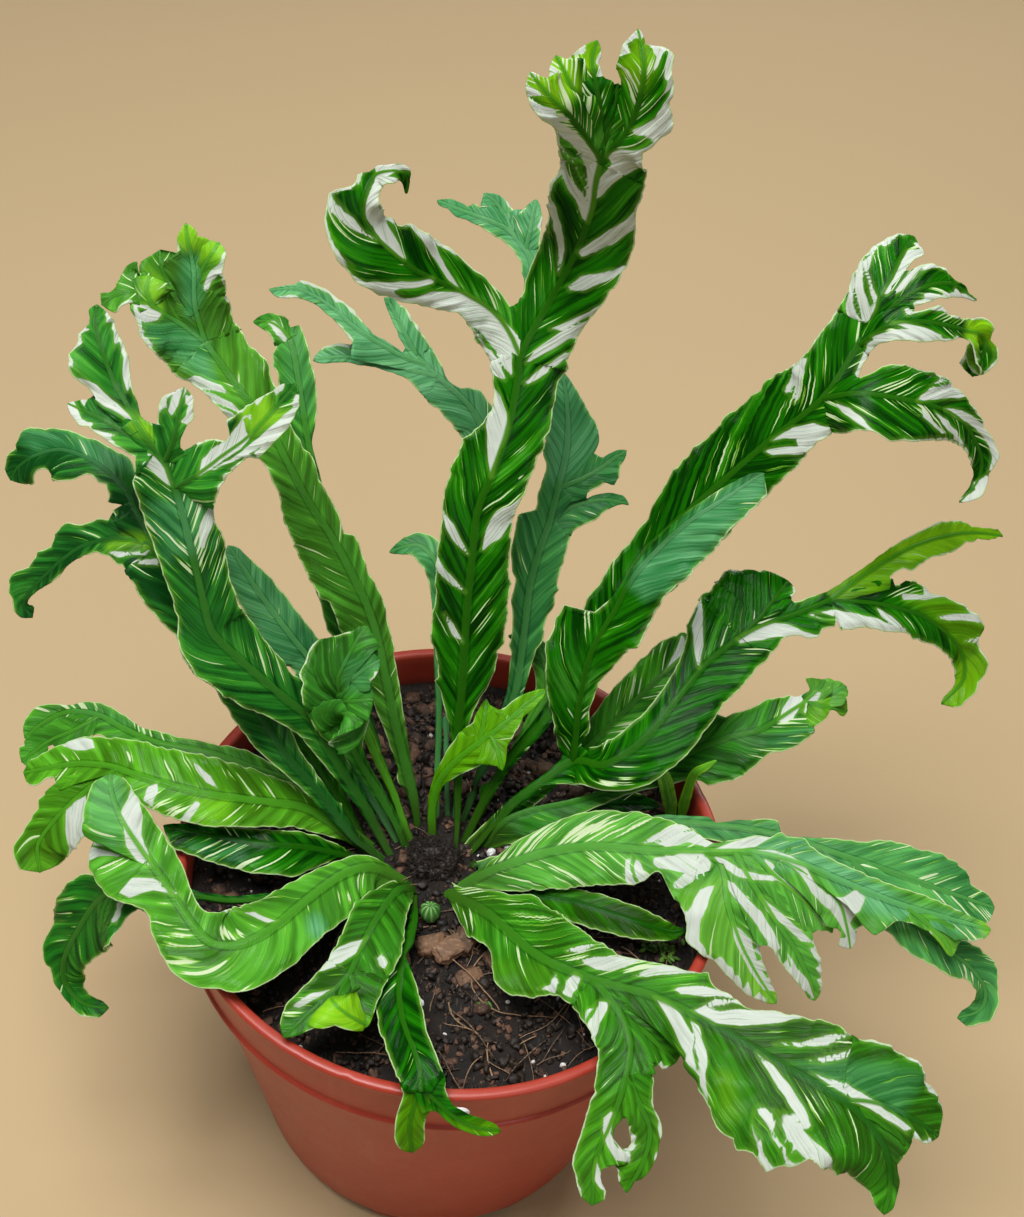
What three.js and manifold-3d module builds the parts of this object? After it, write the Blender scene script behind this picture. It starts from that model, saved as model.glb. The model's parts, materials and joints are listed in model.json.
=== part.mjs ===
// A variegated, crested fern in a plastic nursery pot.
// Units are millimetres, +Z is up, the origin is the centre of the pot's flat underside.
import * as THREE from "three";
import Module from "manifold-3d";

// ---------------------------------------------------------------- dimensions
const POT_HEIGHT = 145;          // underside to the top of the lip
const LIP_RADIUS = 90;           // outer radius of the rolled lip
const COLLAR_RADIUS = 88.2;      // outer radius of the band below the lip
const COLLAR_BOTTOM = 121;       // height where the band steps in to the tapered wall
const WALL_TOP_RADIUS = 85.4;    // outer radius of the tapered wall under the band
const BASE_RADIUS = 67;          // outer radius at the bottom of the tapered wall
const FOOT_RADIUS = 64.5;        // outer radius of the standing ring
const FOOT_HEIGHT = 7;
const WALL = 2;                  // wall thickness
const FLOOR_TOP = 5;             // top of the pot floor
const DRAIN_COUNT = 8;           // drain openings around the standing ring
const DRAIN_WIDTH = 13;
const DRAIN_HEIGHT = 4.2;
const POT_SEGMENTS = 48;
const SOIL_TOP = 132;            // highest level of the soil
const CLEARANCE = 0.3;           // gap between touching pieces
const MIDRIB_BASE = 1.25;        // half thickness of a leaf stalk at the crown
const MIDRIB_TIP = 0.7;          // half thickness of the midrib at the tip
const EDGE_HALF = 0.38;          // half thickness of the blade at its edge
const CUP = 0.14;                // how much the blade edges rise above the midrib

// Every leaf is a set of limbs (a main blade and its forks). A limb is a list of stations:
// x, y, z of the midrib, the unit direction across the blade, and the two half widths.
const LEAVES = [
  {
    name: "frond_center_tall",
    limbs: [
      [[0.44, 10.51, 132.63, 1, -0.002, 0, 0.3, 1.23], [0.37, 16.75, 139.32, 0.999, 0.045, 0.021, 0.79, 1.13], [-0.3, 21.54, 147.09, 0.995, 0.095, 0.041, 0.98, 1.52], [-1.09, 25.58, 155.27, 0.994, 0.099, 0.048, 1.24, 2.04], [-1.51, 29.05, 163.73, 1, 0.017, 0.004, 1.95, 2.4], [-1.47, 32.25, 172.32, 1, -0.009, -0.007, 4.18, 3.93], [-1.41, 35.51, 180.88, 1, 0.005, 0, 7.35, 7.28], [-1.52, 39.05, 189.32, 1, 0.026, 0.011, 8.37, 10.54], [-1.72, 42.76, 197.7, 1, 0.023, 0.01, 10.75, 12.1], [-1.8, 46.48, 206.07, 1, 0.001, -0.002, 10.71, 12.96], [-1.73, 50.16, 214.46, 1, -0.013, -0.01, 10.76, 12.93], [-1.55, 53.94, 222.8, 1, -0.022, -0.015, 11, 11.9], [-1.36, 58.07, 230.98, 0.999, -0.033, -0.017, 10.74, 11.51], [-0.47, 62.31, 239.03, 0.966, -0.223, -0.132, 11.5, 11.18], [2.35, 66.24, 246.78, 0.944, -0.282, -0.173, 12.52, 11.44], [4.89, 71.31, 253.98, 0.962, -0.229, -0.148, 11.7, 11.35], [6.79, 76.81, 261.04, 0.987, -0.14, -0.084, 7.42, 12.18], [7.92, 82.59, 268.06, 0.994, -0.098, -0.057, 6.83, 12.34], [8.28, 88.09, 275.34, 0.999, -0.047, 0.002, 7.04, 14.7], [10.72, 93.01, 282.55, 0.906, -0.342, -0.249, 4.91, 13.84], [14.64, 97.52, 289.48, 0.883, -0.388, -0.266, 8.43, 13.17], [18.28, 99.99, 297.46, 0.853, -0.435, -0.29, 10.39, 14.27], [21.46, 100.46, 306.03, 0.886, -0.368, -0.281, 11.16, 14.96], [23.73, 99.96, 314.88, 0.973, -0.099, -0.209, 11.3, 15.2], [25.14, 98.71, 323.84, 0.989, -0.09, -0.115, 12.94, 13.53], [25.33, 97.36, 332.88, 0.997, -0.072, 0.004, 12.16, 13.93], [25.74, 96.52, 339.97, 0.986, -0.099, -0.133, 7.98, 11.7], [26.01, 96.36, 341.94, 0.985, -0.103, -0.14, 1.95, 1.95]],
      [[8.5, 89.44, 277.39, 0.867, 0.214, 0.45, 4.12, 2.12], [5.27, 93.18, 281.77, 0.84, 0.328, 0.432, 9.31, 4.79], [1.1, 95.8, 286.11, 0.659, 0.571, 0.491, 9.73, 6.41], [-3.89, 96.18, 290.34, 0.378, 0.686, 0.622, 8.82, 6.4], [-9.07, 94.82, 294.2, 0.253, 0.707, 0.66, 6.82, 8.02], [-14.18, 92.98, 297.94, 0.204, 0.712, 0.672, 7.14, 9.58], [-19.17, 90.62, 301.57, 0.141, 0.708, 0.692, 8.26, 10.82], [-24.09, 88.26, 305.28, 0.249, 0.707, 0.662, 9.44, 11.08], [-28.97, 86.92, 309.5, 0.424, 0.687, 0.59, 11.68, 10.69], [-33.74, 86.35, 314.03, 0.482, 0.668, 0.567, 13.09, 8.16], [-38.51, 86.72, 318.54, 0.685, 0.585, 0.433, 12.58, 6.41], [-40.87, 87.5, 324.56, 0.984, 0.17, 0.055, 10.39, 6.08], [-39.76, 90.69, 330.02, 0.948, -0.185, -0.26, 3.96, 3.9], [-35.77, 93.24, 333.84, 0.286, -0.626, -0.725, 1.69, 3.76], [-29.99, 94.5, 333.15, -0.426, -0.59, -0.686, 1.78, 2.23], [-28.51, 95.12, 329.06, -0.998, -0.003, 0.064, 0.3, 1.17], [-28.92, 94.6, 327.17, -0.975, 0.141, 0.172, 0.3, 0.3]],
      [[25.86, 96.44, 340.86, 0.878, -0.068, -0.474, 2.78, 6.8], [29.11, 95.53, 346.91, 0.827, -0.192, -0.528, 3.2, 11.25], [32.68, 94.81, 352.77, 0.834, -0.443, -0.33, 4.61, 8.1], [34.07, 94.71, 359.54, 0.977, -0.173, -0.123, 5.07, 9.83], [34.58, 95.08, 366.43, 0.998, -0.07, 0.003, 5.86, 8.28], [33.78, 97.9, 372.51, 0.973, 0.116, 0.201, 6.6, 6.23], [32.48, 100.88, 376.19, 0.952, 0.177, 0.249, 3.79, 0.99], [31.83, 101.85, 377.81, 0.944, 0.199, 0.262, 0.3, 0.3]],
      [[26.01, 96.36, 341.94, 0.85, -0.131, 0.51, 3.78, 2.03], [22.76, 94.92, 347.01, 0.848, -0.098, 0.52, 10.08, 2.27], [19.48, 93.05, 351.89, 0.824, -0.003, 0.567, 7.78, 3.09], [16.21, 90.52, 356.5, 0.785, 0.052, 0.617, 5.54, 4.41], [12.45, 88.36, 360.89, 0.486, 0.519, 0.704, 5.46, 5.34], [8.03, 87.44, 365.07, 0.596, 0.555, 0.58, 5.45, 5.43], [5.09, 87.99, 367.98, 0.655, 0.525, 0.544, 3.97, 1.4], [3.68, 88.28, 369.38, 0.652, 0.525, 0.548, 0.3, 0.3]],
      [[24.06, 95.5, 344.98, 0.926, -0.078, 0.369, 7.63, 2.53], [21.82, 94.73, 350.55, 0.929, -0.08, 0.36, 2.62, 3.45], [19.59, 93.79, 356.09, 0.927, -0.065, 0.368, 4.03, 4.12], [16.92, 93.29, 361.48, 0.788, 0.427, 0.443, 4.78, 4.7], [13.65, 94.61, 366.37, 0.831, 0.383, 0.404, 5.57, 5.78], [11.46, 96.66, 369.1, 0.843, 0.356, 0.403, 3.13, 1.78], [10.39, 97.69, 370.43, 0.842, 0.356, 0.405, 0.3, 0.3]],
      [[25.99, 96.36, 341.85, 0.988, -0.119, 0.096, 3.03, 1.87], [25.28, 95.63, 348.69, 0.991, -0.089, 0.097, 3.06, 2.31], [24.32, 94.97, 355.5, 0.98, 0.014, 0.197, 3.84, 3.31], [22.59, 95.49, 362.15, 0.949, 0.207, 0.236, 4.6, 4.3], [20.65, 98.45, 367.98, 0.979, 0.115, 0.167, 5.58, 1.89], [20.72, 101.22, 371.95, 0.974, -0.182, -0.138, 2.53, 1.88], [21.2, 102.25, 373.6, 0.966, -0.212, -0.15, 0.3, 0.3]],
      [[25.99, 96.36, 341.86, 0.99, -0.107, -0.089, 2.2, 1.87], [26.59, 95.71, 349.34, 0.991, -0.089, -0.098, 2.39, 3.58], [27.36, 96.14, 356.79, 0.987, -0.137, -0.086, 3.64, 4.76], [27.9, 97.31, 362.17, 0.989, -0.133, -0.062, 4.52, 5], [28.08, 97.78, 364.1, 0.989, -0.132, -0.062, 0.3, 0.3]],
    ],
  },
  {
    name: "frond_right_long",
    limbs: [
      [[4.76, 12.63, 132.6, 0.928, -0.358, -0.105, 1.66, 0.83], [7.19, 16.69, 140.27, 0.912, -0.392, -0.119, 1.24, 1.44], [10.33, 20.92, 147.59, 0.879, -0.454, -0.143, 2.24, 2.04], [14.16, 25.23, 154.52, 0.816, -0.547, -0.186, 1.22, 2.21], [19.1, 29.17, 160.94, 0.724, -0.648, -0.238, 1.78, 2.33], [24.52, 33.04, 167.02, 0.753, -0.618, -0.228, 2.48, 2.21], [29.5, 38.09, 172.55, 0.85, -0.495, -0.179, 2.84, 2.83], [33.67, 44.68, 177.05, 0.898, -0.413, -0.149, 4.41, 4.54], [37.47, 51.76, 181.13, 0.906, -0.399, -0.142, 5.84, 6.65], [41.3, 58.54, 185.68, 0.892, -0.427, -0.151, 7.13, 8.69], [45.19, 64.64, 191.06, 0.887, -0.437, -0.149, 8.15, 10.4], [49.05, 70.46, 196.77, 0.883, -0.445, -0.151, 7.82, 13.52], [52.98, 76.05, 202.66, 0.87, -0.467, -0.16, 7.38, 14.04], [57.29, 81.26, 208.61, 0.778, -0.59, -0.215, 6.56, 16.24], [62.99, 84.16, 214.93, 0.646, -0.709, -0.282, 8.86, 15.65], [68.82, 86.83, 221.27, 0.63, -0.72, -0.292, 11.75, 15.27], [74.69, 89.27, 227.67, 0.616, -0.731, -0.295, 14.2, 14.1], [80.45, 91.36, 234.28, 0.598, -0.745, -0.297, 15.36, 11.97], [86.08, 93.02, 241.13, 0.575, -0.76, -0.302, 15.76, 13.43], [91.62, 94.27, 248.14, 0.539, -0.782, -0.312, 16.3, 13.24], [97.16, 94.72, 255.23, 0.437, -0.826, -0.356, 16.03, 11.78], [102.61, 94.57, 262.41, 0.505, -0.799, -0.327, 16.03, 10.74], [107.61, 96.39, 269.62, 0.759, -0.621, -0.197, 14.41, 3.8], [111.77, 100.58, 276.42, 0.847, -0.512, -0.141, 12.8, 5.28], [115.77, 105.08, 283.12, 0.813, -0.557, -0.171, 11.99, 3.1], [119.15, 108.12, 288.47, 0.796, -0.578, -0.182, 1.99, 4.2], [120.11, 108.98, 290, 0.797, -0.577, -0.181, 2.2, 1.7]],
      [[118.71, 107.73, 287.78, 0.911, -0.404, 0.081, 6.24, 3.12], [119.71, 111.11, 293.74, 0.924, -0.382, 0.019, 10.63, 3.47], [121.96, 115.74, 298.24, 0.909, -0.407, -0.093, 10.81, 5.33], [124.63, 121.31, 301.35, 0.924, -0.375, -0.08, 10.24, 4.33], [127.34, 127.18, 303.85, 0.896, -0.424, -0.131, 7.04, 5.22], [129.86, 131.1, 305.41, 0.828, -0.518, -0.215, 3.59, 2.75], [130.99, 132.65, 306, 0.827, -0.516, -0.223, 0.3, 0.3]],
      [[119.67, 108.58, 289.3, 0.644, -0.668, -0.373, 2.37, 5.12], [124.01, 110.22, 293.9, 0.619, -0.695, -0.365, 4.06, 5.59], [128.87, 111.88, 297.92, 0.508, -0.764, -0.399, 5.95, 4.73], [134.58, 113.78, 300.33, 0.39, -0.78, -0.489, 6.98, 4.91], [140.66, 116.02, 300.2, 0.078, -0.794, -0.603, 3.71, 4.6], [146.43, 117.21, 297.47, -0.261, -0.75, -0.608, 1.33, 2.38], [150.22, 117.77, 295.03, -0.271, -0.742, -0.613, 0.55, 1.03], [151.91, 118.03, 294, -0.258, -0.745, -0.615, 0.3, 0.3]],
      [[115.24, 104.56, 282.26, 0.522, -0.699, -0.489, 2.45, 3.14], [118.89, 103.89, 287.25, 0.493, -0.731, -0.471, 3.81, 3.78], [123.28, 103.44, 291.48, 0.281, -0.821, -0.498, 5.22, 5.39], [129.29, 103.72, 292.92, 0.119, -0.825, -0.552, 4.26, 6.14], [135.41, 104.65, 292.66, 0.075, -0.81, -0.581, 4.65, 6.04], [141.13, 106.39, 290.99, 0.059, -0.796, -0.603, 4.44, 4.96], [146.39, 108.72, 288.64, 0.116, -0.777, -0.619, 3.66, 3.03], [150.93, 112.02, 285.99, 0.237, -0.739, -0.63, 4.09, 8.08], [155.06, 115.73, 283.18, -0.034, -0.627, -0.778, 4.85, 10.97], [158.98, 117.94, 279.27, -0.887, 0.066, -0.458, 2.85, 5.29], [159.17, 115.59, 273.72, -0.899, 0.432, 0.068, 4.47, 5.4], [158.02, 114.38, 269.84, -0.846, 0.526, 0.093, 2.67, 5.37], [157.48, 113.81, 268, -0.85, 0.521, 0.086, 0.3, 0.3]],
      [[105.87, 95.35, 266.99, 0.166, -0.695, -0.699, 2.12, 3.95], [110.06, 92.54, 270.82, 0.072, -0.759, -0.647, 4.67, 11.93], [114.93, 90.01, 273.92, -0.096, -0.819, -0.566, 6.01, 12.68], [120.94, 88.57, 275, -0.074, -0.83, -0.554, 8.87, 12.75], [127.23, 88.5, 274.48, -0.032, -0.829, -0.559, 11.22, 14.03], [133.32, 89.57, 273.2, 0.082, -0.818, -0.569, 11.41, 12.91], [138.98, 91.4, 271.05, -0.019, -0.813, -0.582, 10.77, 11.49], [144.38, 93.19, 268.25, -0.066, -0.8, -0.597, 9.99, 9.75], [149.55, 94.79, 264.98, -0.235, -0.77, -0.593, 7.96, 8.28], [154.2, 95.64, 260.78, -0.494, -0.693, -0.525, 6.28, 6.67], [158.22, 95.8, 255.9, -0.636, -0.616, -0.464, 5.39, 5.01], [161.71, 95.47, 250.64, -0.8, -0.465, -0.38, 5.89, 4.17], [163.6, 93.85, 244.92, -0.985, 0.143, -0.1, 3.36, 2.58], [161.9, 90.78, 239.8, -0.78, 0.607, 0.153, 3.53, 1.17], [159.26, 88.51, 237.22, -0.737, 0.651, 0.183, 2.06, 0.62], [158.07, 87.47, 236, -0.745, 0.643, 0.176, 0.3, 0.3]],
    ],
  },
  {
    name: "frond_right_mid",
    limbs: [
      [[8.39, 8.78, 132.6, 0.781, -0.591, -0.205, 4.04, 0.43], [13.63, 13.69, 138.4, 0.789, -0.58, -0.204, 3.02, 0.48], [18.78, 18.95, 143.95, 0.746, -0.628, -0.224, 1.91, 1.7], [25.44, 23.21, 148.66, 0.586, -0.756, -0.291, 1.71, 1.97], [32.47, 27.16, 153.14, 0.624, -0.733, -0.269, 1.89, 5.15], [39.76, 29.05, 157.89, -0.078, -0.899, -0.43, 4.3, 8.34], [46.29, 24.19, 162.18, -0.134, -0.893, -0.429, 7.41, 8.26], [53.8, 24.9, 167.1, 0.524, -0.8, -0.292, 6.99, 12.13], [60.43, 28.61, 172.3, 0.713, -0.666, -0.221, 6.71, 13.17], [65.95, 34.13, 177.18, 0.818, -0.55, -0.17, 5.75, 13.41], [71.01, 40.64, 181.3, 0.826, -0.538, -0.171, 5.71, 13.68], [76.17, 47.52, 184.63, 0.809, -0.557, -0.187, 7.06, 13.64], [82.18, 53.81, 187.67, 0.699, -0.668, -0.253, 12.78, 13.93], [89.11, 59.26, 190.41, 0.627, -0.722, -0.292, 14.23, 12.01], [96.63, 64.06, 192.7, 0.512, -0.788, -0.341, 2.59, 9.98], [104.89, 67.67, 194.67, 0.405, -0.833, -0.378, 4.85, 6.83], [113.26, 70.98, 196.69, 0.441, -0.82, -0.364, 3.65, 9.19], [119.71, 73.7, 198.5, 0.447, -0.818, -0.361, 3.09, 8.01], [121.49, 74.45, 199, 0.447, -0.819, -0.361, 2.87, 2.45]],
      [[38.39, 29.33, 156.99, 0.831, -0.516, 0.205, 2.73, 2.12], [38.19, 31.47, 163.15, 0.934, -0.326, 0.143, 6.37, 2.73], [37.86, 33.43, 169.35, 0.997, -0.021, 0.072, 7.46, 4.06], [37.81, 35.43, 175.55, 0.995, -0.104, -0.002, 9.32, 3.67], [38.08, 37.62, 181.68, 0.992, -0.126, -0.004, 11.25, 4.25], [38.49, 39.86, 187.79, 0.983, -0.18, -0.024, 12.52, 5.5], [39.3, 42.2, 193.82, 0.95, -0.306, -0.066, 14.6, 7.93], [41.01, 44.67, 199.59, 0.877, -0.462, -0.131, 15.17, 9.65], [43.49, 47.25, 205.03, 0.837, -0.522, -0.164, 9.93, 12.3], [46.12, 49.92, 210.37, 0.86, -0.489, -0.145, 3.64, 11.82], [48.47, 52.71, 215.77, 0.867, -0.479, -0.139, 2, 11.75], [51.33, 55.65, 220.82, 0.794, -0.573, -0.206, 1.81, 11.88], [55.07, 58.7, 225.19, 0.74, -0.626, -0.246, 2.24, 12.47], [59.18, 61.73, 229.25, 0.709, -0.654, -0.264, 2.79, 12.83], [63.46, 64.38, 233.38, 0.642, -0.709, -0.292, 2.6, 12.42], [68.06, 66.19, 237.61, 0.552, -0.763, -0.336, 2.89, 11.86], [73.09, 68.07, 241.3, 0.521, -0.774, -0.36, 3.06, 9.88], [78.3, 70.22, 244.58, 0.576, -0.744, -0.338, 3.11, 8.85], [83.29, 72.83, 247.85, 0.59, -0.736, -0.331, 2.34, 7.43], [86.91, 74.37, 250.07, 0.45, -0.802, -0.393, 1.27, 6.62], [88.63, 74.76, 251, 0.403, -0.82, -0.407, 0.3, 0.3]],
      [[90.99, 60.6, 191.04, 0.759, -0.604, -0.243, 18.77, 8.3], [95.66, 65.45, 193.54, 0.759, -0.61, -0.227, 19, 2.63], [99.94, 70.69, 195.9, 0.83, -0.532, -0.167, 18.98, 4.32], [103.89, 76.31, 197.96, 0.838, -0.521, -0.165, 14.83, 5.22], [106.67, 80.6, 198.77, 0.842, -0.512, -0.167, 8.5, 4.04], [107.74, 82.27, 199, 0.842, -0.513, -0.167, 0.3, 0.3]],
      [[121.49, 74.45, 199, 0.632, -0.716, -0.297, 2.76, 2.1], [126.37, 77.46, 202.12, 0.627, -0.724, -0.287, 2.22, 4.12], [131.4, 80.83, 204.54, 0.621, -0.731, -0.285, 2.07, 6.55], [136.54, 84.43, 206.32, 0.61, -0.735, -0.296, 2.23, 7.34], [141.74, 88.14, 207.68, 0.594, -0.741, -0.313, 2.86, 5.15], [146.95, 92.01, 208.22, 0.579, -0.744, -0.334, 3.37, 6.98], [152.16, 95.94, 208.11, 0.532, -0.764, -0.365, 3.71, 6.31], [157.49, 99.66, 207.55, 0.475, -0.785, -0.397, 4.41, 6.15], [162.87, 103.23, 206.6, 0.431, -0.798, -0.422, 5.27, 6.19], [168.22, 106.71, 205.25, 0.393, -0.805, -0.445, 5.08, 4.85], [173.53, 110.1, 203.51, 0.334, -0.816, -0.472, 4.07, 3.41], [178.95, 113.14, 201.54, 0.226, -0.835, -0.502, 2.02, 2.31], [184.54, 115.66, 199.31, 0.14, -0.842, -0.52, 2.05, 1.8], [188.45, 117.28, 197.7, 0.143, -0.841, -0.522, 2.16, 0.3], [190.17, 118.02, 197, 0.15, -0.841, -0.52, 0.3, 0.3]],
      [[121.49, 74.45, 199, -0.032, -0.899, -0.437, 2.12, 3.55], [128.08, 73.83, 199.79, -0.029, -0.891, -0.453, 4.2, 10.12], [134.73, 73.56, 199.95, -0.021, -0.878, -0.478, 6.7, 8.85], [141.32, 73.82, 199.03, -0.048, -0.87, -0.491, 8.51, 9.08], [147.61, 74.64, 197.01, -0.061, -0.862, -0.503, 10.15, 8.11], [153.69, 75.42, 194.38, -0.185, -0.841, -0.508, 10.3, 8.25], [159.43, 75.64, 191.01, -0.33, -0.8, -0.501, 10.36, 7.53], [164.81, 75.5, 187.07, -0.434, -0.757, -0.488, 11.81, 6.1], [169.7, 75.12, 182.57, -0.581, -0.674, -0.456, 12.1, 5.32], [173.52, 73.88, 177.3, -0.872, -0.383, -0.306, 7.05, 4.45], [175.21, 70.85, 171.7, -0.977, 0.187, -0.102, 6.67, 3.21], [172.73, 67.26, 166.87, -0.723, 0.674, 0.151, 5.29, 1.32], [169.73, 64.9, 164.19, -0.703, 0.693, 0.159, 3.86, 0.99], [168.49, 63.87, 163, -0.713, 0.684, 0.151, 0.3, 0.3]],
    ],
  },
  {
    name: "leaf_right_mid_behind",
    limbs: [
      [[9.4, 15.62, 132.6, 0.791, -0.573, -0.215, 0.3, 5.23], [14.83, 21.92, 136.54, 0.772, -0.596, -0.221, 0.3, 6.93], [21.75, 25.87, 140.81, 0.353, -0.865, -0.356, 0.3, 6.65], [29.81, 26.8, 145.12, 0.419, -0.843, -0.338, 0.79, 2.63], [36.33, 31.22, 149.64, 0.777, -0.595, -0.205, 1.9, 2.09], [42.2, 36.48, 154.38, 0.706, -0.666, -0.241, 3.52, 4.15], [48.25, 41.03, 159.62, 0.714, -0.66, -0.231, 6.32, 6.73], [54.13, 45.43, 165.18, 0.705, -0.67, -0.235, 7.96, 8.16], [60.15, 49.7, 170.69, 0.705, -0.668, -0.239, 8.71, 8.15], [66.25, 54.78, 175.35, 0.73, -0.642, -0.235, 8.78, 7.99], [72.54, 60.34, 179.11, 0.705, -0.661, -0.256, 8.2, 6.51], [77.69, 64.86, 181.37, 0.698, -0.666, -0.262, 5.9, 2.84], [79.12, 66.11, 182, 0.699, -0.665, -0.262, 0.3, 0.3]],
    ],
  },
  {
    name: "frond_right_low",
    limbs: [
      [[11, 11.12, 132.6, 0.766, -0.621, -0.167, 0.43, 4.22], [15.44, 14.06, 139.67, 0.627, -0.742, -0.238, 0.43, 8.14], [22.82, 17.07, 143.46, 0.331, -0.887, -0.323, 0.43, 9.34], [31.27, 18.43, 145.94, 0.214, -0.916, -0.34, 0.43, 7.69], [39.79, 19.99, 148, 0.314, -0.891, -0.327, 0.43, 5.41], [48.05, 23.04, 149.39, 0.411, -0.856, -0.314, 0.78, 4.42], [56.16, 26.46, 150.78, 0.405, -0.859, -0.312, 2.27, 4.15], [64.28, 29.63, 152.66, 0.42, -0.855, -0.306, 3.02, 5.08], [72.09, 33.06, 155.2, 0.524, -0.807, -0.271, 5.79, 7.26], [79.51, 36.46, 158.74, 0.424, -0.857, -0.294, 8.32, 12.15], [87.17, 38.12, 162.97, 0.323, -0.893, -0.315, 10.29, 13.9], [95.25, 39.22, 166.52, 0.201, -0.913, -0.355, 7.95, 12.07], [103.35, 41.86, 168.7, 0.549, -0.791, -0.27, 7.99, 10.12], [110.46, 46.96, 170.36, 0.612, -0.751, -0.247, 6.33, 10.7], [115.89, 51.05, 171.64, 0.63, -0.738, -0.24, 2.6, 3.66], [117.45, 52.26, 172, 0.63, -0.739, -0.24, 2.39, 2.2]],
      [[116.49, 51.52, 171.78, 0.663, -0.711, -0.232, 2.27, 2.03], [118.57, 52.7, 174.08, 0.671, -0.71, -0.214, 2.66, 2.7], [120.45, 54.02, 176.46, 0.776, -0.616, -0.135, 4.53, 3.75], [121.81, 55.65, 179, 0.857, -0.509, -0.088, 0.3, 0.3]],
      [[116, 51.13, 171.66, 0.245, -0.924, -0.294, 2.53, 2.45], [121.27, 52.01, 173.49, 0.321, -0.893, -0.316, 3.36, 3.19], [126.15, 53.71, 175.65, 0.525, -0.803, -0.282, 4.05, 4.22], [129.06, 55.76, 175.63, 0.537, -0.785, -0.308, 2.52, 2.85], [130.51, 56.99, 175, 0.528, -0.784, -0.326, 0.3, 0.3]],
      [[117, 51.29, 172, -0.393, -0.812, -0.431, 2.12, 3.28], [121.7, 48.89, 172.94, -0.187, -0.891, -0.413, 3.31, 5.33], [126.91, 49.16, 171.89, 0.054, -0.913, -0.405, 4.69, 1.09], [129.66, 50.2, 170.14, 0.056, -0.899, -0.434, 5.7, 1.88], [131.17, 50.85, 169, 0.05, -0.896, -0.441, 0.3, 0.3]],
    ],
  },
  {
    name: "leaf_small_upright_a",
    limbs: [
      [[74.96, 24.49, 132.6, 0.986, 0.025, 0.166, 1.09, 1.09], [73.74, 24.64, 139.94, 0.983, 0.044, 0.18, 1.9, 1.9], [72.08, 24.49, 147.19, 0.966, 0.013, 0.257, 2.4, 2.4], [70.03, 24.06, 154.34, 0.936, 0.185, 0.3, 2.4, 2.4], [67.51, 24.04, 161.33, 0.841, 0.42, 0.34, 1.86, 1.86], [65.15, 24.55, 166.21, 0.812, 0.468, 0.349, 0.9, 0.9], [64.28, 24.74, 168, 0.814, 0.467, 0.346, 0.3, 0.3]],
    ],
  },
  {
    name: "leaf_small_upright_b",
    limbs: [
      [[78.48, 24.83, 132.6, 0.987, -0.137, 0.08, 0.96, 0.96], [77.88, 25.08, 140.46, 0.984, -0.17, 0.057, 1.51, 1.51], [77.74, 25.02, 148.35, 0.969, -0.246, -0.011, 1.69, 1.69], [77.94, 24.75, 156.23, 0.939, -0.335, -0.072, 1.5, 1.5], [79.5, 23.86, 163.8, 0.519, -0.743, -0.423, 1.27, 1.27], [82.89, 23.31, 168.52, 0.47, -0.795, -0.383, 0.69, 0.69], [84.24, 23.39, 170, 0.474, -0.79, -0.39, 0.3, 0.3]],
    ],
  },
  {
    name: "leaf_dark_low",
    limbs: [
      [[10.11, 1.76, 132.8, 0.176, -0.955, -0.238, 1.21, 1.21], [18.41, 2.8, 134.24, 0.242, -0.941, -0.236, 1.27, 1.27], [25.87, 6.38, 135.6, 0.627, -0.757, -0.185, 1.91, 1.91], [32.09, 12.03, 136.81, 0.687, -0.706, -0.172, 3.23, 3.23], [38.47, 17.5, 137.98, 0.644, -0.743, -0.182, 4.36, 4.36], [45.16, 22.57, 139.13, 0.533, -0.821, -0.205, 5.19, 5.19], [52.98, 25.48, 140.26, 0.192, -0.949, -0.249, 5.04, 5.04], [61.39, 26.11, 141.13, 0.008, -0.965, -0.261, 3.72, 3.72], [67.85, 25.59, 141.42, -0.087, -0.96, -0.265, 1.36, 1.36], [69.83, 25.41, 141.5, -0.079, -0.961, -0.265, 0.3, 0.3]],
    ],
  },
  {
    name: "frond_front_right_upper",
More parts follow.
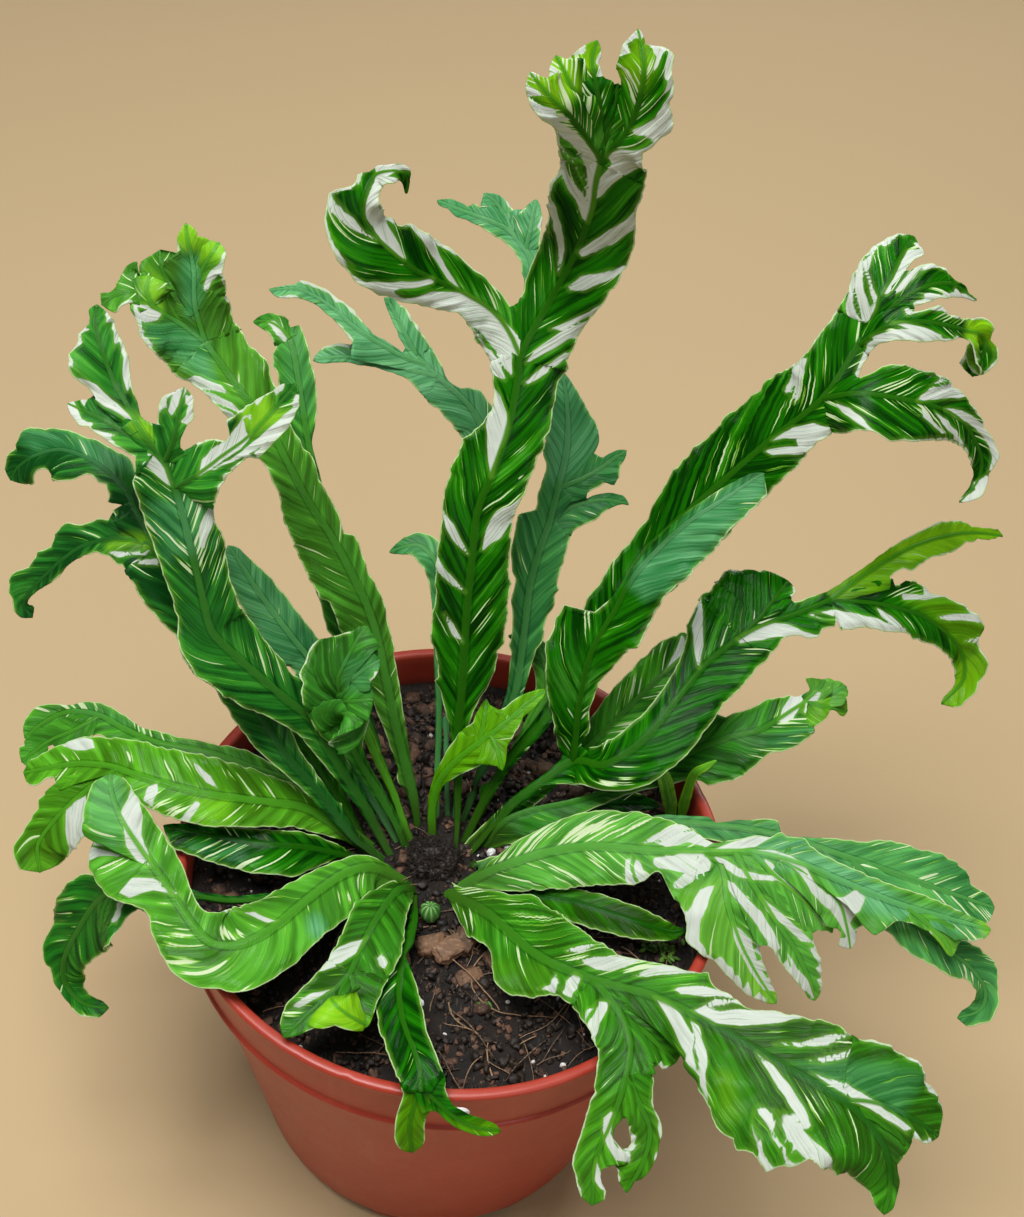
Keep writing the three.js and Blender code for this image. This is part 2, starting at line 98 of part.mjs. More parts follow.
    limbs: [
      [[3.96, -7.56, 132.6, 0.393, -0.883, -0.257, 1.64, 1.5], [11.15, -5.81, 137.68, 0.378, -0.889, -0.26, 2.51, 5.65], [18.89, -4.14, 141.9, 0.32, -0.907, -0.274, 4.99, 9.54], [27.01, -2.58, 145.4, 0.257, -0.924, -0.283, 7.52, 11.72], [35.23, -1.96, 148.93, 0.129, -0.946, -0.297, 9.82, 12.68], [43.51, -2.52, 152.35, 0, -0.951, -0.31, 11.74, 12.74], [51.97, -3.93, 155, -0.105, -0.942, -0.318, 12.84, 12.09], [60.47, -5.72, 157.25, -0.102, -0.943, -0.318, 11.85, 10.3], [69.14, -6.92, 159.25, -0.016, -0.95, -0.312, 10.13, 11.21], [77.94, -7.48, 160.96, 0.014, -0.951, -0.31, 6.2, 7.26], [86.77, -7.77, 162.55, 0.036, -0.951, -0.308, 3.2, 3.41], [95.63, -8.21, 163.88, -0.087, -0.943, -0.32, 5.09, 2.6], [104.31, -10.27, 164.79, -0.259, -0.908, -0.329, 8.02, 2.7], [112.8, -13.18, 164.95, -0.344, -0.879, -0.33, 6.02, 2.89], [121.13, -16.49, 164.45, -0.359, -0.873, -0.33, 5.19, 4.37], [129.6, -19.25, 163.35, -0.312, -0.891, -0.331, 5.1, 7.89], [138.16, -21.38, 161.68, -0.249, -0.911, -0.33, 5.2, 9.09], [146.86, -22.54, 159.81, -0.145, -0.934, -0.327, 5.33, 2.69], [155.59, -22.92, 157.71, -0.106, -0.939, -0.326, 4.18, 4.49], [164.16, -22.88, 155.06, -0.08, -0.941, -0.328, 2.64, 5.48], [170.71, -22.56, 152.67, -0.076, -0.942, -0.328, 1.61, 3.01], [172.59, -22.49, 152, -0.078, -0.942, -0.327, 0.3, 0.3]],
      [[78.79, -7.53, 161.13, -0.405, -0.839, -0.364, 2.53, 7.45], [84.49, -10.11, 160.46, -0.642, -0.69, -0.335, 3.54, 13.25], [86.78, -15.56, 158.84, -0.988, -0.078, -0.132, 5.23, 11.32], [87.33, -21.54, 156.84, -0.986, -0.111, -0.126, 6.51, 15.05], [89.02, -26.77, 153.79, -0.936, -0.307, -0.17, 7.43, 15.11], [91.53, -31.11, 149.93, -0.887, -0.42, -0.191, 7.28, 12.74], [94.59, -34.86, 145.86, -0.819, -0.532, -0.216, 4.86, 9.03], [98.08, -38.01, 141.62, -0.761, -0.607, -0.228, 3.35, 7.24], [101.88, -40.67, 137.33, -0.689, -0.681, -0.249, 2.29, 4.67], [104.6, -42.28, 134.37, -0.682, -0.688, -0.247, 1.57, 2.11], [105.84, -43.04, 133, -0.687, -0.683, -0.246, 0.3, 0.3]],
      [[89.69, -7.82, 163.03, -0.887, -0.374, -0.27, 2.12, 2.7], [92.6, -13.94, 161.89, -0.881, -0.399, -0.253, 4.71, 5.15], [96.15, -19.42, 159.75, -0.829, -0.503, -0.243, 5.44, 6.62], [100.09, -24.3, 156.92, -0.807, -0.538, -0.243, 6.62, 7.7], [104.25, -28.56, 153.49, -0.749, -0.612, -0.255, 7.55, 7.77], [108.58, -31.84, 149.28, -0.751, -0.611, -0.251, 7.77, 6.34], [112.34, -35.41, 144.76, -0.837, -0.502, -0.216, 6.24, 5.27], [115.54, -38.84, 139.73, -0.857, -0.474, -0.201, 4.27, 3.27], [117.47, -40.75, 135.68, -0.867, -0.461, -0.189, 2.45, 2.05], [118.25, -41.52, 134, -0.866, -0.461, -0.191, 0.3, 0.3]],
      [[95, -8.12, 163.81, -0.717, -0.619, -0.321, 2.12, 2.78], [99.28, -12.62, 162.84, -0.713, -0.63, -0.308, 3.82, 4.97], [103.99, -16.41, 161.24, -0.574, -0.759, -0.308, 4.82, 5.95], [109.15, -19.03, 158.77, -0.541, -0.783, -0.306, 5.55, 7.05], [114.05, -21.27, 155.55, -0.558, -0.774, -0.298, 6.48, 7.85], [118.56, -23.02, 151.54, -0.567, -0.771, -0.291, 5.06, 5.37], [121.38, -23.94, 148.44, -0.57, -0.769, -0.289, 2.43, 0.91], [122.69, -24.37, 147, -0.569, -0.77, -0.289, 0.3, 0.3]],
      [[103.81, -10.12, 164.75, -0.515, -0.789, -0.335, 5.97, 4.53], [109.39, -13.4, 164.02, -0.512, -0.794, -0.328, 2.48, 4.98], [114.94, -16.55, 162.86, -0.527, -0.788, -0.318, 3.29, 5.77], [120.13, -19.65, 160.52, -0.657, -0.693, -0.298, 4.72, 6.53], [124.01, -23.04, 156.66, -0.883, -0.425, -0.201, 7.4, 6.29], [126.28, -26.3, 151.52, -0.931, -0.319, -0.176, 4.77, 2.77], [127.57, -28.3, 147.7, -0.943, -0.29, -0.161, 2.13, 3.72], [128.14, -29.19, 146, -0.942, -0.292, -0.164, 0.3, 0.3]],
      [[143.32, -22.2, 160.58, -0.548, -0.806, -0.224, 2.62, 3.36], [149.49, -25.65, 158.15, -0.525, -0.798, -0.296, 3.25, 2.38], [155.33, -28.14, 154.2, -0.648, -0.697, -0.308, 5.05, 1.75], [158.59, -30.43, 150.44, -0.789, -0.557, -0.259, 2.62, 1.36], [159.68, -31.29, 149, -0.789, -0.554, -0.267, 0.3, 0.3]],
    ],
  },
  {
    name: "frond_front_right_large",
    limbs: [
      [[0.91, -11.8, 132.6, -0.554, -0.794, -0.25, 3.84, 1.9], [7.21, -17.21, 136.38, -0.548, -0.799, -0.248, 6.45, 6.26], [13.19, -23.07, 139.98, -0.666, -0.71, -0.231, 9.8, 9.24], [18.35, -29.82, 143.27, -0.749, -0.627, -0.213, 13.96, 8.25], [23.34, -36.78, 146.41, -0.727, -0.651, -0.218, 14.67, 11.46], [29.07, -43.19, 149.42, -0.59, -0.772, -0.236, 14.29, 14.21], [36.08, -48.35, 152.11, -0.45, -0.859, -0.246, 13.06, 9.32], [43.74, -52.64, 154.57, -0.387, -0.887, -0.251, 11.13, 6.42], [51.7, -56.28, 157.09, -0.283, -0.926, -0.249, 9.39, 3.75], [59.88, -59.52, 159.49, -0.345, -0.905, -0.25, 10.09, 6.28], [67.65, -63.78, 161.63, -0.456, -0.854, -0.249, 11.73, 8.28], [75.17, -68.59, 163.47, -0.492, -0.835, -0.247, 10.77, 12.03], [82.67, -73.6, 164.84, -0.526, -0.814, -0.245, 9.93, 17.15], [90.14, -78.76, 165.75, -0.525, -0.815, -0.244, 12.61, 22.34], [97.86, -83.59, 166.2, -0.486, -0.839, -0.244, 15.79, 25.89], [105.79, -88.1, 166.16, -0.484, -0.84, -0.244, 17.7, 26.13], [113.73, -92.5, 165.42, -0.498, -0.832, -0.246, 4.33, 19.47], [120.97, -97.2, 162.65, -0.689, -0.688, -0.228, 4.87, 17.44], [126.36, -102.44, 157.59, -0.882, -0.433, -0.187, 6.18, 14.05], [128.62, -107.78, 150.62, -0.994, 0.002, -0.113, 2.23, 8.88], [128.07, -112.55, 145.42, -0.957, 0.286, -0.049, 1.74, 3.17], [127.75, -113.92, 144, -0.956, 0.288, -0.059, 0.3, 0.3]],
      [[112.87, -92.04, 165.55, 0.01, -0.963, -0.268, 4.95, 2.37], [119.58, -91.93, 165.35, -0.015, -0.967, -0.256, 17.37, 3.67], [126.08, -92.12, 163.79, -0.154, -0.957, -0.244, 17.21, 5.69], [132.26, -92.79, 161.27, -0.277, -0.928, -0.25, 15.06, 7.45], [137.95, -93.9, 157.91, -0.333, -0.908, -0.255, 10.66, 4.51], [141.74, -94.52, 155.19, -0.334, -0.907, -0.256, 8.53, 2.43], [143.33, -94.77, 154, -0.335, -0.907, -0.256, 0.3, 0.3]],
      [[45.09, -53.35, 155, -0.733, -0.583, -0.35, 2.37, 4.8], [48.76, -58.44, 155.79, -0.766, -0.572, -0.293, 3.4, 9.95], [52.23, -63.71, 156.17, -0.839, -0.51, -0.19, 3.76, 10.27], [54.92, -69.37, 155.61, -0.945, -0.301, -0.128, 3.4, 10.34], [55.98, -75.32, 153.91, -0.998, 0.033, -0.049, 6.09, 9.5], [55.12, -81.25, 151.92, -0.976, 0.217, -0.006, 4.57, 8.47], [53.72, -86.82, 149.3, -0.96, 0.279, 0.006, 3.94, 7.64], [52, -91.62, 145.56, -0.936, 0.352, 0.022, 2.92, 7.42], [49.94, -96.31, 141.86, -0.909, 0.414, 0.043, 4.5, 6.75], [47.99, -101.09, 138.23, -0.973, 0.232, -0.002, 5.68, 6.3], [47.53, -106.23, 134.6, -0.999, 0.034, -0.042, 2.45, 4.77], [47.57, -109.79, 132.14, -0.999, 0.029, -0.039, 3.3, 3.3], [47.54, -111.43, 131, -0.999, 0.038, -0.037, 0.3, 0.3]],
      [[55.02, -81.68, 151.75, -0.879, -0.421, -0.226, 3.59, 2.12], [57.87, -86.37, 149.39, -0.879, -0.433, -0.201, 5.81, 3.9], [60.8, -90.62, 146.44, -0.845, -0.503, -0.178, 3.35, 5.52], [62.9, -94.68, 142.72, -0.998, -0.04, -0.054, 3.18, 5.61], [61.97, -99.65, 139.6, -0.948, 0.319, 0.006, 2.81, 5.97], [59.92, -103.93, 136.02, -0.845, 0.531, 0.056, 1.45, 7.21], [58.1, -106.23, 133.35, -0.814, 0.578, 0.059, 0.53, 4.15], [57.19, -107.4, 132, -0.82, 0.57, 0.054, 0.3, 0.3]],
      [[52.44, -64.06, 156.18, -0.594, -0.787, -0.167, 4.12, 2.7], [58.4, -68.25, 155.1, -0.563, -0.8, -0.208, 6.91, 3.8], [64.32, -72.12, 153.04, -0.599, -0.771, -0.215, 9.16, 6.67], [68.52, -74.65, 150.86, -0.577, -0.787, -0.216, 11.68, 4.66], [70.08, -75.57, 150, -0.578, -0.787, -0.215, 0.3, 0.3]],
    ],
  },
  {
    name: "leaf_front_right_small",
    limbs: [
      [[7.87, -11.96, 132.6, 0.142, -0.963, -0.23, 1.02, 1.02], [16.53, -11.45, 135.19, 0.035, -0.971, -0.235, 1.27, 1.33], [25.18, -12.76, 137.52, -0.139, -0.961, -0.241, 2.63, 3.44], [33.69, -14.7, 139.93, -0.181, -0.954, -0.239, 3.63, 5.26], [41.98, -17.56, 142.16, -0.338, -0.909, -0.243, 4.49, 6.49], [50.3, -20.88, 143.46, -0.318, -0.918, -0.238, 5, 6.72], [58.85, -23.82, 144, -0.265, -0.934, -0.238, 4.94, 6.03], [67.65, -25.45, 142.82, -0.138, -0.963, -0.233, 3.66, 4], [74.39, -24.77, 141.38, 0.352, -0.909, -0.221, 1.47, 1.47], [76.1, -23.81, 141, 0.448, -0.872, -0.197, 0.3, 0.3]],
    ],
  },
  {
    name: "frond_right_behind_low",
    limbs: [
      [[14.42, -3.39, 132.6, 0.337, -0.9, -0.276, 6.96, 0.38], [22.95, -0.96, 134.87, 0.34, -0.899, -0.276, 6.16, 0.38], [31.27, 1.82, 137.48, 0.429, -0.865, -0.259, 4.97, 0.38], [39.21, 5.2, 140.53, 0.462, -0.851, -0.252, 3.77, 0.7], [47.28, 8.29, 143.53, 0.371, -0.888, -0.271, 2.89, 2.34], [55.83, 10.44, 145.98, 0.257, -0.922, -0.291, 2.38, 3.74], [64.65, 11.67, 148.1, 0.142, -0.942, -0.305, 2.71, 4.34], [73.49, 11.54, 150.4, -0.011, -0.947, -0.32, 2.67, 4.69], [82.22, 10.12, 152.76, -0.102, -0.94, -0.327, 2.36, 5.18], [91, 8.38, 154.68, -0.128, -0.936, -0.328, 1.98, 5.89], [99.83, 6.42, 156.09, -0.185, -0.925, -0.332, 3.94, 6.3], [108.52, 3.84, 157.29, -0.277, -0.9, -0.336, 1.07, 7.77], [116.9, 0.36, 158.49, -0.339, -0.878, -0.337, 2.77, 8.9], [125.43, -2.89, 158.97, -0.274, -0.901, -0.337, 5.31, 7.74], [134.29, -4.7, 157.7, -0.21, -0.917, -0.339, 7.88, 3.74], [143.13, -6.02, 155.71, -0.227, -0.913, -0.338, 10.29, 6.51], [151.95, -7.53, 153.75, -0.224, -0.914, -0.339, 11.14, 8.52], [160.74, -8.63, 151.45, -0.179, -0.924, -0.339, 11.6, 10.17], [169.47, -9.17, 148.77, -0.152, -0.928, -0.339, 5.89, 8.47], [176.28, -9.5, 146.6, -0.155, -0.928, -0.338, 2.9, 5.15], [178.19, -9.6, 146, -0.157, -0.928, -0.338, 0.3, 0.3]],
      [[128.2, -3.59, 158.75, -0.743, -0.626, -0.237, 2.2, 4.37], [132.51, -8.17, 157.11, -0.748, -0.611, -0.259, 3.86, 7.87], [136.95, -12.56, 155.32, -0.702, -0.645, -0.301, 5.91, 5.04], [141.75, -16.43, 153.26, -0.651, -0.692, -0.311, 7.51, 6.06], [146.77, -19.92, 151.07, -0.607, -0.73, -0.315, 8.78, 7.97], [152.04, -22.87, 148.68, -0.521, -0.79, -0.324, 7.48, 8.49], [157.54, -25.1, 146.04, -0.47, -0.82, -0.326, 7.2, 7.7], [162.98, -26.9, 142.99, -0.436, -0.836, -0.332, 6.93, 7.03], [168.23, -28.41, 139.48, -0.525, -0.789, -0.321, 7.06, 4.72], [172.82, -30.3, 135.29, -0.678, -0.666, -0.311, 7.35, 3.25], [175.63, -33.01, 130.26, -0.99, 0.015, -0.139, 4.19, 3.04], [173.84, -35.95, 125.04, -0.446, 0.879, 0.167, 4.04, 2.89], [170.36, -36.14, 122.22, -0.173, 0.961, 0.216, 3.25, 1.85], [168.78, -36.19, 121, -0.185, 0.961, 0.205, 0.3, 0.3]],
    ],
  },
  {
    name: "frond_left_back_low",
    limbs: [
      [[-29.53, 7.27, 132.6, 0.453, 0.856, 0.249, 1.26, 1.29], [-36.87, 9.92, 136.89, 0.491, 0.836, 0.244, 1.39, 1.69], [-43.66, 13.71, 141.19, 0.604, 0.769, 0.209, 1.9, 2.21], [-50.88, 17.01, 145.18, 0.419, 0.87, 0.261, 3.61, 2.24], [-58.96, 19.05, 148.27, 0.251, 0.921, 0.297, 5.18, 3.03], [-67.51, 20.32, 150.38, 0.209, 0.929, 0.305, 6.17, 4.23], [-76.1, 21.92, 152.09, 0.247, 0.921, 0.302, 6.62, 4.58], [-84.75, 23.57, 153.4, 0.17, 0.934, 0.315, 6.8, 3.18], [-93.59, 24.14, 154.21, 0.056, 0.943, 0.329, 6.47, 3.25], [-102.36, 25.4, 154.5, 0.27, 0.913, 0.306, 6.05, 3.69], [-110.58, 28.78, 154.18, 0.404, 0.87, 0.282, 6.2, 3.05], [-118.3, 33.16, 153.62, 0.512, 0.817, 0.264, 6.17, 4.01], [-126.17, 37.11, 152.62, 0.245, 0.915, 0.32, 3.22, 4.01], [-134.74, 38.55, 150.95, -0.14, 0.92, 0.365, 5.5, 2.8], [-142.63, 35.91, 148.09, -0.573, 0.746, 0.34, 5.59, 5.64], [-147.69, 32.45, 144.95, -0.705, 0.639, 0.309, 4.41, 3.37], [-149.09, 31.38, 144, -0.701, 0.64, 0.313, 0.3, 0.3]],
      [[-123.6, 36.16, 152.99, -0.54, 0.837, 0.086, 3.12, 2.2], [-128.58, 33.11, 151.11, -0.543, 0.82, 0.182, 5.95, 4.29], [-133.83, 30.82, 148.97, -0.396, 0.852, 0.342, 7.37, 5.62], [-139.24, 29.26, 146.54, -0.491, 0.799, 0.346, 3.27, 5.53], [-143.99, 26.51, 143.82, -0.674, 0.67, 0.311, 7.36, 4.8], [-146.94, 24.33, 141.92, -0.682, 0.661, 0.313, 7.06, 4.65], [-148.39, 23.3, 141, -0.675, 0.667, 0.315, 0.3, 0.3]],
    ],
  },
  {
    name: "frond_left_mid",
    limbs: [
      [[-30.51, 3.85, 132.6, 0.507, 0.833, 0.223, 0.78, 1.97], [-36.96, 6.04, 138.41, 0.444, 0.864, 0.238, 2.66, 1.99], [-43.87, 7.38, 143.92, 0.29, 0.918, 0.269, 5.7, 2.58], [-51.28, 7.31, 148.87, 0.021, 0.95, 0.31, 7.26, 5.4], [-58.94, 5.03, 152.88, -0.143, 0.935, 0.326, 8.25, 8.81], [-66.94, 2.89, 156.27, -0.111, 0.94, 0.322, 9.41, 10.7], [-75.12, 1.01, 159.36, -0.056, 0.946, 0.32, 10.26, 11.72], [-83.73, 0.43, 161.59, 0.1, 0.946, 0.308, 10.1, 12.16], [-92.54, 1.54, 162.63, 0.191, 0.934, 0.301, 9.5, 12.04], [-101.26, 3.47, 163.01, 0.268, 0.918, 0.293, 9.04, 11.66], [-109.57, 6.68, 162.4, 0.308, 0.903, 0.298, 4.99, 10.52], [-117.98, 9.14, 160.63, 0.121, 0.936, 0.329, 4.9, 9.76], [-126.4, 10.45, 157.92, -0.059, 0.937, 0.345, 7.62, 8.52], [-134.7, 10.72, 154.6, -0.12, 0.928, 0.352, 4.12, 5.97], [-141.06, 10.88, 151.81, -0.137, 0.926, 0.351, 3.96, 3.08], [-142.89, 10.92, 151, -0.136, 0.926, 0.352, 0.3, 0.3]],
      [[-110.24, 6.93, 162.29, -0.476, 0.874, 0.098, 3.37, 2.12], [-115.29, 4.55, 158.75, -0.539, 0.822, 0.186, 10.7, 4.42], [-120.22, 1.86, 155.27, -0.631, 0.718, 0.292, 10.4, 6.67], [-124.9, -0.98, 151.57, -0.675, 0.678, 0.291, 11.16, 8.49], [-129.13, -3.82, 147.36, -0.756, 0.599, 0.264, 11.63, 7.98], [-132.88, -7.08, 143, -0.843, 0.476, 0.25, 10.8, 6.23], [-134.67, -10.9, 138.08, -0.988, -0.146, 0.053, 10.18, 7.01], [-133.84, -13.72, 134.54, -0.943, -0.334, 0.017, 7.59, 5.89], [-133.47, -14.95, 133, -0.948, -0.317, 0.03, 0.3, 0.3]],
    ],
  },
  {
    name: "leaf_left_under",
    limbs: [
      [[-30.31, -1.05, 132.6, -0.013, 0.972, 0.235, 0.3, 1.19], [-37.15, -2.39, 137.48, -0.045, 0.97, 0.24, 1.26, 2.93], [-44.43, -3.9, 141.62, -0.087, 0.966, 0.242, 6.16, 4.44], [-52.05, -5.82, 144.88, -0.171, 0.953, 0.252, 10.24, 5], [-60.05, -7.47, 147.13, -0.025, 0.969, 0.245, 10.19, 4.88], [-68.53, -7.02, 147.39, 0.083, 0.967, 0.241, 9.51, 4.18], [-76.95, -6.69, 148.5, 0.069, 0.969, 0.239, 8.73, 3.51], [-85.36, -6.19, 149.59, 0.117, 0.964, 0.239, 7.32, 2.52], [-91.8, -5.26, 149.54, 0.142, 0.961, 0.239, 3.19, 1.01], [-93.78, -4.96, 149.5, 0.14, 0.961, 0.239, 0.3, 0.3]],
    ],
  },
  {
    name: "frond_left_scurve",
    limbs: [
      [[-17.42, -6.47, 132.8, 0.19, 0.942, 0.278, 1.91, 1.54], [-24.5, -7.3, 137.92, -0.066, 0.954, 0.293, 7.65, 3.35], [-31.02, -11.21, 142.12, -0.533, 0.791, 0.3, 10.55, 4.8], [-36.31, -17.33, 145.52, -0.732, 0.627, 0.265, 12.07, 5.56], [-40.8, -24.3, 148.44, -0.773, 0.586, 0.243, 12.54, 6.92], [-45.34, -31.47, 150.72, -0.795, 0.561, 0.233, 12.14, 8.36], [-49.8, -38.82, 152.58, -0.79, 0.567, 0.235, 12.21, 9.67], [-55.29, -45.54, 153.82, -0.647, 0.716, 0.26, 13.2, 10.61], [-62.66, -50.15, 154.02, -0.288, 0.915, 0.284, 13.99, 11], [-71.07, -50.19, 155.51, 0.437, 0.875, 0.209, 13.17, 10.56], [-77.62, -45.05, 158.17, 0.742, 0.659, 0.124, 11.58, 5.36], [-83.26, -38.99, 161.13, 0.756, 0.644, 0.116, 9.74, 5.65], [-88.87, -33.18, 164.61, 0.729, 0.672, 0.128, 11.39, 7.37], [-94.77, -27.56, 167.91, 0.727, 0.675, 0.127, 3.88, 7.96], [-100.41, -21.91, 171.58, 0.786, 0.61, 0.102, 9.46, 7.83], [-105.03, -15.03, 174.48, 0.891, 0.452, 0.04, 8.92, 6.42], [-107.21, -8.94, 176.45, 0.968, 0.249, -0.036, 4.22, 3.8], [-107.66, -7.07, 177, 0.968, 0.246, -0.039, 0.3, 0.3]],
      [[-91.61, -30.58, 166.12, 0.228, 0.921, 0.315, 4.37, 2.28], [-98.48, -28.47, 165.03, 0.257, 0.924, 0.284, 13.32, 4.98], [-104.98, -25.79, 163.2, 0.312, 0.909, 0.278, 9.4, 8.93], [-109.59, -23.8, 161.63, 0.289, 0.915, 0.282, 5.46, 11.68], [-111.34, -23.05, 161, 0.289, 0.915, 0.283, 0.3, 0.3]],
    ],
  },
  {
    name: "frond_left_hanging",
    limbs: [
      [[-26.5, -5.48, 132.5, -0.5, 0.836, 0.226, 0.61, 1.01], [-34.21, -10.4, 133.37, -0.493, 0.84, 0.228, 0.61, 1.54], [-42.21, -14.8, 134.41, -0.395, 0.889, 0.233, 0.61, 1.84], [-50.52, -18.52, 135.63, -0.357, 0.904, 0.236, 0.61, 1.83], [-58.55, -22.34, 137.91, -0.364, 0.9, 0.239, 0.61, 1.91], [-66.18, -26.15, 141.33, -0.307, 0.921, 0.239, 0.61, 1.83], [-73.6, -29.21, 145.79, -0.172, 0.957, 0.232, 0.61, 1.84], [-81.84, -30.72, 149.34, 0.008, 0.974, 0.224, 3, 2.55], [-90.9, -30.58, 150.82, 0.091, 0.97, 0.226, 6.83, 4.53], [-99.67, -29.25, 149.11, 0.079, 0.965, 0.25, 15.26, 6.24], [-106.76, -28, 143.52, -0.162, 0.954, 0.253, 17.84, 7.03], [-112.16, -27.86, 136.11, -0.491, 0.845, 0.213, 14.9, 10.9], [-116.55, -29.7, 128.27, -0.715, 0.679, 0.167, 12.19, 12.77], [-120.39, -31.85, 120.2, -0.73, 0.662, 0.172, 9.21, 10.7], [-123.58, -33.88, 111.84, -0.942, 0.296, 0.16, 7.36, 7.33], [-123.92, -36.71, 103.22, -0.851, -0.525, -0.026, 6.52, 2.83], [-118.67, -39.89, 96.67, -0.355, -0.925, -0.136, 3.56, 3.51], [-112, -40.04, 94.39, 0.049, -0.978, -0.205, 1.91, 3.06], [-110.05, -39.87, 94, 0.044, -0.978, -0.202, 0.3, 0.3]],
    ],
  },
  {
    name: "frond_front_left",
    limbs: [
      [[-13.44, -10.23, 133, -0.605, 0.736, 0.305, 2.74, 2], [-16.94, -15.9, 138.91, -0.792, 0.556, 0.251, 5.8, 3.8], [-19.4, -23.29, 143.24, -0.924, 0.346, 0.164, 7.1, 6.27], [-21.59, -31.12, 146.94, -0.935, 0.324, 0.148, 9.01, 8.11], [-23.72, -39.23, 149.97, -0.952, 0.277, 0.128, 11.33, 7.59], [-25.77, -47.72, 151.81, -0.962, 0.249, 0.114, 11.61, 7.29], [-27.44, -54.41, 152.41, -0.962, 0.25, 0.111, 6.26, 6.66], [-27.94, -56.34, 152.5, -0.962, 0.25, 0.11, 1.95, 1.95]],
      [[-27.68, -55.32, 152.45, -0.84, 0.534, 0.091, 2.12, 5.34], [-31.43, -60.95, 151.98, -0.802, 0.582, 0.132, 5.11, 7.35], [-35.66, -66.24, 151.54, -0.764, 0.615, 0.196, 7.44, 6.92], [-40.1, -71.17, 150.16, -0.746, 0.636, 0.199, 3.84, 6.31], [-43.32, -74.38, 148.68, -0.731, 0.652, 0.2, 1.68, 4.13], [-44.67, -75.69, 148, -0.731, 0.653, 0.2, 0.3, 0.3]],
      [[-27.68, -55.32, 152.45, -0.948, -0.297, 0.118, 4.7, 2.12], [-25.92, -60.88, 151.99, -0.936, -0.352, 0.007, 9.87, 4.54], [-23.58, -66.13, 151.01, -0.911, -0.403, -0.084, 5.5, 6.61], [-22.03, -69.41, 149.73, -0.914, -0.399, -0.08, 2.65, 3.25], [-21.23, -71.09, 149, -0.914, -0.399, -0.08, 0.58, 2.75]],
      [[-21.54, -70.46, 149.28, 0.185, 0.92, 0.347, 2.16, 2.28], [-24.74, -71.24, 153.45, 0.293, 0.903, 0.315, 3.45, 5.58], [-28.77, -70.45, 156.74, 0.537, 0.81, 0.236, 6.27, 8.37], [-31.18, -68.45, 157.43, 0.77, 0.619, 0.156, 8.32, 8.57], [-32.27, -66.83, 157, 0.801, 0.581, 0.144, 0.3, 0.3]],
    ],
  },
  {
    name: "frond_front_rim",
    limbs: [
      [[-10.7, -15.21, 132.6, -0.999, -0.054, -0.007, 0.42, 1.71], [-10.28, -22.99, 137.21, -1, -0.021, 0.01, 0.69, 1.73], [-10.63, -31.13, 141.1, -0.991, 0.12, 0.057, 1.07, 1.61], [-11.64, -39.59, 144.12, -0.985, 0.157, 0.069, 1.04, 1.58], [-12.81, -48.46, 145.28, -0.998, 0.053, 0.038, 2.74, 2.76], [-12.76, -57.32, 147.11, -0.998, -0.067, -0.011, 5.43, 6.08], [-11.25, -65.96, 149.26, -0.967, -0.249, -0.063, 6.21, 7.15], [-8.59, -74.37, 151.2, -0.911, -0.4, -0.1, 5.6, 7.17], [-5.19, -82.65, 152.47, -0.937, -0.341, -0.081, 5.56, 7.14], [-3.67, -89.38, 151.57, -0.994, -0.107, -0.022, 3.74, 5.32], [-3.47, -91.29, 151, -0.995, -0.099, -0.02, 2.7, 3.2]],
      [[-3.66, -89.43, 151.56, -0.962, 0.26, 0.083, 2.37, 3.7], [-5.26, -93.84, 145.63, -0.972, 0.223, 0.074, 4.32, 3.89], [-5.71, -97.31, 138.97, -0.989, -0.144, -0.033, 4.07, 4.26], [-4.97, -99.36, 133.84, -0.967, -0.252, -0.046, 3.34, 3.13], [-4.71, -100.09, 132, -0.969, -0.245, -0.042, 0.3, 0.3]],
      [[-3.63, -89.72, 151.47, -0.597, -0.773, -0.214, 3.45, 2.28], [1.68, -92.75, 147.73, -0.583, -0.787, -0.201, 3.82, 2.76], [7.51, -95.49, 144.62, -0.383, -0.901, -0.205, 2.57, 2.08], [13.68, -96, 141.05, -0.007, -0.971, -0.238, 2.75, 1.85], [18.3, -95.12, 138.85, 0.088, -0.969, -0.232, 1.8, 1.34], [20.08, -94.77, 138, 0.079, -0.97, -0.23, 0.3, 0.3]],
    ],
  },
  {
    name: "frond_upper_left_tall",
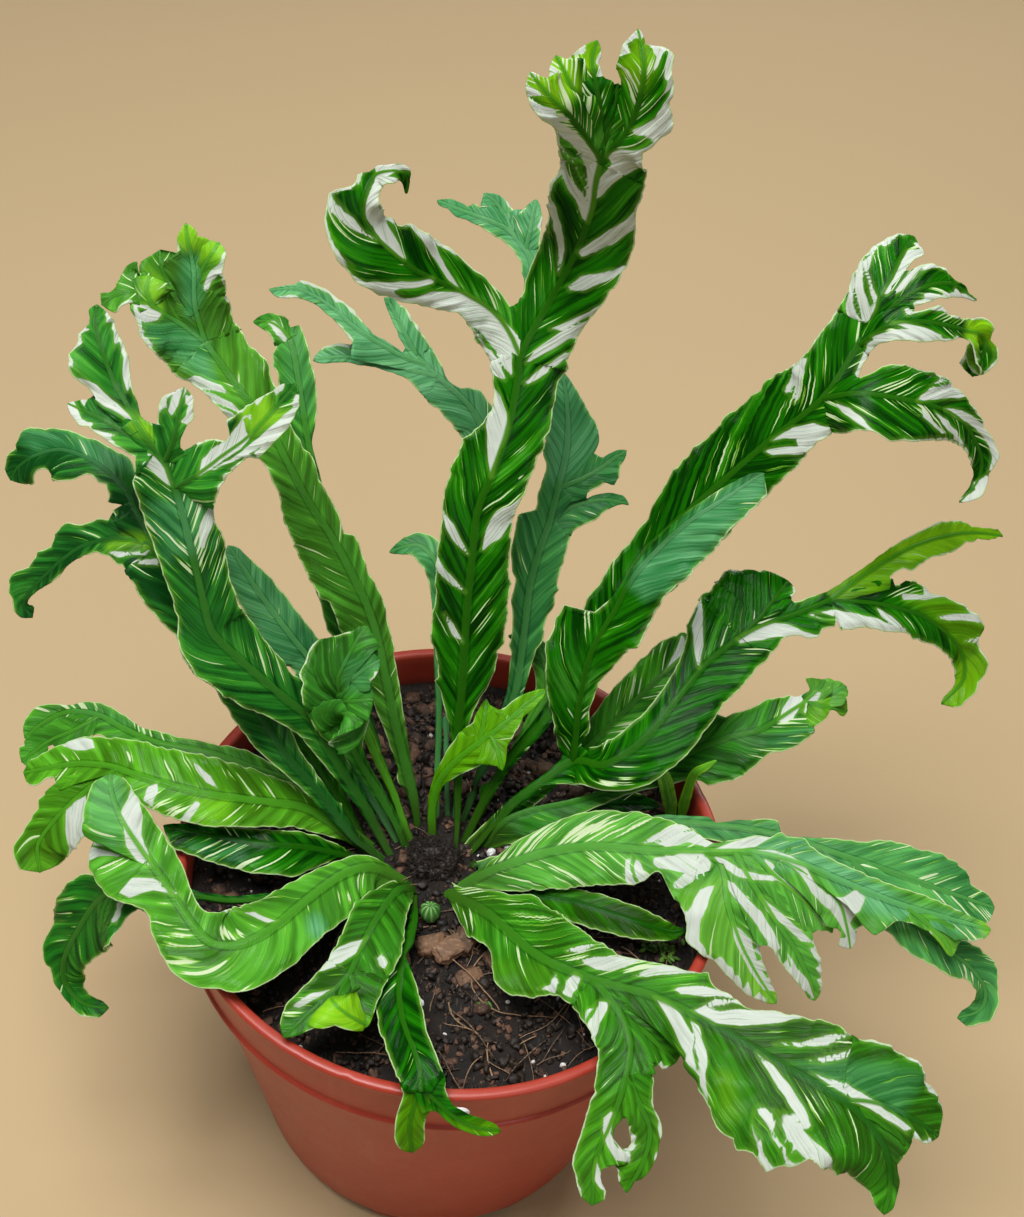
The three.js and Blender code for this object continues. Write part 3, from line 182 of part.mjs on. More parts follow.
    limbs: [
      [[-21.75, 3.85, 132.6, 0.799, 0.577, 0.171, 1.13, 1.22], [-26.04, 7.67, 139.57, 0.776, 0.606, 0.175, 1.54, 1.36], [-30.18, 10.26, 147.16, 0.708, 0.677, 0.201, 1.91, 1.89], [-34.84, 12.69, 154.51, 0.682, 0.699, 0.213, 2.59, 2.66], [-39.5, 14.97, 161.9, 0.684, 0.699, 0.209, 3.38, 3.41], [-43.64, 16.94, 169.69, 0.702, 0.687, 0.188, 4.68, 4.04], [-47.71, 18.52, 177.59, 0.591, 0.773, 0.232, 5.97, 5.01], [-52.98, 18.72, 184.88, 0.323, 0.881, 0.346, 7.08, 7.45], [-58.88, 18.46, 191.71, 0.387, 0.866, 0.316, 8.12, 7.96], [-64.89, 18.8, 198.44, 0.42, 0.852, 0.312, 10.94, 9.57], [-71.09, 19.66, 204.96, 0.465, 0.834, 0.297, 12.34, 10.93], [-77.16, 20.89, 211.53, 0.579, 0.77, 0.268, 12.18, 11.89], [-80.86, 24, 219.01, 0.911, 0.409, 0.046, 8.88, 10.65], [-83.07, 28.24, 226.68, 0.921, 0.385, 0.054, 8.96, 9.33], [-85.3, 32.38, 234.39, 0.914, 0.402, 0.061, 9.82, 10.03], [-87.62, 36.58, 242.03, 0.92, 0.388, 0.057, 10.62, 8.97], [-90.29, 41.21, 249.3, 0.877, 0.47, 0.098, 11.18, 6.99], [-93.71, 45.16, 256.68, 0.835, 0.537, 0.12, 10.49, 5.02], [-98.14, 47.98, 263.91, 0.593, 0.747, 0.302, 3.7, 5.39], [-102.47, 50.46, 268.76, 0.744, 0.635, 0.209, 3.57, 2.68], [-103.67, 51.47, 270, 0.748, 0.628, 0.213, 4.2, 1.95]],
      [[-101.45, 49.63, 267.68, 0.776, 0.616, 0.137, 2.78, 3.5], [-105.21, 53.51, 271.59, 0.789, 0.595, 0.151, 4.65, 2.59], [-108.92, 57.52, 275.41, 0.806, 0.565, 0.175, 6.72, 4.06], [-112.23, 61.57, 279.52, 0.866, 0.487, 0.113, 9.07, 6.03], [-114.79, 65.57, 284.21, 0.892, 0.443, 0.087, 9.27, 6.1], [-117.15, 70.03, 288.56, 0.953, 0.302, 0.003, 3.13, 5.48], [-117.42, 73.45, 291.67, 0.987, 0.064, -0.147, 2.05, 3.27], [-117.32, 74.95, 293, 0.988, 0.056, -0.143, 0.3, 0.3]],
      [[-97.34, 47.77, 262.88, 0.323, 0.757, 0.568, 5.3, 2.7], [-102.62, 47.97, 265.72, 0.352, 0.796, 0.492, 4.9, 2.96], [-107.98, 49.17, 268.15, 0.386, 0.821, 0.42, 4.97, 4.64], [-113.46, 51.08, 269.61, 0.408, 0.809, 0.422, 4.16, 6.38], [-118.88, 53.61, 270.06, 0.411, 0.802, 0.434, 3.79, 4.68], [-122.44, 55.46, 270.03, 0.411, 0.799, 0.438, 1.9, 1.68], [-124.21, 56.39, 270, 0.411, 0.799, 0.438, 0.3, 0.3]],
      [[-94.89, 46.4, 259.06, 0.871, 0.179, -0.457, 2.2, 3.7], [-92.64, 48.32, 264.13, 0.922, 0.031, -0.387, 4.69, 4.56], [-91.05, 50.7, 269.22, 0.985, -0.038, -0.169, 5.87, 2.51], [-90.42, 54.33, 273.78, 0.993, -0.005, -0.121, 5.56, 3.89], [-89.99, 56.96, 276.58, 0.989, -0.037, -0.147, 2.72, 3.2], [-89.72, 58.35, 278, 0.988, -0.043, -0.148, 0.3, 0.3]],
      [[-91.7, 42.93, 252.45, 0.555, -0.312, -0.771, 2.37, 2.78], [-86.57, 43.93, 255.76, 0.564, -0.477, -0.674, 6.18, 8.32], [-81.64, 45.67, 259.07, 0.608, -0.646, -0.462, 7.65, 7.49], [-77.05, 47.32, 262.86, 0.555, -0.702, -0.446, 5.39, 5.68], [-72.31, 48.52, 266.66, 0.569, -0.695, -0.44, 6.26, 5.47], [-67.99, 50.07, 270.8, 0.686, -0.618, -0.385, 7.54, 6.91], [-64.04, 52.25, 275.03, 0.752, -0.55, -0.363, 6.14, 6.65], [-60.26, 55.23, 278.91, 0.787, -0.51, -0.346, 4.09, 5.48], [-57.82, 57.24, 281.67, 0.803, -0.495, -0.333, 2.72, 2.93], [-56.68, 58.2, 283, 0.803, -0.494, -0.333, 0.3, 0.3]],
    ],
  },
  {
    name: "frond_upper_left_outer",
    limbs: [
      [[-25.06, -0.01, 132.4, 0.479, 0.832, 0.281, 0.3, 2.71], [-31.58, 1.73, 138.5, 0.544, 0.796, 0.266, 0.58, 2.55], [-37.26, 4.75, 144.92, 0.695, 0.689, 0.204, 1.66, 2.37], [-42.58, 7.6, 151.72, 0.615, 0.753, 0.234, 2.68, 2.8], [-47.92, 9.43, 158.85, 0.554, 0.793, 0.251, 3.36, 3.37], [-53.61, 10.98, 165.79, 0.593, 0.768, 0.242, 4.22, 4.27], [-58.84, 13.82, 172.67, 0.702, 0.684, 0.198, 6.16, 5.44], [-63.75, 16.84, 179.71, 0.698, 0.689, 0.196, 7.42, 6.53], [-68.51, 19.76, 186.85, 0.725, 0.659, 0.2, 7.66, 6.57], [-74.3, 24.85, 191.62, 0.732, 0.648, 0.209, 7.47, 7.32], [-80.02, 28.88, 197.33, 0.654, 0.72, 0.23, 9.74, 8.46], [-85.31, 31.73, 204.17, 0.715, 0.671, 0.195, 7.78, 9.27], [-90.17, 35.67, 210.78, 0.771, 0.614, 0.167, 9.3, 9.39], [-94.97, 39.85, 217.28, 0.768, 0.617, 0.175, 10.61, 9.24], [-99.7, 44.47, 223.53, 0.824, 0.549, 0.139, 8.03, 8.24], [-104.18, 49.97, 229.23, 0.814, 0.56, 0.156, 4.68, 7.4], [-108.25, 54.42, 232.97, 0.789, 0.588, 0.179, 5.94, 1.74], [-109.42, 55.68, 234, 0.79, 0.587, 0.178, 5.87, 1.95]],
      [[-106.86, 52.93, 231.78, 0.847, 0.518, 0.123, 5.53, 6.36], [-110.11, 57.45, 234.96, 0.808, 0.565, 0.165, 4.47, 5.47], [-114.48, 61.35, 237.52, 0.646, 0.708, 0.285, 4.04, 6.97], [-119.6, 64.78, 239.25, 0.555, 0.757, 0.345, 4.24, 7.11], [-125.13, 67.93, 239.98, 0.428, 0.805, 0.41, 8.8, 6.61], [-130.88, 70.76, 239.67, 0.298, 0.83, 0.472, 10.48, 6.32], [-136.93, 72.19, 238.38, -0.143, 0.84, 0.524, 8.75, 7.13], [-142.84, 71.65, 235.99, -0.374, 0.768, 0.52, 5.21, 8.88], [-147.83, 71.13, 232.04, -0.6, 0.647, 0.472, 7, 5.17], [-150.43, 70.1, 228.66, -0.851, 0.427, 0.307, 5.66, 3.11], [-151.29, 69.4, 227, -0.879, 0.368, 0.303, 0.3, 0.3]],
      [[-101.09, 46.17, 225.41, 0.21, 0.804, 0.556, 3.37, 2.12], [-107.76, 47.07, 226.1, 0.085, 0.836, 0.543, 9.67, 5.03], [-114.38, 47.76, 224.93, -0.11, 0.861, 0.497, 6.1, 7.02], [-120.68, 47.85, 222.43, -0.252, 0.83, 0.498, 3.42, 6.68], [-126.45, 47.43, 218.92, -0.474, 0.751, 0.46, 2.83, 9.01], [-131.46, 46.5, 214.45, -0.572, 0.694, 0.438, 3.01, 6.65], [-136.07, 45.47, 209.57, -0.614, 0.667, 0.421, 3.08, 6.94], [-140.4, 44.56, 204.44, -0.667, 0.629, 0.399, 1.69, 6.98], [-144.01, 43.53, 198.8, -0.929, 0.206, 0.307, 1.14, 5.34], [-143.49, 42.42, 194.52, -0.662, -0.713, -0.233, 2.31, 2.6], [-142.29, 41.91, 193, -0.591, -0.779, -0.208, 0.3, 0.3]],
    ],
  },
  {
    name: "leaf_upper_left_narrow",
    limbs: [
      [[-31.91, 10.39, 132.6, 0.774, 0.606, 0.183, 1.26, 1.26], [-37.23, 14.96, 139.56, 0.737, 0.647, 0.196, 2.04, 2.04], [-42.84, 18.4, 146.92, 0.697, 0.684, 0.214, 3.9, 3.9], [-48.39, 22.49, 153.99, 0.754, 0.629, 0.189, 4.81, 4.81], [-53.43, 26.34, 161.53, 0.766, 0.617, 0.18, 4.36, 4.36], [-57.4, 30.39, 166.88, 0.831, 0.534, 0.158, 1.78, 1.78], [-58.44, 31.68, 168, 0.832, 0.53, 0.16, 0.3, 0.3]],
    ],
  },
  {
    name: "frond_crested_yellow",
    limbs: [
      [[-13.08, 17.28, 132.62, 0.968, 0.241, 0.072, 1.13, 1.1], [-14.55, 20.12, 140.99, 0.935, 0.341, 0.097, 1.65, 1.38], [-17.11, 24.03, 148.65, 0.909, 0.4, 0.115, 3.41, 1.87], [-19.74, 27.81, 156.34, 0.906, 0.408, 0.111, 3.06, 2.43], [-22.16, 31.1, 164.33, 0.918, 0.384, 0.103, 3.84, 3.04], [-24.46, 35.07, 172.03, 0.937, 0.338, 0.09, 5.31, 3.52], [-26.74, 39.3, 179.61, 0.932, 0.349, 0.097, 7.03, 4], [-29.06, 43.41, 187.24, 0.931, 0.351, 0.094, 8.91, 4.37], [-31.54, 47.37, 194.9, 0.898, 0.424, 0.12, 10.48, 4.61], [-34.78, 50.62, 202.6, 0.808, 0.561, 0.18, 11.1, 5.53], [-38.71, 53.22, 210.23, 0.766, 0.61, 0.204, 11.98, 5.18], [-42.95, 55.94, 217.65, 0.747, 0.627, 0.219, 12.81, 6.3], [-47.52, 58.52, 224.93, 0.691, 0.681, 0.243, 11.93, 4.75], [-52.42, 60.17, 232.26, 0.657, 0.708, 0.26, 10.39, 6.7], [-56.84, 62.28, 239.77, 0.754, 0.622, 0.214, 7.63, 6.65], [-61.29, 65.8, 246.7, 0.799, 0.566, 0.204, 6.68, 7.25], [-65.91, 70.24, 252.97, 0.781, 0.587, 0.215, 7.78, 6.37], [-71.31, 73.03, 259.52, 0.633, 0.71, 0.307, 8.04, 8.65], [-77.17, 76.86, 265.01, 0.734, 0.623, 0.269, 8.81, 11.17], [-83, 81.52, 269.98, 0.722, 0.637, 0.271, 10.76, 11.31], [-87.45, 84.71, 274.28, 0.719, 0.641, 0.269, 11.62, 11.23], [-88.73, 85.63, 275.52, 0.719, 0.641, 0.269, 2.95, 11.42]],
      [[-88.73, 85.63, 275.52, 0.868, 0.489, 0.088, 2.03, 11.55], [-90.82, 88.52, 280.32, 0.89, 0.448, 0.09, 3.59, 10.57], [-92.25, 91.09, 285.51, 0.961, 0.275, 0.018, 3.3, 10.19], [-92.57, 93.96, 290.74, 0.988, 0.149, -0.049, 6.31, 3.41], [-93.36, 97.55, 295.43, 0.954, 0.297, 0.032, 8.25, 3.61], [-94.57, 99.42, 300.94, 0.938, 0.342, 0.065, 3.39, 4.74], [-95.27, 101.59, 304.17, 0.968, 0.25, 0.004, 1.73, 2.83], [-95.6, 102.87, 305.68, 0.97, 0.243, 0.007, 0.3, 0.3]],
      [[-92.57, 93.28, 289.55, 0.927, -0.046, -0.373, 2.78, 5.07], [-90.8, 96.47, 293.45, 0.923, -0.216, -0.32, 2.87, 8.15], [-88.2, 98.71, 297.49, 0.832, -0.423, -0.359, 4.81, 5.4], [-86.63, 100.65, 299.59, 0.909, -0.283, -0.306, 5, 3.57], [-85.86, 102.28, 300.48, 0.914, -0.257, -0.314, 0.3, 0.3]],
      [[-88.62, 85.55, 275.41, 0.499, 0.747, 0.439, 7.45, 2.37], [-94.54, 86.9, 279.36, 0.387, 0.798, 0.463, 12.76, 4.06], [-100.34, 86.31, 283.61, 0.206, 0.847, 0.491, 11.76, 5.96], [-105, 86.73, 288.82, 0.861, 0.495, 0.119, 5.11, 6.34], [-105.65, 90.52, 292.24, 0.984, -0.004, -0.176, 4.19, 7.95], [-105.37, 92.25, 293.2, 0.978, -0.045, -0.205, 0.3, 0.3]],
      [[-91.66, 89.81, 282.86, 0.681, 0.55, 0.483, 3.2, 2.53], [-95.97, 92.72, 285.63, 0.686, 0.603, 0.406, 5.65, 4.66], [-100.19, 96.49, 287.29, 0.73, 0.631, 0.262, 7.28, 8.17], [-103.23, 99.29, 291.15, 0.872, 0.468, 0.143, 6.56, 8.71], [-104.18, 101.7, 294, 0.976, 0.215, -0.036, 2.68, 7.47], [-104.41, 103.22, 295.28, 0.982, 0.186, -0.042, 0.3, 0.3]],
      [[-103.56, 85.89, 286.7, 0.697, 0.697, 0.169, 5.38, 4.45], [-107.43, 89.12, 289.53, 0.72, 0.658, 0.222, 3.55, 4.21], [-111.15, 93.04, 291.54, 0.872, 0.465, 0.152, 3.44, 5.15], [-111.36, 95.42, 294.05, 0.781, -0.435, -0.449, 0.92, 5.01], [-109.78, 95.49, 295.28, 0.454, -0.71, -0.538, 0.3, 0.3]],
      [[-107.57, 89.25, 289.61, -0.491, 0.773, 0.401, 2.7, 2.2], [-111.11, 86.78, 290.3, -0.392, 0.77, 0.504, 3.78, 4.27], [-115.13, 85.61, 289.07, -0.49, 0.69, 0.533, 4.22, 2.57], [-117.28, 84.67, 287.85, -0.616, 0.619, 0.487, 4.31, 2.92], [-118.63, 83.97, 286.96, -0.63, 0.604, 0.488, 0.3, 0.3]],
    ],
  },
  {
    name: "frond_back_left",
    limbs: [
      [[-18.74, 15.27, 132.3, 0.941, 0.325, 0.09, 0.8, 1.07], [-21.35, 20.45, 139.26, 0.907, 0.404, 0.119, 1.21, 1.13], [-24.79, 25.08, 146.26, 0.874, 0.464, 0.141, 1.41, 1.47], [-28.26, 29.74, 153.22, 0.888, 0.441, 0.13, 1.57, 1.44], [-31.59, 34.55, 160.15, 0.895, 0.427, 0.125, 1.8, 1.87], [-34.81, 39.35, 167.13, 0.899, 0.42, 0.122, 2.15, 2.3], [-37.91, 44.19, 174.14, 0.913, 0.392, 0.111, 2.6, 2.87], [-40.78, 49.39, 180.99, 0.93, 0.355, 0.098, 3.01, 3.52], [-43.45, 54.81, 187.76, 0.938, 0.336, 0.089, 4.63, 4.14], [-45.94, 60.12, 194.66, 0.944, 0.32, 0.081, 5.22, 4.71], [-48.27, 65.55, 201.54, 0.953, 0.294, 0.072, 4.37, 5.15], [-50.43, 71.54, 207.99, 0.962, 0.266, 0.06, 5.34, 5.71], [-52.53, 77.48, 214.51, 0.956, 0.286, 0.067, 6.49, 5.36], [-54.67, 82.55, 221.71, 0.949, 0.305, 0.073, 7.52, 2.71], [-56.87, 87.85, 228.72, 0.953, 0.294, 0.072, 7.87, 1.42], [-59.13, 93.67, 235.3, 0.956, 0.285, 0.069, 7.43, 1.78], [-61.23, 99.42, 241.99, 0.961, 0.27, 0.059, 7.14, 4.43], [-63.29, 105.26, 248.61, 0.961, 0.27, 0.062, 6.5, 5.35], [-65.49, 111.48, 254.82, 0.95, 0.302, 0.083, 7.03, 4.86], [-68.09, 116.56, 258.95, 0.895, 0.414, 0.166, 2.07, 4.81], [-68.96, 118.02, 260, 0.894, 0.415, 0.168, 2.7, 4.88]],
      [[-67.36, 115.34, 258.07, 0.7, 0.626, 0.344, 4.05, 3.2], [-71.16, 117.61, 261.04, 0.589, 0.697, 0.408, 4.12, 3.22], [-75.65, 120.46, 260.85, 0.263, 0.797, 0.544, 2.75, 2.81], [-78.58, 121.76, 259.74, 0.098, 0.819, 0.566, 1.43, 1.6], [-80.3, 122.47, 259, 0.088, 0.811, 0.578, 0.3, 0.3]],
    ],
  },
  {
    name: "leaf_back_left_pale",
    limbs: [
      [[-20.3, 10.12, 132.2, 0.787, 0.588, 0.184, 0.8, 0.95], [-24.8, 14.12, 138.65, 0.784, 0.593, 0.184, 1.24, 1.25], [-29.35, 17.87, 145.22, 0.765, 0.614, 0.194, 1.54, 1.63], [-33.74, 21.61, 151.89, 0.811, 0.56, 0.167, 1.85, 1.89], [-37.73, 25.77, 158.57, 0.834, 0.529, 0.155, 2.27, 2.32], [-41.57, 29.82, 165.41, 0.833, 0.532, 0.152, 3.01, 2.79], [-45.16, 33.44, 172.61, 0.834, 0.531, 0.151, 4.27, 3.76], [-49.01, 37.59, 179.37, 0.836, 0.526, 0.155, 7.04, 5], [-53.44, 41.59, 185.82, 0.683, 0.689, 0.244, 6.91, 6.45], [-58.82, 43.76, 192.46, 0.624, 0.736, 0.262, 8.94, 6.59], [-64.32, 46.91, 198.54, 0.699, 0.676, 0.235, 7.97, 6.37], [-69.71, 50.17, 204.7, 0.706, 0.669, 0.234, 7.1, 5.8], [-74.88, 54.48, 210.38, 0.755, 0.621, 0.211, 5.75, 3.82], [-79.08, 57.65, 214.72, 0.713, 0.66, 0.235, 2.68, 2.01], [-80.33, 58.55, 216, 0.713, 0.661, 0.234, 0.3, 0.3]],
    ],
  },
  {
    name: "young_frond_crumpled",
    limbs: [
      [[-17.73, 7.82, 132.8, 0.845, 0.507, 0.172, 0.3, 2.41], [-21.27, 10.76, 141.24, 0.818, 0.543, 0.188, 0.52, 2.1], [-25.24, 13.18, 149.66, 0.754, 0.62, 0.219, 1.62, 1.84], [-29.56, 14.49, 158.14, 0.663, 0.698, 0.27, 2.21, 2.04], [-33.64, 15.58, 166.78, 0.75, 0.619, 0.233, 2.73, 2.76], [-36.91, 17.46, 175.61, 0.887, 0.439, 0.14, 6.71, 6.5], [-39.21, 20.69, 184.36, 0.943, 0.322, 0.082, 10.79, 8.03], [-41.07, 24.67, 190.54, 0.949, 0.303, 0.087, 1.99, 2.03], [-41.61, 25.92, 192, 0.949, 0.302, 0.088, 2.2, 2.45]],
      [[-40.75, 23.92, 189.64, 0.973, 0.018, -0.228, 2.03, 4.51], [-39.45, 27.37, 195.25, 0.973, -0.117, -0.198, 4.3, 8.27], [-37.52, 31.35, 200.29, 0.942, -0.274, -0.196, 5.36, 8.69], [-35.83, 34.24, 203.61, 0.919, -0.324, -0.225, 3.95, 8.14], [-35.06, 35.45, 205, 0.918, -0.327, -0.225, 0.3, 0.3]],
      [[-40.21, 22.7, 188.07, 0.866, 0.427, 0.261, 11.6, 4.78], [-43.3, 26.47, 192.5, 0.893, 0.413, 0.18, 9.92, 3.24], [-45.58, 30.89, 196.81, 0.982, 0.183, 0.048, 6.28, 5.53], [-44.57, 33.84, 199.86, 0.794, -0.488, -0.362, 2.58, 5.45], [-43.28, 34.85, 201, 0.75, -0.553, -0.362, 0.3, 0.3]],
    ],
  },
  {
    name: "young_stalk_narrow",
    limbs: [
      [[-15.71, 12.09, 132.4, 0.88, 0.445, 0.166, 1.01, 1.01], [-19.26, 16.46, 139.56, 0.882, 0.444, 0.157, 1.12, 1.12], [-22.77, 20.31, 147.03, 0.843, 0.502, 0.193, 1.23, 1.23], [-27, 24.33, 154.02, 0.835, 0.514, 0.197, 1.38, 1.38], [-30.7, 27.99, 161.5, 0.855, 0.488, 0.175, 1.53, 1.53], [-33.6, 30.77, 167.36, 0.843, 0.504, 0.187, 0.77, 0.77], [-34.44, 31.56, 169, 0.843, 0.505, 0.187, 0.3, 0.3]],
    ],
  },
  {
    name: "frond_back_forked",
    limbs: [
      [[-3.44, 22.27, 132.4, 0.994, 0.103, 0.027, 0.3, 1.29], [-4.08, 26.37, 140.16, 0.994, 0.107, 0.028, 0.34, 1.04], [-4.76, 30.42, 147.93, 0.994, 0.103, 0.028, 0.51, 0.86], [-5.29, 34.77, 155.56, 0.998, 0.065, 0.016, 0.71, 0.77], [-5.63, 39.49, 162.97, 0.999, 0.045, 0.009, 1.12, 0.96], [-5.85, 44.15, 170.42, 1, 0.03, 0.004, 1.03, 1.08], [-5.98, 48.67, 177.97, 1, 0.018, 0, 1.15, 1.24], [-6.03, 53.27, 185.47, 1, 0.011, -0.002, 1.33, 1.36], [-6.06, 58.07, 192.84, 1, 0.006, -0.004, 1.55, 1.77], [-6.01, 63.02, 200.1, 1, -0.008, -0.01, 1.85, 2.18], [-5.84, 68.18, 207.23, 1, -0.02, -0.014, 2.17, 2.71], [-5.56, 73.53, 214.2, 0.999, -0.041, -0.023, 2.57, 3.31], [-4.99, 78.96, 221.1, 0.994, -0.095, -0.048, 3.05, 3.86], [-3.92, 84.43, 227.9, 0.99, -0.128, -0.064, 3.59, 4.62], [-2.79, 90.05, 234.57, 0.988, -0.138, -0.072, 5.83, 5.21], [-1.94, 95.83, 241.11, 0.995, 0.096, 0.033, 6.99, 5.88], [-5.75, 100.71, 247.03, 0.728, 0.597, 0.338, 8.41, 6.12], [-12.28, 105.08, 250.91, 0.611, 0.677, 0.41, 8.53, 1.95], [-19.12, 109.93, 253.51, 0.636, 0.657, 0.405, 3.42, 3.47], [-24.3, 113.44, 256.12, 0.646, 0.658, 0.386, 2.32, 4.85], [-25.81, 114.4, 257, 0.646, 0.659, 0.385, 2.95, 1.95]],
      [[-25.41, 114.14, 256.76, 0.819, 0.512, 0.259, 3.12, 5.57], [-29.15, 117.72, 261.76, 0.837, 0.488, 0.247, 2.08, 4.86], [-32.9, 121.97, 266.18, 0.829, 0.498, 0.253, 1.73, 3.93], [-35.77, 124.68, 269.55, 0.72, 0.618, 0.315, 1.24, 2.1], [-37.06, 125.16, 271, 0.64, 0.685, 0.348, 0.3, 0.3]],
      [[-22.17, 112.07, 254.88, 0.199, 0.816, 0.542, 2.7, 2.37], [-28.3, 112.38, 256.78, 0.254, 0.811, 0.526, 3.59, 2.31], [-34.18, 113.3, 259.17, 0.381, 0.791, 0.478, 5.33, 1.56], [-39.95, 114.46, 261.71, 0.373, 0.794, 0.48, 8.05, 1.64], [-45.57, 116.06, 264.34, 0.529, 0.732, 0.428, 4.27, 3], [-50.69, 118.84, 267.02, 0.599, 0.693, 0.4, 2.9, 3.81], [-56.05, 121.19, 269.63, 0.448, 0.767, 0.46, 2.55, 3.59], [-61.84, 122.41, 272.09, 0.258, 0.818, 0.514, 2.65, 3.33], [-67.98, 121.75, 273.56, -0.187, 0.797, 0.574, 3.17, 1.26], [-72.09, 120.16, 273.85, -0.264, 0.778, 0.57, 2.88, 0.73], [-73.96, 119.46, 274, -0.245, 0.785, 0.57, 0.3, 0.3]],
      [[-17.74, 108.88, 253.06, 0.145, 0.864, 0.482, 4.62, 2.37], [-23.79, 109.59, 253.61, 0.144, 0.853, 0.502, 5.63, 3.01], [-29.82, 110.47, 254, 0.195, 0.827, 0.527, 2.6, 3.74], [-35.75, 111.95, 254.07, 0.209, 0.821, 0.532, 2, 5.38], [-41.63, 113.58, 253.82, 0.213, 0.816, 0.537, 2.01, 7.88], [-47.48, 115.24, 253.23, 0.092, 0.831, 0.549, 1.89, 6.16], [-53.49, 115.57, 252.23, -0.153, 0.825, 0.544, 1.75, 4.2], [-57.51, 115.25, 251.39, -0.173, 0.821, 0.544, 1.35, 2.63], [-59.46, 115.13, 251, -0.162, 0.823, 0.545, 0.3, 0.3]],
    ],
  },
  {
    name: "frond_back_top",
    limbs: [
      [[-0.25, 21.28, 132.4, 1, 0.006, 0.002, 0.82, 0.62], [-0.3, 25.64, 140.28, 1, -0.009, -0.003, 0.67, 0.94], [-0.04, 30.35, 147.96, 0.998, -0.053, -0.018, 0.71, 1.06], [0.41, 35.25, 155.5, 0.998, -0.065, -0.022, 0.85, 1.05], [0.9, 40.27, 162.97, 0.998, -0.066, -0.022, 1.02, 1.06], [1.41, 45.39, 170.36, 0.997, -0.068, -0.023, 1.13, 1.3], [1.95, 50.6, 177.7, 0.997, -0.071, -0.024, 1.25, 1.54], [2.51, 55.87, 184.98, 0.997, -0.074, -0.026, 1.42, 1.76], [3.11, 61.19, 192.22, 0.997, -0.076, -0.027, 1.63, 1.97], [3.71, 66.58, 199.42, 0.997, -0.076, -0.027, 1.86, 2.18], [4.31, 72.08, 206.53, 0.997, -0.074, -0.026, 2.08, 2.39], [4.91, 77.72, 213.53, 0.997, -0.073, -0.026, 2.29, 2.61], [5.52, 83.42, 220.49, 0.997, -0.073, -0.026, 2.51, 2.82], [6.12, 89.03, 227.5, 0.997, -0.076, -0.027, 2.73, 3], [6.74, 94.52, 234.62, 0.997, -0.077, -0.027, 2.97, 3.08], [7.34, 100.05, 241.71, 0.997, -0.071, -0.025, 3.19, 3.18], [7.87, 105.84, 248.59, 0.998, -0.055, -0.018, 3.36, 3.31], [8.27, 111.98, 255.17, 0.999, -0.046, -0.014, 3.48, 3.45], [8.67, 118.23, 261.65, 0.998, -0.055, -0.018, 3.61, 3.6], [9.26, 124.33, 268.25, 0.996, -0.079, -0.032, 3.57, 3.88], [9.96, 130.46, 274.81, 0.995, -0.088, -0.038, 1.78, 3.94], [10.32, 136.92, 281.01, 0.975, 0.181, 0.126, 3.33, 3.94], [5.47, 142.64, 285.79, 0.76, 0.529, 0.377, 3.6, 3.77], [-1.65, 146.31, 289.28, 0.292, 0.772, 0.564, 4.23, 3.61], [-10.14, 148.34, 290.96, 0.38, 0.731, 0.567, 2.78, 3.34], [-17.12, 153.84, 289.89, 0.509, 0.649, 0.565, 1.73, 2.25], [-21.61, 159.02, 288.43, 0.549, 0.619, 0.561, 1.03, 1.18], [-22.86, 160.52, 288, 0.548, 0.621, 0.561, 0.3, 0.3]],
      [[3.77, 144.22, 286.84, 0.879, 0.386, 0.28, 2.95, 4.95], [0.95, 148.51, 289.82, 0.867, 0.405, 0.29, 3.29, 5.35], [-2.47, 151.99, 293.17, 0.705, 0.591, 0.392, 5.12, 2.8], [-5.61, 153.23, 295.15, 0.443, 0.73, 0.521, 5.45, 1.45], [-7.38, 153.61, 296, 0.41, 0.745, 0.526, 0.3, 0.3]],
      [[7.7, 140.48, 284.14, 0.985, -0.105, -0.135, 2.2, 2.76], [8.67, 143.7, 288.86, 0.989, -0.117, -0.094, 4.52, 3.67], [9.33, 147.89, 292.81, 0.995, -0.089, -0.046, 4.49, 2.85], [9.75, 151.01, 294.95, 0.994, -0.098, -0.055, 1.97, 1.63], [9.97, 152.7, 296, 0.994, -0.098, -0.056, 0.3, 0.3]],
    ],
  },
  {
    name: "frond_back_right",
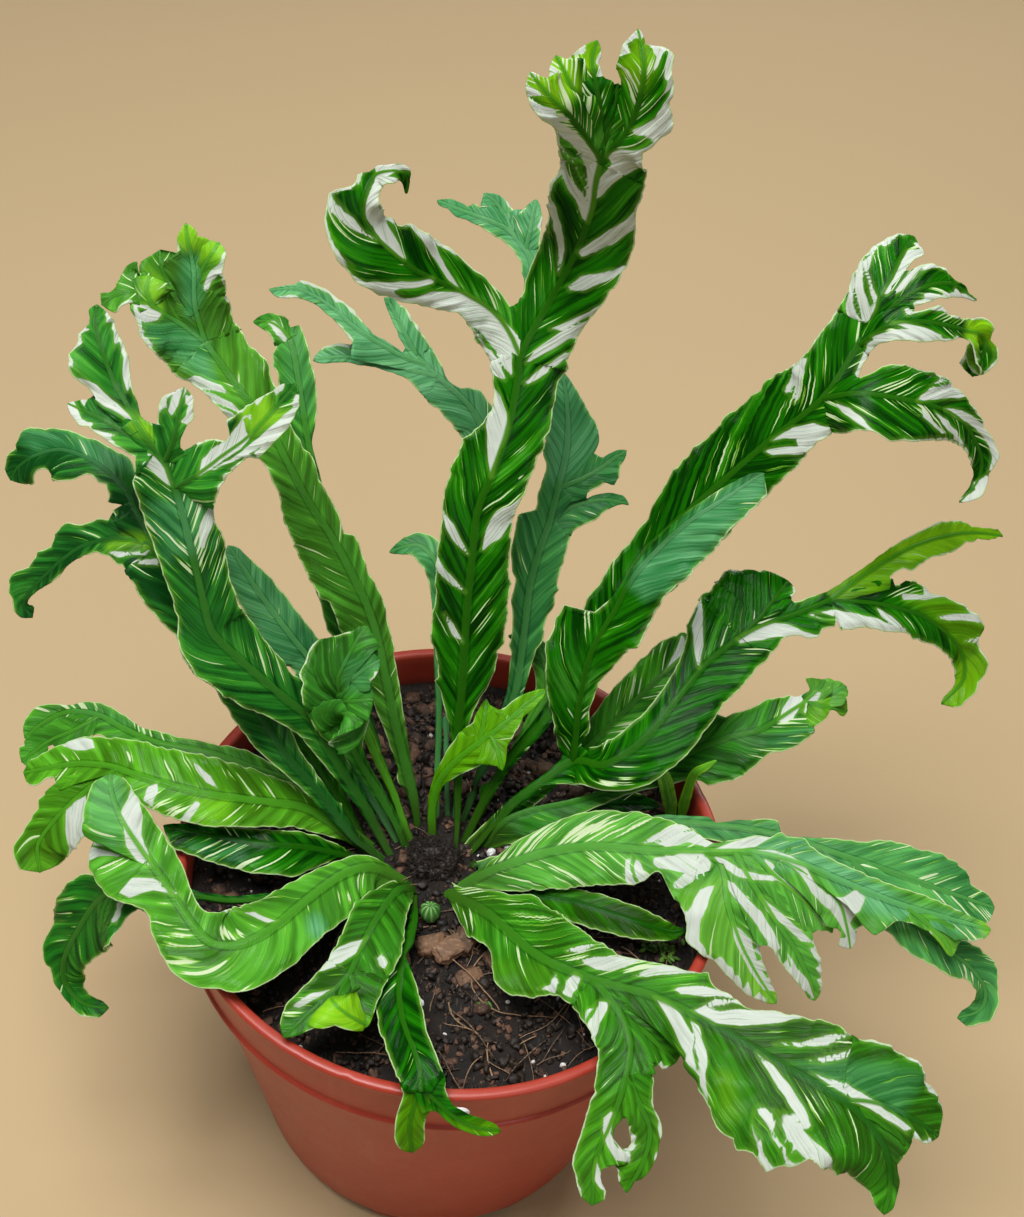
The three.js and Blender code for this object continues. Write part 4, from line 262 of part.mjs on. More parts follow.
    limbs: [
      [[2.93, 20.36, 132.3, 0.93, -0.354, -0.1, 0.99, 0.9], [5.08, 23.82, 140.14, 0.937, -0.336, -0.099, 1.17, 0.85], [7.24, 27.94, 147.65, 0.943, -0.319, -0.096, 1.52, 0.91], [9.65, 32.23, 154.99, 0.914, -0.385, -0.124, 1.67, 1.81], [12.75, 36.53, 162.06, 0.9, -0.414, -0.139, 2.02, 2.24], [15.55, 40.99, 169.15, 0.939, -0.325, -0.108, 2.53, 2.24], [17.13, 45.9, 176.31, 0.992, -0.124, -0.023, 3, 2.88], [17.61, 51.14, 183.4, 0.998, -0.063, -0.004, 3.48, 4.16], [17.95, 56.59, 190.35, 0.999, -0.048, 0.002, 4.03, 6.44], [18.18, 62.21, 197.17, 0.998, -0.055, 0, 5.09, 8.32], [18.85, 67.66, 204.08, 0.985, -0.166, -0.047, 6.24, 9.03], [20.57, 72.68, 211.14, 0.963, -0.255, -0.088, 9.24, 8.48], [22.88, 78.67, 217.18, 0.965, -0.246, -0.09, 10.32, 6.08], [24.48, 84.4, 223.71, 0.982, -0.181, -0.053, 5.83, 4.12], [25.86, 90, 230.41, 0.983, -0.177, -0.055, 5.56, 3.62], [26.89, 95.75, 237.03, 0.998, -0.068, 0.001, 7.55, 8.37], [26.65, 102.1, 243.16, 0.996, 0.06, 0.066, 6.84, 8.98], [25.38, 108.28, 249.34, 0.982, 0.152, 0.115, 4.65, 4.61], [23.8, 113.25, 253.75, 0.966, 0.209, 0.153, 1.74, 1.42], [23.29, 114.72, 255, 0.966, 0.209, 0.152, 0.3, 0.3]],
      [[23.38, 80.27, 218.9, 0.659, -0.567, -0.494, 2.28, 4.28], [28.74, 83.96, 221.6, 0.565, -0.67, -0.481, 4.59, 7.29], [35.11, 85.77, 223.88, 0.269, -0.841, -0.47, 2.94, 7.03], [42, 86.48, 224.95, 0.018, -0.865, -0.502, 2.27, 3.48], [47, 86.53, 224.31, -0.082, -0.859, -0.505, 2.48, 0.35], [48.98, 86.53, 224, -0.077, -0.859, -0.506, 0.3, 0.3]],
      [[25.27, 87.69, 227.62, 0.408, -0.628, -0.663, 2.2, 3.12], [31.09, 89.23, 229.79, 0.443, -0.695, -0.567, 5.05, 5.33], [36.55, 91.44, 232.27, 0.552, -0.732, -0.4, 7.81, 5.27], [41.5, 93.85, 235.51, 0.593, -0.721, -0.36, 2.72, 5.33], [44.93, 95.22, 237.9, 0.538, -0.751, -0.384, 1.76, 2.21], [46.5, 95.79, 239, 0.536, -0.753, -0.382, 0.3, 0.3]],
    ],
  },
  {
    name: "leaf_back_small",
    limbs: [
      [[-6.5, 21.61, 132.3, 0.995, 0.101, 0.022, 0.9, 0.9], [-7.26, 27.67, 138.76, 0.996, 0.087, 0.018, 0.9, 0.9], [-7.71, 33.13, 145.75, 0.999, 0.054, 0.007, 0.93, 0.93], [-8.05, 38.34, 152.95, 0.998, 0.062, 0.01, 0.97, 0.97], [-8.6, 43.71, 160.01, 0.994, 0.104, 0.023, 1.02, 1.02], [-9.46, 49.28, 166.89, 0.992, 0.127, 0.03, 1.11, 1.11], [-10.33, 54.94, 173.69, 0.995, 0.102, 0.022, 1.22, 1.22], [-10.93, 60.7, 180.43, 0.997, 0.072, 0.013, 1.59, 1.59], [-11.39, 66.48, 187.17, 0.998, 0.055, 0.009, 2.15, 2.15], [-11.69, 72.05, 194.09, 0.988, 0.149, 0.029, 3.71, 3.71], [-14.78, 77.48, 200.2, 0.791, 0.571, 0.221, 4.89, 4.89], [-21.88, 81.61, 201.81, -0.02, 0.921, 0.389, 4.05, 4.05], [-28.12, 81.43, 199.07, -0.215, 0.898, 0.384, 1.35, 1.35], [-29.8, 81.48, 198, -0.22, 0.897, 0.383, 0.3, 0.3]],
    ],
  },
  {
    name: "leaf_small_center",
    limbs: [
      [[6.54, 17.78, 132.2, 0.9, -0.413, -0.137, 0.91, 0.91], [9.84, 22.85, 138.59, 0.898, -0.418, -0.139, 0.97, 0.97], [13.29, 28.02, 144.81, 0.891, -0.429, -0.145, 1.03, 1.03], [16.87, 33.23, 150.92, 0.881, -0.447, -0.152, 1.11, 1.11], [20.71, 38.32, 156.98, 0.864, -0.476, -0.167, 1.68, 1.68], [24.55, 43.49, 162.97, 0.89, -0.431, -0.149, 2.47, 2.47], [27.57, 49.48, 168.6, 0.987, -0.157, -0.034, 3.79, 3.79], [26.5, 56.46, 173.7, 0.941, 0.294, 0.166, 4.12, 4.12], [21.43, 62.4, 177.35, 0.574, 0.726, 0.378, 3.25, 3.25], [15.22, 64.93, 178.05, 0.262, 0.858, 0.441, 1.3, 1.3], [13.3, 65.48, 178, 0.235, 0.864, 0.446, 0.3, 0.3]],
    ],
  },
  {
    name: "young_frond_lime",
    limbs: [
      [[-7.63, 13.41, 132.8, 0.991, 0.127, 0.038, 1.31, 1.31], [-8.23, 17.03, 140.39, 1, 0, -0.01, 1.44, 1.41], [-7.31, 20.03, 148.19, 0.946, -0.3, -0.124, 1.82, 1.67], [-4.12, 22.2, 155.64, 0.735, -0.617, -0.281, 3.26, 3.41], [0.85, 24.12, 162.15, 0.629, -0.699, -0.34, 5.46, 5.72], [6.83, 26.79, 167.43, 0.603, -0.714, -0.357, 3.43, 4.33], [13.14, 29.84, 172.09, 0.649, -0.682, -0.338, 4.41, 4.83], [18.06, 32.6, 175.16, 0.545, -0.743, -0.389, 1.7, 2.31], [19.72, 33.33, 176, 0.527, -0.753, -0.393, 0.3, 0.3]],
      [[6.02, 26.39, 166.83, 0.951, -0.279, 0.13, 3.69, 2.12], [6.53, 29.66, 170.12, 0.984, -0.172, 0.034, 4.66, 3.56], [6.85, 33.11, 173.23, 0.999, -0.035, -0.006, 2.53, 4.41], [6.89, 35.35, 174.9, 1, -0.015, 0.004, 1.45, 1.37], [6.91, 36.86, 176, 1, -0.016, 0.003, 0.3, 0.3]],
      [[9.06, 27.78, 169.12, -0.792, -0.278, -0.543, 2.45, 2.37], [11.14, 24.31, 167.86, -0.864, -0.35, -0.362, 4.43, 5.44], [12.81, 20.83, 166.17, -0.95, -0.268, -0.158, 2.31, 5.79], [13.5, 18.76, 164.86, -0.963, -0.231, -0.136, 1.3, 1.43], [13.95, 17.38, 164, -0.964, -0.227, -0.135, 0.3, 0.3]],
      [[13.87, 30.31, 172.61, 0.722, -0.63, -0.286, 5.2, 3.7], [17.8, 33.5, 175.53, 0.718, -0.626, -0.304, 3.61, 2.2], [22.01, 36.67, 178.04, 0.648, -0.675, -0.354, 2.63, 2.46], [24.98, 38.76, 179.33, 0.635, -0.683, -0.361, 1.48, 1.4], [26.52, 39.84, 180, 0.637, -0.682, -0.359, 0.3, 0.3]],
    ],
  },];

// ---------------------------------------------------------------- helpers
const wasm = await Module();
wasm.setup();
const { Manifold, Mesh } = wasm;

const V = (x, y, z) => new THREE.Vector3(x, y, z);

function solid(positions, triangles) {
  const m = new Mesh({
    numProp: 3,
    vertProperties: new Float32Array(positions),
    triVerts: new Uint32Array(triangles),
  });
  return new Manifold(m);
}

function toGeometry(man) {
  const mesh = man.getMesh();
  const n = mesh.numProp;
  const src = mesh.vertProperties;
  const pos = new Float32Array((src.length / n) * 3);
  for (let i = 0; i < src.length / n; i++) {
    pos[3 * i] = src[n * i];
    pos[3 * i + 1] = src[n * i + 1];
    pos[3 * i + 2] = src[n * i + 2];
  }
  const g = new THREE.BufferGeometry();
  g.setAttribute("position", new THREE.BufferAttribute(pos, 3));
  g.setIndex(Array.from(mesh.triVerts));
  g.computeVertexNormals();
  return g;
}

// A closed body of revolution. profile: [radius, z] pairs, first and last on the axis, walked so
// that the material lies to the left of the path when the radius axis points right.
function revolve(profile, segments, wobble) {
  const pos = [];
  const tri = [];
  const rings = [];
  profile.forEach(([r, z], k) => {
    if (r < 1e-6) {
      rings.push([pos.length / 3]);
      pos.push(0, 0, z);
    } else {
      const ring = [];
      for (let i = 0; i < segments; i++) {
        const a = (i / segments) * Math.PI * 2;
        const dz = wobble ? wobble(k, a, r) : 0;
        ring.push(pos.length / 3);
        pos.push(r * Math.cos(a), r * Math.sin(a), z + dz);
      }
      rings.push(ring);
    }
  });
  for (let k = 0; k + 1 < rings.length; k++) {
    const A = rings[k];
    const B = rings[k + 1];
    for (let i = 0; i < segments; i++) {
      const j = (i + 1) % segments;
      if (A.length === 1) tri.push(A[0], B[j], B[i]);
      else if (B.length === 1) tri.push(A[i], A[j], B[0]);
      else {
        tri.push(A[i], A[j], B[j]);
        tri.push(A[i], B[j], B[i]);
      }
    }
  }
  return solid(pos, tri);
}

// A closed box between two corners, turned about Z by angle a.
function block(x0, x1, y0, y1, z0, z1, a) {
  const c = Math.cos(a);
  const s = Math.sin(a);
  const pos = [];
  for (const z of [z0, z1])
    for (const [x, y] of [[x0, y0], [x1, y0], [x1, y1], [x0, y1]])
      pos.push(c * x - s * y, s * x + c * y, z);
  const tri = [0, 2, 1, 0, 3, 2, 4, 5, 6, 4, 6, 7];
  for (let i = 0; i < 4; i++) {
    const j = (i + 1) % 4;
    tri.push(i, j, j + 4, i, j + 4, i + 4);
  }
  return solid(pos, tri);
}

// One limb of a leaf: a closed blade of six-sided sections, thick at the midrib, thin at the edges.
function limb(stations, isMain, grow = 0) {
  const n = stations.length;
  const P = stations.map((s) => V(s[0], s[1], s[2]));
  const pos = [];
  const tri = [];
  for (let i = 0; i < n; i++) {
    const s = stations[i];
    const T = P[Math.min(i + 1, n - 1)].clone().sub(P[Math.max(i - 1, 0)]).normalize();
    const W = V(s[3], s[4], s[5]);
    W.addScaledVector(T, -W.dot(T)).normalize();
    const N = W.clone().cross(T).normalize();
    const t = i / (n - 1);
    const base = isMain ? MIDRIB_BASE : MIDRIB_TIP + 0.15;
    const hm = base + (MIDRIB_TIP - base) * t + grow;
    const L = Math.max(s[6], isMain && i < 2 ? 1.15 : 0.5) + grow;
    const R = Math.max(s[7], isMain && i < 2 ? 1.15 : 0.5) + grow;
    const he = EDGE_HALF + grow;
    const at = (w, h) => {
      const p = P[i].clone().addScaledVector(W, w).addScaledVector(N, h);
      pos.push(p.x, p.y, p.z);
    };
    at(-L, CUP * L - he);
    at(0, -hm);
    at(R, CUP * R - he);
    at(R, CUP * R + he);
    at(0, hm * 0.7);
    at(-L, CUP * L + he);
  }
  for (let i = 0; i + 1 < n; i++) {
    for (let k = 0; k < 6; k++) {
      const a = 6 * i + k;
      const b = 6 * i + ((k + 1) % 6);
      tri.push(a, b + 6, b, a, a + 6, b + 6);
    }
  }
  const cap = (o, flip) => {
    const f = [[0, 1, 5], [1, 4, 5], [1, 2, 4], [2, 3, 4]];
    for (const [a, b, c] of f) flip ? tri.push(o + a, o + c, o + b) : tri.push(o + a, o + b, o + c);
  };
  cap(0, false);
  cap(6 * (n - 1), true);
  // the winding above is checked by volume and turned if needed
  let vol = 0;
  for (let i = 0; i < tri.length; i += 3) {
    const a = V(pos[3 * tri[i]], pos[3 * tri[i] + 1], pos[3 * tri[i] + 2]);
    const b = V(pos[3 * tri[i + 1]], pos[3 * tri[i + 1] + 1], pos[3 * tri[i + 1] + 2]);
    const c = V(pos[3 * tri[i + 2]], pos[3 * tri[i + 2] + 1], pos[3 * tri[i + 2] + 2]);
    vol += a.dot(b.cross(c)) / 6;
  }
  if (vol < 0) for (let i = 0; i < tri.length; i += 3) [tri[i + 1], tri[i + 2]] = [tri[i + 2], tri[i + 1]];
  return solid(pos, tri);
}

// A rounded lump: an uneven ellipsoid with a repeatable surface.
function lump(cx, cy, cz, rx, ry, rz, turn, rough, seed, rows = 7, cols = 12) {
  const pos = [];
  const tri = [];
  const h = (i, j) => {
    const v = Math.sin(seed * 12.9898 + i * 78.233 + j * 37.719) * 43758.5453;
    return v - Math.floor(v) - 0.5;
  };
  const put = (x, y, z) => {
    const c = Math.cos(turn);
    const s = Math.sin(turn);
    pos.push(cx + c * x - s * y, cy + s * x + c * y, cz + z);
  };
  put(0, 0, -rz);
  for (let i = 1; i < rows; i++)
    for (let j = 0; j < cols; j++) {
      const a = (i / rows) * Math.PI;
      const b = (j / cols) * Math.PI * 2;
      const k = 1 + rough * h(i, j);
      put(rx * k * Math.sin(a) * Math.cos(b), ry * k * Math.sin(a) * Math.sin(b), -rz * k * Math.cos(a));
    }
  put(0, 0, rz);
  const last = pos.length / 3 - 1;
  const id = (i, j) => 1 + (i - 1) * cols + (j % cols);
  for (let j = 0; j < cols; j++) {
    tri.push(0, id(1, j + 1), id(1, j));
    tri.push(last, id(rows - 1, j), id(rows - 1, j + 1));
    for (let i = 1; i < rows - 1; i++) {
      tri.push(id(i, j), id(i, j + 1), id(i + 1, j + 1));
      tri.push(id(i, j), id(i + 1, j + 1), id(i + 1, j));
    }
  }
  return solid(pos, tri);
}

// ---------------------------------------------------------------- pot
const taper = (z) =>
  BASE_RADIUS + ((WALL_TOP_RADIUS - BASE_RADIUS) * (z - FOOT_HEIGHT - 2)) / (COLLAR_BOTTOM - FOOT_HEIGHT - 2);
const innerAt = (z) => taper(z) - WALL;
const potProfile = [
  [0, 0],
  [FOOT_RADIUS - 1, 0],
  [FOOT_RADIUS, 1],
  [FOOT_RADIUS + 0.8, FOOT_HEIGHT],
  [BASE_RADIUS, FOOT_HEIGHT + 2],
  [taper(60), 60],
  [WALL_TOP_RADIUS, COLLAR_BOTTOM],
  [COLLAR_RADIUS - 1.2, COLLAR_BOTTOM + 1],
  [COLLAR_RADIUS, POT_HEIGHT - 3.6],
  [LIP_RADIUS - 0.5, POT_HEIGHT - 3],
  [LIP_RADIUS, POT_HEIGHT - 2.2],
  [LIP_RADIUS, POT_HEIGHT - 0.8],
  [LIP_RADIUS - 0.8, POT_HEIGHT],
  [LIP_RADIUS - 2.9, POT_HEIGHT],
  [COLLAR_RADIUS - WALL, POT_HEIGHT - 1],
  [COLLAR_RADIUS - WALL - 1.2, COLLAR_BOTTOM + 1.4],
  [innerAt(COLLAR_BOTTOM - 1), COLLAR_BOTTOM - 1],
  [innerAt(60), 60],
  [innerAt(FOOT_HEIGHT + 4), FOOT_HEIGHT + 4],
  [FOOT_RADIUS - 3, FLOOR_TOP],
  [0, FLOOR_TOP],
];
let pot = revolve(potProfile, POT_SEGMENTS);
for (let i = 0; i < DRAIN_COUNT; i++) {
  const a = ((i + 0.5) / DRAIN_COUNT) * Math.PI * 2;
  pot = pot.subtract(block(FOOT_RADIUS - 9, FOOT_RADIUS + 6, -DRAIN_WIDTH / 2, DRAIN_WIDTH / 2, -2, DRAIN_HEIGHT, a));
}

// ---------------------------------------------------------------- soil
const c = CLEARANCE;
const soilProfile = [
  [0, FLOOR_TOP + c],
  [FOOT_RADIUS - 3.6, FLOOR_TOP + c],
  [innerAt(FOOT_HEIGHT + 4) - 0.7, FOOT_HEIGHT + 4.6],
  [innerAt(60) - c, 60],
  [innerAt(COLLAR_BOTTOM - 1) - c, COLLAR_BOTTOM - 1],
  [COLLAR_RADIUS - WALL - 1.2 - c, COLLAR_BOTTOM + 1.6],
  [COLLAR_RADIUS - WALL - 1.0 - c, SOIL_TOP - 1.6],
  [76, SOIL_TOP - 0.9],
  [58, SOIL_TOP - 0.6],
  [40, SOIL_TOP - 0.3],
  [22, SOIL_TOP - 0.1],
  [0, SOIL_TOP - 0.1],
];
const soil = revolve(soilProfile, 48, (k, a, r) =>
  k >= 7 && r > 30 ? 0.45 * Math.sin(3 * a + k) * Math.cos(5 * a - 2 * k) - 0.2 : 0,
);

// ---------------------------------------------------------------- assembly
const group = new THREE.Group();
group.name = "potted_fern";

function add(name, man, color, roughness, metalness = 0) {
  const mesh = new THREE.Mesh(toGeometry(man), new THREE.MeshStandardMaterial({ color, roughness, metalness }));
  mesh.name = name;
  group.add(mesh);
}

add("pot", pot, 0xa6493a, 0.42);
add("soil", soil, 0x2a1d17, 0.95);

// the dark fibrous crown in the middle of the leaf bases
let crown = lump(-6.5, 1.6, 132.2, 9.2, 8.2, 6.2, 0.3, 0.16, 3, 8, 14);
crown = crown.trimByPlane([0, 0, 1], SOIL_TOP + CLEARANCE);

const bud = lump(-5.8, -21, 136.2, 3.3, 3.2, 3.8, 0.4, 0.05, 8);

const GREEN = [0x2f8a2a, 0x2a7f2c, 0x3a9632, 0x257528];
const leaves = [];
// where two leaves brush past each other the first is pared back from the second
const PARED = [
  ["frond_left_hanging", "leaf_left_under"],
  ["frond_right_low", "frond_right_mid"],
];
const whole = (leaf, grow) => {
  let body = limb(leaf.limbs[0], true, grow);
  for (let k = 1; k < leaf.limbs.length; k++) body = body.add(limb(leaf.limbs[k], false, grow));
  return body;
};
const bedClearance = revolve([[0, 110], [84.6, 110], [84.6, SOIL_TOP + CLEARANCE], [0, SOIL_TOP + CLEARANCE]], 36);
LEAVES.forEach((leaf, i) => {
  let body = whole(leaf, 0);
  for (const [a, b] of PARED)
    if (a === leaf.name) body = body.subtract(whole(LEAVES.find((l) => l.name === b), CLEARANCE));
  body = body.subtract(bedClearance);
  leaves.push({ name: leaf.name, body, color: GREEN[i % 4] });
});

const loose = [
  { name: "crown", body: crown, color: 0x1d140f, rough: 0.95 },
  { name: "crozier_bud", body: bud, color: 0x3f8a35, rough: 0.45 },
  { name: "pebble_white_a", body: lump(19.2, 9.4, 134.0, 2.2, 2.0, 1.7, 0.5, 0.12, 11), color: 0xd9d6d0, rough: 0.7 },
  { name: "pebble_white_b", body: lump(12.9, 6.2, 133.6, 1.5, 1.3, 1.2, 0.2, 0.12, 12), color: 0xcfccc6, rough: 0.7 },
  { name: "pebble_rim", body: lump(8.0, -91.5, 141.2, 3.0, 1.0, 1.9, 0.09, 0.08, 13), color: 0xe0ddd8, rough: 0.6 },
  { name: "bark_chunk", body: lump(1.6, -33.0, 134.3, 5.4, 3.8, 2.0, 0.7, 0.18, 14), color: 0x4a3328, rough: 0.9 },
];
for (const p of loose) add(p.name, p.body, p.color, p.rough);
for (const l of leaves) add(l.name, l.body, l.color, 0.38);

export default group;
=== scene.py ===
"""Looks of the potted crested fern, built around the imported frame. Lengths in the tables are in millimetres, objects in metres."""
import json
import math
import bpy
import numpy as np
from mathutils import Matrix
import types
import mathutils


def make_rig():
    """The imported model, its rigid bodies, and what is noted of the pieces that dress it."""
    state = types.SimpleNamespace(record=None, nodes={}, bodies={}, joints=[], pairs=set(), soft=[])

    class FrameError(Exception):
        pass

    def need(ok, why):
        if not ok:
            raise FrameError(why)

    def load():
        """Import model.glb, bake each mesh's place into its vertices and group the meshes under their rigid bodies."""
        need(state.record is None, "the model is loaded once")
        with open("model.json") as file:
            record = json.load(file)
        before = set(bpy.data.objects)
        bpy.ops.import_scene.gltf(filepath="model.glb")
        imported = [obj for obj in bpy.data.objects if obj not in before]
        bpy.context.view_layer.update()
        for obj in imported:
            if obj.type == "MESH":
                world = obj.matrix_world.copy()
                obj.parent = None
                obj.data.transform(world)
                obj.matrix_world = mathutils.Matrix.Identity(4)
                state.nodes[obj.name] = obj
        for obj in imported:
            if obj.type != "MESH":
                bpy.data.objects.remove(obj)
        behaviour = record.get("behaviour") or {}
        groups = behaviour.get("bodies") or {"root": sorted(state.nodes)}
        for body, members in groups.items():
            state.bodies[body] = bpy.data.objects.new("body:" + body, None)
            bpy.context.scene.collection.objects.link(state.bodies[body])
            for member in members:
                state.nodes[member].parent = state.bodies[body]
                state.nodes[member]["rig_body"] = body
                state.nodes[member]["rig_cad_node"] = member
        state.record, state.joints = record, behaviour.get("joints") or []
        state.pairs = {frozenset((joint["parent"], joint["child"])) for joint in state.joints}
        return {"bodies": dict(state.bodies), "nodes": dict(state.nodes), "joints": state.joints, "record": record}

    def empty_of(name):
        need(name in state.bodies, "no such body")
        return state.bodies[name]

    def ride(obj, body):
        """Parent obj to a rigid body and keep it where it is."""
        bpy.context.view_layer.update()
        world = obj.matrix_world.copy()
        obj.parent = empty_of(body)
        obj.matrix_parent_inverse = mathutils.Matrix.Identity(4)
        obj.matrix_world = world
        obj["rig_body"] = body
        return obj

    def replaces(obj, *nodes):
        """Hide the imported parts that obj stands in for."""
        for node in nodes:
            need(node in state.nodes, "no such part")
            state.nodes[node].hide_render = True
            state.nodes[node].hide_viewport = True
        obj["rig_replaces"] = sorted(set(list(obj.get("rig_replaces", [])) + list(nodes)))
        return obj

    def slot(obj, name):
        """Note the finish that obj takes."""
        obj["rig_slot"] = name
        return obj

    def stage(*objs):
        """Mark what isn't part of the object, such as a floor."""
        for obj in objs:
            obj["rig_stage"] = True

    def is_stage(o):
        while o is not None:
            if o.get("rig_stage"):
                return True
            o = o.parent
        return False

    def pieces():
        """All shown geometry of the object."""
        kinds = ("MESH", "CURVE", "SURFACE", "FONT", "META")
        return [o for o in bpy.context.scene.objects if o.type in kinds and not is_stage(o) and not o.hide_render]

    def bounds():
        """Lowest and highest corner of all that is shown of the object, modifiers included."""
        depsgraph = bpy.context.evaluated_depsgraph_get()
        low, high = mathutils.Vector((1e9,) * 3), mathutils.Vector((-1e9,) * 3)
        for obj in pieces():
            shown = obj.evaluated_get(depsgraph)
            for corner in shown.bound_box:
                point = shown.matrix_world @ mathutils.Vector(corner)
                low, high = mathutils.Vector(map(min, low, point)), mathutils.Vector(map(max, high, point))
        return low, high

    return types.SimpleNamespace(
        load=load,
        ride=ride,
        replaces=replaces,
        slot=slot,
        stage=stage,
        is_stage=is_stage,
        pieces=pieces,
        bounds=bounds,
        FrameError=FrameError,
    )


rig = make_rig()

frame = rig.load()
LO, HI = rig.bounds()
CAD_BOX = [list(LO), list(HI)]
MM = 0.001

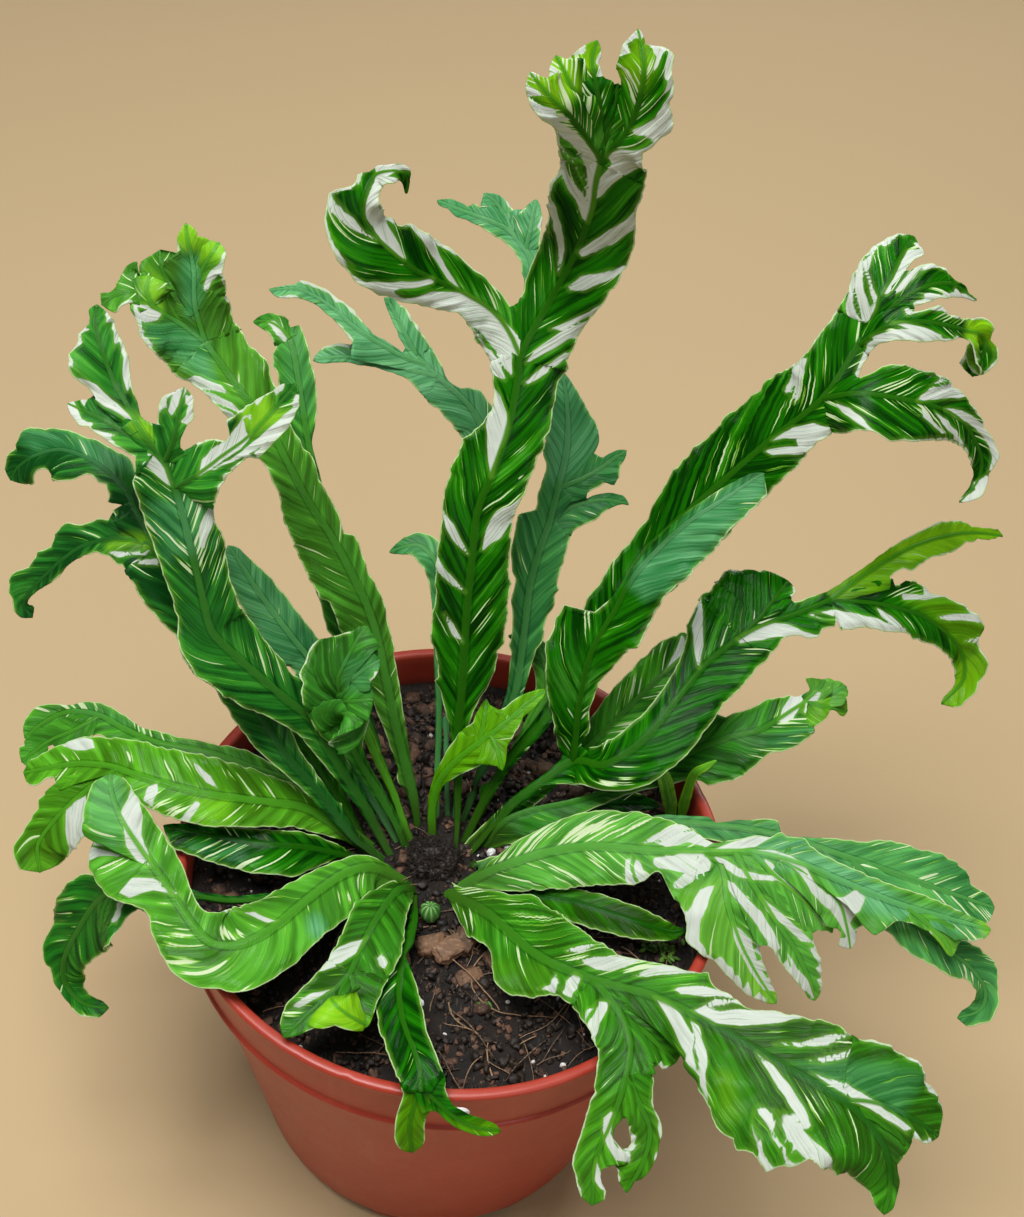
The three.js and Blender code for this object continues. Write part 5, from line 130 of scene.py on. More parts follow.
# ---------------------------------------------------------------- tables
# Each leaf is a list of limbs; each limb is a row of stations along its midrib:
# (x, y, z, width direction x, y, z, half width left, right, width shared with a neighbouring limb left, right, rise of the shared margin left, right)
LEAVES = {
    "frond_center_tall": [
        [(0.4,10.5,132.6,1,-0.002,0,0.3,1.2,0,0,0,0), (0.4,12.2,134.3,1,-0.004,-0.003,0.3,1.2,0,0,0,0), (0.5,13.9,136,1,0.002,-0.001,0.5,1.1,0,0,0,0), (0.4,15.6,137.8,1,0.023,0.01,0.7,1.1,0,0,0,0), (0.4,17,139.7,0.998,0.05,0.024,0.8,1.1,0,0,0,0), (0.2,18.4,141.7,0.997,0.073,0.036,0.9,1.2,0,0,0,0), (0,19.6,143.7,0.995,0.087,0.041,0.9,1.3,0,0,0,0), (-0.2,20.8,145.8,0.995,0.094,0.042,1,1.4,0,0,0,0), (-0.4,22,147.9,0.995,0.096,0.041,1,1.6,0,0,0,0), (-0.6,23.1,150,0.994,0.1,0.041,1,1.7,0,0,0,0), (-0.8,24.2,152.2,0.993,0.107,0.049,1.1,1.8,0,0,0,0), (-1,25.2,154.3,0.993,0.106,0.052,1.2,2,0,0,0,0), (-1.2,26.1,156.5,0.995,0.09,0.042,1.3,2.1,0,0,0,0), (-1.4,27.1,158.8,0.997,0.065,0.028,1.4,2.2,0,0,0,0), (-1.5,28,161,0.999,0.041,0.016,1.6,2.2,0,0,0,0), (-1.5,28.8,163.2,1,0.02,0.006,1.9,2.2,0,0,0,0), (-1.5,29.7,165.5,1,0.006,-0.001,2.2,2.6,0,0,0,0), (-1.5,30.5,167.7,1,-0.002,-0.005,2.5,3,0,0,0,0), (-1.5,31.4,170,1,-0.007,-0.007,3.3,3.5,0,0,0,0), (-1.5,32.2,172.2,1,-0.009,-0.007,4.2,3.9,0,0,0,0), (-1.4,33.1,174.5,1,-0.008,-0.007,4.9,4.3,0,0,0,0), (-1.4,33.9,176.7,1,-0.006,-0.006,5.7,5.4,0,0,0,0), (-1.4,34.8,179,1,-0.001,-0.003,6.5,6.4,0,0,0,0), (-1.4,35.6,181.2,1,0.006,0,7,7.4,0,0,0,0), (-1.4,36.6,183.4,1,0.013,0.004,9.1,8.5,0,0,0,0), (-1.4,37.5,185.7,1,0.019,0.008,7.8,9.6,0,0,0,0), (-1.5,38.4,187.9,1,0.024,0.011,8.1,10.4,0,0,0,0), (-1.5,39.4,190.1,1,0.027,0.012,8.5,10.7,0,0,0,0), (-1.6,40.4,192.3,1,0.028,0.012,8.9,11,0,0,0,0), (-1.7,41.3,194.5,1,0.027,0.012,9.2,10.9,0,0,0,0), (-1.7,42.3,196.7,1,0.025,0.011,11,12,0,0,0,0), (-1.7,43.3,198.9,1,0.021,0.009,11.2,12.5,0,0,0,0), (-1.8,44.3,201.1,1,0.015,0.005,10.9,13,0,0,0,0), (-1.8,45.3,203.3,1,0.008,0.001,10.8,12.8,0,0,0,0), (-1.8,46.2,205.5,1,0.003,-0.002,11,13,0,0,0,0), (-1.8,47.2,207.7,1,-0.002,-0.004,10.5,13,0,0,0,0), (-1.8,48.2,209.9,1,-0.006,-0.006,10.3,13.1,0,0,0,0), (-1.8,49.1,212.1,1,-0.009,-0.008,10.2,12.7,0,0,0,0), (-1.7,50.1,214.3,1,-0.013,-0.01,11,13,0,0,0,0), (-1.7,51.1,216.5,1,-0.016,-0.011,11,13.1,0,0,0,0), (-1.6,52,218.7,1,-0.019,-0.013,10.9,12.5,0,0,0,0), (-1.6,53,220.9,1,-0.021,-0.015,11,12.1,0,0,0,0), (-1.5,54.1,223.1,1,-0.022,-0.015,11.1,11.9,0,0,0,0), (-1.5,55.1,225.2,1,-0.02,-0.013,11,11.7,0,0,0,0), (-1.4,56.2,227.4,1,-0.018,-0.01,10.8,11.6,0,0,0,0), (-1.4,57.3,229.5,1,-0.023,-0.011,10.7,11.6,0,0,0,0), (-1.3,58.4,231.6,0.999,-0.038,-0.019,10.9,11.5,0,0,0,0), (-1.2,59.6,233.7,0.997,-0.066,-0.033,10.6,11.4,0,0,0,0), (-1.1,60.7,235.9,0.992,-0.115,-0.059,11,11.2,0,0,0,0), (-0.7,61.8,238,0.978,-0.184,-0.102,11.4,11,0,0,0,0), (-0.2,62.8,240.1,0.952,-0.262,-0.161,11.6,11.2,0,0,0,0), (0.5,63.8,242.2,0.927,-0.315,-0.206,11.9,11.3,0,0,0,0), (1.4,64.8,244.2,0.925,-0.319,-0.206,12.7,11.3,0,0,0,0), (2.1,65.9,246.2,0.941,-0.29,-0.178,12.8,11.5,0,0,0,0), (2.8,67.1,248.1,0.951,-0.264,-0.162,12.2,11.5,0,0,0,0), (3.5,68.4,250,0.954,-0.254,-0.162,12.1,11.4,0,0,0,0), (4.2,69.8,251.9,0.957,-0.245,-0.158,12.2,11.5,0,0,0,0), (4.8,71.1,253.8,0.961,-0.231,-0.15,12.7,11.2,0,0,0,0), (5.4,72.6,255.6,0.968,-0.211,-0.136,10.5,11.3,0,0,0,0), (6,74,257.5,0.975,-0.186,-0.118,9.5,12.7,0,0,0,0), (6.4,75.4,259.3,0.982,-0.16,-0.099,8.4,11.5,0,0,0,0), (6.8,76.9,261.2,0.987,-0.138,-0.083,7.4,12.6,0,0,0,0), (7.2,78.4,263,0.99,-0.122,-0.072,6.2,12.5,0,0,0,0), (7.5,80,264.9,0.992,-0.11,-0.064,6.2,12.4,0,0,0,0), (7.7,81.5,266.7,0.993,-0.102,-0.059,6.3,12.4,0,0,0,0), (8,83,268.6,0.994,-0.096,-0.056,7.1,12.3,0,0,0,0), (8.2,84.5,270.4,0.995,-0.082,-0.051,7.5,12.3,0,0,0,0), (8.4,86,272.3,1,-0.03,-0.002,8.2,12.4,0,0,0,0), (8.3,87.4,274.3,0.999,0.001,0.044,8.8,15.1,0,0,0,0), (8.2,88.7,276.3,0.996,-0.087,-0.035,6.2,15.1,3.8,0,-0.1,0), (8.7,90,278.2,0.963,-0.218,-0.157,0.8,15.1,9,0,-0.1,0), (9.5,91.3,280.1,0.93,-0.298,-0.217,2,14.8,9,0,-0.1,0), (10.4,92.6,281.9,0.91,-0.336,-0.245,3.2,13.5,9,0,-0.1,0), (11.4,93.9,283.7,0.899,-0.354,-0.258,4.5,13.8,9,0,-0.2,0), (12.4,95.1,285.5,0.892,-0.367,-0.265,6,13.3,8.3,0,-0.2,0), (13.4,96.3,287.3,0.887,-0.377,-0.268,7.8,13.3,0.3,0,-0.1,0), (14.5,97.4,289.2,0.883,-0.386,-0.266,8.5,13,0,0,-0.1,0), (15.5,98.3,291.1,0.879,-0.399,-0.262,8.5,13.2,0,0,0,0), (16.5,99.1,293.2,0.87,-0.415,-0.265,9.9,13.4,0,0,0,0), (17.4,99.6,295.4,0.859,-0.43,-0.277,9.9,13.9,0,0,0,0), (18.3,100,297.5,0.852,-0.435,-0.29,10.5,14.4,0,0,0,0), (19.2,100.3,299.8,0.852,-0.431,-0.298,10.8,14.6,0,0,0,0), (20.1,100.4,302,0.857,-0.419,-0.299,11,14.7,0,0,0,0), (20.9,100.5,304.3,0.87,-0.398,-0.292,11.1,14.9,0,0,0,0), (21.6,100.5,306.6,0.891,-0.358,-0.278,11.2,15,0,0,0,0), (22.3,100.4,308.9,0.924,-0.276,-0.264,11.2,15.1,0,0,0,0), (22.9,100.3,311.2,0.954,-0.172,-0.245,11.2,15.2,0,0,0,0), (23.5,100.1,313.5,0.969,-0.108,-0.221,11.3,15.3,0,0,0,0), (23.9,99.8,315.9,0.975,-0.093,-0.2,11.3,15.3,0,0,0,0), (24.4,99.5,318.2,0.979,-0.094,-0.18,11.3,15,0,0,0,0), (24.7,99.2,320.6,0.983,-0.094,-0.159,11.8,14.5,0,0,0,0), (25,98.8,322.9,0.987,-0.092,-0.133,13.5,13.7,0,0,0,0), (25.3,98.5,325.3,0.992,-0.086,-0.088,12.9,13,0,0,0,0), (25.4,98.2,327.7,0.996,-0.077,-0.033,13.2,12.7,0,0,0,0), (25.4,97.8,330.1,0.998,-0.07,0.006,13,13.4,0,0,0,0), (25.3,97.4,332.4,0.997,-0.07,0.011,12.5,14.1,0,0,0,0), (25.3,97.1,334.8,0.997,-0.078,-0.028,11.3,14.1,0,0,0,0), (25.4,96.8,337.2,0.992,-0.09,-0.091,10.9,13.9,0,0,0.1,0), (25.7,96.6,339.6,0.986,-0.098,-0.131,8,13.7,3.9,0,0.1,0), (26,96.4,341.9,0.985,-0.103,-0.14,0.8,0.8,9,9,0.1,0)],
        [(8.5,89.4,277.4,0.867,0.214,0.45,1,0.8,8.9,9,0.1,0), (7.6,90.5,278.7,0.872,0.218,0.438,6.8,1.2,2.5,9,0.1,0), (6.6,91.7,280,0.873,0.242,0.423,9.1,2,0,9,0,0.1), (5.7,92.8,281.3,0.854,0.298,0.426,9.1,3,0,9,0,0.1), (4.6,93.8,282.5,0.817,0.372,0.441,9.5,4.2,0,9,0,0.1), (3.5,94.7,283.7,0.766,0.452,0.457,9.6,5.8,0,9,0,0.1), (2.2,95.4,285.1,0.71,0.523,0.472,9.8,7.5,0,2.4,0,0.1), (0.8,95.9,286.4,0.644,0.583,0.495,9.8,4.8,0,0,0,0.1), (-0.7,96.3,287.7,0.559,0.63,0.539,9.6,5.3,0,0,0,0), (-2.2,96.4,289,0.467,0.664,0.585,9.3,6.1,0,0,0,0), (-3.7,96.2,290.2,0.384,0.685,0.62,9,6.4,0,0,0,0), (-5.3,95.9,291.4,0.324,0.696,0.641,8.3,6.5,0,0,0,0), (-6.9,95.5,292.6,0.286,0.703,0.651,7.8,7.7,0,0,0,0), (-8.4,95,293.7,0.26,0.706,0.658,6.9,8,0,0,0,0), (-10,94.5,294.9,0.244,0.708,0.663,6.4,8.1,0,0,0,0), (-11.5,94,296,0.233,0.71,0.665,6.3,8.4,0,0,0,0), (-13.1,93.4,297.1,0.222,0.712,0.667,6.8,9.2,0,0,0,0), (-14.6,92.8,298.2,0.198,0.712,0.674,7.2,9.9,0,0,0,0), (-16.1,92.1,299.3,0.167,0.71,0.685,7.8,10.2,0,0,0,0), (-17.6,91.4,300.4,0.146,0.708,0.691,8.1,10.7,0,0,0,0), (-19.1,90.7,301.5,0.14,0.708,0.692,8.2,10.9,0,0,0,0), (-20.6,89.9,302.6,0.15,0.708,0.69,8.5,10.9,0,0,0,0), (-22.1,89.2,303.7,0.178,0.707,0.684,8.7,11.1,0,0,0,0), (-23.5,88.5,304.8,0.225,0.707,0.671,9.2,11.1,0,0,0,0), (-25,87.9,306,0.289,0.705,0.647,9.8,11.1,0,0,0,0), (-26.5,87.4,307.3,0.353,0.7,0.621,10.3,11,0,0,0,0), (-28,87.1,308.6,0.4,0.692,0.601,10.9,10.8,0,0,0,0), (-29.4,86.8,309.9,0.435,0.685,0.585,12.3,10.7,0,0,0,0), (-30.9,86.6,311.3,0.459,0.679,0.573,12.5,10.4,0,0,0,0), (-32.3,86.5,312.7,0.475,0.674,0.566,12.8,9.8,0,0,0,0), (-33.7,86.4,314,0.482,0.668,0.567,13.3,7.2,0,0,0,0), (-35.2,86.3,315.4,0.5,0.659,0.562,13.2,7.5,0,0,0,0), (-36.7,86.4,316.7,0.558,0.641,0.528,12.9,7.4,0,0,0,0), (-38.1,86.7,318,0.652,0.604,0.459,13,6.5,0,0,0,0), (-39.3,86.9,319.6,0.753,0.541,0.375,12.2,5.8,0,0,0,0), (-40.1,87,321.4,0.853,0.436,0.285,11.7,6.1,0,0,0,0), (-40.7,87.2,323.3,0.944,0.286,0.165,11.1,6.2,0,0,0,0), (-41,87.7,325.2,0.995,0.104,-0.007,9.7,6.2,0,0,0,0), (-40.8,88.3,327.1,0.985,-0.062,-0.159,9.6,5.7,0,0,0,0), (-40.3,89.4,328.7,0.965,-0.146,-0.219,4.5,4.1,0,0,0,0), (-39.7,90.7,330.1,0.947,-0.186,-0.262,3.3,3.8,0,0,0,0), (-39,92.1,331.3,0.892,-0.281,-0.353,3.9,3.8,0,0,0,0), (-38,93.2,332.5,0.682,-0.488,-0.545,1.3,4.1,0,0,0,0), (-36.3,93.3,333.6,0.335,-0.609,-0.718,2,4,0,0,0,0), (-34.5,93,334.3,0.17,-0.658,-0.733,1.6,3.4,0,0,0,0), (-32.6,93.2,334.6,0.113,-0.662,-0.741,1.7,3.5,0,0,0,0), (-30.9,94,334,-0.139,-0.645,-0.751,2.1,2.4,0,0,0,0), (-29.5,94.7,332.7,-0.562,-0.539,-0.628,2.3,1.9,0,0,0,0), (-28.7,95.2,331,-0.919,-0.274,-0.282,0.6,1.7,0,0,0,0), (-28.5,95.1,329.1,-0.998,-0.002,0.066,0.3,1.2,0,0,0,0), (-28.9,94.6,327.2,-0.975,0.141,0.172,0.3,0.3,0,0,0,0)],
        [(25.9,96.4,340.9,0.878,-0.068,-0.474,2,2,9,9,0,0), (26.8,96.2,342.6,0.879,-0.066,-0.472,0.8,14,9,0,0,0), (27.7,95.9,344.3,0.877,-0.065,-0.476,1.2,13,9,0,0.1,0), (28.6,95.6,346.1,0.859,-0.116,-0.5,1.8,11.5,9,0,0.1,0), (29.6,95.4,347.8,0.789,-0.268,-0.553,2.2,11,9,0,0.2,0), (30.8,95.2,349.4,0.705,-0.435,-0.56,2.8,9.4,9,0,0.2,0), (31.9,95,351,0.732,-0.496,-0.467,3.2,7.1,9,0,0.3,0), (32.7,94.8,352.8,0.835,-0.442,-0.329,3.5,8.3,9,0,0.2,0), (33.2,94.7,354.7,0.913,-0.334,-0.235,3.5,8.8,9,0,0.1,0), (33.6,94.7,356.6,0.952,-0.247,-0.179,3.8,10.9,9,0,-0.2,0), (33.9,94.7,358.6,0.972,-0.192,-0.139,3.8,10.6,9,0,-0.4,0), (34.2,94.7,360.5,0.982,-0.154,-0.107,4,9.3,9,0,-0.6,0), (34.4,94.8,362.5,0.989,-0.127,-0.075,4,8.1,9,0,-0.8,0), (34.5,94.9,364.5,0.994,-0.103,-0.04,4.2,8.7,7.5,0,-1,0), (34.6,95.1,366.4,0.998,-0.069,0.003,4.5,8.6,2.1,0,-1.2,0), (34.5,95.4,368.4,0.998,-0.017,0.059,5.2,7.5,2.1,0,-1.4,0), (34.4,96.1,370.2,0.991,0.048,0.129,6.2,7.4,1.4,0,-1.4,0), (34,97.3,371.8,0.977,0.103,0.187,7,8.2,0.3,0,-1,0), (33.5,98.6,373.2,0.968,0.129,0.215,6.2,6.3,0,0,-0.5,0), (33,99.8,374.6,0.963,0.147,0.227,5.3,1.1,0,0,-0.1,0), (32.5,100.9,376.2,0.952,0.177,0.249,3.8,1,0,0,0,0), (31.8,101.9,377.8,0.944,0.199,0.262,0.3,0.3,0,0,0,0)],
        [(26,96.4,341.9,0.85,-0.131,0.51,0.8,0.8,9,9,-0.1,-0.1), (25,95.9,343.5,0.851,-0.127,0.51,6.2,1,6.3,9,-0.1,-0.1), (24,95.5,345.1,0.851,-0.117,0.512,11.1,1.5,0,9,-0.1,-0.2), (22.9,95,346.7,0.849,-0.101,0.518,10.1,0.8,0,9,0,-0.2), (21.9,94.5,348.3,0.844,-0.078,0.531,9.4,1,0,9,0,-0.4), (20.9,94,349.9,0.836,-0.047,0.547,8.9,1.2,0,9,0,-0.5), (19.8,93.3,351.4,0.827,-0.013,0.562,7.9,1.8,0,9,0,-0.7), (18.8,92.5,352.9,0.817,0.016,0.576,7.3,2.2,0,9,0,-0.9), (17.8,91.7,354.3,0.808,0.029,0.588,6.7,2.5,0,9,0,-1.1), (16.7,90.9,355.8,0.798,0.034,0.602,5.7,3,0,9,0,-1.1), (15.7,90.1,357.2,0.772,0.07,0.631,5,3.5,0,9,0,-1.2), (14.6,89.4,358.6,0.693,0.217,0.687,5.1,3.8,0,9,0,-1.2), (13.3,88.7,360,0.55,0.432,0.715,5.2,3.8,0,9,0,-1.3), (12,88.2,361.3,0.451,0.56,0.695,5.6,4.2,0,9,0,-1.4), (10.6,87.7,362.6,0.464,0.587,0.664,5.9,4.8,0,7.4,0,-1.7), (9.2,87.4,363.9,0.536,0.574,0.619,6,5.2,0,6.2,0,-1.9), (7.8,87.4,365.3,0.607,0.551,0.572,5.7,5.8,0,1.6,0,-1.5), (6.4,87.7,366.7,0.647,0.532,0.546,4.4,2.3,0,0,0,-0.7), (5.1,88,368,0.655,0.525,0.544,3.9,1.4,0,0,0,-0.1), (3.7,88.3,369.4,0.652,0.525,0.548,0.3,0.3,0,0,0,0)],
        [(24.1,95.5,345,0.926,-0.078,0.369,10.5,1.2,0,9,0.1,0), (23.3,95.3,346.8,0.928,-0.077,0.365,0.8,1.5,9,9,0.1,-0.1), (22.6,95,348.7,0.93,-0.078,0.36,1,2,9,9,0.3,-0.3), (21.8,94.7,350.5,0.929,-0.08,0.36,1.5,2.2,8.1,9,0.4,-0.4), (21.1,94.5,352.4,0.927,-0.084,0.366,1.8,2.5,7.5,9,0.6,-0.4), (20.3,94.2,354.3,0.93,-0.089,0.358,2.5,2.8,6.2,9,0.8,-0.5), (19.6,93.8,356.1,0.928,-0.065,0.368,3,3,6.5,9,1,-0.5), (18.8,93.5,357.9,0.901,0.073,0.427,3,3,7,9,1.2,-0.5), (17.9,93.3,359.7,0.839,0.295,0.457,3.2,3.2,6.9,9,1.3,-0.4), (16.9,93.3,361.5,0.788,0.427,0.443,3.5,3.5,7.8,5,1.3,-0.4), (15.8,93.5,363.2,0.789,0.441,0.428,4,3.8,8.2,5.5,1.3,-0.5), (14.7,93.9,364.8,0.811,0.413,0.416,4.8,4.2,7.7,5.3,1.3,-0.7), (13.6,94.6,366.4,0.831,0.383,0.404,5.5,4.5,3.8,6.4,1,-0.8), (12.6,95.6,367.8,0.841,0.363,0.401,4.1,5,0,2.1,0.5,-0.7), (11.5,96.6,369.1,0.843,0.356,0.403,3.2,1.8,0,0,0.1,-0.3), (10.4,97.7,370.4,0.842,0.356,0.405,0.3,0.3,0,0,0,-0.1)],
        [(26,96.4,341.9,0.988,-0.119,0.096,2.2,0.8,9,9,0,0), (25.8,96.2,343.9,0.989,-0.115,0.092,1,0.5,9,9,0.1,0), (25.6,95.9,345.9,0.99,-0.107,0.088,1.5,0.8,9,9,0.3,0), (25.4,95.7,347.8,0.991,-0.095,0.091,1.8,1,9,9,0.4,-0.1), (25.2,95.5,349.8,0.991,-0.08,0.104,2,1.2,9,9,0.4,-0.2), (24.9,95.4,351.9,0.99,-0.063,0.125,2.2,1.5,9,9,0.4,-0.3), (24.6,95.1,353.9,0.986,-0.037,0.16,2.5,1.8,9,9,0.5,-0.5), (24.3,94.9,355.9,0.978,0.025,0.205,2.8,2.2,9,9,0.5,-0.6), (23.8,95,357.8,0.965,0.114,0.236,2.8,2.5,9,9,0.5,-0.8), (23.3,95.1,359.8,0.952,0.181,0.245,3,3,9,9,0.4,-0.8), (22.7,95.4,361.8,0.949,0.207,0.239,3.2,3.2,9,9,0.4,-0.8), (22.1,95.8,363.7,0.952,0.208,0.226,3.8,3.5,9,3.8,0.3,-0.5), (21.6,96.6,365.5,0.954,0.197,0.227,4,2,9,0,0.5,-0.2), (21,97.7,367.1,0.962,0.169,0.215,4.5,2,9,0,0.6,0), (20.5,99,368.6,0.988,0.079,0.134,5,1.4,4.9,0,0.6,0), (20.3,100.1,370.2,0.997,-0.074,-0.026,4.6,2.4,0,0,0.3,0), (20.7,101.2,371.9,0.974,-0.181,-0.138,2.6,1.9,0,0,0.1,0), (21.2,102.3,373.6,0.966,-0.212,-0.15,0.3,0.3,0,0,0,0)],
        [(26,96.4,341.9,0.99,-0.107,-0.089,1.2,0.5,9,9,0.1,0), (26.2,96.2,343.8,0.991,-0.104,-0.088,0.5,1,9,9,0.1,0), (26.3,96,345.8,0.991,-0.098,-0.086,0.8,1.5,9,8.8,0.1,0), (26.5,95.8,347.8,0.992,-0.09,-0.09,1,2,9,9,0.1,-0.2), (26.6,95.7,349.8,0.991,-0.089,-0.1,1.2,2.5,9,9,0.2,-0.3), (26.9,95.8,351.9,0.991,-0.097,-0.093,1.5,3,9,9,0.3,-0.4), (27,95.7,354,0.989,-0.118,-0.089,1.8,3.2,9,9,0.4,-0.3), (27.3,96,356,0.986,-0.136,-0.092,2.2,3.5,9,9,0.5,-0.1), (27.5,96.4,358,0.987,-0.139,-0.077,2.8,3.8,9,9,0.6,0.2), (27.7,96.8,360.1,0.989,-0.135,-0.065,3.2,3.8,9,9,0.7,0.4), (27.9,97.3,362.1,0.989,-0.133,-0.062,3.5,4,4.8,9,0.5,0.4), (28.1,97.8,364.1,0.989,-0.132,-0.062,0.3,0.3,0,0,0.3,0.3)],
    ],
    "frond_right_long": [
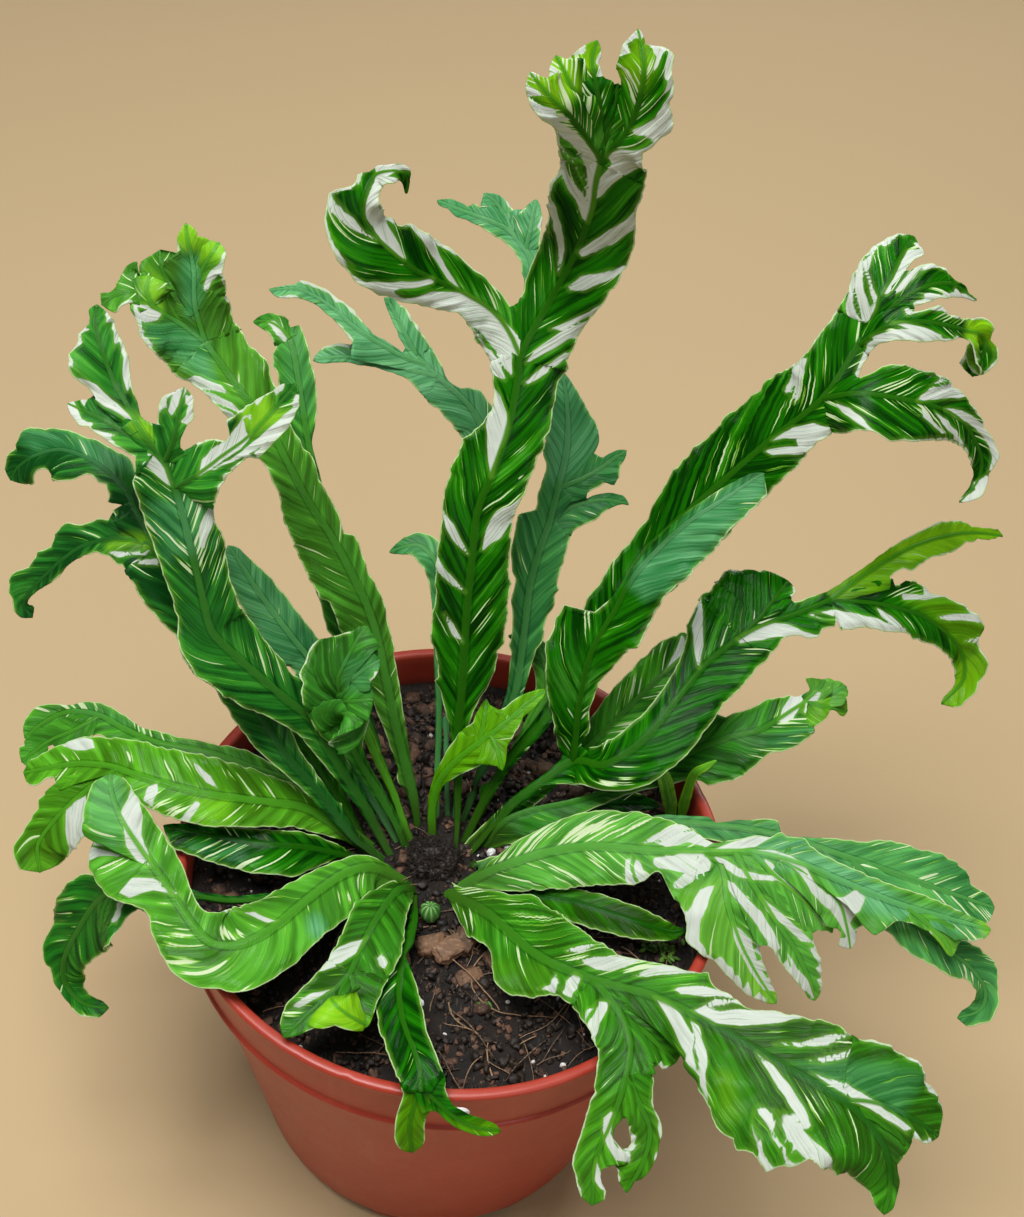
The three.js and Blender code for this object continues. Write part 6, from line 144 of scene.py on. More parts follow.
        [(4.8,12.6,132.6,0.928,-0.358,-0.105,1.7,0.8,0,0,0,0), (5.4,13.7,134.6,0.93,-0.353,-0.101,1.6,1,0,0,0,0), (6,14.8,136.7,0.93,-0.354,-0.098,1.4,1.2,0,0,0,0), (6.7,15.9,138.7,0.923,-0.371,-0.106,1.3,1.4,0,0,0,0), (7.4,17,140.8,0.909,-0.398,-0.122,1.2,1.5,0,0,0,0), (8.2,18.1,142.7,0.896,-0.423,-0.135,1.2,1.6,0,0,0,0), (9,19.2,144.7,0.889,-0.436,-0.138,1.1,1.8,0,0,0,0), (9.9,20.3,146.6,0.884,-0.446,-0.139,2.8,2,0,0,0,0), (10.8,21.5,148.5,0.875,-0.462,-0.147,2.9,2.1,0,0,0,0), (11.7,22.6,150.4,0.861,-0.484,-0.157,0.9,2.2,0,0,0,0), (12.7,23.8,152.2,0.844,-0.51,-0.17,1,2.3,0,0,0,0), (13.8,24.9,154,0.823,-0.538,-0.182,1.1,2.2,0,0,0,0), (15,26.1,155.8,0.797,-0.571,-0.198,1.4,2.1,0,0,0,0), (16.3,27.1,157.5,0.765,-0.606,-0.217,1.5,2.3,0,0,0,0), (17.6,28.2,159.2,0.739,-0.633,-0.231,1.6,2.4,0,0,0,0), (19,29.1,160.9,0.724,-0.647,-0.238,1.8,2.3,0,0,0,0), (20.5,30.1,162.5,0.719,-0.652,-0.241,2,2.3,0,0,0,0), (21.9,31.1,164.2,0.723,-0.647,-0.24,2.2,2.2,0,0,0,0), (23.4,32.1,165.8,0.737,-0.634,-0.235,2.4,2.2,0,0,0,0), (24.8,33.3,167.3,0.757,-0.613,-0.226,2.5,2.2,0,0,0,0), (26.2,34.5,168.9,0.779,-0.588,-0.218,2.6,2.3,0,0,0,0), (27.5,35.8,170.4,0.806,-0.556,-0.205,2.7,2.4,0,0,0,0), (28.8,37.2,171.8,0.837,-0.515,-0.187,2.6,2.6,0,0,0,0), (30,38.8,173.1,0.86,-0.48,-0.173,2.9,3,0,0,0,0), (31.2,40.5,174.4,0.875,-0.456,-0.166,3.4,3.4,0,0,0,0), (32.3,42.2,175.6,0.888,-0.433,-0.157,3.9,3.8,0,0,0,0), (33.3,44.1,176.7,0.897,-0.416,-0.15,4.3,4.4,0,0,0,0), (34.4,45.9,177.8,0.901,-0.407,-0.147,4.7,4.9,0,0,0,0), (35.4,47.8,178.9,0.905,-0.401,-0.144,5.1,5.5,0,0,0,0), (36.4,49.7,179.9,0.906,-0.398,-0.142,5.4,6,0,0,0,0), (37.4,51.6,181,0.906,-0.398,-0.142,5.8,6.6,0,0,0,0), (38.4,53.5,182.2,0.904,-0.403,-0.143,6.2,7.2,0,0,0,0), (39.4,55.3,183.4,0.9,-0.411,-0.146,6.6,7.7,0,0,0,0), (40.4,57.1,184.6,0.896,-0.419,-0.148,6.9,8.3,0,0,0,0), (41.5,58.8,185.9,0.891,-0.428,-0.151,7.2,8.8,0,0,0,0), (42.5,60.5,187.3,0.888,-0.434,-0.152,7.4,9.3,0,0,0,0), (43.5,62.1,188.7,0.888,-0.435,-0.151,7.7,9.7,0,0,0,0), (44.6,63.7,190.2,0.887,-0.436,-0.15,8,10.1,0,0,0,0), (45.6,65.3,191.6,0.887,-0.437,-0.149,8.2,10.6,0,0,0,0), (46.6,66.8,193.2,0.886,-0.439,-0.15,8.7,11,0,0,0,0), (47.7,68.4,194.7,0.885,-0.441,-0.15,8.3,13.6,0,0,0,0), (48.7,69.9,196.2,0.883,-0.444,-0.151,7.8,13.4,0,0,0,0), (49.7,71.4,197.8,0.881,-0.447,-0.152,7.6,13.6,0,0,0,0), (50.7,72.9,199.3,0.879,-0.452,-0.154,7.8,13.6,0,0,0,0), (51.8,74.4,200.9,0.875,-0.458,-0.157,7.6,13.6,0,0,0,0), (52.8,75.9,202.5,0.871,-0.465,-0.159,7.5,13.8,0,0,0,0), (53.9,77.3,204,0.863,-0.478,-0.165,7,14.5,0,0,0,0), (55,78.7,205.6,0.85,-0.498,-0.174,6.9,15.2,0,0,0,0), (56.2,80.1,207.2,0.829,-0.528,-0.182,6.5,15.7,0,0,0,0), (57.4,81.4,208.8,0.77,-0.598,-0.22,6.2,16.5,0,0,0,0), (58.9,82.4,210.5,0.674,-0.681,-0.288,7,16.7,0,0,0,0), (60.5,83,212.2,0.63,-0.714,-0.306,7.7,16.3,0,0,0,0), (62,83.7,213.8,0.644,-0.711,-0.284,8.1,15.6,0,0,0,0), (63.5,84.4,215.5,0.648,-0.708,-0.281,9.2,15.6,0,0,0,0), (65.1,85.2,217.2,0.642,-0.711,-0.287,10.1,15.4,0,0,0,0), (66.6,85.9,218.9,0.636,-0.715,-0.289,10.7,15.6,0,0,0,0), (68.2,86.6,220.6,0.632,-0.718,-0.291,11.4,15.4,0,0,0,0), (69.8,87.2,222.3,0.627,-0.722,-0.293,12.2,15.2,0,0,0,0), (71.3,87.9,224,0.623,-0.724,-0.294,13,14.6,0,0,0,0), (72.9,88.5,225.7,0.62,-0.727,-0.294,13.7,14.4,0,0,0,0), (74.4,89.2,227.4,0.616,-0.73,-0.295,14,14.2,0,0,0,0), (76,89.8,229.1,0.612,-0.734,-0.296,14.8,14.1,0,0,0,0), (77.5,90.4,230.9,0.607,-0.737,-0.296,14.6,11.6,0,0,0,0), (79.1,90.9,232.6,0.602,-0.741,-0.297,15.3,11.2,0,0,0,0), (80.6,91.4,234.4,0.597,-0.745,-0.297,15.4,11.1,0,0,0,0), (82.1,91.9,236.2,0.591,-0.749,-0.299,15.5,13.8,0,0,0,0), (83.6,92.3,238,0.586,-0.753,-0.3,15.7,13.6,0,0,0,0), (85.1,92.8,239.9,0.58,-0.757,-0.301,15.4,13.8,0,0,0,0), (86.6,93.1,241.7,0.573,-0.761,-0.303,15.6,13.2,0,0,0,0), (88,93.5,243.6,0.566,-0.766,-0.305,16.5,13.1,0,0,0,0), (89.5,93.8,245.4,0.557,-0.771,-0.308,16.5,13.2,0,0,0,0), (91,94.1,247.3,0.547,-0.778,-0.31,16.5,13.4,0,0,0,0), (92.4,94.4,249.2,0.53,-0.787,-0.315,16.1,13.2,0,0,0,0), (93.9,94.6,251.1,0.502,-0.801,-0.327,15.9,13.1,0,0,0,0), (95.4,94.7,253,0.468,-0.815,-0.343,15.8,12.6,0,0,0,0), (96.9,94.7,254.8,0.44,-0.825,-0.355,15.8,12,0,0,0,0), (98.3,94.7,256.7,0.427,-0.829,-0.361,16.4,11.2,0,0,0,0), (99.8,94.6,258.6,0.433,-0.828,-0.358,16.6,10.9,0,0,0,0), (101.2,94.5,260.6,0.459,-0.818,-0.346,16.5,10.7,0,0,0,0), (102.7,94.6,262.5,0.506,-0.798,-0.327,16,10.7,0,0,0,0), (104.1,94.8,264.4,0.572,-0.765,-0.298,15.5,10.7,0,0,0,0), (105.4,95.1,266.4,0.648,-0.716,-0.259,15.2,3.5,0,9,0,0.2), (106.7,95.8,268.3,0.72,-0.659,-0.219,14.9,1.2,0,9,0,0.4), (108,96.6,270.1,0.773,-0.606,-0.188,14.3,2.5,0,9,0,0.7), (109.1,97.6,272,0.809,-0.564,-0.167,13.7,4.2,0,9,0,1), (110.2,98.8,273.8,0.831,-0.535,-0.153,13.2,5.8,0,5.7,0,0.9), (111.3,100,275.6,0.844,-0.516,-0.143,13,5.3,0,0,0,0.5), (112.3,101.2,277.3,0.85,-0.508,-0.138,12.6,4.8,0,0,0,0.1), (113.3,102.5,279.1,0.847,-0.513,-0.141,12.4,4.4,0,0,0,0), (114.4,103.7,280.9,0.833,-0.532,-0.154,12.2,4.6,0,0,0,0), (115.5,104.8,282.7,0.815,-0.554,-0.17,11.7,0.8,0,3.6,0,0.1), (116.6,105.9,284.5,0.804,-0.568,-0.177,12.1,1.8,0,3,0,0.2), (117.8,106.9,286.3,0.797,-0.576,-0.182,12,2.5,0,4.2,0,0.1), (119,107.9,288.2,0.796,-0.578,-0.182,0.8,3.5,9,5.7,0,0.1), (120.1,109,290,0.797,-0.577,-0.181,1,0.5,9,9,0,0.1)],
        [(118.7,107.7,287.8,0.911,-0.404,0.081,2.2,2.5,9,9,0,-0.1), (119,108.7,289.6,0.915,-0.396,0.08,11.8,0.8,0,9,0,-0.2), (119.2,109.7,291.4,0.921,-0.383,0.067,11.4,1.5,0,9,0,-0.3), (119.5,110.7,293.1,0.925,-0.379,0.036,10.7,2,0,9,0,-0.4), (120,111.8,294.7,0.922,-0.388,-0.009,10,2.8,0,6.8,0,-0.4), (120.5,113,296.2,0.915,-0.401,-0.053,10.6,3,0,8.1,0,-0.3), (121.3,114.5,297.4,0.909,-0.408,-0.083,10.9,3.5,0,9,0,0), (122.1,116,298.4,0.909,-0.406,-0.095,10.8,4.2,0,9,0,0.2), (122.9,117.6,299.4,0.913,-0.398,-0.092,10.7,5,0,8.7,0,0.4), (123.7,119.2,300.3,0.919,-0.384,-0.084,10.8,5.8,0,2.6,0,0.4), (124.5,120.9,301.2,0.924,-0.375,-0.08,10.3,3,0,0,0,0.2), (125.2,122.7,302,0.924,-0.374,-0.081,9.9,3.7,0,0,0,0), (126,124.4,302.7,0.92,-0.381,-0.089,9.4,3.9,0,0,0,0), (126.8,126.1,303.4,0.91,-0.4,-0.11,7.5,4.6,0,0,0,0), (127.7,127.8,304.1,0.887,-0.439,-0.146,6.6,5.9,0,0,0,0), (128.7,129.5,304.8,0.85,-0.492,-0.189,5.3,6,0,0,0,0), (129.8,131.1,305.4,0.828,-0.518,-0.215,3.7,2.8,0,0,0,0), (131,132.7,306,0.827,-0.516,-0.223,0.3,0.3,0,0,0,0)],
        [(119.7,108.6,289.3,0.644,-0.668,-0.373,1,3.8,9,4.7,0.1,0.1), (121,109.1,290.7,0.646,-0.669,-0.367,1.5,4.2,9,6,0.2,0.4), (122.3,109.6,292.1,0.644,-0.675,-0.36,2,4.2,9,7.8,0.3,0.8), (123.6,110.1,293.4,0.629,-0.688,-0.362,2.8,4.2,9,9,0.3,0.9), (124.9,110.5,294.8,0.599,-0.709,-0.372,3.2,4.5,9,9,0.2,0.7), (126.3,111,296.1,0.565,-0.732,-0.381,3.8,4.8,9,4.3,0,0.4), (127.8,111.5,297.2,0.533,-0.752,-0.388,4.2,4,9,0,-0.3,0.2), (129.4,112,298.3,0.495,-0.769,-0.404,5,4.8,6.9,0,-0.5,0), (131,112.5,299.2,0.454,-0.779,-0.433,6,5.1,0.8,0,-0.5,0), (132.8,113.1,299.9,0.417,-0.782,-0.463,6.8,4.9,0,0,-0.2,0), (134.6,113.8,300.3,0.391,-0.78,-0.489,7.1,4.9,0,0,-0.1,0), (136.4,114.5,300.6,0.348,-0.78,-0.521,7.1,5,0,0,0,0), (138.2,115.2,300.6,0.259,-0.787,-0.56,5.9,5,0,0,0,0), (140,115.8,300.4,0.128,-0.794,-0.595,4.8,5,0,0,0,0), (141.9,116.4,299.9,-0.021,-0.79,-0.613,1.9,4.3,0,0,0,0), (143.6,116.7,299.1,-0.15,-0.775,-0.614,1.5,3.7,0,0,0,0), (145.3,117,298.2,-0.233,-0.757,-0.61,1.7,3,0,0,0,0), (147,117.3,297.1,-0.274,-0.746,-0.607,1.6,2,0,0,0,0), (148.6,117.5,296.1,-0.284,-0.742,-0.607,0.3,1.4,0,0,0,0), (150.2,117.8,295,-0.271,-0.742,-0.613,0.5,1,0,0,0,0), (151.9,118,294,-0.258,-0.745,-0.615,0.3,0.3,0,0,0,0)],
        [(115.2,104.6,282.3,0.522,-0.699,-0.489,1.2,1.5,9,3.8,-0.3,-0.1), (116.6,104.3,284,0.526,-0.702,-0.48,1.2,4,9,0,-0.5,0), (117.8,104.1,285.8,0.52,-0.714,-0.469,2,3.4,9,0,-0.8,0), (119.1,103.8,287.6,0.487,-0.735,-0.472,2.8,3.5,9,0,-1,0), (120.5,103.6,289.3,0.417,-0.764,-0.492,3.5,4.5,9,0,-1.1,0), (122,103.3,290.8,0.336,-0.803,-0.492,4,5.1,9,0,-1.1,0), (123.8,103.5,291.7,0.261,-0.826,-0.499,4,5.5,9,0,-1,0), (125.6,103.6,292.3,0.168,-0.833,-0.527,4.2,5.9,9,0,-0.9,0), (127.6,103.6,292.7,0.122,-0.83,-0.544,4.5,6,4.7,0,-0.6,0), (129.5,103.7,292.9,0.119,-0.825,-0.553,3.4,6.1,0,0,-0.2,0), (131.5,104,293,0.111,-0.819,-0.563,3.4,6.4,0,0,0,0), (133.5,104.3,292.9,0.086,-0.816,-0.572,3.8,6.3,0,0,0,0), (135.4,104.6,292.7,0.075,-0.81,-0.581,4.6,6,0,0,0,0), (137.3,105.1,292.2,0.076,-0.803,-0.591,5.5,5.8,0,0,0,0), (139.1,105.7,291.7,0.07,-0.799,-0.598,6.2,5.5,0,0,0,0), (140.9,106.3,291.1,0.059,-0.796,-0.602,3.8,5.1,0,0,0,0), (142.6,106.9,290.4,0.061,-0.792,-0.608,3.8,4.5,0,0,0,0), (144.3,107.7,289.7,0.077,-0.786,-0.614,3.6,3.7,0,0,0,0), (146,108.5,288.9,0.103,-0.78,-0.617,3.6,2.7,0,0,0,0), (147.5,109.4,288,0.147,-0.769,-0.622,3.7,2.8,0,0,0,0), (149,110.4,287.2,0.199,-0.753,-0.628,3.7,3.2,0,0,0,0), (150.4,111.5,286.3,0.233,-0.741,-0.629,3.7,5.4,0,0,0,0), (151.7,112.7,285.5,0.243,-0.736,-0.632,4.7,11.1,0,0,0,0), (153,113.9,284.6,0.23,-0.733,-0.64,4.2,14.2,0,0,0,0), (154.3,115.1,283.7,0.14,-0.707,-0.693,4.6,14,0,0,0,0), (155.6,116.3,282.7,-0.176,-0.541,-0.822,5.3,9.6,0,0,0,0), (156.9,117.3,281.7,-0.618,-0.116,-0.778,5,5.2,0,0,0,0), (158.2,118.1,280.4,-0.782,0.118,-0.613,2.8,5.1,0,0,0,0), (159.3,117.9,278.8,-0.92,0.044,-0.389,1.5,5.4,0,0,0,0), (159.6,116.8,277.2,-0.984,0.128,-0.126,4,5.4,0,0,0,0), (159.5,116.1,275.3,-0.952,0.306,0.002,4.9,5.5,0,0,0,0), (159.1,115.5,273.5,-0.889,0.451,0.078,4.7,5.3,0,0,0,0), (158.6,114.9,271.6,-0.853,0.513,0.1,3.8,5.4,0,0,0,0), (158,114.4,269.8,-0.845,0.526,0.093,2.7,5.4,0,0,0,0), (157.5,113.8,268,-0.85,0.521,0.086,0.3,0.3,0,0,0,0)],
        [(105.9,95.4,267,0.166,-0.695,-0.699,0.8,0.8,9,9,-0.4,-0.3), (107.2,94.5,268.2,0.158,-0.705,-0.691,1.2,6.8,9,5,-0.5,-0.2), (108.5,93.6,269.4,0.13,-0.728,-0.673,2.2,11.7,9,0,-0.8,-0.1), (109.9,92.7,270.7,0.08,-0.755,-0.651,3.2,11.8,9,0,-1.1,0), (111.3,91.8,271.8,0.019,-0.781,-0.625,4.5,12.1,9,0,-1.3,0), (112.8,90.9,272.9,-0.042,-0.802,-0.596,5.5,12.6,4.9,0,-1.1,0), (114.5,90.2,273.7,-0.09,-0.817,-0.57,5.1,12.9,0,0,-0.5,0), (116.2,89.5,274.4,-0.112,-0.825,-0.554,6.1,12.6,0,0,-0.1,0), (118.1,89,274.8,-0.1,-0.828,-0.551,7,12.5,0,0,0,0), (120.1,88.6,275,-0.078,-0.83,-0.553,8.4,12.1,0,0,0,0), (122.1,88.5,275,-0.067,-0.829,-0.555,9.7,13.2,0,0,0,0), (124.1,88.4,274.9,-0.059,-0.829,-0.557,10.7,13.8,0,0,0,0), (126.1,88.4,274.7,-0.044,-0.828,-0.558,11.1,14.4,0,0,0,0), (128.1,88.6,274.3,-0.022,-0.829,-0.559,11.4,14,0,0,0,0), (130.1,88.8,274,0.019,-0.828,-0.56,11.7,13.6,0,0,0,0), (132,89.2,273.5,0.069,-0.822,-0.565,11.6,13.3,0,0,0,0), (133.9,89.7,273.1,0.088,-0.816,-0.571,11.4,12.7,0,0,0,0), (135.7,90.3,272.5,0.063,-0.814,-0.577,11.1,12.4,0,0,0,0), (137.5,90.9,271.7,0.013,-0.815,-0.58,10.8,12.1,0,0,0,0), (139.3,91.5,270.9,-0.025,-0.813,-0.582,11.1,11.3,0,0,0,0), (141,92,270,-0.036,-0.807,-0.589,10.3,10.8,0,0,0,0), (142.7,92.6,269.2,-0.044,-0.803,-0.594,10.1,10.3,0,0,0,0), (144.4,93.2,268.2,-0.066,-0.8,-0.597,10.8,9.8,0,0,0,0), (146.1,93.8,267.3,-0.102,-0.795,-0.599,9.1,9.2,0,0,0,0), (147.7,94.3,266.2,-0.154,-0.786,-0.599,8.2,9,0,0,0,0), (149.3,94.7,265.1,-0.224,-0.772,-0.594,8.5,8.4,0,0,0,0), (150.9,95.1,263.9,-0.311,-0.753,-0.58,7.4,7.7,0,0,0,0), (152.4,95.4,262.6,-0.403,-0.728,-0.555,6.5,7.4,0,0,0,0), (153.8,95.6,261.2,-0.478,-0.7,-0.53,6.3,6.8,0,0,0,0), (155.2,95.7,259.7,-0.535,-0.673,-0.51,6.1,6.3,0,0,0,0), (156.5,95.8,258.2,-0.58,-0.65,-0.491,6.1,5.7,0,0,0,0), (157.7,95.8,256.6,-0.621,-0.626,-0.472,4.9,5.1,0,0,0,0), (158.9,95.8,255,-0.658,-0.602,-0.452,5.2,4.7,0,0,0,0), (160.1,95.7,253.3,-0.698,-0.571,-0.432,5.9,4.7,0,0,0,0), (161.2,95.6,251.6,-0.752,-0.52,-0.405,5.9,4.3,0,0,0,0), (162.2,95.4,249.9,-0.834,-0.419,-0.358,5.9,4,0,0,0,0), (163,95,248.1,-0.929,-0.244,-0.279,5.9,3.9,0,0,0,0), (163.5,94.4,246.2,-0.985,-0.016,-0.172,3.9,3.1,0,0,0,0), (163.6,93.6,244.4,-0.976,0.207,-0.069,2.5,2.2,0,0,0,0), (163.4,92.7,242.6,-0.922,0.387,0.013,2.9,1.7,0,0,0,0), (162.8,91.7,241,-0.843,0.528,0.098,3.4,1.6,0,0,0,0), (161.8,90.6,239.6,-0.768,0.619,0.163,3.9,1,0,0,0,0), (160.5,89.6,238.4,-0.734,0.653,0.187,3.4,0.7,0,0,0,0), (159.3,88.5,237.2,-0.737,0.651,0.183,2.1,0.6,0,0,0,0), (158.1,87.5,236,-0.745,0.643,0.176,0.3,0.3,0,0,0,0)],
    ],
    "frond_right_mid": [
        [(8.4,8.8,132.6,0.781,-0.591,-0.205,4.1,0.4,0,0,0,0), (9.8,10.1,134.1,0.78,-0.591,-0.205,3.8,0.4,0,0,0,0), (11.1,11.3,135.6,0.781,-0.59,-0.205,3.6,0.4,0,0,0,0), (12.5,12.6,137.2,0.782,-0.588,-0.206,3.3,0.3,0,0,0,0), (13.9,13.9,138.7,0.79,-0.578,-0.203,3,0.4,0,0,0,0), (15.2,15.3,140.1,0.806,-0.56,-0.191,2.7,0.8,0,0,0,0), (16.5,16.7,141.6,0.808,-0.558,-0.187,2.3,1.3,0,0,0,0), (17.8,18.1,143.1,0.781,-0.591,-0.204,2.1,1.5,0,0,0,0), (19.3,19.4,144.4,0.726,-0.647,-0.235,1.8,1.8,0,0,0,0), (20.9,20.6,145.7,0.663,-0.701,-0.264,1.6,2,0,0,0,0), (22.7,21.7,146.9,0.617,-0.735,-0.281,1.6,2.1,0,0,0,0), (24.6,22.7,148.1,0.592,-0.753,-0.289,1.7,2.1,0,0,0,0), (26.4,23.7,149.3,0.579,-0.76,-0.294,1.7,1.9,0,0,0,0), (28.3,24.7,150.4,0.585,-0.757,-0.292,1.7,1.8,0,0,0,0), (30.2,25.7,151.6,0.613,-0.739,-0.279,1.7,2.8,0,0,0,0), (31.9,26.8,152.8,0.633,-0.727,-0.267,1.9,4.7,0,0,0,0), (33.7,28,154,0.604,-0.748,-0.273,1.9,6.5,0,0,0,0), (35.6,28.9,155.2,0.507,-0.81,-0.296,2.2,7.7,0,0,0.1,0), (37.6,29.4,156.4,0.289,-0.892,-0.347,3.8,8.2,4.7,0,0.3,0), (39.5,29.2,157.7,-0.048,-0.904,-0.425,2,8.4,6.5,0,0.3,0), (41.3,28.1,158.9,-0.302,-0.837,-0.457,4.6,8.5,0,0,0.1,0), (43,26.7,160,-0.381,-0.809,-0.448,5.9,8.2,0,0,0,0), (44.6,25.3,161.1,-0.331,-0.828,-0.453,7.5,7.9,0,0,0,0), (46.4,24.1,162.2,-0.122,-0.896,-0.426,7.6,7.9,0,0,0,0), (48.4,23.6,163.5,0.162,-0.916,-0.367,7.3,9.1,0,0,0,0), (50.4,23.8,164.8,0.36,-0.873,-0.329,7.2,10.5,0,0,0,0), (52.3,24.3,166.1,0.474,-0.826,-0.304,7.1,11.5,0,0,0,0), (54.3,25.1,167.4,0.54,-0.791,-0.288,6.9,12.6,0,0,0,0), (56.1,25.9,168.7,0.581,-0.765,-0.277,6.8,12.8,0,0,0,0), (57.9,26.8,170.1,0.631,-0.732,-0.258,7,12.8,0,0,0,0), (59.5,27.9,171.5,0.687,-0.689,-0.232,6.9,12.9,0,0,0,0), (61.1,29.1,172.9,0.731,-0.649,-0.213,6.7,13.3,0,0,0,0), (62.6,30.4,174.2,0.76,-0.618,-0.201,6.3,13.7,0,0,0,0), (64,31.9,175.5,0.787,-0.588,-0.188,5.8,13.4,0,0,0,0), (65.4,33.4,176.7,0.812,-0.558,-0.174,5.8,13.4,0,0,0,0), (66.7,35.1,177.9,0.826,-0.538,-0.165,5.7,13.4,0,0,0,0), (68,36.8,179,0.831,-0.532,-0.164,5.6,13.5,0,0,0,0), (69.3,38.5,180.1,0.827,-0.536,-0.168,5.5,13.6,0,0,0,0), (70.7,40.2,181.1,0.825,-0.539,-0.172,5.6,13.6,0,0,0,0), (72,42,182,0.828,-0.534,-0.17,5.9,13.7,0,0,0,0), (73.4,43.8,182.9,0.83,-0.531,-0.171,6.2,13.9,0,0,0,0), (74.7,45.6,183.8,0.824,-0.538,-0.176,6.3,13.4,0,0,0,0), (76.1,47.4,184.6,0.811,-0.555,-0.186,6.9,13.7,0,0,0,0), (77.5,49.2,185.4,0.786,-0.584,-0.203,7.9,13.8,0,0,0,0), (79.1,50.9,186.2,0.754,-0.618,-0.222,9.3,14.1,0,0,0,0), (80.7,52.5,187,0.723,-0.647,-0.24,10.7,14.2,0,0,0,0), (82.4,54,187.8,0.696,-0.671,-0.255,13.6,14,0,0,0,0), (84.1,55.5,188.5,0.673,-0.69,-0.268,14.7,13.6,0,0,0,0), (85.9,56.9,189.2,0.654,-0.704,-0.278,16.4,13,0,0,0,0), (87.8,58.3,189.9,0.638,-0.715,-0.286,17.7,12.5,0,0,0,0), (89.7,59.7,190.6,0.622,-0.726,-0.295,19,11.7,0,0,0,0), (91.6,61,191.2,0.598,-0.741,-0.306,0.5,11.4,9,0,0,0), (93.5,62.3,191.8,0.567,-0.759,-0.32,0.8,11.3,9,0,0.1,0), (95.5,63.5,192.4,0.533,-0.778,-0.334,1.2,10.3,9,0,0.1,0), (97.6,64.6,193,0.493,-0.797,-0.348,1.5,9.7,9,0,0.1,0), (99.7,65.6,193.5,0.452,-0.815,-0.362,2,8.9,9,0,0.1,0), (101.9,66.5,194,0.422,-0.827,-0.372,2.8,7.1,9,0,0.1,0), (104.1,67.4,194.5,0.406,-0.832,-0.377,3.5,6.4,9,0,0,0), (106.3,68.2,195,0.402,-0.834,-0.378,4,6.8,9,0,0,0), (108.5,69.1,195.5,0.411,-0.831,-0.375,4.8,7.8,5.5,0,-0.1,0), (110.7,69.9,196,0.428,-0.825,-0.369,4,9.5,0,0,0,0), (112.9,70.8,196.6,0.44,-0.821,-0.365,3.4,10.2,0,0,0,0), (115,71.7,197.2,0.445,-0.819,-0.362,3.7,8,0,0,0,0), (117.2,72.6,197.8,0.448,-0.818,-0.361,3.4,8.4,0,0,0,0), (119.3,73.5,198.4,0.448,-0.818,-0.361,3.1,9.2,0,0,0,0), (121.5,74.5,199,0.447,-0.819,-0.361,2.9,1.2,0,1.6,0,0)],
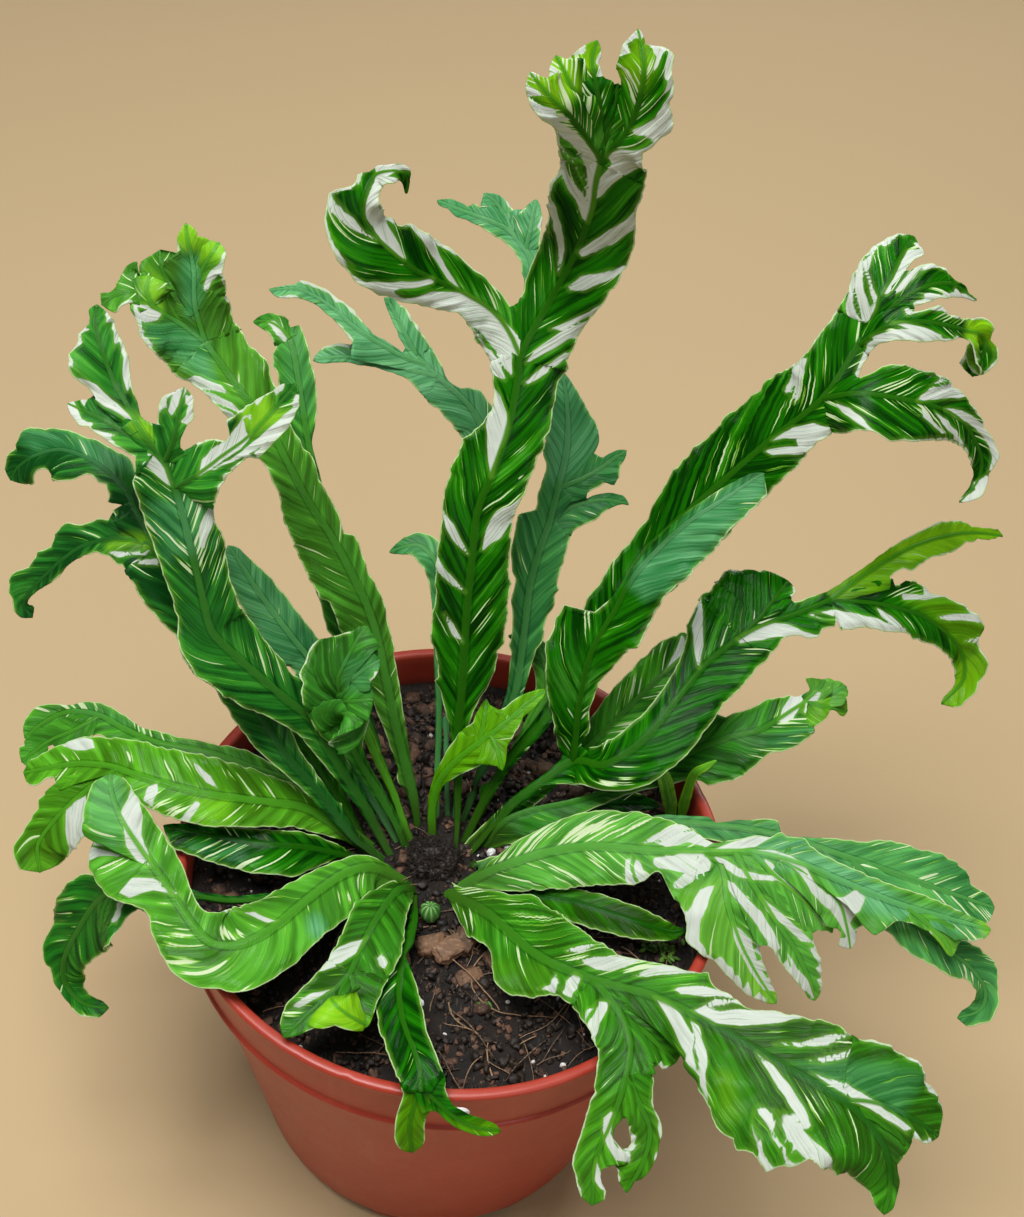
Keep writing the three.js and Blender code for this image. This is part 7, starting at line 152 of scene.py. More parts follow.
        [(38.4,29.3,157,0.831,-0.516,0.205,0.5,0.5,4.3,9,-0.3,-0.5), (38.3,30,158.9,0.846,-0.495,0.199,4.5,1.8,0.3,9,-0.2,-0.7), (38.3,30.6,160.8,0.881,-0.438,0.18,5.9,3.2,0,4.2,-0.1,-0.7), (38.2,31.3,162.7,0.924,-0.352,0.151,6.4,2.2,0,0,0,-0.4), (38.1,32,164.6,0.962,-0.246,0.116,6.5,2,0,0,0,-0.1), (38.1,32.6,166.5,0.987,-0.129,0.094,7.2,2.8,0,0,0,0), (37.9,33.2,168.4,0.996,-0.035,0.085,7.3,4.2,0,0,0,0), (37.8,33.7,170.3,0.998,-0.008,0.059,7.4,4.5,0,0,0,0), (37.7,34.3,172.2,0.999,-0.048,0.023,8.2,4.2,0,0,0,0), (37.8,34.9,174.1,0.996,-0.089,0.002,8.7,3.8,0,0,0,0), (37.8,35.6,176,0.994,-0.109,-0.003,9.5,3.5,0,0,0,0), (37.9,36.3,177.9,0.993,-0.115,-0.001,10.1,3.6,0,0,0,0), (38,36.9,179.7,0.993,-0.118,-0.001,10.9,3.9,0,0,0,0), (38.1,37.6,181.6,0.992,-0.126,-0.004,11.2,4.3,0,0,0,0), (38.2,38.3,183.5,0.991,-0.137,-0.009,11.5,4.5,0,0,0,0), (38.3,39,185.4,0.988,-0.151,-0.013,12,4.9,0,0,0,0), (38.4,39.7,187.2,0.985,-0.172,-0.021,12.3,5.1,0,0,0,0), (38.6,40.4,189.1,0.98,-0.198,-0.032,12.8,6,0,0,0,0), (38.8,41.1,191,0.973,-0.229,-0.039,13.4,6.9,0,0,0,0), (39.1,41.8,192.8,0.96,-0.274,-0.054,14.6,7.6,0,0,0,0), (39.5,42.5,194.6,0.941,-0.331,-0.076,15.2,8.2,0,0,0,0), (39.9,43.3,196.4,0.917,-0.387,-0.098,14.6,8.8,0,0,0,0), (40.5,44,198.2,0.894,-0.433,-0.117,14.8,9.3,0,0,0,0), (41.1,44.8,199.9,0.873,-0.469,-0.134,15.6,9.7,0,0,0,0), (41.8,45.6,201.6,0.856,-0.495,-0.148,15.2,10.1,0,0,0,0), (42.6,46.4,203.2,0.844,-0.513,-0.158,15.5,10.5,0,0,0,0), (43.4,47.2,204.9,0.837,-0.522,-0.164,10.3,13.2,0,0,0,0), (44.2,48,206.5,0.837,-0.522,-0.165,5,13.1,0,0,0,0), (45.1,48.8,208.1,0.844,-0.513,-0.16,4.5,12.1,0,0,0,0), (45.9,49.6,209.8,0.856,-0.496,-0.149,3.9,11.9,0,0,0,0), (46.6,50.5,211.4,0.868,-0.478,-0.137,3.2,11.7,0,0,0,0), (47.3,51.3,213.1,0.875,-0.467,-0.131,2.5,11.4,0,0,0,0), (48,52.2,214.8,0.873,-0.469,-0.133,2.1,11.6,0,0,0,0), (48.7,53,216.4,0.862,-0.485,-0.144,1.9,11.9,0,0,0,0), (49.5,53.9,218,0.843,-0.513,-0.162,1.8,11.9,0,0,0,0), (50.4,54.8,219.5,0.817,-0.545,-0.186,1.7,12,0,0,0,0), (51.4,55.8,221,0.79,-0.576,-0.209,1.8,11.9,0,0,0,0), (52.5,56.7,222.4,0.768,-0.599,-0.226,1.9,11.8,0,0,0,0), (53.7,57.6,223.7,0.753,-0.614,-0.237,2,12.3,0,0,0,0), (54.9,58.6,225,0.741,-0.625,-0.245,2.2,12.4,0,0,0,0), (56.1,59.5,226.3,0.732,-0.634,-0.252,2.4,12.6,0,0,0,0), (57.4,60.4,227.5,0.723,-0.642,-0.257,2.7,13.1,0,0,0,0), (58.7,61.4,228.7,0.713,-0.65,-0.262,2.9,13.1,0,0,0,0), (59.9,62.3,230,0.703,-0.66,-0.266,2.8,12.6,0,0,0,0), (61.2,63.1,231.2,0.688,-0.673,-0.271,2.7,12.6,0,0,0,0), (62.6,63.9,232.5,0.665,-0.692,-0.281,2.6,12.4,0,0,0,0), (63.9,64.6,233.8,0.63,-0.717,-0.297,2.6,12.4,0,0,0,0), (65.3,65.2,235.1,0.592,-0.742,-0.316,2.6,12.4,0,0,0,0), (66.7,65.7,236.4,0.562,-0.758,-0.331,2.8,12.4,0,0,0,0), (68.1,66.2,237.7,0.551,-0.764,-0.336,3,11.7,0,0,0,0), (69.6,66.8,238.9,0.549,-0.764,-0.338,2.9,11.4,0,0,0,0), (71.2,67.4,240,0.537,-0.769,-0.348,2.9,10.4,0,0,0,0), (72.8,67.9,241.1,0.521,-0.774,-0.36,3,10.1,0,0,0,0), (74.4,68.5,242.1,0.52,-0.774,-0.362,3.1,9.4,0,0,0,0), (76,69.2,243.1,0.537,-0.765,-0.356,3.2,9.2,0,0,0,0), (77.6,69.9,244.1,0.565,-0.75,-0.343,3.3,9.1,0,0,0,0), (79.1,70.6,245.1,0.589,-0.737,-0.332,3,8.7,0,0,0,0), (80.6,71.4,246.1,0.601,-0.73,-0.327,2.8,8.2,0,0,0,0), (82.2,72.2,247.1,0.601,-0.729,-0.326,2.5,7.7,0,0,0,0), (83.7,73,248.1,0.586,-0.739,-0.332,2.3,7.3,0,0,0,0), (85.3,73.8,249.1,0.534,-0.767,-0.356,2.1,7,0,0,0,0), (86.9,74.4,250.1,0.45,-0.802,-0.393,1.3,6.6,0,0,0,0), (88.6,74.8,251,0.403,-0.82,-0.407,0.3,0.3,0,0,0,0)],
        [(91,60.6,191,0.759,-0.604,-0.243,18.7,11.5,0,0,0,0), (92.3,62,191.7,0.758,-0.605,-0.242,19,0.8,0,9,0,0), (93.6,63.3,192.4,0.758,-0.608,-0.238,19,1,0,9,0,-0.1), (94.9,64.7,193.2,0.758,-0.61,-0.232,19,1.2,0,9,0,-0.1), (96.2,66.1,193.9,0.76,-0.611,-0.224,19,1.5,0,9,0,-0.1), (97.5,67.4,194.5,0.794,-0.575,-0.198,19,2,0,8.8,0,-0.1), (98.7,69,195.2,0.826,-0.536,-0.173,19,2.5,0,9,0,-0.1), (99.9,70.6,195.9,0.83,-0.532,-0.167,19,3,0,9,0,0), (101,72.2,196.5,0.834,-0.527,-0.164,19,3.8,0,9,0,0), (102.2,73.8,197.1,0.836,-0.524,-0.164,18,4.2,0,9,0,0.1), (103.3,75.4,197.7,0.837,-0.522,-0.165,16.5,5,0,4.8,0,0.1), (104.4,77.1,198.2,0.838,-0.519,-0.166,14.2,4.5,0,0,0,0.1), (105.5,78.8,198.5,0.841,-0.514,-0.166,10,4.5,0,0,0,0), (106.6,80.5,198.8,0.842,-0.512,-0.167,8.8,4.2,0,0,0,0), (107.7,82.3,199,0.842,-0.513,-0.167,0.3,0.3,0,0,0,0)],
        [(121.5,74.5,199,0.632,-0.716,-0.297,2.8,0.8,0,1.6,0,0), (123,75.4,200,0.632,-0.716,-0.295,2.6,1.2,0,1.2,0,-0.1), (124.5,76.3,201,0.631,-0.719,-0.292,2.4,2,0,2,0,-0.2), (126,77.2,201.9,0.628,-0.723,-0.288,2.1,2.8,0,6.5,0,-0.3), (127.5,78.2,202.8,0.625,-0.727,-0.285,2.2,3.5,0,9,0,-0.4), (129.1,79.3,203.6,0.623,-0.729,-0.284,2.1,4.2,0,9,0,-0.4), (130.7,80.3,204.2,0.622,-0.73,-0.284,2.1,5,0,9,0,-0.5), (132.3,81.4,204.9,0.619,-0.731,-0.286,2.1,5.8,0,9,0,-0.5), (133.8,82.5,205.4,0.616,-0.733,-0.29,2,6.5,0,9,0,-0.6), (135.4,83.7,206,0.612,-0.734,-0.294,2.2,7.2,0,5.6,0,-0.4), (137,84.8,206.5,0.609,-0.735,-0.297,2.1,7.6,0,0,0,-0.2), (138.6,85.9,206.9,0.606,-0.736,-0.301,2.6,5.2,0,0,0,0), (140.2,87.1,207.4,0.601,-0.738,-0.307,2.7,5.2,0,0,0,0), (141.9,88.2,207.7,0.593,-0.741,-0.314,2.8,5.1,0,0,0,0), (143.5,89.4,208,0.587,-0.744,-0.321,3.1,5.1,0,0,0,0), (145.1,90.6,208.1,0.584,-0.744,-0.327,3.3,7.2,0,0,0,0), (146.7,91.8,208.2,0.58,-0.744,-0.333,3.2,7.2,0,0,0,0), (148.3,93.1,208.2,0.572,-0.747,-0.34,3.6,6.7,0,0,0,0), (149.9,94.3,208.2,0.558,-0.753,-0.349,3.6,6.6,0,0,0,0), (151.5,95.5,208.2,0.54,-0.761,-0.36,3.6,6.4,0,0,0,0), (153.2,96.7,208,0.52,-0.769,-0.371,3.7,6.2,0,0,0,0), (154.8,97.8,207.9,0.501,-0.777,-0.382,4.1,5.9,0,0,0,0), (156.5,99,207.7,0.484,-0.782,-0.391,4.3,6.1,0,0,0,0), (158.1,100.1,207.5,0.47,-0.787,-0.4,4.4,6.1,0,0,0,0), (159.8,101.2,207.2,0.456,-0.791,-0.408,4.7,6.6,0,0,0,0), (161.5,102.3,206.9,0.442,-0.795,-0.415,5,6.1,0,0,0,0), (163.1,103.4,206.5,0.429,-0.798,-0.423,5.4,6.3,0,0,0,0), (164.8,104.5,206.2,0.416,-0.801,-0.43,5.4,6,0,0,0,0), (166.5,105.6,205.7,0.405,-0.803,-0.437,5.1,5.5,0,0,0,0), (168.1,106.6,205.3,0.394,-0.804,-0.445,5.2,4.9,0,0,0,0), (169.7,107.7,204.8,0.381,-0.807,-0.452,5,4.3,0,0,0,0), (171.4,108.8,204.3,0.363,-0.81,-0.46,4.8,3.3,0,0,0,0), (173,109.8,203.7,0.342,-0.814,-0.469,4.2,3.4,0,0,0,0), (174.7,110.8,203.1,0.316,-0.819,-0.478,4.1,3.5,0,0,0,0), (176.3,111.8,202.5,0.285,-0.825,-0.488,2.1,3.1,0,0,0,0), (178,112.7,201.9,0.248,-0.831,-0.498,2,2,0,0,0,0), (179.7,113.5,201.2,0.208,-0.837,-0.506,2.1,2.3,0,0,0,0), (181.5,114.3,200.6,0.174,-0.84,-0.513,1.8,2.2,0,0,0,0), (183.2,115.1,199.9,0.15,-0.842,-0.518,1.9,2.4,0,0,0,0), (184.9,115.8,199.1,0.137,-0.843,-0.521,2.2,1.5,0,0,0,0), (186.7,116.5,198.4,0.135,-0.842,-0.522,2,1.3,0,0,0,0), (188.4,117.3,197.7,0.143,-0.841,-0.522,2.2,0.3,0,0,0,0), (190.2,118,197,0.15,-0.841,-0.52,0.3,0.3,0,0,0,0)],
        [(121.5,74.5,199,-0.032,-0.899,-0.437,0.8,1.2,2.7,4.5,0,0), (123.5,74.3,199.2,-0.032,-0.898,-0.439,1.2,5.8,3.7,0,0.1,0), (125.4,74.1,199.5,-0.031,-0.896,-0.443,2,11.2,4.5,0,0.2,0), (127.4,73.9,199.7,-0.03,-0.893,-0.45,2.8,10.2,5.4,0,0.3,0), (129.4,73.7,199.9,-0.028,-0.889,-0.458,3.5,9.7,6.5,0,0.4,0), (131.4,73.6,200,-0.025,-0.884,-0.466,4.2,8.8,7,0,0.4,0), (133.4,73.6,200,-0.021,-0.88,-0.474,5,8.5,7.9,0,0.5,0), (135.4,73.6,199.9,-0.021,-0.877,-0.48,5.8,9,8.7,0,0.6,0), (137.4,73.6,199.8,-0.029,-0.874,-0.485,6.5,9.1,9,0,0.7,0), (139.4,73.7,199.5,-0.041,-0.872,-0.488,7.2,9.1,9,0,0.7,0), (141.3,73.8,199,-0.048,-0.87,-0.491,8,9.1,5.1,0,0.6,0), (143.2,74,198.5,-0.045,-0.868,-0.495,7.9,9,0,0,0.3,0), (145.1,74.3,197.9,-0.044,-0.866,-0.499,8.3,8.7,0,0,0.2,0), (147,74.6,197.2,-0.055,-0.863,-0.502,10,8.2,0.4,0,0.3,0), (148.9,74.8,196.5,-0.075,-0.86,-0.505,10.8,7.7,0,0,0.2,0), (150.7,75.1,195.8,-0.106,-0.855,-0.508,11.4,8,0,0,0,0), (152.5,75.3,195,-0.15,-0.848,-0.509,10.5,8.4,0,0,0,0), (154.3,75.5,194.1,-0.203,-0.837,-0.508,10.5,8.4,0,0,0,0), (156,75.6,193.1,-0.254,-0.825,-0.505,9.2,8,0,0,0,0), (157.8,75.6,192.1,-0.296,-0.812,-0.503,9.8,8,0,0,0,0), (159.4,75.6,191,-0.331,-0.8,-0.501,10.2,7.6,0,0,0,0), (161.1,75.6,189.9,-0.362,-0.788,-0.498,11.1,7,0,0,0,0), (162.7,75.6,188.7,-0.393,-0.776,-0.494,11.6,6.4,0,0,0,0), (164.3,75.5,187.5,-0.424,-0.762,-0.49,11.8,6.2,0,0,0,0), (165.9,75.4,186.2,-0.456,-0.747,-0.484,12.1,5.9,0,0,0,0), (167.4,75.3,184.9,-0.491,-0.728,-0.478,11.6,5.9,0,0,0,0), (168.8,75.2,183.5,-0.537,-0.702,-0.469,12.2,5.5,0,0,0,0), (170.2,75.1,182.1,-0.603,-0.66,-0.448,12.2,5.2,0,0,0,0), (171.4,74.8,180.5,-0.69,-0.594,-0.414,12,4.9,0,0,0,0), (172.6,74.5,178.9,-0.789,-0.499,-0.36,6.8,4.6,0,0,0,0), (173.5,73.9,177.3,-0.872,-0.382,-0.305,6.7,4.6,0,0,0,0), (174.3,73.1,175.6,-0.93,-0.253,-0.266,7.6,4.2,0,0,0,0), (174.9,72.2,173.9,-0.973,-0.092,-0.212,8.3,3.5,0,0,0,0), (175.2,71.2,172.2,-0.985,0.112,-0.134,7.4,3.4,0,0,0,0), (175.2,70.1,170.6,-0.941,0.336,-0.034,5.1,3.2,0,0,0,0), (174.6,69,169,-0.844,0.532,0.073,5.7,2.2,0,0,0,0), (173.5,67.9,167.7,-0.753,0.644,0.135,5.4,1.4,0,0,0,0), (172.3,66.9,166.5,-0.708,0.688,0.159,5,1.1,0,0,0,0), (171,65.9,165.3,-0.693,0.702,0.168,5.4,1.1,0,0,0,0), (169.7,64.9,164.2,-0.703,0.693,0.159,3.9,1,0,0,0,0), (168.5,63.9,163,-0.713,0.684,0.151,0.3,0.3,0,0,0,0)],
    ],
    "leaf_right_mid_behind": [
        [(9.4,15.6,132.6,0.791,-0.573,-0.215,0.3,5.1,0,0,0,0), (10.9,17.2,133.6,0.801,-0.561,-0.21,0.3,5.5,0,0,0,0), (12.2,18.9,134.7,0.812,-0.548,-0.203,0.3,6.1,0,0,0,0), (13.6,20.6,135.7,0.801,-0.561,-0.208,0.3,6.6,0,0,0,0), (15.1,22.2,136.7,0.765,-0.603,-0.224,0.3,7.1,0,0,0,0), (16.7,23.7,137.8,0.699,-0.671,-0.249,0.3,7.3,0,0,0,0), (18.4,24.9,138.9,0.577,-0.763,-0.292,0.3,7.4,0,0,0,0), (20.4,25.6,140.1,0.423,-0.84,-0.34,0.3,7.2,0,0,0,0), (22.5,26,141.2,0.312,-0.878,-0.364,0.3,6.6,0,0,0,0), (24.6,26.2,142.3,0.262,-0.89,-0.372,0.3,5.5,0,0,0,0), (26.8,26.3,143.5,0.274,-0.887,-0.371,0.3,4.2,0,0,0,0), (28.9,26.6,144.6,0.354,-0.865,-0.355,0.3,2.9,0,0,0,0), (30.9,27.1,145.8,0.495,-0.81,-0.315,1.1,1.9,0,0,0,0), (32.8,28,147,0.64,-0.722,-0.263,1.7,1.6,0,0,0,0), (34.4,29.3,148.1,0.733,-0.642,-0.225,1.9,1.7,0,0,0,0), (35.9,30.8,149.3,0.777,-0.595,-0.205,1.9,2,0,0,0,0), (37.4,32.3,150.5,0.778,-0.594,-0.205,1.9,2.4,0,0,0,0), (38.9,33.8,151.7,0.746,-0.627,-0.224,1.9,2.7,0,0,0,0), (40.4,35.1,153,0.717,-0.655,-0.239,2.5,3.3,0,0,0,0), (42.1,36.4,154.3,0.706,-0.666,-0.241,3.4,4.1,0,0,0,0), (43.7,37.6,155.6,0.703,-0.669,-0.241,4.4,4.8,0,0,0,0), (45.3,38.8,156.9,0.706,-0.667,-0.238,5.3,5.6,0,0,0,0), (46.8,40,158.3,0.711,-0.663,-0.234,5.9,6.4,0,0,0,0), (48.4,41.1,159.7,0.715,-0.66,-0.231,6.4,6.8,0,0,0,0), (49.9,42.3,161.2,0.716,-0.66,-0.23,6.8,7.2,0,0,0,0), (51.5,43.5,162.7,0.714,-0.661,-0.23,7.3,7.6,0,0,0,0), (53,44.6,164.1,0.71,-0.665,-0.233,7.7,8,0,0,0,0), (54.6,45.7,165.6,0.703,-0.671,-0.236,8.1,8.3,0,0,0,0), (56.1,46.8,167,0.697,-0.676,-0.24,8.3,8.3,0,0,0,0), (57.7,47.9,168.5,0.696,-0.677,-0.241,8.5,8.2,0,0,0,0), (59.3,49.1,169.9,0.7,-0.672,-0.241,8.7,8.2,0,0,0,0), (60.9,50.2,171.3,0.709,-0.664,-0.238,8.8,8.1,0,0,0,0), (62.5,51.5,172.6,0.719,-0.654,-0.235,8.8,8.1,0,0,0,0), (64.1,52.9,173.8,0.727,-0.646,-0.233,8.9,8,0,0,0,0), (65.7,54.3,174.9,0.73,-0.642,-0.234,8.9,8,0,0,0,0), (67.3,55.7,176,0.729,-0.642,-0.237,8.6,8,0,0,0,0), (68.9,57.1,177.1,0.723,-0.647,-0.242,8.7,7.9,0,0,0,0), (70.5,58.6,178.1,0.714,-0.654,-0.249,8.7,7.8,0,0,0,0), (72.2,60.1,179,0.706,-0.661,-0.255,8.5,6.7,0,0,0,0), (73.9,61.6,179.8,0.7,-0.665,-0.26,7.8,5.6,0,0,0,0), (75.7,63.1,180.5,0.698,-0.667,-0.263,6.7,4.5,0,0,0,0), (77.4,64.6,181.2,0.698,-0.666,-0.263,7.1,3.4,0,0,0,0), (79.1,66.1,182,0.699,-0.665,-0.262,0.3,0.3,0,0,0,0)],
    ],
    "frond_right_low": [
        [(11,11.1,132.6,0.766,-0.621,-0.167,0.4,3.7,0,0,0,0), (12.1,11.9,134.6,0.766,-0.623,-0.158,0.4,5.2,0,0,0,0), (13.1,12.7,136.6,0.743,-0.648,-0.166,0.4,6.7,0,0,0,0), (14.3,13.5,138.5,0.678,-0.704,-0.214,0.4,7.7,0,0,0,0), (15.9,14.3,140.1,0.606,-0.756,-0.247,0.4,8.4,0,0,0,0), (17.7,15.3,141.4,0.538,-0.799,-0.27,0.4,9,0,0,0,0), (19.7,16.1,142.3,0.449,-0.843,-0.297,0.4,9.3,0,0,0,0), (21.9,16.8,143.1,0.361,-0.877,-0.317,0.4,9.5,0,0,0,0), (24.1,17.4,143.9,0.29,-0.898,-0.33,0.4,9.4,0,0,0,0), (26.4,17.8,144.6,0.242,-0.91,-0.337,0.4,9,0,0,0,0), (28.6,18.1,145.2,0.218,-0.915,-0.339,0.4,8.4,0,0,0,0), (30.9,18.4,145.9,0.213,-0.916,-0.34,0.4,7.8,0,0,0,0), (33.2,18.7,146.5,0.22,-0.914,-0.339,0.4,7.1,0,0,0,0), (35.5,19.1,147,0.241,-0.91,-0.337,0.4,6.4,0,0,0,0), (37.8,19.5,147.6,0.276,-0.902,-0.333,0.4,5.8,0,0,0,0), (40.1,20.1,148.1,0.32,-0.889,-0.326,0.4,5.3,0,0,0,0), (42.4,20.8,148.5,0.358,-0.877,-0.321,0.4,4.9,0,0,0,0), (44.6,21.6,148.9,0.385,-0.866,-0.318,0.4,4.7,0,0,0,0), (46.8,22.5,149.2,0.405,-0.859,-0.315,0.4,4.5,0,0,0,0), (49,23.4,149.5,0.416,-0.854,-0.313,0.9,4.3,0,0,0,0), (51.2,24.4,149.8,0.419,-0.853,-0.311,1.4,4.2,0,0,0,0), (53.3,25.3,150.2,0.413,-0.856,-0.311,1.9,4.1,0,0,0,0), (55.5,26.2,150.6,0.406,-0.859,-0.312,2.2,4,0,0,0,0), (57.7,27.1,151.1,0.403,-0.86,-0.312,2.5,4.2,0,0,0,0), (59.9,27.9,151.6,0.405,-0.86,-0.311,2.7,4.5,0,0,0,0), (62.1,28.8,152.1,0.41,-0.858,-0.309,2.9,4.8,0,0,0,0), (64.3,29.6,152.7,0.42,-0.855,-0.306,3,5.1,0,0,0,0), (66.4,30.5,153.3,0.434,-0.849,-0.302,3.2,5.4,0,0,0,0), (68.6,31.4,153.9,0.46,-0.838,-0.294,3.7,5.8,0,0,0,0), (70.7,32.3,154.6,0.501,-0.819,-0.28,5,6.4,0,0,0,0), (72.7,33.4,155.4,0.533,-0.803,-0.267,6.1,7.4,0,0,0,0), (74.6,34.4,156.3,0.536,-0.802,-0.264,7.3,8.9,0,0,0,0), (76.6,35.4,157.3,0.501,-0.821,-0.273,7.6,10.1,0,0,0,0), (78.6,36.2,158.3,0.445,-0.848,-0.289,8,12.1,0,0,0,0), (80.7,36.8,159.3,0.395,-0.868,-0.301,8.6,12.9,0,0,0,0), (82.7,37.3,160.5,0.362,-0.88,-0.307,9.3,13.4,0,0,0,0), (84.8,37.7,161.6,0.341,-0.887,-0.311,10,13.9,0,0,0,0), (86.9,38.1,162.8,0.324,-0.892,-0.315,10.5,14,0,0,0,0), (89,38.4,163.9,0.313,-0.895,-0.316,10.8,13.7,0,0,0,0), (91.1,38.8,165,0.282,-0.902,-0.326,7.5,13.8,0,0,0,0), (93.3,39.1,165.9,0.222,-0.911,-0.347,7.8,13.1,0,0,0,0), (95.6,39.2,166.6,0.198,-0.913,-0.356,8,12.1,0,0,0,0), (97.9,39.5,167.3,0.271,-0.9,-0.341,8.1,10.5,0,0,0,0), (100.1,40.1,167.9,0.404,-0.86,-0.31,8.4,8.7,0,0,0,0), (102.2,41.1,168.4,0.515,-0.81,-0.281,8.2,10,0,0,0,0), (104.2,42.4,168.9,0.575,-0.775,-0.262,7.6,10.5,0,0,0,0), (106.1,43.7,169.4,0.604,-0.756,-0.252,8,10.8,0,0,0,0), (108,45.1,169.8,0.616,-0.748,-0.247,7.9,10.9,0,0,0,0), (109.9,46.6,170.2,0.613,-0.751,-0.247,6.7,11.1,0,0,0,0), (111.8,48,170.7,0.611,-0.752,-0.247,5.3,10.9,0,0,0,0.1), (113.7,49.4,171.1,0.623,-0.743,-0.243,4.7,6.8,0,3.6,0,0.1), (115.6,50.8,171.6,0.63,-0.738,-0.24,2.6,2.8,0,6.1,0,0.2), (117.4,52.3,172,0.63,-0.739,-0.24,2.4,1,0,7.7,0,0.2)],
        [(116.5,51.5,171.8,0.663,-0.711,-0.232,2.4,0.8,0,7.9,0,0.1), (117.7,52.2,173.2,0.659,-0.717,-0.226,2,1,0,7.1,0,0), (119,52.9,174.5,0.677,-0.706,-0.208,1.6,1.8,0,5.7,0,-0.1), (120.2,53.7,176,0.75,-0.643,-0.154,5.3,2.2,0,9,0,-0.4), (121.1,54.6,177.5,0.825,-0.557,-0.095,5.4,3,0,6.7,0,-0.5), (121.8,55.7,179,0.857,-0.509,-0.088,0.3,0.3,0,0,0,-0.4)],
        [(116,51.1,171.7,0.245,-0.924,-0.294,1.5,1.5,1.2,9,0,0), (118,51.4,172.4,0.245,-0.921,-0.301,1,0.8,2.2,7,0.2,0), (120.1,51.8,173,0.273,-0.909,-0.314,1.8,1.8,7.7,6,0.4,0.1), (122,52.2,173.8,0.351,-0.881,-0.316,2.5,2.2,7.1,2.5,0.8,0.1), (123.9,52.7,174.6,0.439,-0.846,-0.303,3,2.8,6.4,2.8,1,-0.2), (125.7,53.4,175.5,0.516,-0.81,-0.28,3.8,3.8,4.9,1.8,0.8,-0.3), (127.4,54.5,176,0.55,-0.784,-0.286,3.4,4,0,0,0.4,-0.2), (129,55.7,175.6,0.537,-0.785,-0.307,2.6,2.9,0,0,0.1,0), (130.5,57,175,0.528,-0.784,-0.326,0.3,0.3,0,0,0,0)],
        [(117,51.3,172,-0.393,-0.812,-0.431,0.8,0.8,9,9,0,-0.2), (118.8,50.2,172.5,-0.379,-0.818,-0.432,1.2,4.8,9,9,-0.1,-0.1), (120.6,49.1,172.9,-0.281,-0.861,-0.424,2,8.2,8.7,0,-0.2,-0.1), (122.6,48.7,173,-0.109,-0.91,-0.401,2.2,4.8,8.1,0,-0.1,0), (124.6,48.8,172.7,-0.008,-0.92,-0.392,2.8,0.5,7.1,0,0.2,0), (126.5,49,172.1,0.048,-0.916,-0.398,3.2,0.4,6.5,0,0.6,0), (128.1,49.6,171.3,0.072,-0.903,-0.425,4,2,6,0,1,0), (129.7,50.2,170.1,0.056,-0.899,-0.435,4.5,1.9,3.2,0,0.9,0), (131.2,50.8,169,0.05,-0.896,-0.441,0.3,0.3,0,0,0.5,0)],
    ],
    "leaf_small_upright_a": [
        [(75,24.5,132.6,0.986,0.025,0.166,1,1,0,0,0,0), (74.6,24.5,134.9,0.987,0.02,0.161,1.3,1.3,0,0,0,0), (74.2,24.6,137.2,0.987,0.027,0.159,1.6,1.6,0,0,0,0), (73.8,24.6,139.5,0.984,0.044,0.175,1.8,1.8,0,0,0,0), (73.4,24.7,141.8,0.978,0.046,0.203,2.1,2.1,0,0,0,0), (72.9,24.6,144,0.972,0.026,0.232,2.4,2.4,0,0,0,0), (72.3,24.5,146.3,0.968,0.012,0.252,2.4,2.4,0,0,0,0), (71.7,24.4,148.5,0.964,0.015,0.264,2.4,2.4,0,0,0,0), (71.1,24.3,150.8,0.96,0.04,0.277,2.4,2.4,0,0,0,0), (70.4,24.1,153,0.95,0.115,0.292,2.4,2.4,0,0,0,0), (69.8,24,155.2,0.924,0.231,0.305,2.4,2.4,0,0,0,0), (69,23.9,157.4,0.892,0.326,0.314,2.4,2.4,0,0,0,0), (68.2,23.9,159.6,0.863,0.385,0.327,2.2,2.2,0,0,0,0), (67.3,24.1,161.8,0.836,0.429,0.343,1.8,1.8,0,0,0,0), (66.3,24.3,163.9,0.817,0.458,0.351,1.4,1.4,0,0,0,0), (65.3,24.5,165.9,0.812,0.468,0.349,1,1,0,0,0,0), (64.3,24.7,168,0.814,0.467,0.346,0.3,0.3,0,0,0,0)],
    ],
    "leaf_small_upright_b": [
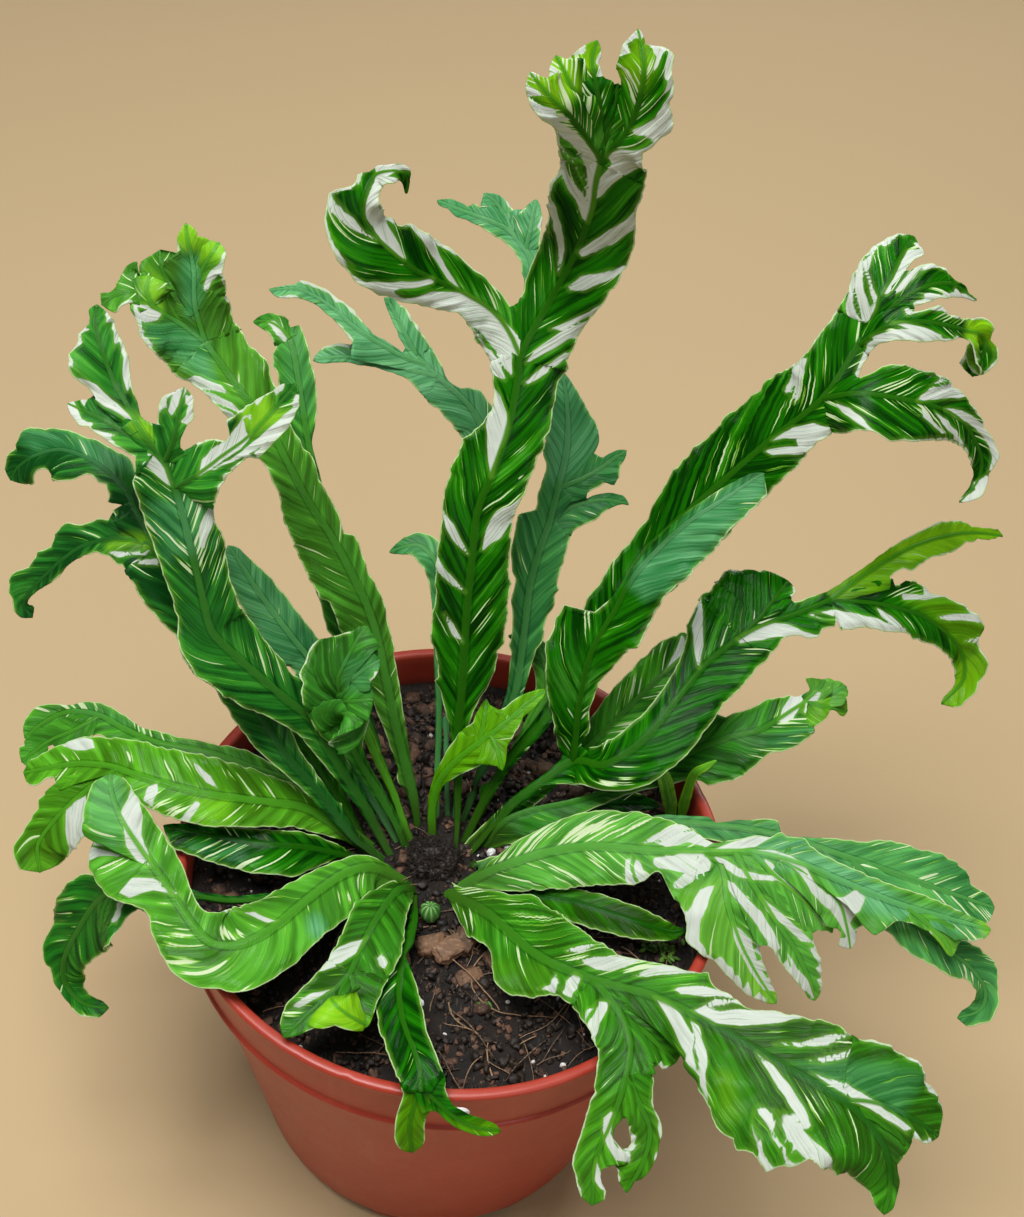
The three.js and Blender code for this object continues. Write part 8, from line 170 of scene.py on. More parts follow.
        [(78.5,24.8,132.6,0.987,-0.137,0.08,0.9,0.9,0,0,0,0), (78.3,24.9,135.1,0.987,-0.135,0.085,1.1,1.1,0,0,0,0), (78.1,25,137.5,0.986,-0.142,0.084,1.3,1.3,0,0,0,0), (77.9,25.1,140,0.984,-0.164,0.063,1.5,1.5,0,0,0,0), (77.8,25.1,142.4,0.981,-0.193,0.031,1.7,1.7,0,0,0,0), (77.7,25.1,144.9,0.975,-0.22,0.005,1.8,1.8,0,0,0,0), (77.7,25,147.4,0.971,-0.24,-0.006,1.7,1.7,0,0,0,0), (77.8,25,149.8,0.967,-0.255,-0.017,1.7,1.7,0,0,0,0), (77.8,24.9,152.3,0.961,-0.273,-0.031,1.6,1.6,0,0,0,0), (77.9,24.8,154.8,0.953,-0.3,-0.051,1.5,1.5,0,0,0,0), (78,24.7,157.2,0.93,-0.359,-0.086,1.5,1.5,0,0,0,0), (78.2,24.6,159.7,0.854,-0.493,-0.168,1.4,1.4,0,0,0,0), (78.7,24.3,162.1,0.673,-0.66,-0.334,1.3,1.3,0,0,0,0), (79.7,23.8,164.2,0.477,-0.759,-0.443,1.3,1.3,0,0,0,0), (81.1,23.3,166.2,0.438,-0.799,-0.413,1.2,1.2,0,0,0,0), (82.6,23.3,168.2,0.469,-0.797,-0.382,0.8,0.8,0,0,0,0), (84.2,23.4,170,0.474,-0.79,-0.39,0.3,0.3,0,0,0,0)],
    ],
    "leaf_dark_low": [
        [(10.1,1.8,132.8,0.176,-0.955,-0.238,1.2,1.2,0,0,0,0), (12.5,2.1,133.2,0.152,-0.959,-0.24,1.2,1.2,0,0,0,0), (14.9,2.3,133.6,0.139,-0.96,-0.243,1.2,1.2,0,0,0,0), (17.2,2.6,134,0.186,-0.953,-0.241,1.3,1.3,0,0,0,0), (19.6,3,134.4,0.296,-0.927,-0.231,1.3,1.3,0,0,0,0), (21.8,3.8,134.8,0.433,-0.875,-0.215,1.3,1.3,0,0,0,0), (23.9,5,135.2,0.549,-0.812,-0.198,1.5,1.5,0,0,0,0), (25.9,6.4,135.6,0.627,-0.757,-0.185,1.9,1.9,0,0,0,0), (27.7,7.9,136,0.67,-0.721,-0.176,2.3,2.3,0,0,0,0), (29.5,9.6,136.3,0.689,-0.704,-0.171,2.7,2.7,0,0,0,0), (31.2,11.2,136.6,0.693,-0.701,-0.17,3,3,0,0,0,0), (33,12.8,137,0.682,-0.711,-0.173,3.4,3.4,0,0,0,0), (34.8,14.4,137.3,0.659,-0.731,-0.178,3.8,3.8,0,0,0,0), (36.6,16,137.6,0.644,-0.743,-0.182,4.1,4.1,0,0,0,0), (38.5,17.5,138,0.644,-0.743,-0.182,4.4,4.4,0,0,0,0), (40.3,19,138.3,0.638,-0.748,-0.184,4.6,4.6,0,0,0,0), (42.2,20.5,138.6,0.615,-0.766,-0.189,4.8,4.8,0,0,0,0), (44.1,21.9,139,0.572,-0.796,-0.198,5.1,5.1,0,0,0,0), (46.2,23.2,139.3,0.494,-0.843,-0.212,5.3,5.3,0,0,0,0), (48.3,24.2,139.6,0.39,-0.892,-0.227,5.4,5.4,0,0,0,0), (50.6,25,139.9,0.282,-0.929,-0.24,5.2,5.2,0,0,0,0), (53,25.5,140.3,0.192,-0.949,-0.249,5,5,0,0,0,0), (55.4,25.8,140.6,0.13,-0.958,-0.254,4.8,4.8,0,0,0,0), (57.8,26,140.8,0.092,-0.962,-0.256,4.6,4.6,0,0,0,0), (60.2,26.1,141.1,0.045,-0.965,-0.259,4.2,4.2,0,0,0,0), (62.6,26.1,141.2,-0.028,-0.964,-0.263,3.4,3.4,0,0,0,0), (65,25.9,141.3,-0.082,-0.961,-0.265,2.5,2.5,0,0,0,0), (67.4,25.6,141.4,-0.089,-0.96,-0.265,1.6,1.6,0,0,0,0), (69.8,25.4,141.5,-0.079,-0.961,-0.265,0.3,0.3,0,0,0,0)],
    ],
    "frond_front_right_upper": [
        [(4,-7.6,132.6,0.393,-0.883,-0.257,1.6,1.1,0,0,0,0), (5.9,-7.1,133.9,0.398,-0.881,-0.255,1.8,2.3,0,0,0,0), (7.8,-6.6,135.3,0.4,-0.881,-0.253,2,3.6,0,0,0,0), (9.7,-6.2,136.7,0.392,-0.884,-0.255,2.2,4.8,0,0,0,0), (11.6,-5.7,138,0.373,-0.89,-0.261,2.5,6,0,0,0,0), (13.6,-5.2,139.2,0.349,-0.898,-0.268,3,7.1,0,0,0,0), (15.7,-4.8,140.4,0.332,-0.903,-0.273,3.7,8.1,0,0,0,0), (17.8,-4.4,141.4,0.324,-0.906,-0.274,4.6,9.1,0,0,0,0), (20,-3.9,142.4,0.315,-0.908,-0.275,5.4,10.1,0,0,0,0), (22.1,-3.5,143.3,0.303,-0.912,-0.277,6.3,10.8,0,0,0,0), (24.3,-3,144.3,0.287,-0.916,-0.279,6.8,11.2,0,0,0,0), (26.5,-2.7,145.2,0.265,-0.922,-0.282,7.3,11.6,0,0,0,0), (28.7,-2.3,146.1,0.235,-0.929,-0.286,7.9,12,0,0,0,0), (30.8,-2.1,147,0.198,-0.936,-0.291,8.6,12.3,0,0,0,0), (33,-2,148,0.162,-0.942,-0.295,9.2,12.5,0,0,0,0), (35.2,-2,148.9,0.129,-0.946,-0.297,9.8,12.7,0,0,0,0), (37.4,-2,149.9,0.094,-0.949,-0.301,10.5,12.8,0,0,0,0), (39.6,-2.1,150.8,0.057,-0.951,-0.305,11.3,12.9,0,0,0,0), (41.8,-2.3,151.7,0.023,-0.951,-0.308,11.5,12.9,0,0,0,0), (44.1,-2.6,152.6,-0.007,-0.951,-0.31,11.8,12.7,0,0,0,0), (46.3,-2.9,153.3,-0.041,-0.949,-0.313,12.2,12.6,0,0,0,0), (48.6,-3.3,154,-0.074,-0.946,-0.316,12.7,12.4,0,0,0,0), (50.8,-3.7,154.7,-0.098,-0.943,-0.317,13.1,12.2,0,0,0,0), (53.1,-4.2,155.3,-0.112,-0.941,-0.318,12.8,12,0,0,0,0), (55.4,-4.7,155.9,-0.119,-0.941,-0.318,12.5,11.6,0,0,0,0), (57.6,-5.1,156.5,-0.118,-0.941,-0.318,12.2,11.4,0,0,0,0), (59.9,-5.6,157.1,-0.107,-0.942,-0.318,11.9,10.9,0,0,0,0), (62.2,-6.1,157.7,-0.086,-0.945,-0.316,11.7,9.7,0,0,0,0), (64.5,-6.4,158.2,-0.06,-0.947,-0.314,11.3,7.1,0,0,0,0), (66.8,-6.7,158.8,-0.036,-0.949,-0.313,10.8,6.7,0,0,0,0), (69.1,-6.9,159.3,-0.016,-0.95,-0.312,10.2,11.3,0,0,0,0), (71.5,-7.1,159.7,-0.003,-0.95,-0.311,9.4,15.7,0,0,0,0), (73.8,-7.2,160.1,0.001,-0.95,-0.311,8.6,13.8,0,5.2,0,0), (76.2,-7.4,160.6,0.004,-0.95,-0.311,7.8,11.2,0,7.7,0,0), (78.5,-7.5,161.1,0.017,-0.951,-0.309,5.8,2.8,0,9,0,-0.1), (80.9,-7.6,161.5,0.021,-0.951,-0.31,3.7,1,0,9,0,-0.2), (83.2,-7.7,162,0.022,-0.95,-0.31,2.7,1.5,0,9,0,-0.3), (85.6,-7.8,162.4,0.035,-0.951,-0.309,2.9,2.2,0,9,0,-0.2), (87.9,-7.8,162.8,0.038,-0.951,-0.308,3.4,3.2,0,9,0,-0.1), (90.3,-7.8,163.1,0.021,-0.95,-0.31,3.9,0.8,0,9,0,0), (92.7,-7.9,163.5,-0.014,-0.949,-0.314,4.4,2.2,0,9,0,0), (95,-8.1,163.8,-0.071,-0.945,-0.319,5.1,0.8,0,9,0,0), (97.4,-8.5,164.1,-0.134,-0.937,-0.324,5.5,1.2,0,9,0,-0.1), (99.7,-9,164.4,-0.186,-0.927,-0.327,5.7,2,0,9,0,-0.1), (102,-9.6,164.6,-0.228,-0.917,-0.328,8.6,2.8,0,9,0,-0.2), (104.3,-10.3,164.8,-0.259,-0.908,-0.329,7.5,0.8,0,9,0,-0.2), (106.6,-11,164.9,-0.281,-0.901,-0.33,8,1,0,9,0,-0.2), (108.9,-11.8,165,-0.3,-0.895,-0.33,8.8,1.2,0,9,0,-0.2), (111.1,-12.5,165,-0.324,-0.887,-0.33,6.3,1.5,0,9,0,-0.3), (113.4,-13.4,164.9,-0.35,-0.876,-0.33,5.6,1.8,0,9,0,-0.4), (115.6,-14.3,164.8,-0.367,-0.87,-0.33,5.2,2,0,9,0,-0.5), (117.8,-15.2,164.7,-0.371,-0.868,-0.33,5.2,2.2,0,9,0,-0.7), (120,-16.1,164.5,-0.366,-0.87,-0.33,5.1,2.8,0,9,0,-0.9), (122.2,-16.9,164.3,-0.352,-0.876,-0.33,5.2,3.5,0,9,0,-1.2), (124.5,-17.7,164.1,-0.334,-0.883,-0.331,5.2,4.2,0,9,0,-1.4), (126.8,-18.4,163.8,-0.321,-0.887,-0.331,5.1,5,0,9,0,-1.7), (129,-19.1,163.4,-0.314,-0.89,-0.331,5,6.2,0,9,0,-2.1), (131.3,-19.7,163.1,-0.305,-0.893,-0.331,5.1,7.8,0,9,0,-2.5), (133.6,-20.3,162.6,-0.291,-0.898,-0.331,5.2,9.2,0,5.9,0,-2.6), (135.9,-20.9,162.2,-0.272,-0.904,-0.33,5.1,11,0,1.8,0,-2.1), (138.2,-21.4,161.7,-0.249,-0.911,-0.33,5.2,9.3,0,0,0,-1), (140.5,-21.8,161.2,-0.221,-0.918,-0.329,5.3,5.7,0,0,0,-0.2), (142.8,-22.1,160.7,-0.19,-0.925,-0.329,5.4,4.8,0,0.4,0,0), (145.1,-22.4,160.2,-0.162,-0.931,-0.328,5.4,0.8,0,4.1,0,0.1), (147.4,-22.6,159.7,-0.14,-0.935,-0.327,5.4,1.2,0,3.9,0,0.1), (149.8,-22.7,159.1,-0.123,-0.937,-0.326,5.2,2,0,3.5,0,0.1), (152.1,-22.8,158.6,-0.112,-0.939,-0.326,4.8,2.5,0,3.7,0,0), (154.4,-22.9,158,-0.107,-0.939,-0.326,4.4,3,0,5.3,0,-0.1), (156.7,-22.9,157.4,-0.106,-0.94,-0.326,4,3.5,0,7.2,0,-0.3), (159,-23,156.7,-0.102,-0.94,-0.326,3.6,4.2,0,6.5,0,-0.4), (161.3,-23,156,-0.092,-0.941,-0.327,3.2,5.2,0,0.7,0,-0.3), (163.6,-22.9,155.3,-0.082,-0.941,-0.328,2.6,5.4,0,0,0,-0.2), (165.8,-22.8,154.5,-0.075,-0.942,-0.328,2.4,5.5,0,0,0,0), (168.1,-22.7,153.6,-0.073,-0.942,-0.328,2.3,4.1,0,0,0,0), (170.3,-22.6,152.8,-0.076,-0.942,-0.328,1.9,3.5,0,0,0,0), (172.6,-22.5,152,-0.078,-0.942,-0.327,0.3,0.3,0,0,0,0)],
        [(78.8,-7.5,161.1,-0.405,-0.839,-0.364,1.5,1.5,3,9,0.2,0.1), (80.6,-8.3,160.9,-0.371,-0.856,-0.36,1,15.8,3.1,3.2,0.2,0), (82.4,-9,160.8,-0.393,-0.848,-0.356,1.2,18.3,3.7,0,0.3,0), (84.2,-9.8,160.6,-0.582,-0.737,-0.345,2,13,6,0,0.4,0.1), (85.6,-11.1,160.1,-0.818,-0.498,-0.288,3.2,9.2,9,2.5,0.6,0.2), (86.3,-12.8,159.6,-0.948,-0.244,-0.204,3.5,8.2,9,4.6,0.7,0.2), (86.7,-14.7,159.1,-0.984,-0.101,-0.145,3.8,9.2,9,8.7,0.8,0.2), (86.9,-16.6,158.5,-0.992,-0.05,-0.117,4.2,10.8,9,7.5,0.8,0.1), (87,-18.4,158,-0.993,-0.039,-0.109,4.8,12.8,9,4.8,0.8,0), (87.2,-20.3,157.3,-0.991,-0.064,-0.114,5,15.2,9,1.1,0.7,-0.1), (87.4,-22.1,156.6,-0.982,-0.133,-0.132,5.5,14.8,9,0,0.7,0), (87.8,-23.8,155.8,-0.965,-0.213,-0.154,5.8,14.1,9,0,0.8,0), (88.4,-25.4,154.8,-0.949,-0.268,-0.165,6,14.6,9,0,0.9,0), (89.1,-26.9,153.7,-0.935,-0.311,-0.171,6.2,15.3,9,0,1,0), (89.8,-28.3,152.5,-0.92,-0.35,-0.179,6.5,15.6,9,0,1.1,0), (90.6,-29.7,151.3,-0.905,-0.384,-0.185,6.8,14.4,9,0,1.2,0), (91.4,-31,150.1,-0.89,-0.416,-0.19,7,13.3,4.1,0,1,0), (92.3,-32.2,148.8,-0.871,-0.45,-0.197,6,11.1,0,0,0.5,0), (93.2,-33.4,147.6,-0.849,-0.487,-0.206,5.6,9.7,0,0,0.1,0), (94.2,-34.5,146.3,-0.826,-0.521,-0.213,5.1,9.1,0,0,0,0), (95.3,-35.5,145,-0.805,-0.551,-0.22,4.5,8.9,0,0,0,0), (96.3,-36.5,143.7,-0.786,-0.576,-0.225,3.9,7.9,0,0,0,0), (97.4,-37.5,142.4,-0.771,-0.595,-0.226,3.5,7.5,0,0,0,0), (98.6,-38.4,141,-0.753,-0.617,-0.23,3.2,7,0,0,0,0), (99.7,-39.3,139.7,-0.727,-0.644,-0.238,2.9,6.6,0,0,0,0), (100.9,-40.1,138.4,-0.702,-0.668,-0.245,2.6,5.6,0,0,0,0), (102.1,-40.8,137,-0.685,-0.684,-0.25,2.2,4.4,0,0,0,0), (103.4,-41.6,135.7,-0.679,-0.69,-0.251,1.9,3.3,0,0,0,0), (104.6,-42.3,134.3,-0.682,-0.688,-0.247,1.6,2.1,0,0,0,0), (105.8,-43,133,-0.687,-0.683,-0.246,0.3,0.3,0,0,0,0)],
        [(89.7,-7.8,163,-0.887,-0.374,-0.27,0.5,0.5,9,9,0,-0.1), (90.6,-9.7,162.7,-0.89,-0.37,-0.266,1.8,3.5,9,9,-0.1,-0.3), (91.4,-11.6,162.4,-0.892,-0.37,-0.26,3,3.5,9,9,-0.1,-0.6), (92.3,-13.5,162,-0.885,-0.39,-0.255,3.5,3.8,9,9,-0.2,-0.8), (93.3,-15.3,161.5,-0.872,-0.422,-0.249,3.8,4.2,9,9,-0.1,-0.8), (94.4,-17,160.9,-0.852,-0.463,-0.246,4,4.8,9,9,0,-0.8), (95.5,-18.5,160.2,-0.834,-0.494,-0.244,4,5.2,9,9,0.1,-0.7), (96.6,-20,159.5,-0.826,-0.509,-0.241,4.2,5.5,9,9,0.2,-0.7), (97.7,-21.5,158.7,-0.82,-0.519,-0.242,4.8,6,9,9,0.2,-0.8), (98.9,-22.9,157.8,-0.814,-0.528,-0.243,5,6.2,9,9,0.2,-0.9), (100.1,-24.3,156.9,-0.807,-0.538,-0.243,5.5,6.5,9,9,0.2,-1.1), (101.3,-25.6,156,-0.799,-0.55,-0.243,5.8,6.8,9,9,0.2,-1.3), (102.5,-26.9,155,-0.783,-0.571,-0.245,6,7,9,9,0.1,-1.4), (103.7,-28.1,154,-0.758,-0.602,-0.252,6.2,7.5,9,5.2,0.1,-1.1), (105,-29.2,152.8,-0.735,-0.627,-0.258,6.5,7.2,6.9,0,0.1,-0.5), (106.3,-30.2,151.6,-0.724,-0.639,-0.261,6.8,6.2,1.2,0,0.1,-0.1), (107.6,-31.1,150.3,-0.73,-0.633,-0.259,7,6.5,1.1,0,0,0), (108.8,-32,149,-0.755,-0.606,-0.249,7.2,6.4,1,0,0,0), (110,-33,147.7,-0.789,-0.567,-0.235,6.8,6.1,0,0,0,0), (111.1,-34.1,146.4,-0.817,-0.532,-0.225,6.6,5.8,0,0,0,0), (112.1,-35.2,145,-0.835,-0.505,-0.218,6.2,5.4,0,0,0,0), (113.1,-36.3,143.7,-0.846,-0.489,-0.212,6.3,4.9,0,0,0,0), (114.1,-37.3,142.2,-0.85,-0.483,-0.209,5.3,4.3,0,0,0,0), (115,-38.3,140.7,-0.853,-0.479,-0.207,4.5,3.7,0,0,0,0), (115.9,-39.2,139.1,-0.86,-0.471,-0.198,4.1,3,0,0,0,0), (116.7,-40,137.4,-0.866,-0.463,-0.189,3.5,2.3,0,0,0,0), (117.5,-40.7,135.7,-0.867,-0.461,-0.189,2.5,2.1,0,0,0,0), (118.2,-41.5,134,-0.866,-0.461,-0.191,0.3,0.3,0,0,0,0)],
        [(95,-8.1,163.8,-0.717,-0.619,-0.321,0.8,0.8,6.6,9,0,0.1), (96.4,-9.6,163.5,-0.721,-0.616,-0.319,1.2,3.2,9,9,0.1,0.1), (97.8,-11.1,163.2,-0.723,-0.616,-0.313,2,3.5,9,9,0.1,0.1), (99.2,-12.5,162.9,-0.714,-0.628,-0.308,2.5,3.8,9,9,0.2,0.1), (100.6,-13.9,162.5,-0.694,-0.653,-0.302,3.2,4,9,9,0.3,0), (102.1,-15.2,162,-0.64,-0.706,-0.302,3.5,4.2,9,9,0.4,-0.1), (103.7,-16.2,161.4,-0.58,-0.754,-0.308,3.5,4.8,9,9,0.6,-0.2), (105.3,-17.1,160.7,-0.552,-0.775,-0.308,3.8,5,9,9,0.8,-0.2), (106.9,-18,159.9,-0.537,-0.785,-0.309,4,5.5,9,9,1,-0.2), (108.5,-18.7,159.1,-0.537,-0.786,-0.307,4.2,5.8,9,9,1.3,-0.1), (110.1,-19.5,158.2,-0.547,-0.78,-0.303,4.5,6,9,9,1.5,-0.1), (111.7,-20.2,157.3,-0.555,-0.776,-0.3,4.8,6.2,9,9,1.8,-0.1), (113.2,-20.9,156.2,-0.557,-0.775,-0.299,5,6.5,9,9,2,-0.1), (114.6,-21.5,155.1,-0.559,-0.774,-0.297,5.5,6.8,9,9,2.3,-0.1), (116.1,-22.1,153.9,-0.561,-0.773,-0.296,5.8,7,8.7,7.8,2.4,0), (117.5,-22.6,152.6,-0.565,-0.772,-0.293,6.2,7,2.9,2.5,1.8,0), (118.8,-23.1,151.3,-0.568,-0.77,-0.291,3.8,4.2,0,0,0.9,0), (120.1,-23.5,149.9,-0.569,-0.77,-0.289,3.1,2.6,0,0,0.2,0), (121.4,-23.9,148.4,-0.57,-0.769,-0.289,2.4,0.9,0,0,0,0), (122.7,-24.4,147,-0.569,-0.77,-0.289,0.3,0.3,0,0,0,0)],
        [(103.8,-10.1,164.7,-0.515,-0.789,-0.335,8,3.2,0,9,0,-0.2), (105.6,-11.2,164.5,-0.511,-0.792,-0.335,0.8,3.5,8.6,9,0.1,-0.3), (107.4,-12.2,164.3,-0.506,-0.796,-0.332,1,3.5,9,9,0.2,-0.6), (109.1,-13.3,164.1,-0.51,-0.795,-0.329,1.2,3.8,7,9,0.2,-0.8), (110.9,-14.3,163.8,-0.525,-0.787,-0.323,1.5,4,6.5,9,0.3,-1.1), (112.7,-15.4,163.5,-0.516,-0.795,-0.32,1.8,4.2,6.2,9,0.4,-1.4), (114.4,-16.3,163,-0.517,-0.794,-0.32,2,4.5,6.5,9,0.5,-1.6), (116.2,-17.2,162.4,-0.553,-0.772,-0.314,2.2,4.8,6.7,9,0.7,-1.9), (117.8,-18.2,161.8,-0.588,-0.747,-0.309,2.8,5,7,9,0.9,-2), (119.4,-19.2,160.9,-0.632,-0.714,-0.302,3.2,5.2,7.3,9,1.1,-2.2), (120.9,-20.2,160,-0.685,-0.667,-0.293,3.8,5.5,7.9,9,1.4,-2.3), (122.3,-21.2,158.9,-0.761,-0.59,-0.271,4.5,5.5,9,9,1.8,-2.3), (123.4,-22.3,157.6,-0.845,-0.484,-0.227,5.5,5.2,9,9,2.1,-2.2), (124.3,-23.4,156.1,-0.901,-0.391,-0.187,6.5,5,9,8.7,2.3,-1.8), (125,-24.5,154.5,-0.921,-0.347,-0.178,7.8,4.8,5.7,3.6,1.9,-1.2), (125.7,-25.5,152.9,-0.925,-0.334,-0.184,8.1,2.9,0,0,0.9,-0.5), (126.4,-26.5,151.2,-0.933,-0.316,-0.174,2.7,1.9,0,0,0.2,-0.1), (127,-27.4,149.5,-0.942,-0.296,-0.16,2.4,2.9,0,0,0,0), (127.6,-28.3,147.7,-0.943,-0.29,-0.161,2.2,3.8,0,0,0,0), (128.1,-29.2,146,-0.942,-0.292,-0.164,0.3,0.3,0,0,0,0)],
        [(143.3,-22.2,160.6,-0.548,-0.806,-0.224,1.8,1.5,4.1,4.4,0,0), (145,-23.2,160,-0.55,-0.803,-0.23,0.8,4.7,5.9,0,-0.1,0), (146.6,-24.1,159.4,-0.55,-0.798,-0.247,1.2,3.3,6,0,-0.1,0), (148.3,-25.1,158.8,-0.54,-0.796,-0.274,1.8,2.9,6,0,-0.1,0), (150,-25.9,157.9,-0.519,-0.798,-0.305,2.2,2.2,5.9,0,0,0), (151.6,-26.5,156.9,-0.518,-0.791,-0.325,2.5,1.6,6.3,0,0.1,0), (153.3,-27.2,155.8,-0.551,-0.767,-0.329,3,1.8,6.3,0,0.3,0), (154.8,-27.9,154.7,-0.615,-0.721,-0.319,3.5,1.8,6.6,0,0.4,0), (156.2,-28.6,153.4,-0.703,-0.65,-0.288,4.2,1.7,7.2,0,0.5,0), (157.5,-29.5,152,-0.769,-0.584,-0.26,5.2,1.6,2.7,0,0.5,0), (158.6,-30.4,150.5,-0.789,-0.557,-0.259,2.7,1.4,0,0,0.2,0), (159.7,-31.3,149,-0.789,-0.554,-0.267,0.3,0.3,0,0,0,0)],
    ],
    "frond_front_right_large": [
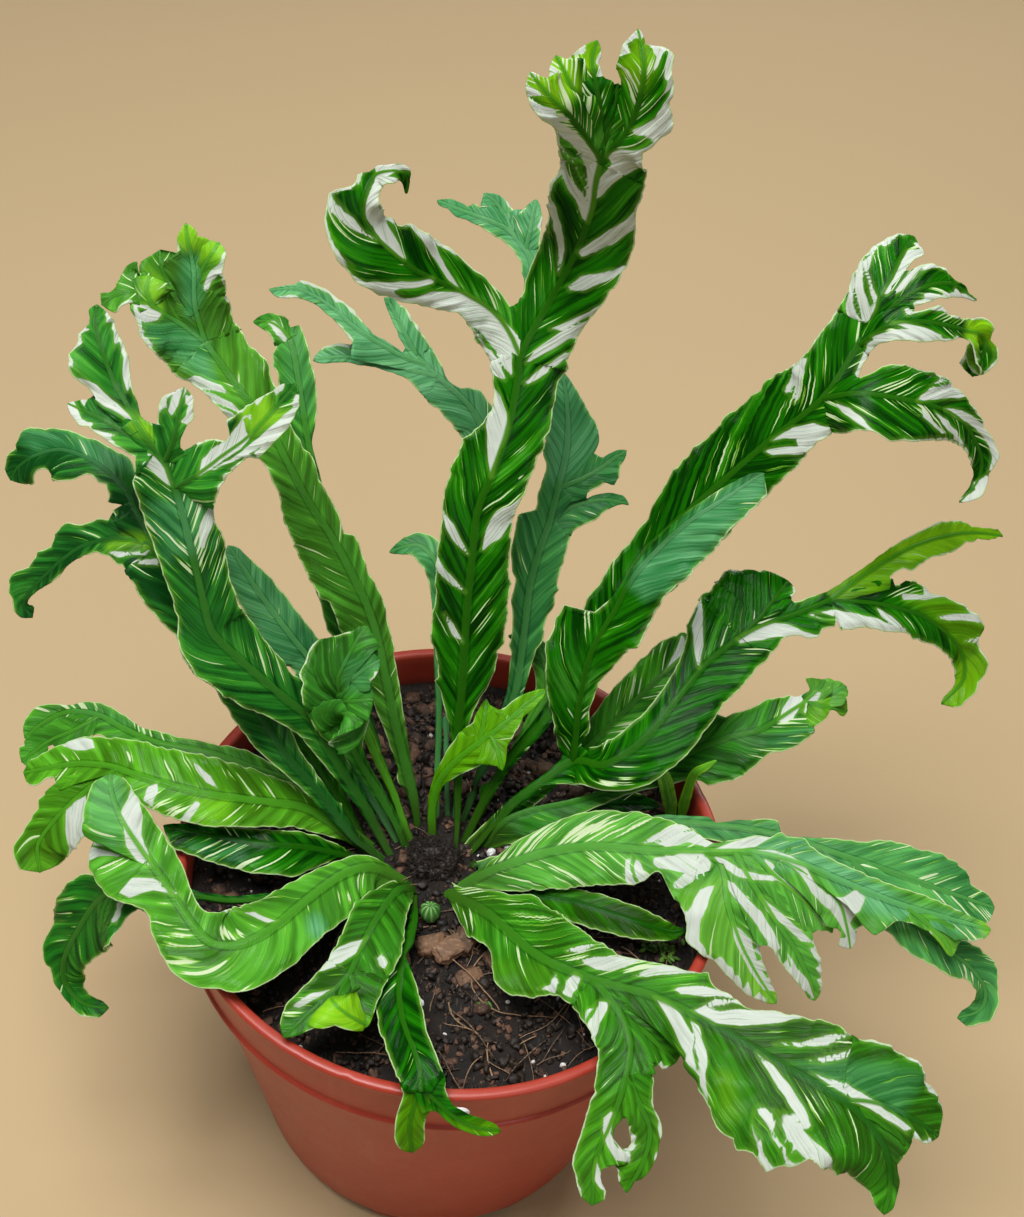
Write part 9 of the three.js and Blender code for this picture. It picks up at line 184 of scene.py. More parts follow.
        [(0.9,-11.8,132.6,-0.554,-0.794,-0.25,3.8,1.5,0,0,0,0), (2.6,-13.3,133.6,-0.544,-0.801,-0.251,3.8,2.7,0,0,0,0), (4.2,-14.7,134.6,-0.533,-0.809,-0.249,5.1,4,0,0,0,0), (5.9,-16.1,135.6,-0.535,-0.807,-0.249,6,5.3,0,0,0,0), (7.5,-17.5,136.6,-0.551,-0.797,-0.247,6.5,6.5,0,0,0,0), (9.2,-19,137.6,-0.577,-0.779,-0.245,7.2,7.6,0,0,0,0), (10.8,-20.5,138.5,-0.609,-0.756,-0.24,8,8.6,0,0,0,0), (12.3,-22.1,139.4,-0.644,-0.728,-0.235,9,9.4,0,0,0,0), (13.8,-23.7,140.3,-0.68,-0.697,-0.228,10.2,9.4,0,0,0,0), (15.2,-25.5,141.2,-0.712,-0.666,-0.223,11.6,9.1,0,0,0,0), (16.5,-27.3,142.1,-0.736,-0.641,-0.218,13.1,8.8,0,0,0,0), (17.8,-29.1,142.9,-0.747,-0.629,-0.214,14,8.3,0,0,0,0), (19.1,-30.9,143.8,-0.752,-0.624,-0.212,14.2,7.8,0,0,0,0), (20.4,-32.8,144.6,-0.751,-0.626,-0.212,14.4,8.5,0,0,0,0), (21.7,-34.6,145.4,-0.743,-0.634,-0.213,14.6,9.7,0,0,0,0), (23.1,-36.4,146.3,-0.731,-0.647,-0.217,14.7,11.1,0,0,0,0), (24.4,-38.2,147.1,-0.711,-0.667,-0.222,14.7,12.6,0,0,0,0), (25.9,-40,147.9,-0.677,-0.701,-0.227,14.7,14.4,0,0,0,0), (27.4,-41.6,148.7,-0.634,-0.738,-0.231,14.5,15.3,0,0,0,0), (29.1,-43.2,149.4,-0.59,-0.772,-0.236,14.3,14.2,0,0,0,0), (30.8,-44.7,150.2,-0.548,-0.802,-0.24,14,13.2,0,0,0,0), (32.6,-46.1,150.9,-0.509,-0.826,-0.243,13.7,12.3,0,0,0,0), (34.5,-47.4,151.6,-0.474,-0.846,-0.245,13.3,10.3,0,0,0,0), (36.5,-48.6,152.2,-0.443,-0.862,-0.246,13,8.7,0,0,0,0), (38.5,-49.8,152.9,-0.419,-0.873,-0.247,12.6,8.1,0,0,0,0), (40.5,-50.9,153.5,-0.404,-0.881,-0.248,12,8.7,0,0,0,0), (42.5,-52,154.2,-0.395,-0.884,-0.25,11.4,9.3,0,0,0,0), (44.6,-53.1,154.8,-0.382,-0.889,-0.252,10.9,4,0,6.7,0,0), (46.6,-54.1,155.5,-0.354,-0.901,-0.251,10.4,1,0,9,0,0), (48.7,-55.1,156.2,-0.317,-0.915,-0.25,9.7,1.5,0,9,0,0), (50.8,-56,156.8,-0.289,-0.925,-0.249,9.3,2.2,0,9,0,-0.1), (53,-56.8,157.5,-0.275,-0.929,-0.249,9.3,3,0,9,0,-0.1), (55.2,-57.6,158.1,-0.279,-0.928,-0.249,9.5,3.8,0,9,0,-0.3), (57.3,-58.4,158.8,-0.3,-0.921,-0.249,9.7,4.5,0,9,0,-0.6), (59.5,-59.3,159.4,-0.337,-0.908,-0.25,10,5,0,9,0,-0.9), (61.6,-60.3,160,-0.379,-0.89,-0.251,10.3,5.5,0,9,0,-1.3), (63.6,-61.4,160.5,-0.414,-0.875,-0.251,10.9,5.8,0,9,0,-1.6), (65.6,-62.6,161.1,-0.437,-0.864,-0.25,11.6,6.5,0,9,0,-2), (67.7,-63.8,161.6,-0.456,-0.854,-0.249,12,7,0,9,0,-2.3), (69.6,-65,162.1,-0.47,-0.847,-0.249,11.7,7.8,0,9,0,-2.3), (71.6,-66.3,162.6,-0.481,-0.841,-0.248,13.1,8.8,0,4,0,-2.1), (73.6,-67.6,163.1,-0.488,-0.837,-0.247,10.9,9.8,0,3.5,0,-1.5), (75.6,-68.9,163.6,-0.492,-0.835,-0.247,10.6,11,0,2.7,0,-0.7), (77.6,-70.1,164,-0.498,-0.832,-0.246,10.3,12.5,0,1.7,0,-0.1), (79.5,-71.5,164.3,-0.509,-0.825,-0.246,10,13.8,0,1.8,0,0), (81.5,-72.8,164.7,-0.521,-0.818,-0.245,9.8,15.5,0,1,0,0), (83.5,-74.1,165,-0.529,-0.812,-0.245,9.6,17.5,0,0,0,0), (85.4,-75.5,165.2,-0.533,-0.81,-0.244,10.6,19.2,0,0,0,0), (87.4,-76.9,165.5,-0.533,-0.81,-0.244,11.5,20.5,0,0,0,0), (89.3,-78.2,165.7,-0.529,-0.813,-0.244,12.3,21.9,0,0,0,0), (91.3,-79.6,165.9,-0.519,-0.819,-0.244,13.1,23.1,0,0,0,0), (93.3,-80.9,166,-0.506,-0.827,-0.244,13.9,24.3,0,0,0,0), (95.4,-82.1,166.1,-0.495,-0.834,-0.244,14.8,25.3,0,0,0,0), (97.4,-83.3,166.2,-0.487,-0.839,-0.244,15.5,25.9,0,0,0,0), (99.5,-84.6,166.2,-0.481,-0.842,-0.245,16.5,26.2,0,0,0,0), (101.6,-85.7,166.2,-0.479,-0.843,-0.245,17.2,26.6,0,0,0,0), (103.7,-86.9,166.2,-0.48,-0.843,-0.244,17.6,27,0,0,0,0), (105.8,-88.1,166.2,-0.484,-0.84,-0.244,17.8,27,0,0,0,0), (107.9,-89.3,166.1,-0.49,-0.837,-0.244,17.7,24.4,0,0,0,0), (110,-90.5,165.9,-0.487,-0.838,-0.244,13.5,23.7,4.4,0,0,0), (112.1,-91.6,165.7,-0.484,-0.84,-0.245,4.8,19.1,9,0,0,0), (114.2,-92.7,165.4,-0.501,-0.83,-0.246,0.8,19.4,9,0,0,0), (116.2,-93.9,164.9,-0.549,-0.8,-0.243,1.5,19,9,0,0.1,0), (118.1,-95.1,164.2,-0.611,-0.756,-0.237,2.2,18.8,9,0,0.2,0), (120,-96.4,163.3,-0.663,-0.713,-0.231,3.2,18.4,9,0,0.2,0), (121.6,-97.7,162.2,-0.706,-0.671,-0.226,4,16.7,9,0,0.2,0), (123.2,-99.1,161,-0.748,-0.626,-0.222,4.8,16.2,9,0,0.2,0), (124.7,-100.5,159.7,-0.797,-0.565,-0.214,5.8,15.9,9,0,0.1,0), (126,-101.9,158.2,-0.856,-0.477,-0.197,6.8,15.3,5.1,0,0,0), (127,-103.3,156.6,-0.915,-0.365,-0.171,5.6,12.7,0,0,0,0), (127.7,-104.7,154.8,-0.959,-0.246,-0.144,2.1,11.8,0,0,0,0), (128.2,-106.1,152.9,-0.983,-0.133,-0.126,2.1,10.6,0,0,0,0), (128.6,-107.5,151,-0.993,-0.025,-0.119,2.5,9.2,0,0,0,0), (128.8,-109,149.2,-0.99,0.107,-0.089,2.1,7.9,0,0,0,0), (128.6,-110.6,147.4,-0.971,0.235,-0.048,1.9,5.2,0,0,0,0), (128.1,-112.3,145.7,-0.957,0.285,-0.047,2,3.7,0,0,0,0), (127.7,-113.9,144,-0.956,0.288,-0.059,0.3,0.3,0,0,0,0)],
        [(112.9,-92,165.6,0.01,-0.963,-0.268,1.2,1.2,9,9,0,0), (114.9,-92,165.5,0.014,-0.964,-0.265,8.8,1,9,9,0.1,0), (116.9,-92,165.5,0.012,-0.965,-0.26,16.2,1.5,2.1,9,0,-0.1), (118.9,-91.9,165.4,-0.006,-0.967,-0.256,17.5,2.2,0,9,0,-0.1), (120.9,-91.9,165.2,-0.034,-0.966,-0.255,17.2,3,0,9,0,-0.1), (122.9,-91.9,164.7,-0.09,-0.964,-0.251,17.4,3.5,0,9,0,-0.1), (124.8,-92,164.2,-0.141,-0.96,-0.244,17.6,4,0,9,0,-0.1), (126.6,-92.2,163.6,-0.16,-0.956,-0.245,17.4,4.8,0,9,0,-0.1), (128.5,-92.3,162.9,-0.186,-0.951,-0.248,16.4,5.2,0,9,0,0), (130.3,-92.5,162.2,-0.223,-0.942,-0.251,16.4,5.8,0,9,0,0), (132,-92.7,161.4,-0.271,-0.929,-0.25,15.7,6.2,0,9,0,0.1), (133.7,-93.1,160.5,-0.315,-0.916,-0.248,13.8,7,0,3.3,0,0.1), (135.4,-93.4,159.5,-0.337,-0.908,-0.248,11.1,5,0,0,0,0), (137,-93.7,158.5,-0.336,-0.907,-0.253,10.9,4.7,0,0,0,0), (138.7,-94,157.4,-0.33,-0.908,-0.257,10.6,4.4,0,0,0,0), (140.2,-94.3,156.3,-0.333,-0.908,-0.256,10,4,0,0,0,0), (141.8,-94.5,155.2,-0.335,-0.907,-0.256,8.5,2.4,0,0,0,0), (143.3,-94.8,154,-0.335,-0.907,-0.256,0.3,0.3,0,0,0,0)],
        [(45.1,-53.4,155,-0.733,-0.583,-0.35,1.2,1.2,9,8.7,0,0), (46.2,-55,155.3,-0.733,-0.587,-0.343,1,9.5,9,0,0,0), (47.4,-56.5,155.5,-0.741,-0.588,-0.324,1.5,9.8,9,0,0,0), (48.6,-58.1,155.8,-0.761,-0.576,-0.299,2,9.9,9,0,0,0), (49.7,-59.8,156,-0.787,-0.555,-0.268,2.8,10.1,9,0,0,0), (50.8,-61.4,156.1,-0.806,-0.544,-0.233,3.5,10.2,9,0,0.1,0), (51.9,-63.1,156.2,-0.826,-0.527,-0.2,4.2,10.2,9,0,0.1,0), (52.9,-64.8,156.2,-0.861,-0.479,-0.173,0.8,10.3,9,0,-0.1,0), (53.8,-66.6,156.1,-0.902,-0.404,-0.154,1.2,10.4,9,0,-0.2,0), (54.6,-68.4,155.8,-0.931,-0.337,-0.137,1.8,10.4,9,0,-0.3,0), (55.2,-70.2,155.4,-0.955,-0.27,-0.121,2.5,10.3,9,0,-0.4,0), (55.7,-72.1,154.9,-0.981,-0.17,-0.098,3.2,10.1,9,0,-0.6,0), (56,-74,154.4,-0.996,-0.048,-0.069,4.2,9.8,9,0,-0.6,0), (56,-75.8,153.7,-0.997,0.064,-0.042,5.5,9.4,6.4,0,-0.6,0), (55.8,-77.7,153.1,-0.99,0.142,-0.023,6.8,8.9,0,0,-0.3,0), (55.5,-79.6,152.5,-0.982,0.191,-0.012,7.5,8.6,0.7,0,-0.2,0), (55.1,-81.4,151.9,-0.976,0.22,-0.006,1.8,8.5,6.3,0,-0.1,0), (54.7,-83.2,151.1,-0.971,0.238,-0.002,1,8.3,7.6,0,-0.1,0), (54.2,-85,150.3,-0.968,0.252,0,1.8,8.1,7,0,-0.1,0), (53.8,-86.7,149.4,-0.961,0.276,0.005,2.8,7.9,6.4,0,-0.1,0), (53.3,-88.3,148.3,-0.951,0.308,0.014,3.5,7,5.6,0,-0.1,0), (52.7,-89.8,147.1,-0.943,0.333,0.02,4.2,7.6,3.5,0,0,0), (52.2,-91.2,145.9,-0.937,0.349,0.023,2.6,7.5,0,0,0,0), (51.6,-92.7,144.7,-0.933,0.36,0.021,1.8,7.3,0,0,0,0), (51,-94.2,143.5,-0.923,0.385,0.028,1.4,7.2,0,0,0,0), (50.3,-95.6,142.4,-0.909,0.415,0.042,2,6.9,0,0,-0.1,0), (49.5,-97.1,141.2,-0.909,0.414,0.044,7,6.6,0,0,-0.4,0), (48.8,-98.6,140.1,-0.927,0.372,0.034,7,6.2,3,0,-0.8,0), (48.2,-100.1,139,-0.956,0.294,0.015,6.8,6.2,3.3,0,-0.8,0), (47.8,-101.7,137.8,-0.981,0.196,-0.011,4.9,6.5,0,0,-0.4,0), (47.6,-103.3,136.7,-0.993,0.113,-0.029,2,6.2,0,0,-0.1,0), (47.5,-104.9,135.5,-0.998,0.059,-0.038,1.8,5.2,0,0,0,0), (47.5,-106.5,134.4,-0.999,0.028,-0.043,2.3,4.7,0,0,0,0), (47.6,-108.2,133.3,-0.999,0.02,-0.043,3.5,4,0,0,0,0), (47.6,-109.8,132.1,-0.999,0.029,-0.039,3.3,3.3,0,0,0,0), (47.5,-111.4,131,-0.999,0.038,-0.037,0.3,0.3,0,0,0,0)],
        [(55,-81.7,151.8,-0.879,-0.421,-0.226,0.8,0.8,9,9,0.1,0.1), (56,-83.3,150.9,-0.879,-0.422,-0.222,6.5,1.2,0.4,9,0.1,0.2), (57,-84.9,150.1,-0.879,-0.427,-0.213,6.9,2,0,9,0,0.2), (57.9,-86.5,149.3,-0.879,-0.434,-0.2,5.9,2.8,0,9,0,0.2), (58.9,-88,148.5,-0.873,-0.452,-0.185,4.6,3.5,0,7,0,0.1), (59.9,-89.5,147.5,-0.855,-0.487,-0.178,3.6,4.5,0,0.7,0,0), (60.9,-90.8,146.3,-0.844,-0.506,-0.178,3,5.5,0,0,0,0), (61.9,-92,145.1,-0.883,-0.44,-0.164,3.3,6,0,0,0,0), (62.6,-93.3,143.8,-0.96,-0.256,-0.111,3.5,5.9,0,0,0,0), (62.9,-94.8,142.6,-0.999,-0.021,-0.049,3.3,5.8,0,0,0,0), (62.8,-96.5,141.5,-0.988,0.152,-0.018,2.7,5.1,0,0,0,0), (62.5,-98.1,140.5,-0.967,0.256,-0.003,2.9,4.7,0,0,0,0.1), (61.9,-99.7,139.5,-0.947,0.322,0.006,3,5.2,0,0,0,0.4), (61.4,-101.3,138.5,-0.926,0.378,0.011,2.6,7,0,3.5,0,0.9), (60.7,-102.7,137.3,-0.889,0.456,0.03,2.3,7,0,3.5,0,1.1), (59.9,-104,136,-0.844,0.533,0.056,1.7,7,0,3.5,0,0.9), (59,-105.1,134.7,-0.817,0.573,0.065,0.3,5.1,0,0,0,0.4), (58.1,-106.2,133.3,-0.814,0.578,0.059,0.5,4.1,0,0,0,0.1), (57.2,-107.4,132,-0.82,0.57,0.054,0.3,0.3,0,0,0,0)],
        [(52.4,-64.1,156.2,-0.594,-0.787,-0.167,2,1.8,9,9,0.3,0.2), (54.1,-65.2,155.9,-0.596,-0.785,-0.171,4.8,1,9,9,0.5,0.2), (55.7,-66.4,155.6,-0.592,-0.785,-0.181,5,1.5,9,9,0.8,0.3), (57.4,-67.6,155.3,-0.576,-0.794,-0.196,5.5,2,9,9,1.1,0.4), (59.1,-68.7,154.9,-0.553,-0.805,-0.216,5.8,3,9,9,1.5,0.5), (60.9,-69.7,154.4,-0.579,-0.784,-0.223,6.5,3.8,9,9,1.8,0.7), (62.4,-70.8,153.9,-0.612,-0.761,-0.215,7,4.5,9,9,2.2,0.8), (63.9,-71.9,153.2,-0.602,-0.769,-0.215,7.8,5.5,9,9,2.5,0.9), (65.5,-72.9,152.5,-0.59,-0.778,-0.216,8.5,6.8,9,3,2.5,0.7), (67,-73.8,151.7,-0.58,-0.785,-0.217,9.5,4.4,9,0,1.9,0.4), (68.5,-74.7,150.8,-0.577,-0.787,-0.216,10.5,4.6,9,0,0.9,0.1), (70.1,-75.6,150,-0.578,-0.787,-0.215,0.3,0.3,0,0,0.2,0)],
    ],
    "leaf_front_right_small": [
        [(7.9,-12,132.6,0.142,-0.963,-0.23,1,1,0,0,0,0), (10.2,-11.8,133.3,0.149,-0.962,-0.228,1,1,0,0,0,0), (12.5,-11.6,134,0.142,-0.964,-0.226,1.1,1.1,0,0,0,0), (14.8,-11.4,134.7,0.094,-0.969,-0.229,1.1,1.1,0,0,0,0), (17.1,-11.5,135.4,0.015,-0.972,-0.236,1.2,1.2,0,0,0,0), (19.4,-11.7,136,-0.06,-0.969,-0.241,1.6,1.8,0,0,0,0), (21.7,-12.1,136.6,-0.111,-0.964,-0.242,2,2.5,0,0,0,0), (24,-12.5,137.2,-0.136,-0.961,-0.242,2.4,3.1,0,0,0,0), (26.3,-13,137.8,-0.142,-0.96,-0.24,2.9,3.8,0,0,0,0), (28.6,-13.5,138.5,-0.144,-0.96,-0.239,3.1,4.3,0,0,0,0), (30.9,-14,139.1,-0.154,-0.959,-0.239,3.4,4.7,0,0,0,0), (33.1,-14.6,139.8,-0.173,-0.955,-0.239,3.6,5.2,0,0,0,0), (35.4,-15.2,140.4,-0.202,-0.95,-0.238,3.8,5.6,0,0,0,0), (37.6,-15.8,141,-0.248,-0.939,-0.239,4,6,0,0,0,0), (39.8,-16.6,141.6,-0.304,-0.921,-0.242,4.2,6.2,0,0,0,0), (42,-17.6,142.2,-0.338,-0.909,-0.243,4.5,6.5,0,0,0,0), (44.2,-18.5,142.6,-0.336,-0.911,-0.24,4.7,6.7,0,0,0,0), (46.4,-19.4,143,-0.322,-0.917,-0.238,5,7,0,0,0,0), (48.6,-20.2,143.3,-0.318,-0.918,-0.238,5,6.8,0,0,0,0), (50.9,-21.1,143.5,-0.318,-0.918,-0.238,5,6.7,0,0,0,0), (53.1,-21.9,143.7,-0.313,-0.92,-0.238,5,6.5,0,0,0,0), (55.4,-22.7,143.9,-0.3,-0.924,-0.238,5,6.3,0,0,0,0), (57.7,-23.5,144,-0.28,-0.93,-0.238,5,6.2,0,0,0,0), (60,-24.1,144,-0.25,-0.938,-0.238,5,6,0,0,0,0), (62.4,-24.7,143.8,-0.22,-0.946,-0.238,4.6,5.4,0,0,0,0), (64.7,-25.1,143.4,-0.191,-0.952,-0.238,4.2,4.8,0,0,0,0), (67.1,-25.4,143,-0.153,-0.96,-0.235,3.8,4.2,0,0,0,0), (69.4,-25.6,142.4,-0.091,-0.97,-0.227,3.4,3.5,0,0,0,0), (71.8,-25.6,141.9,0.084,-0.971,-0.226,2.8,2.8,0,0,0,0), (74,-25,141.5,0.332,-0.916,-0.226,1.7,1.7,0,0,0,0), (76.1,-23.8,141,0.448,-0.872,-0.197,0.3,0.3,0,0,0,0)],
    ],
    "frond_right_behind_low": [
        [(14.4,-3.4,132.6,0.337,-0.9,-0.276,7,0.4,0,0,0,0), (16.7,-2.7,133.2,0.332,-0.902,-0.277,6.8,0.4,0,0,0,0), (18.9,-2.1,133.8,0.326,-0.903,-0.278,6.6,0.4,0,0,0,0), (21.2,-1.5,134.4,0.329,-0.902,-0.278,6.4,0.4,0,0,0,0), (23.4,-0.8,135,0.342,-0.898,-0.275,6.1,0.4,0,0,0,0), (25.6,-0.1,135.6,0.362,-0.892,-0.272,5.9,0.4,0,0,0,0), (27.9,0.6,136.3,0.385,-0.883,-0.268,5.5,0.4,0,0,0,0), (30,1.3,137,0.414,-0.872,-0.262,5.1,0.4,0,0,0,0), (32.2,2.2,137.8,0.441,-0.86,-0.256,4.8,0.4,0,0,0,0), (34.3,3.1,138.6,0.459,-0.852,-0.252,4.5,0.4,0,0,0,0), (36.4,4,139.4,0.467,-0.848,-0.251,4.2,0.4,0,0,0,0), (38.4,4.9,140.2,0.465,-0.849,-0.251,3.9,0.4,0,0,0,0), (40.5,5.8,141.1,0.455,-0.854,-0.253,3.6,0.9,0,0,0,0), (42.6,6.6,141.9,0.438,-0.861,-0.257,3.3,1.5,0,0,0,0), (44.8,7.4,142.7,0.412,-0.873,-0.262,3,1.9,0,0,0,0), (46.9,8.2,143.4,0.377,-0.886,-0.27,2.9,2.3,0,0,0,0), (49.1,8.9,144.1,0.339,-0.899,-0.277,2.8,2.6,0,0,0,0), (51.4,9.4,144.8,0.308,-0.908,-0.283,2.6,3.1,0,0,0,0), (53.7,10,145.4,0.283,-0.915,-0.287,2.4,3.5,0,0,0,0), (56,10.5,146,0.256,-0.922,-0.291,2.4,3.8,0,0,0,0), (58.3,10.9,146.6,0.227,-0.928,-0.295,2.3,4,0,0,0,0), (60.6,11.2,147.1,0.198,-0.934,-0.299,2.4,4.2,0,0,0,0), (62.9,11.5,147.7,0.167,-0.939,-0.302,2.5,4.3,0,0,0,0), (65.3,11.7,148.2,0.133,-0.943,-0.306,2.7,4.4,0,0,0,0), (67.6,11.8,148.8,0.096,-0.946,-0.309,3,4.4,0,0,0,0), (69.9,11.8,149.4,0.053,-0.948,-0.314,3,4.3,0,0,0,0), (72.3,11.7,150.1,0.009,-0.948,-0.318,2.7,4.6,0,0,0,0), (74.6,11.4,150.7,-0.029,-0.947,-0.321,2.6,4.8,0,0,0,0), (76.9,11.1,151.3,-0.059,-0.944,-0.323,2.5,5,0,0,0,0), (79.2,10.7,152,-0.083,-0.942,-0.325,2.5,5,0,0,0,0), (81.5,10.3,152.6,-0.099,-0.94,-0.326,2.5,5.1,0,0,0,0), (83.8,9.8,153.2,-0.108,-0.939,-0.327,2.6,5.3,0,0,0,0), (86.1,9.3,153.7,-0.113,-0.938,-0.327,0.7,5.5,0,0,0,0), (88.4,8.9,154.2,-0.117,-0.938,-0.327,1.3,5.7,0,0,0,0), (90.8,8.4,154.6,-0.126,-0.936,-0.328,1.9,5.9,0,0,0,0), (93.1,8,155.1,-0.139,-0.934,-0.329,2.6,6,0,0,0,0), (95.4,7.5,155.4,-0.153,-0.931,-0.33,2.9,6.1,0,0,0,0), (97.7,6.9,155.8,-0.169,-0.928,-0.331,3.4,6.2,0,0,0,0), (100.1,6.4,156.1,-0.187,-0.925,-0.332,3.9,6.2,0,0,0,0), (102.4,5.8,156.4,-0.206,-0.92,-0.333,4.7,6.5,0,0,0,0), (104.7,5.1,156.8,-0.227,-0.915,-0.334,5,7,0,0,0,0), (107,4.4,157.1,-0.255,-0.907,-0.335,0.3,7.5,0,0,0,0), (109.2,3.6,157.4,-0.287,-0.897,-0.336,0.6,8,0,0,0,0), (111.5,2.7,157.7,-0.313,-0.888,-0.337,1,8.2,0,0,0,0), (113.7,1.8,158.1,-0.331,-0.881,-0.337,1.8,8.5,0,0,0,0), (115.9,0.8,158.4,-0.34,-0.878,-0.337,2.3,8.8,0,0,0,0), (118.1,-0.1,158.6,-0.339,-0.878,-0.337,3.2,9,0,0,0,0), (120.3,-1.1,158.8,-0.33,-0.882,-0.337,4,9.3,0,0,0,0), (122.5,-2,159,-0.309,-0.889,-0.337,4.9,9.5,0,0,0,0), (124.8,-2.7,159,-0.281,-0.899,-0.337,5,9.7,0,0,0,0), (127.1,-3.4,158.9,-0.255,-0.906,-0.337,5.8,4.8,0,5.2,0,0), (129.5,-3.9,158.6,-0.234,-0.912,-0.338,5.9,0.8,0,9,0,0.1), (131.8,-4.3,158.2,-0.219,-0.915,-0.338,6.7,1.8,0,9,0,0.2), (134.2,-4.7,157.7,-0.211,-0.917,-0.339,7.8,2.5,0,8.6,0,0.4), (136.5,-5,157.2,-0.208,-0.918,-0.339,9,3.2,0,8,0,0.6), (138.8,-5.3,156.6,-0.212,-0.917,-0.339,9.8,4,0,9,0,0.8), (141.2,-5.7,156.1,-0.22,-0.915,-0.338,9.9,4.8,0,9,0,0.9), (143.5,-6.1,155.6,-0.228,-0.913,-0.338,10.4,5.5,0,9,0,1), (145.8,-6.5,155.1,-0.232,-0.912,-0.338,10.6,6,0,9,0,1.1), (148.2,-6.9,154.6,-0.233,-0.912,-0.338,10.4,6.5,0,9,0,1.1), (150.5,-7.3,154.1,-0.229,-0.913,-0.338,10.6,7,0,9,0,1.1), (152.8,-7.7,153.6,-0.222,-0.915,-0.339,11.5,7.5,0,9,0,1.1), (155.1,-8,153,-0.211,-0.917,-0.339,11.9,8,0,9,0,1), (157.4,-8.3,152.4,-0.198,-0.92,-0.339,12.3,8.5,0,2.9,0,0.9), (159.8,-8.5,151.7,-0.184,-0.923,-0.339,11.4,9,0,2.1,0,0.8), (162.1,-8.7,151.1,-0.172,-0.925,-0.339,11.8,9.2,0,1.6,0,0.7), (164.4,-8.9,150.4,-0.163,-0.927,-0.339,10.8,9.8,0,0.3,0,0.5), (166.7,-9,149.7,-0.156,-0.928,-0.339,9.8,9.3,0,0,0,0.2), (169,-9.2,148.9,-0.153,-0.928,-0.339,4.7,8.6,0,0,0,0), (171.3,-9.3,148.2,-0.151,-0.929,-0.339,4.4,7.9,0,0,0,0), (173.6,-9.4,147.5,-0.152,-0.929,-0.339,4.1,7.2,0,0,0,0), (175.9,-9.5,146.7,-0.154,-0.928,-0.338,3.4,6.2,0,0,0,0), (178.2,-9.6,146,-0.157,-0.928,-0.338,0.3,0.3,0,0,0,0)],
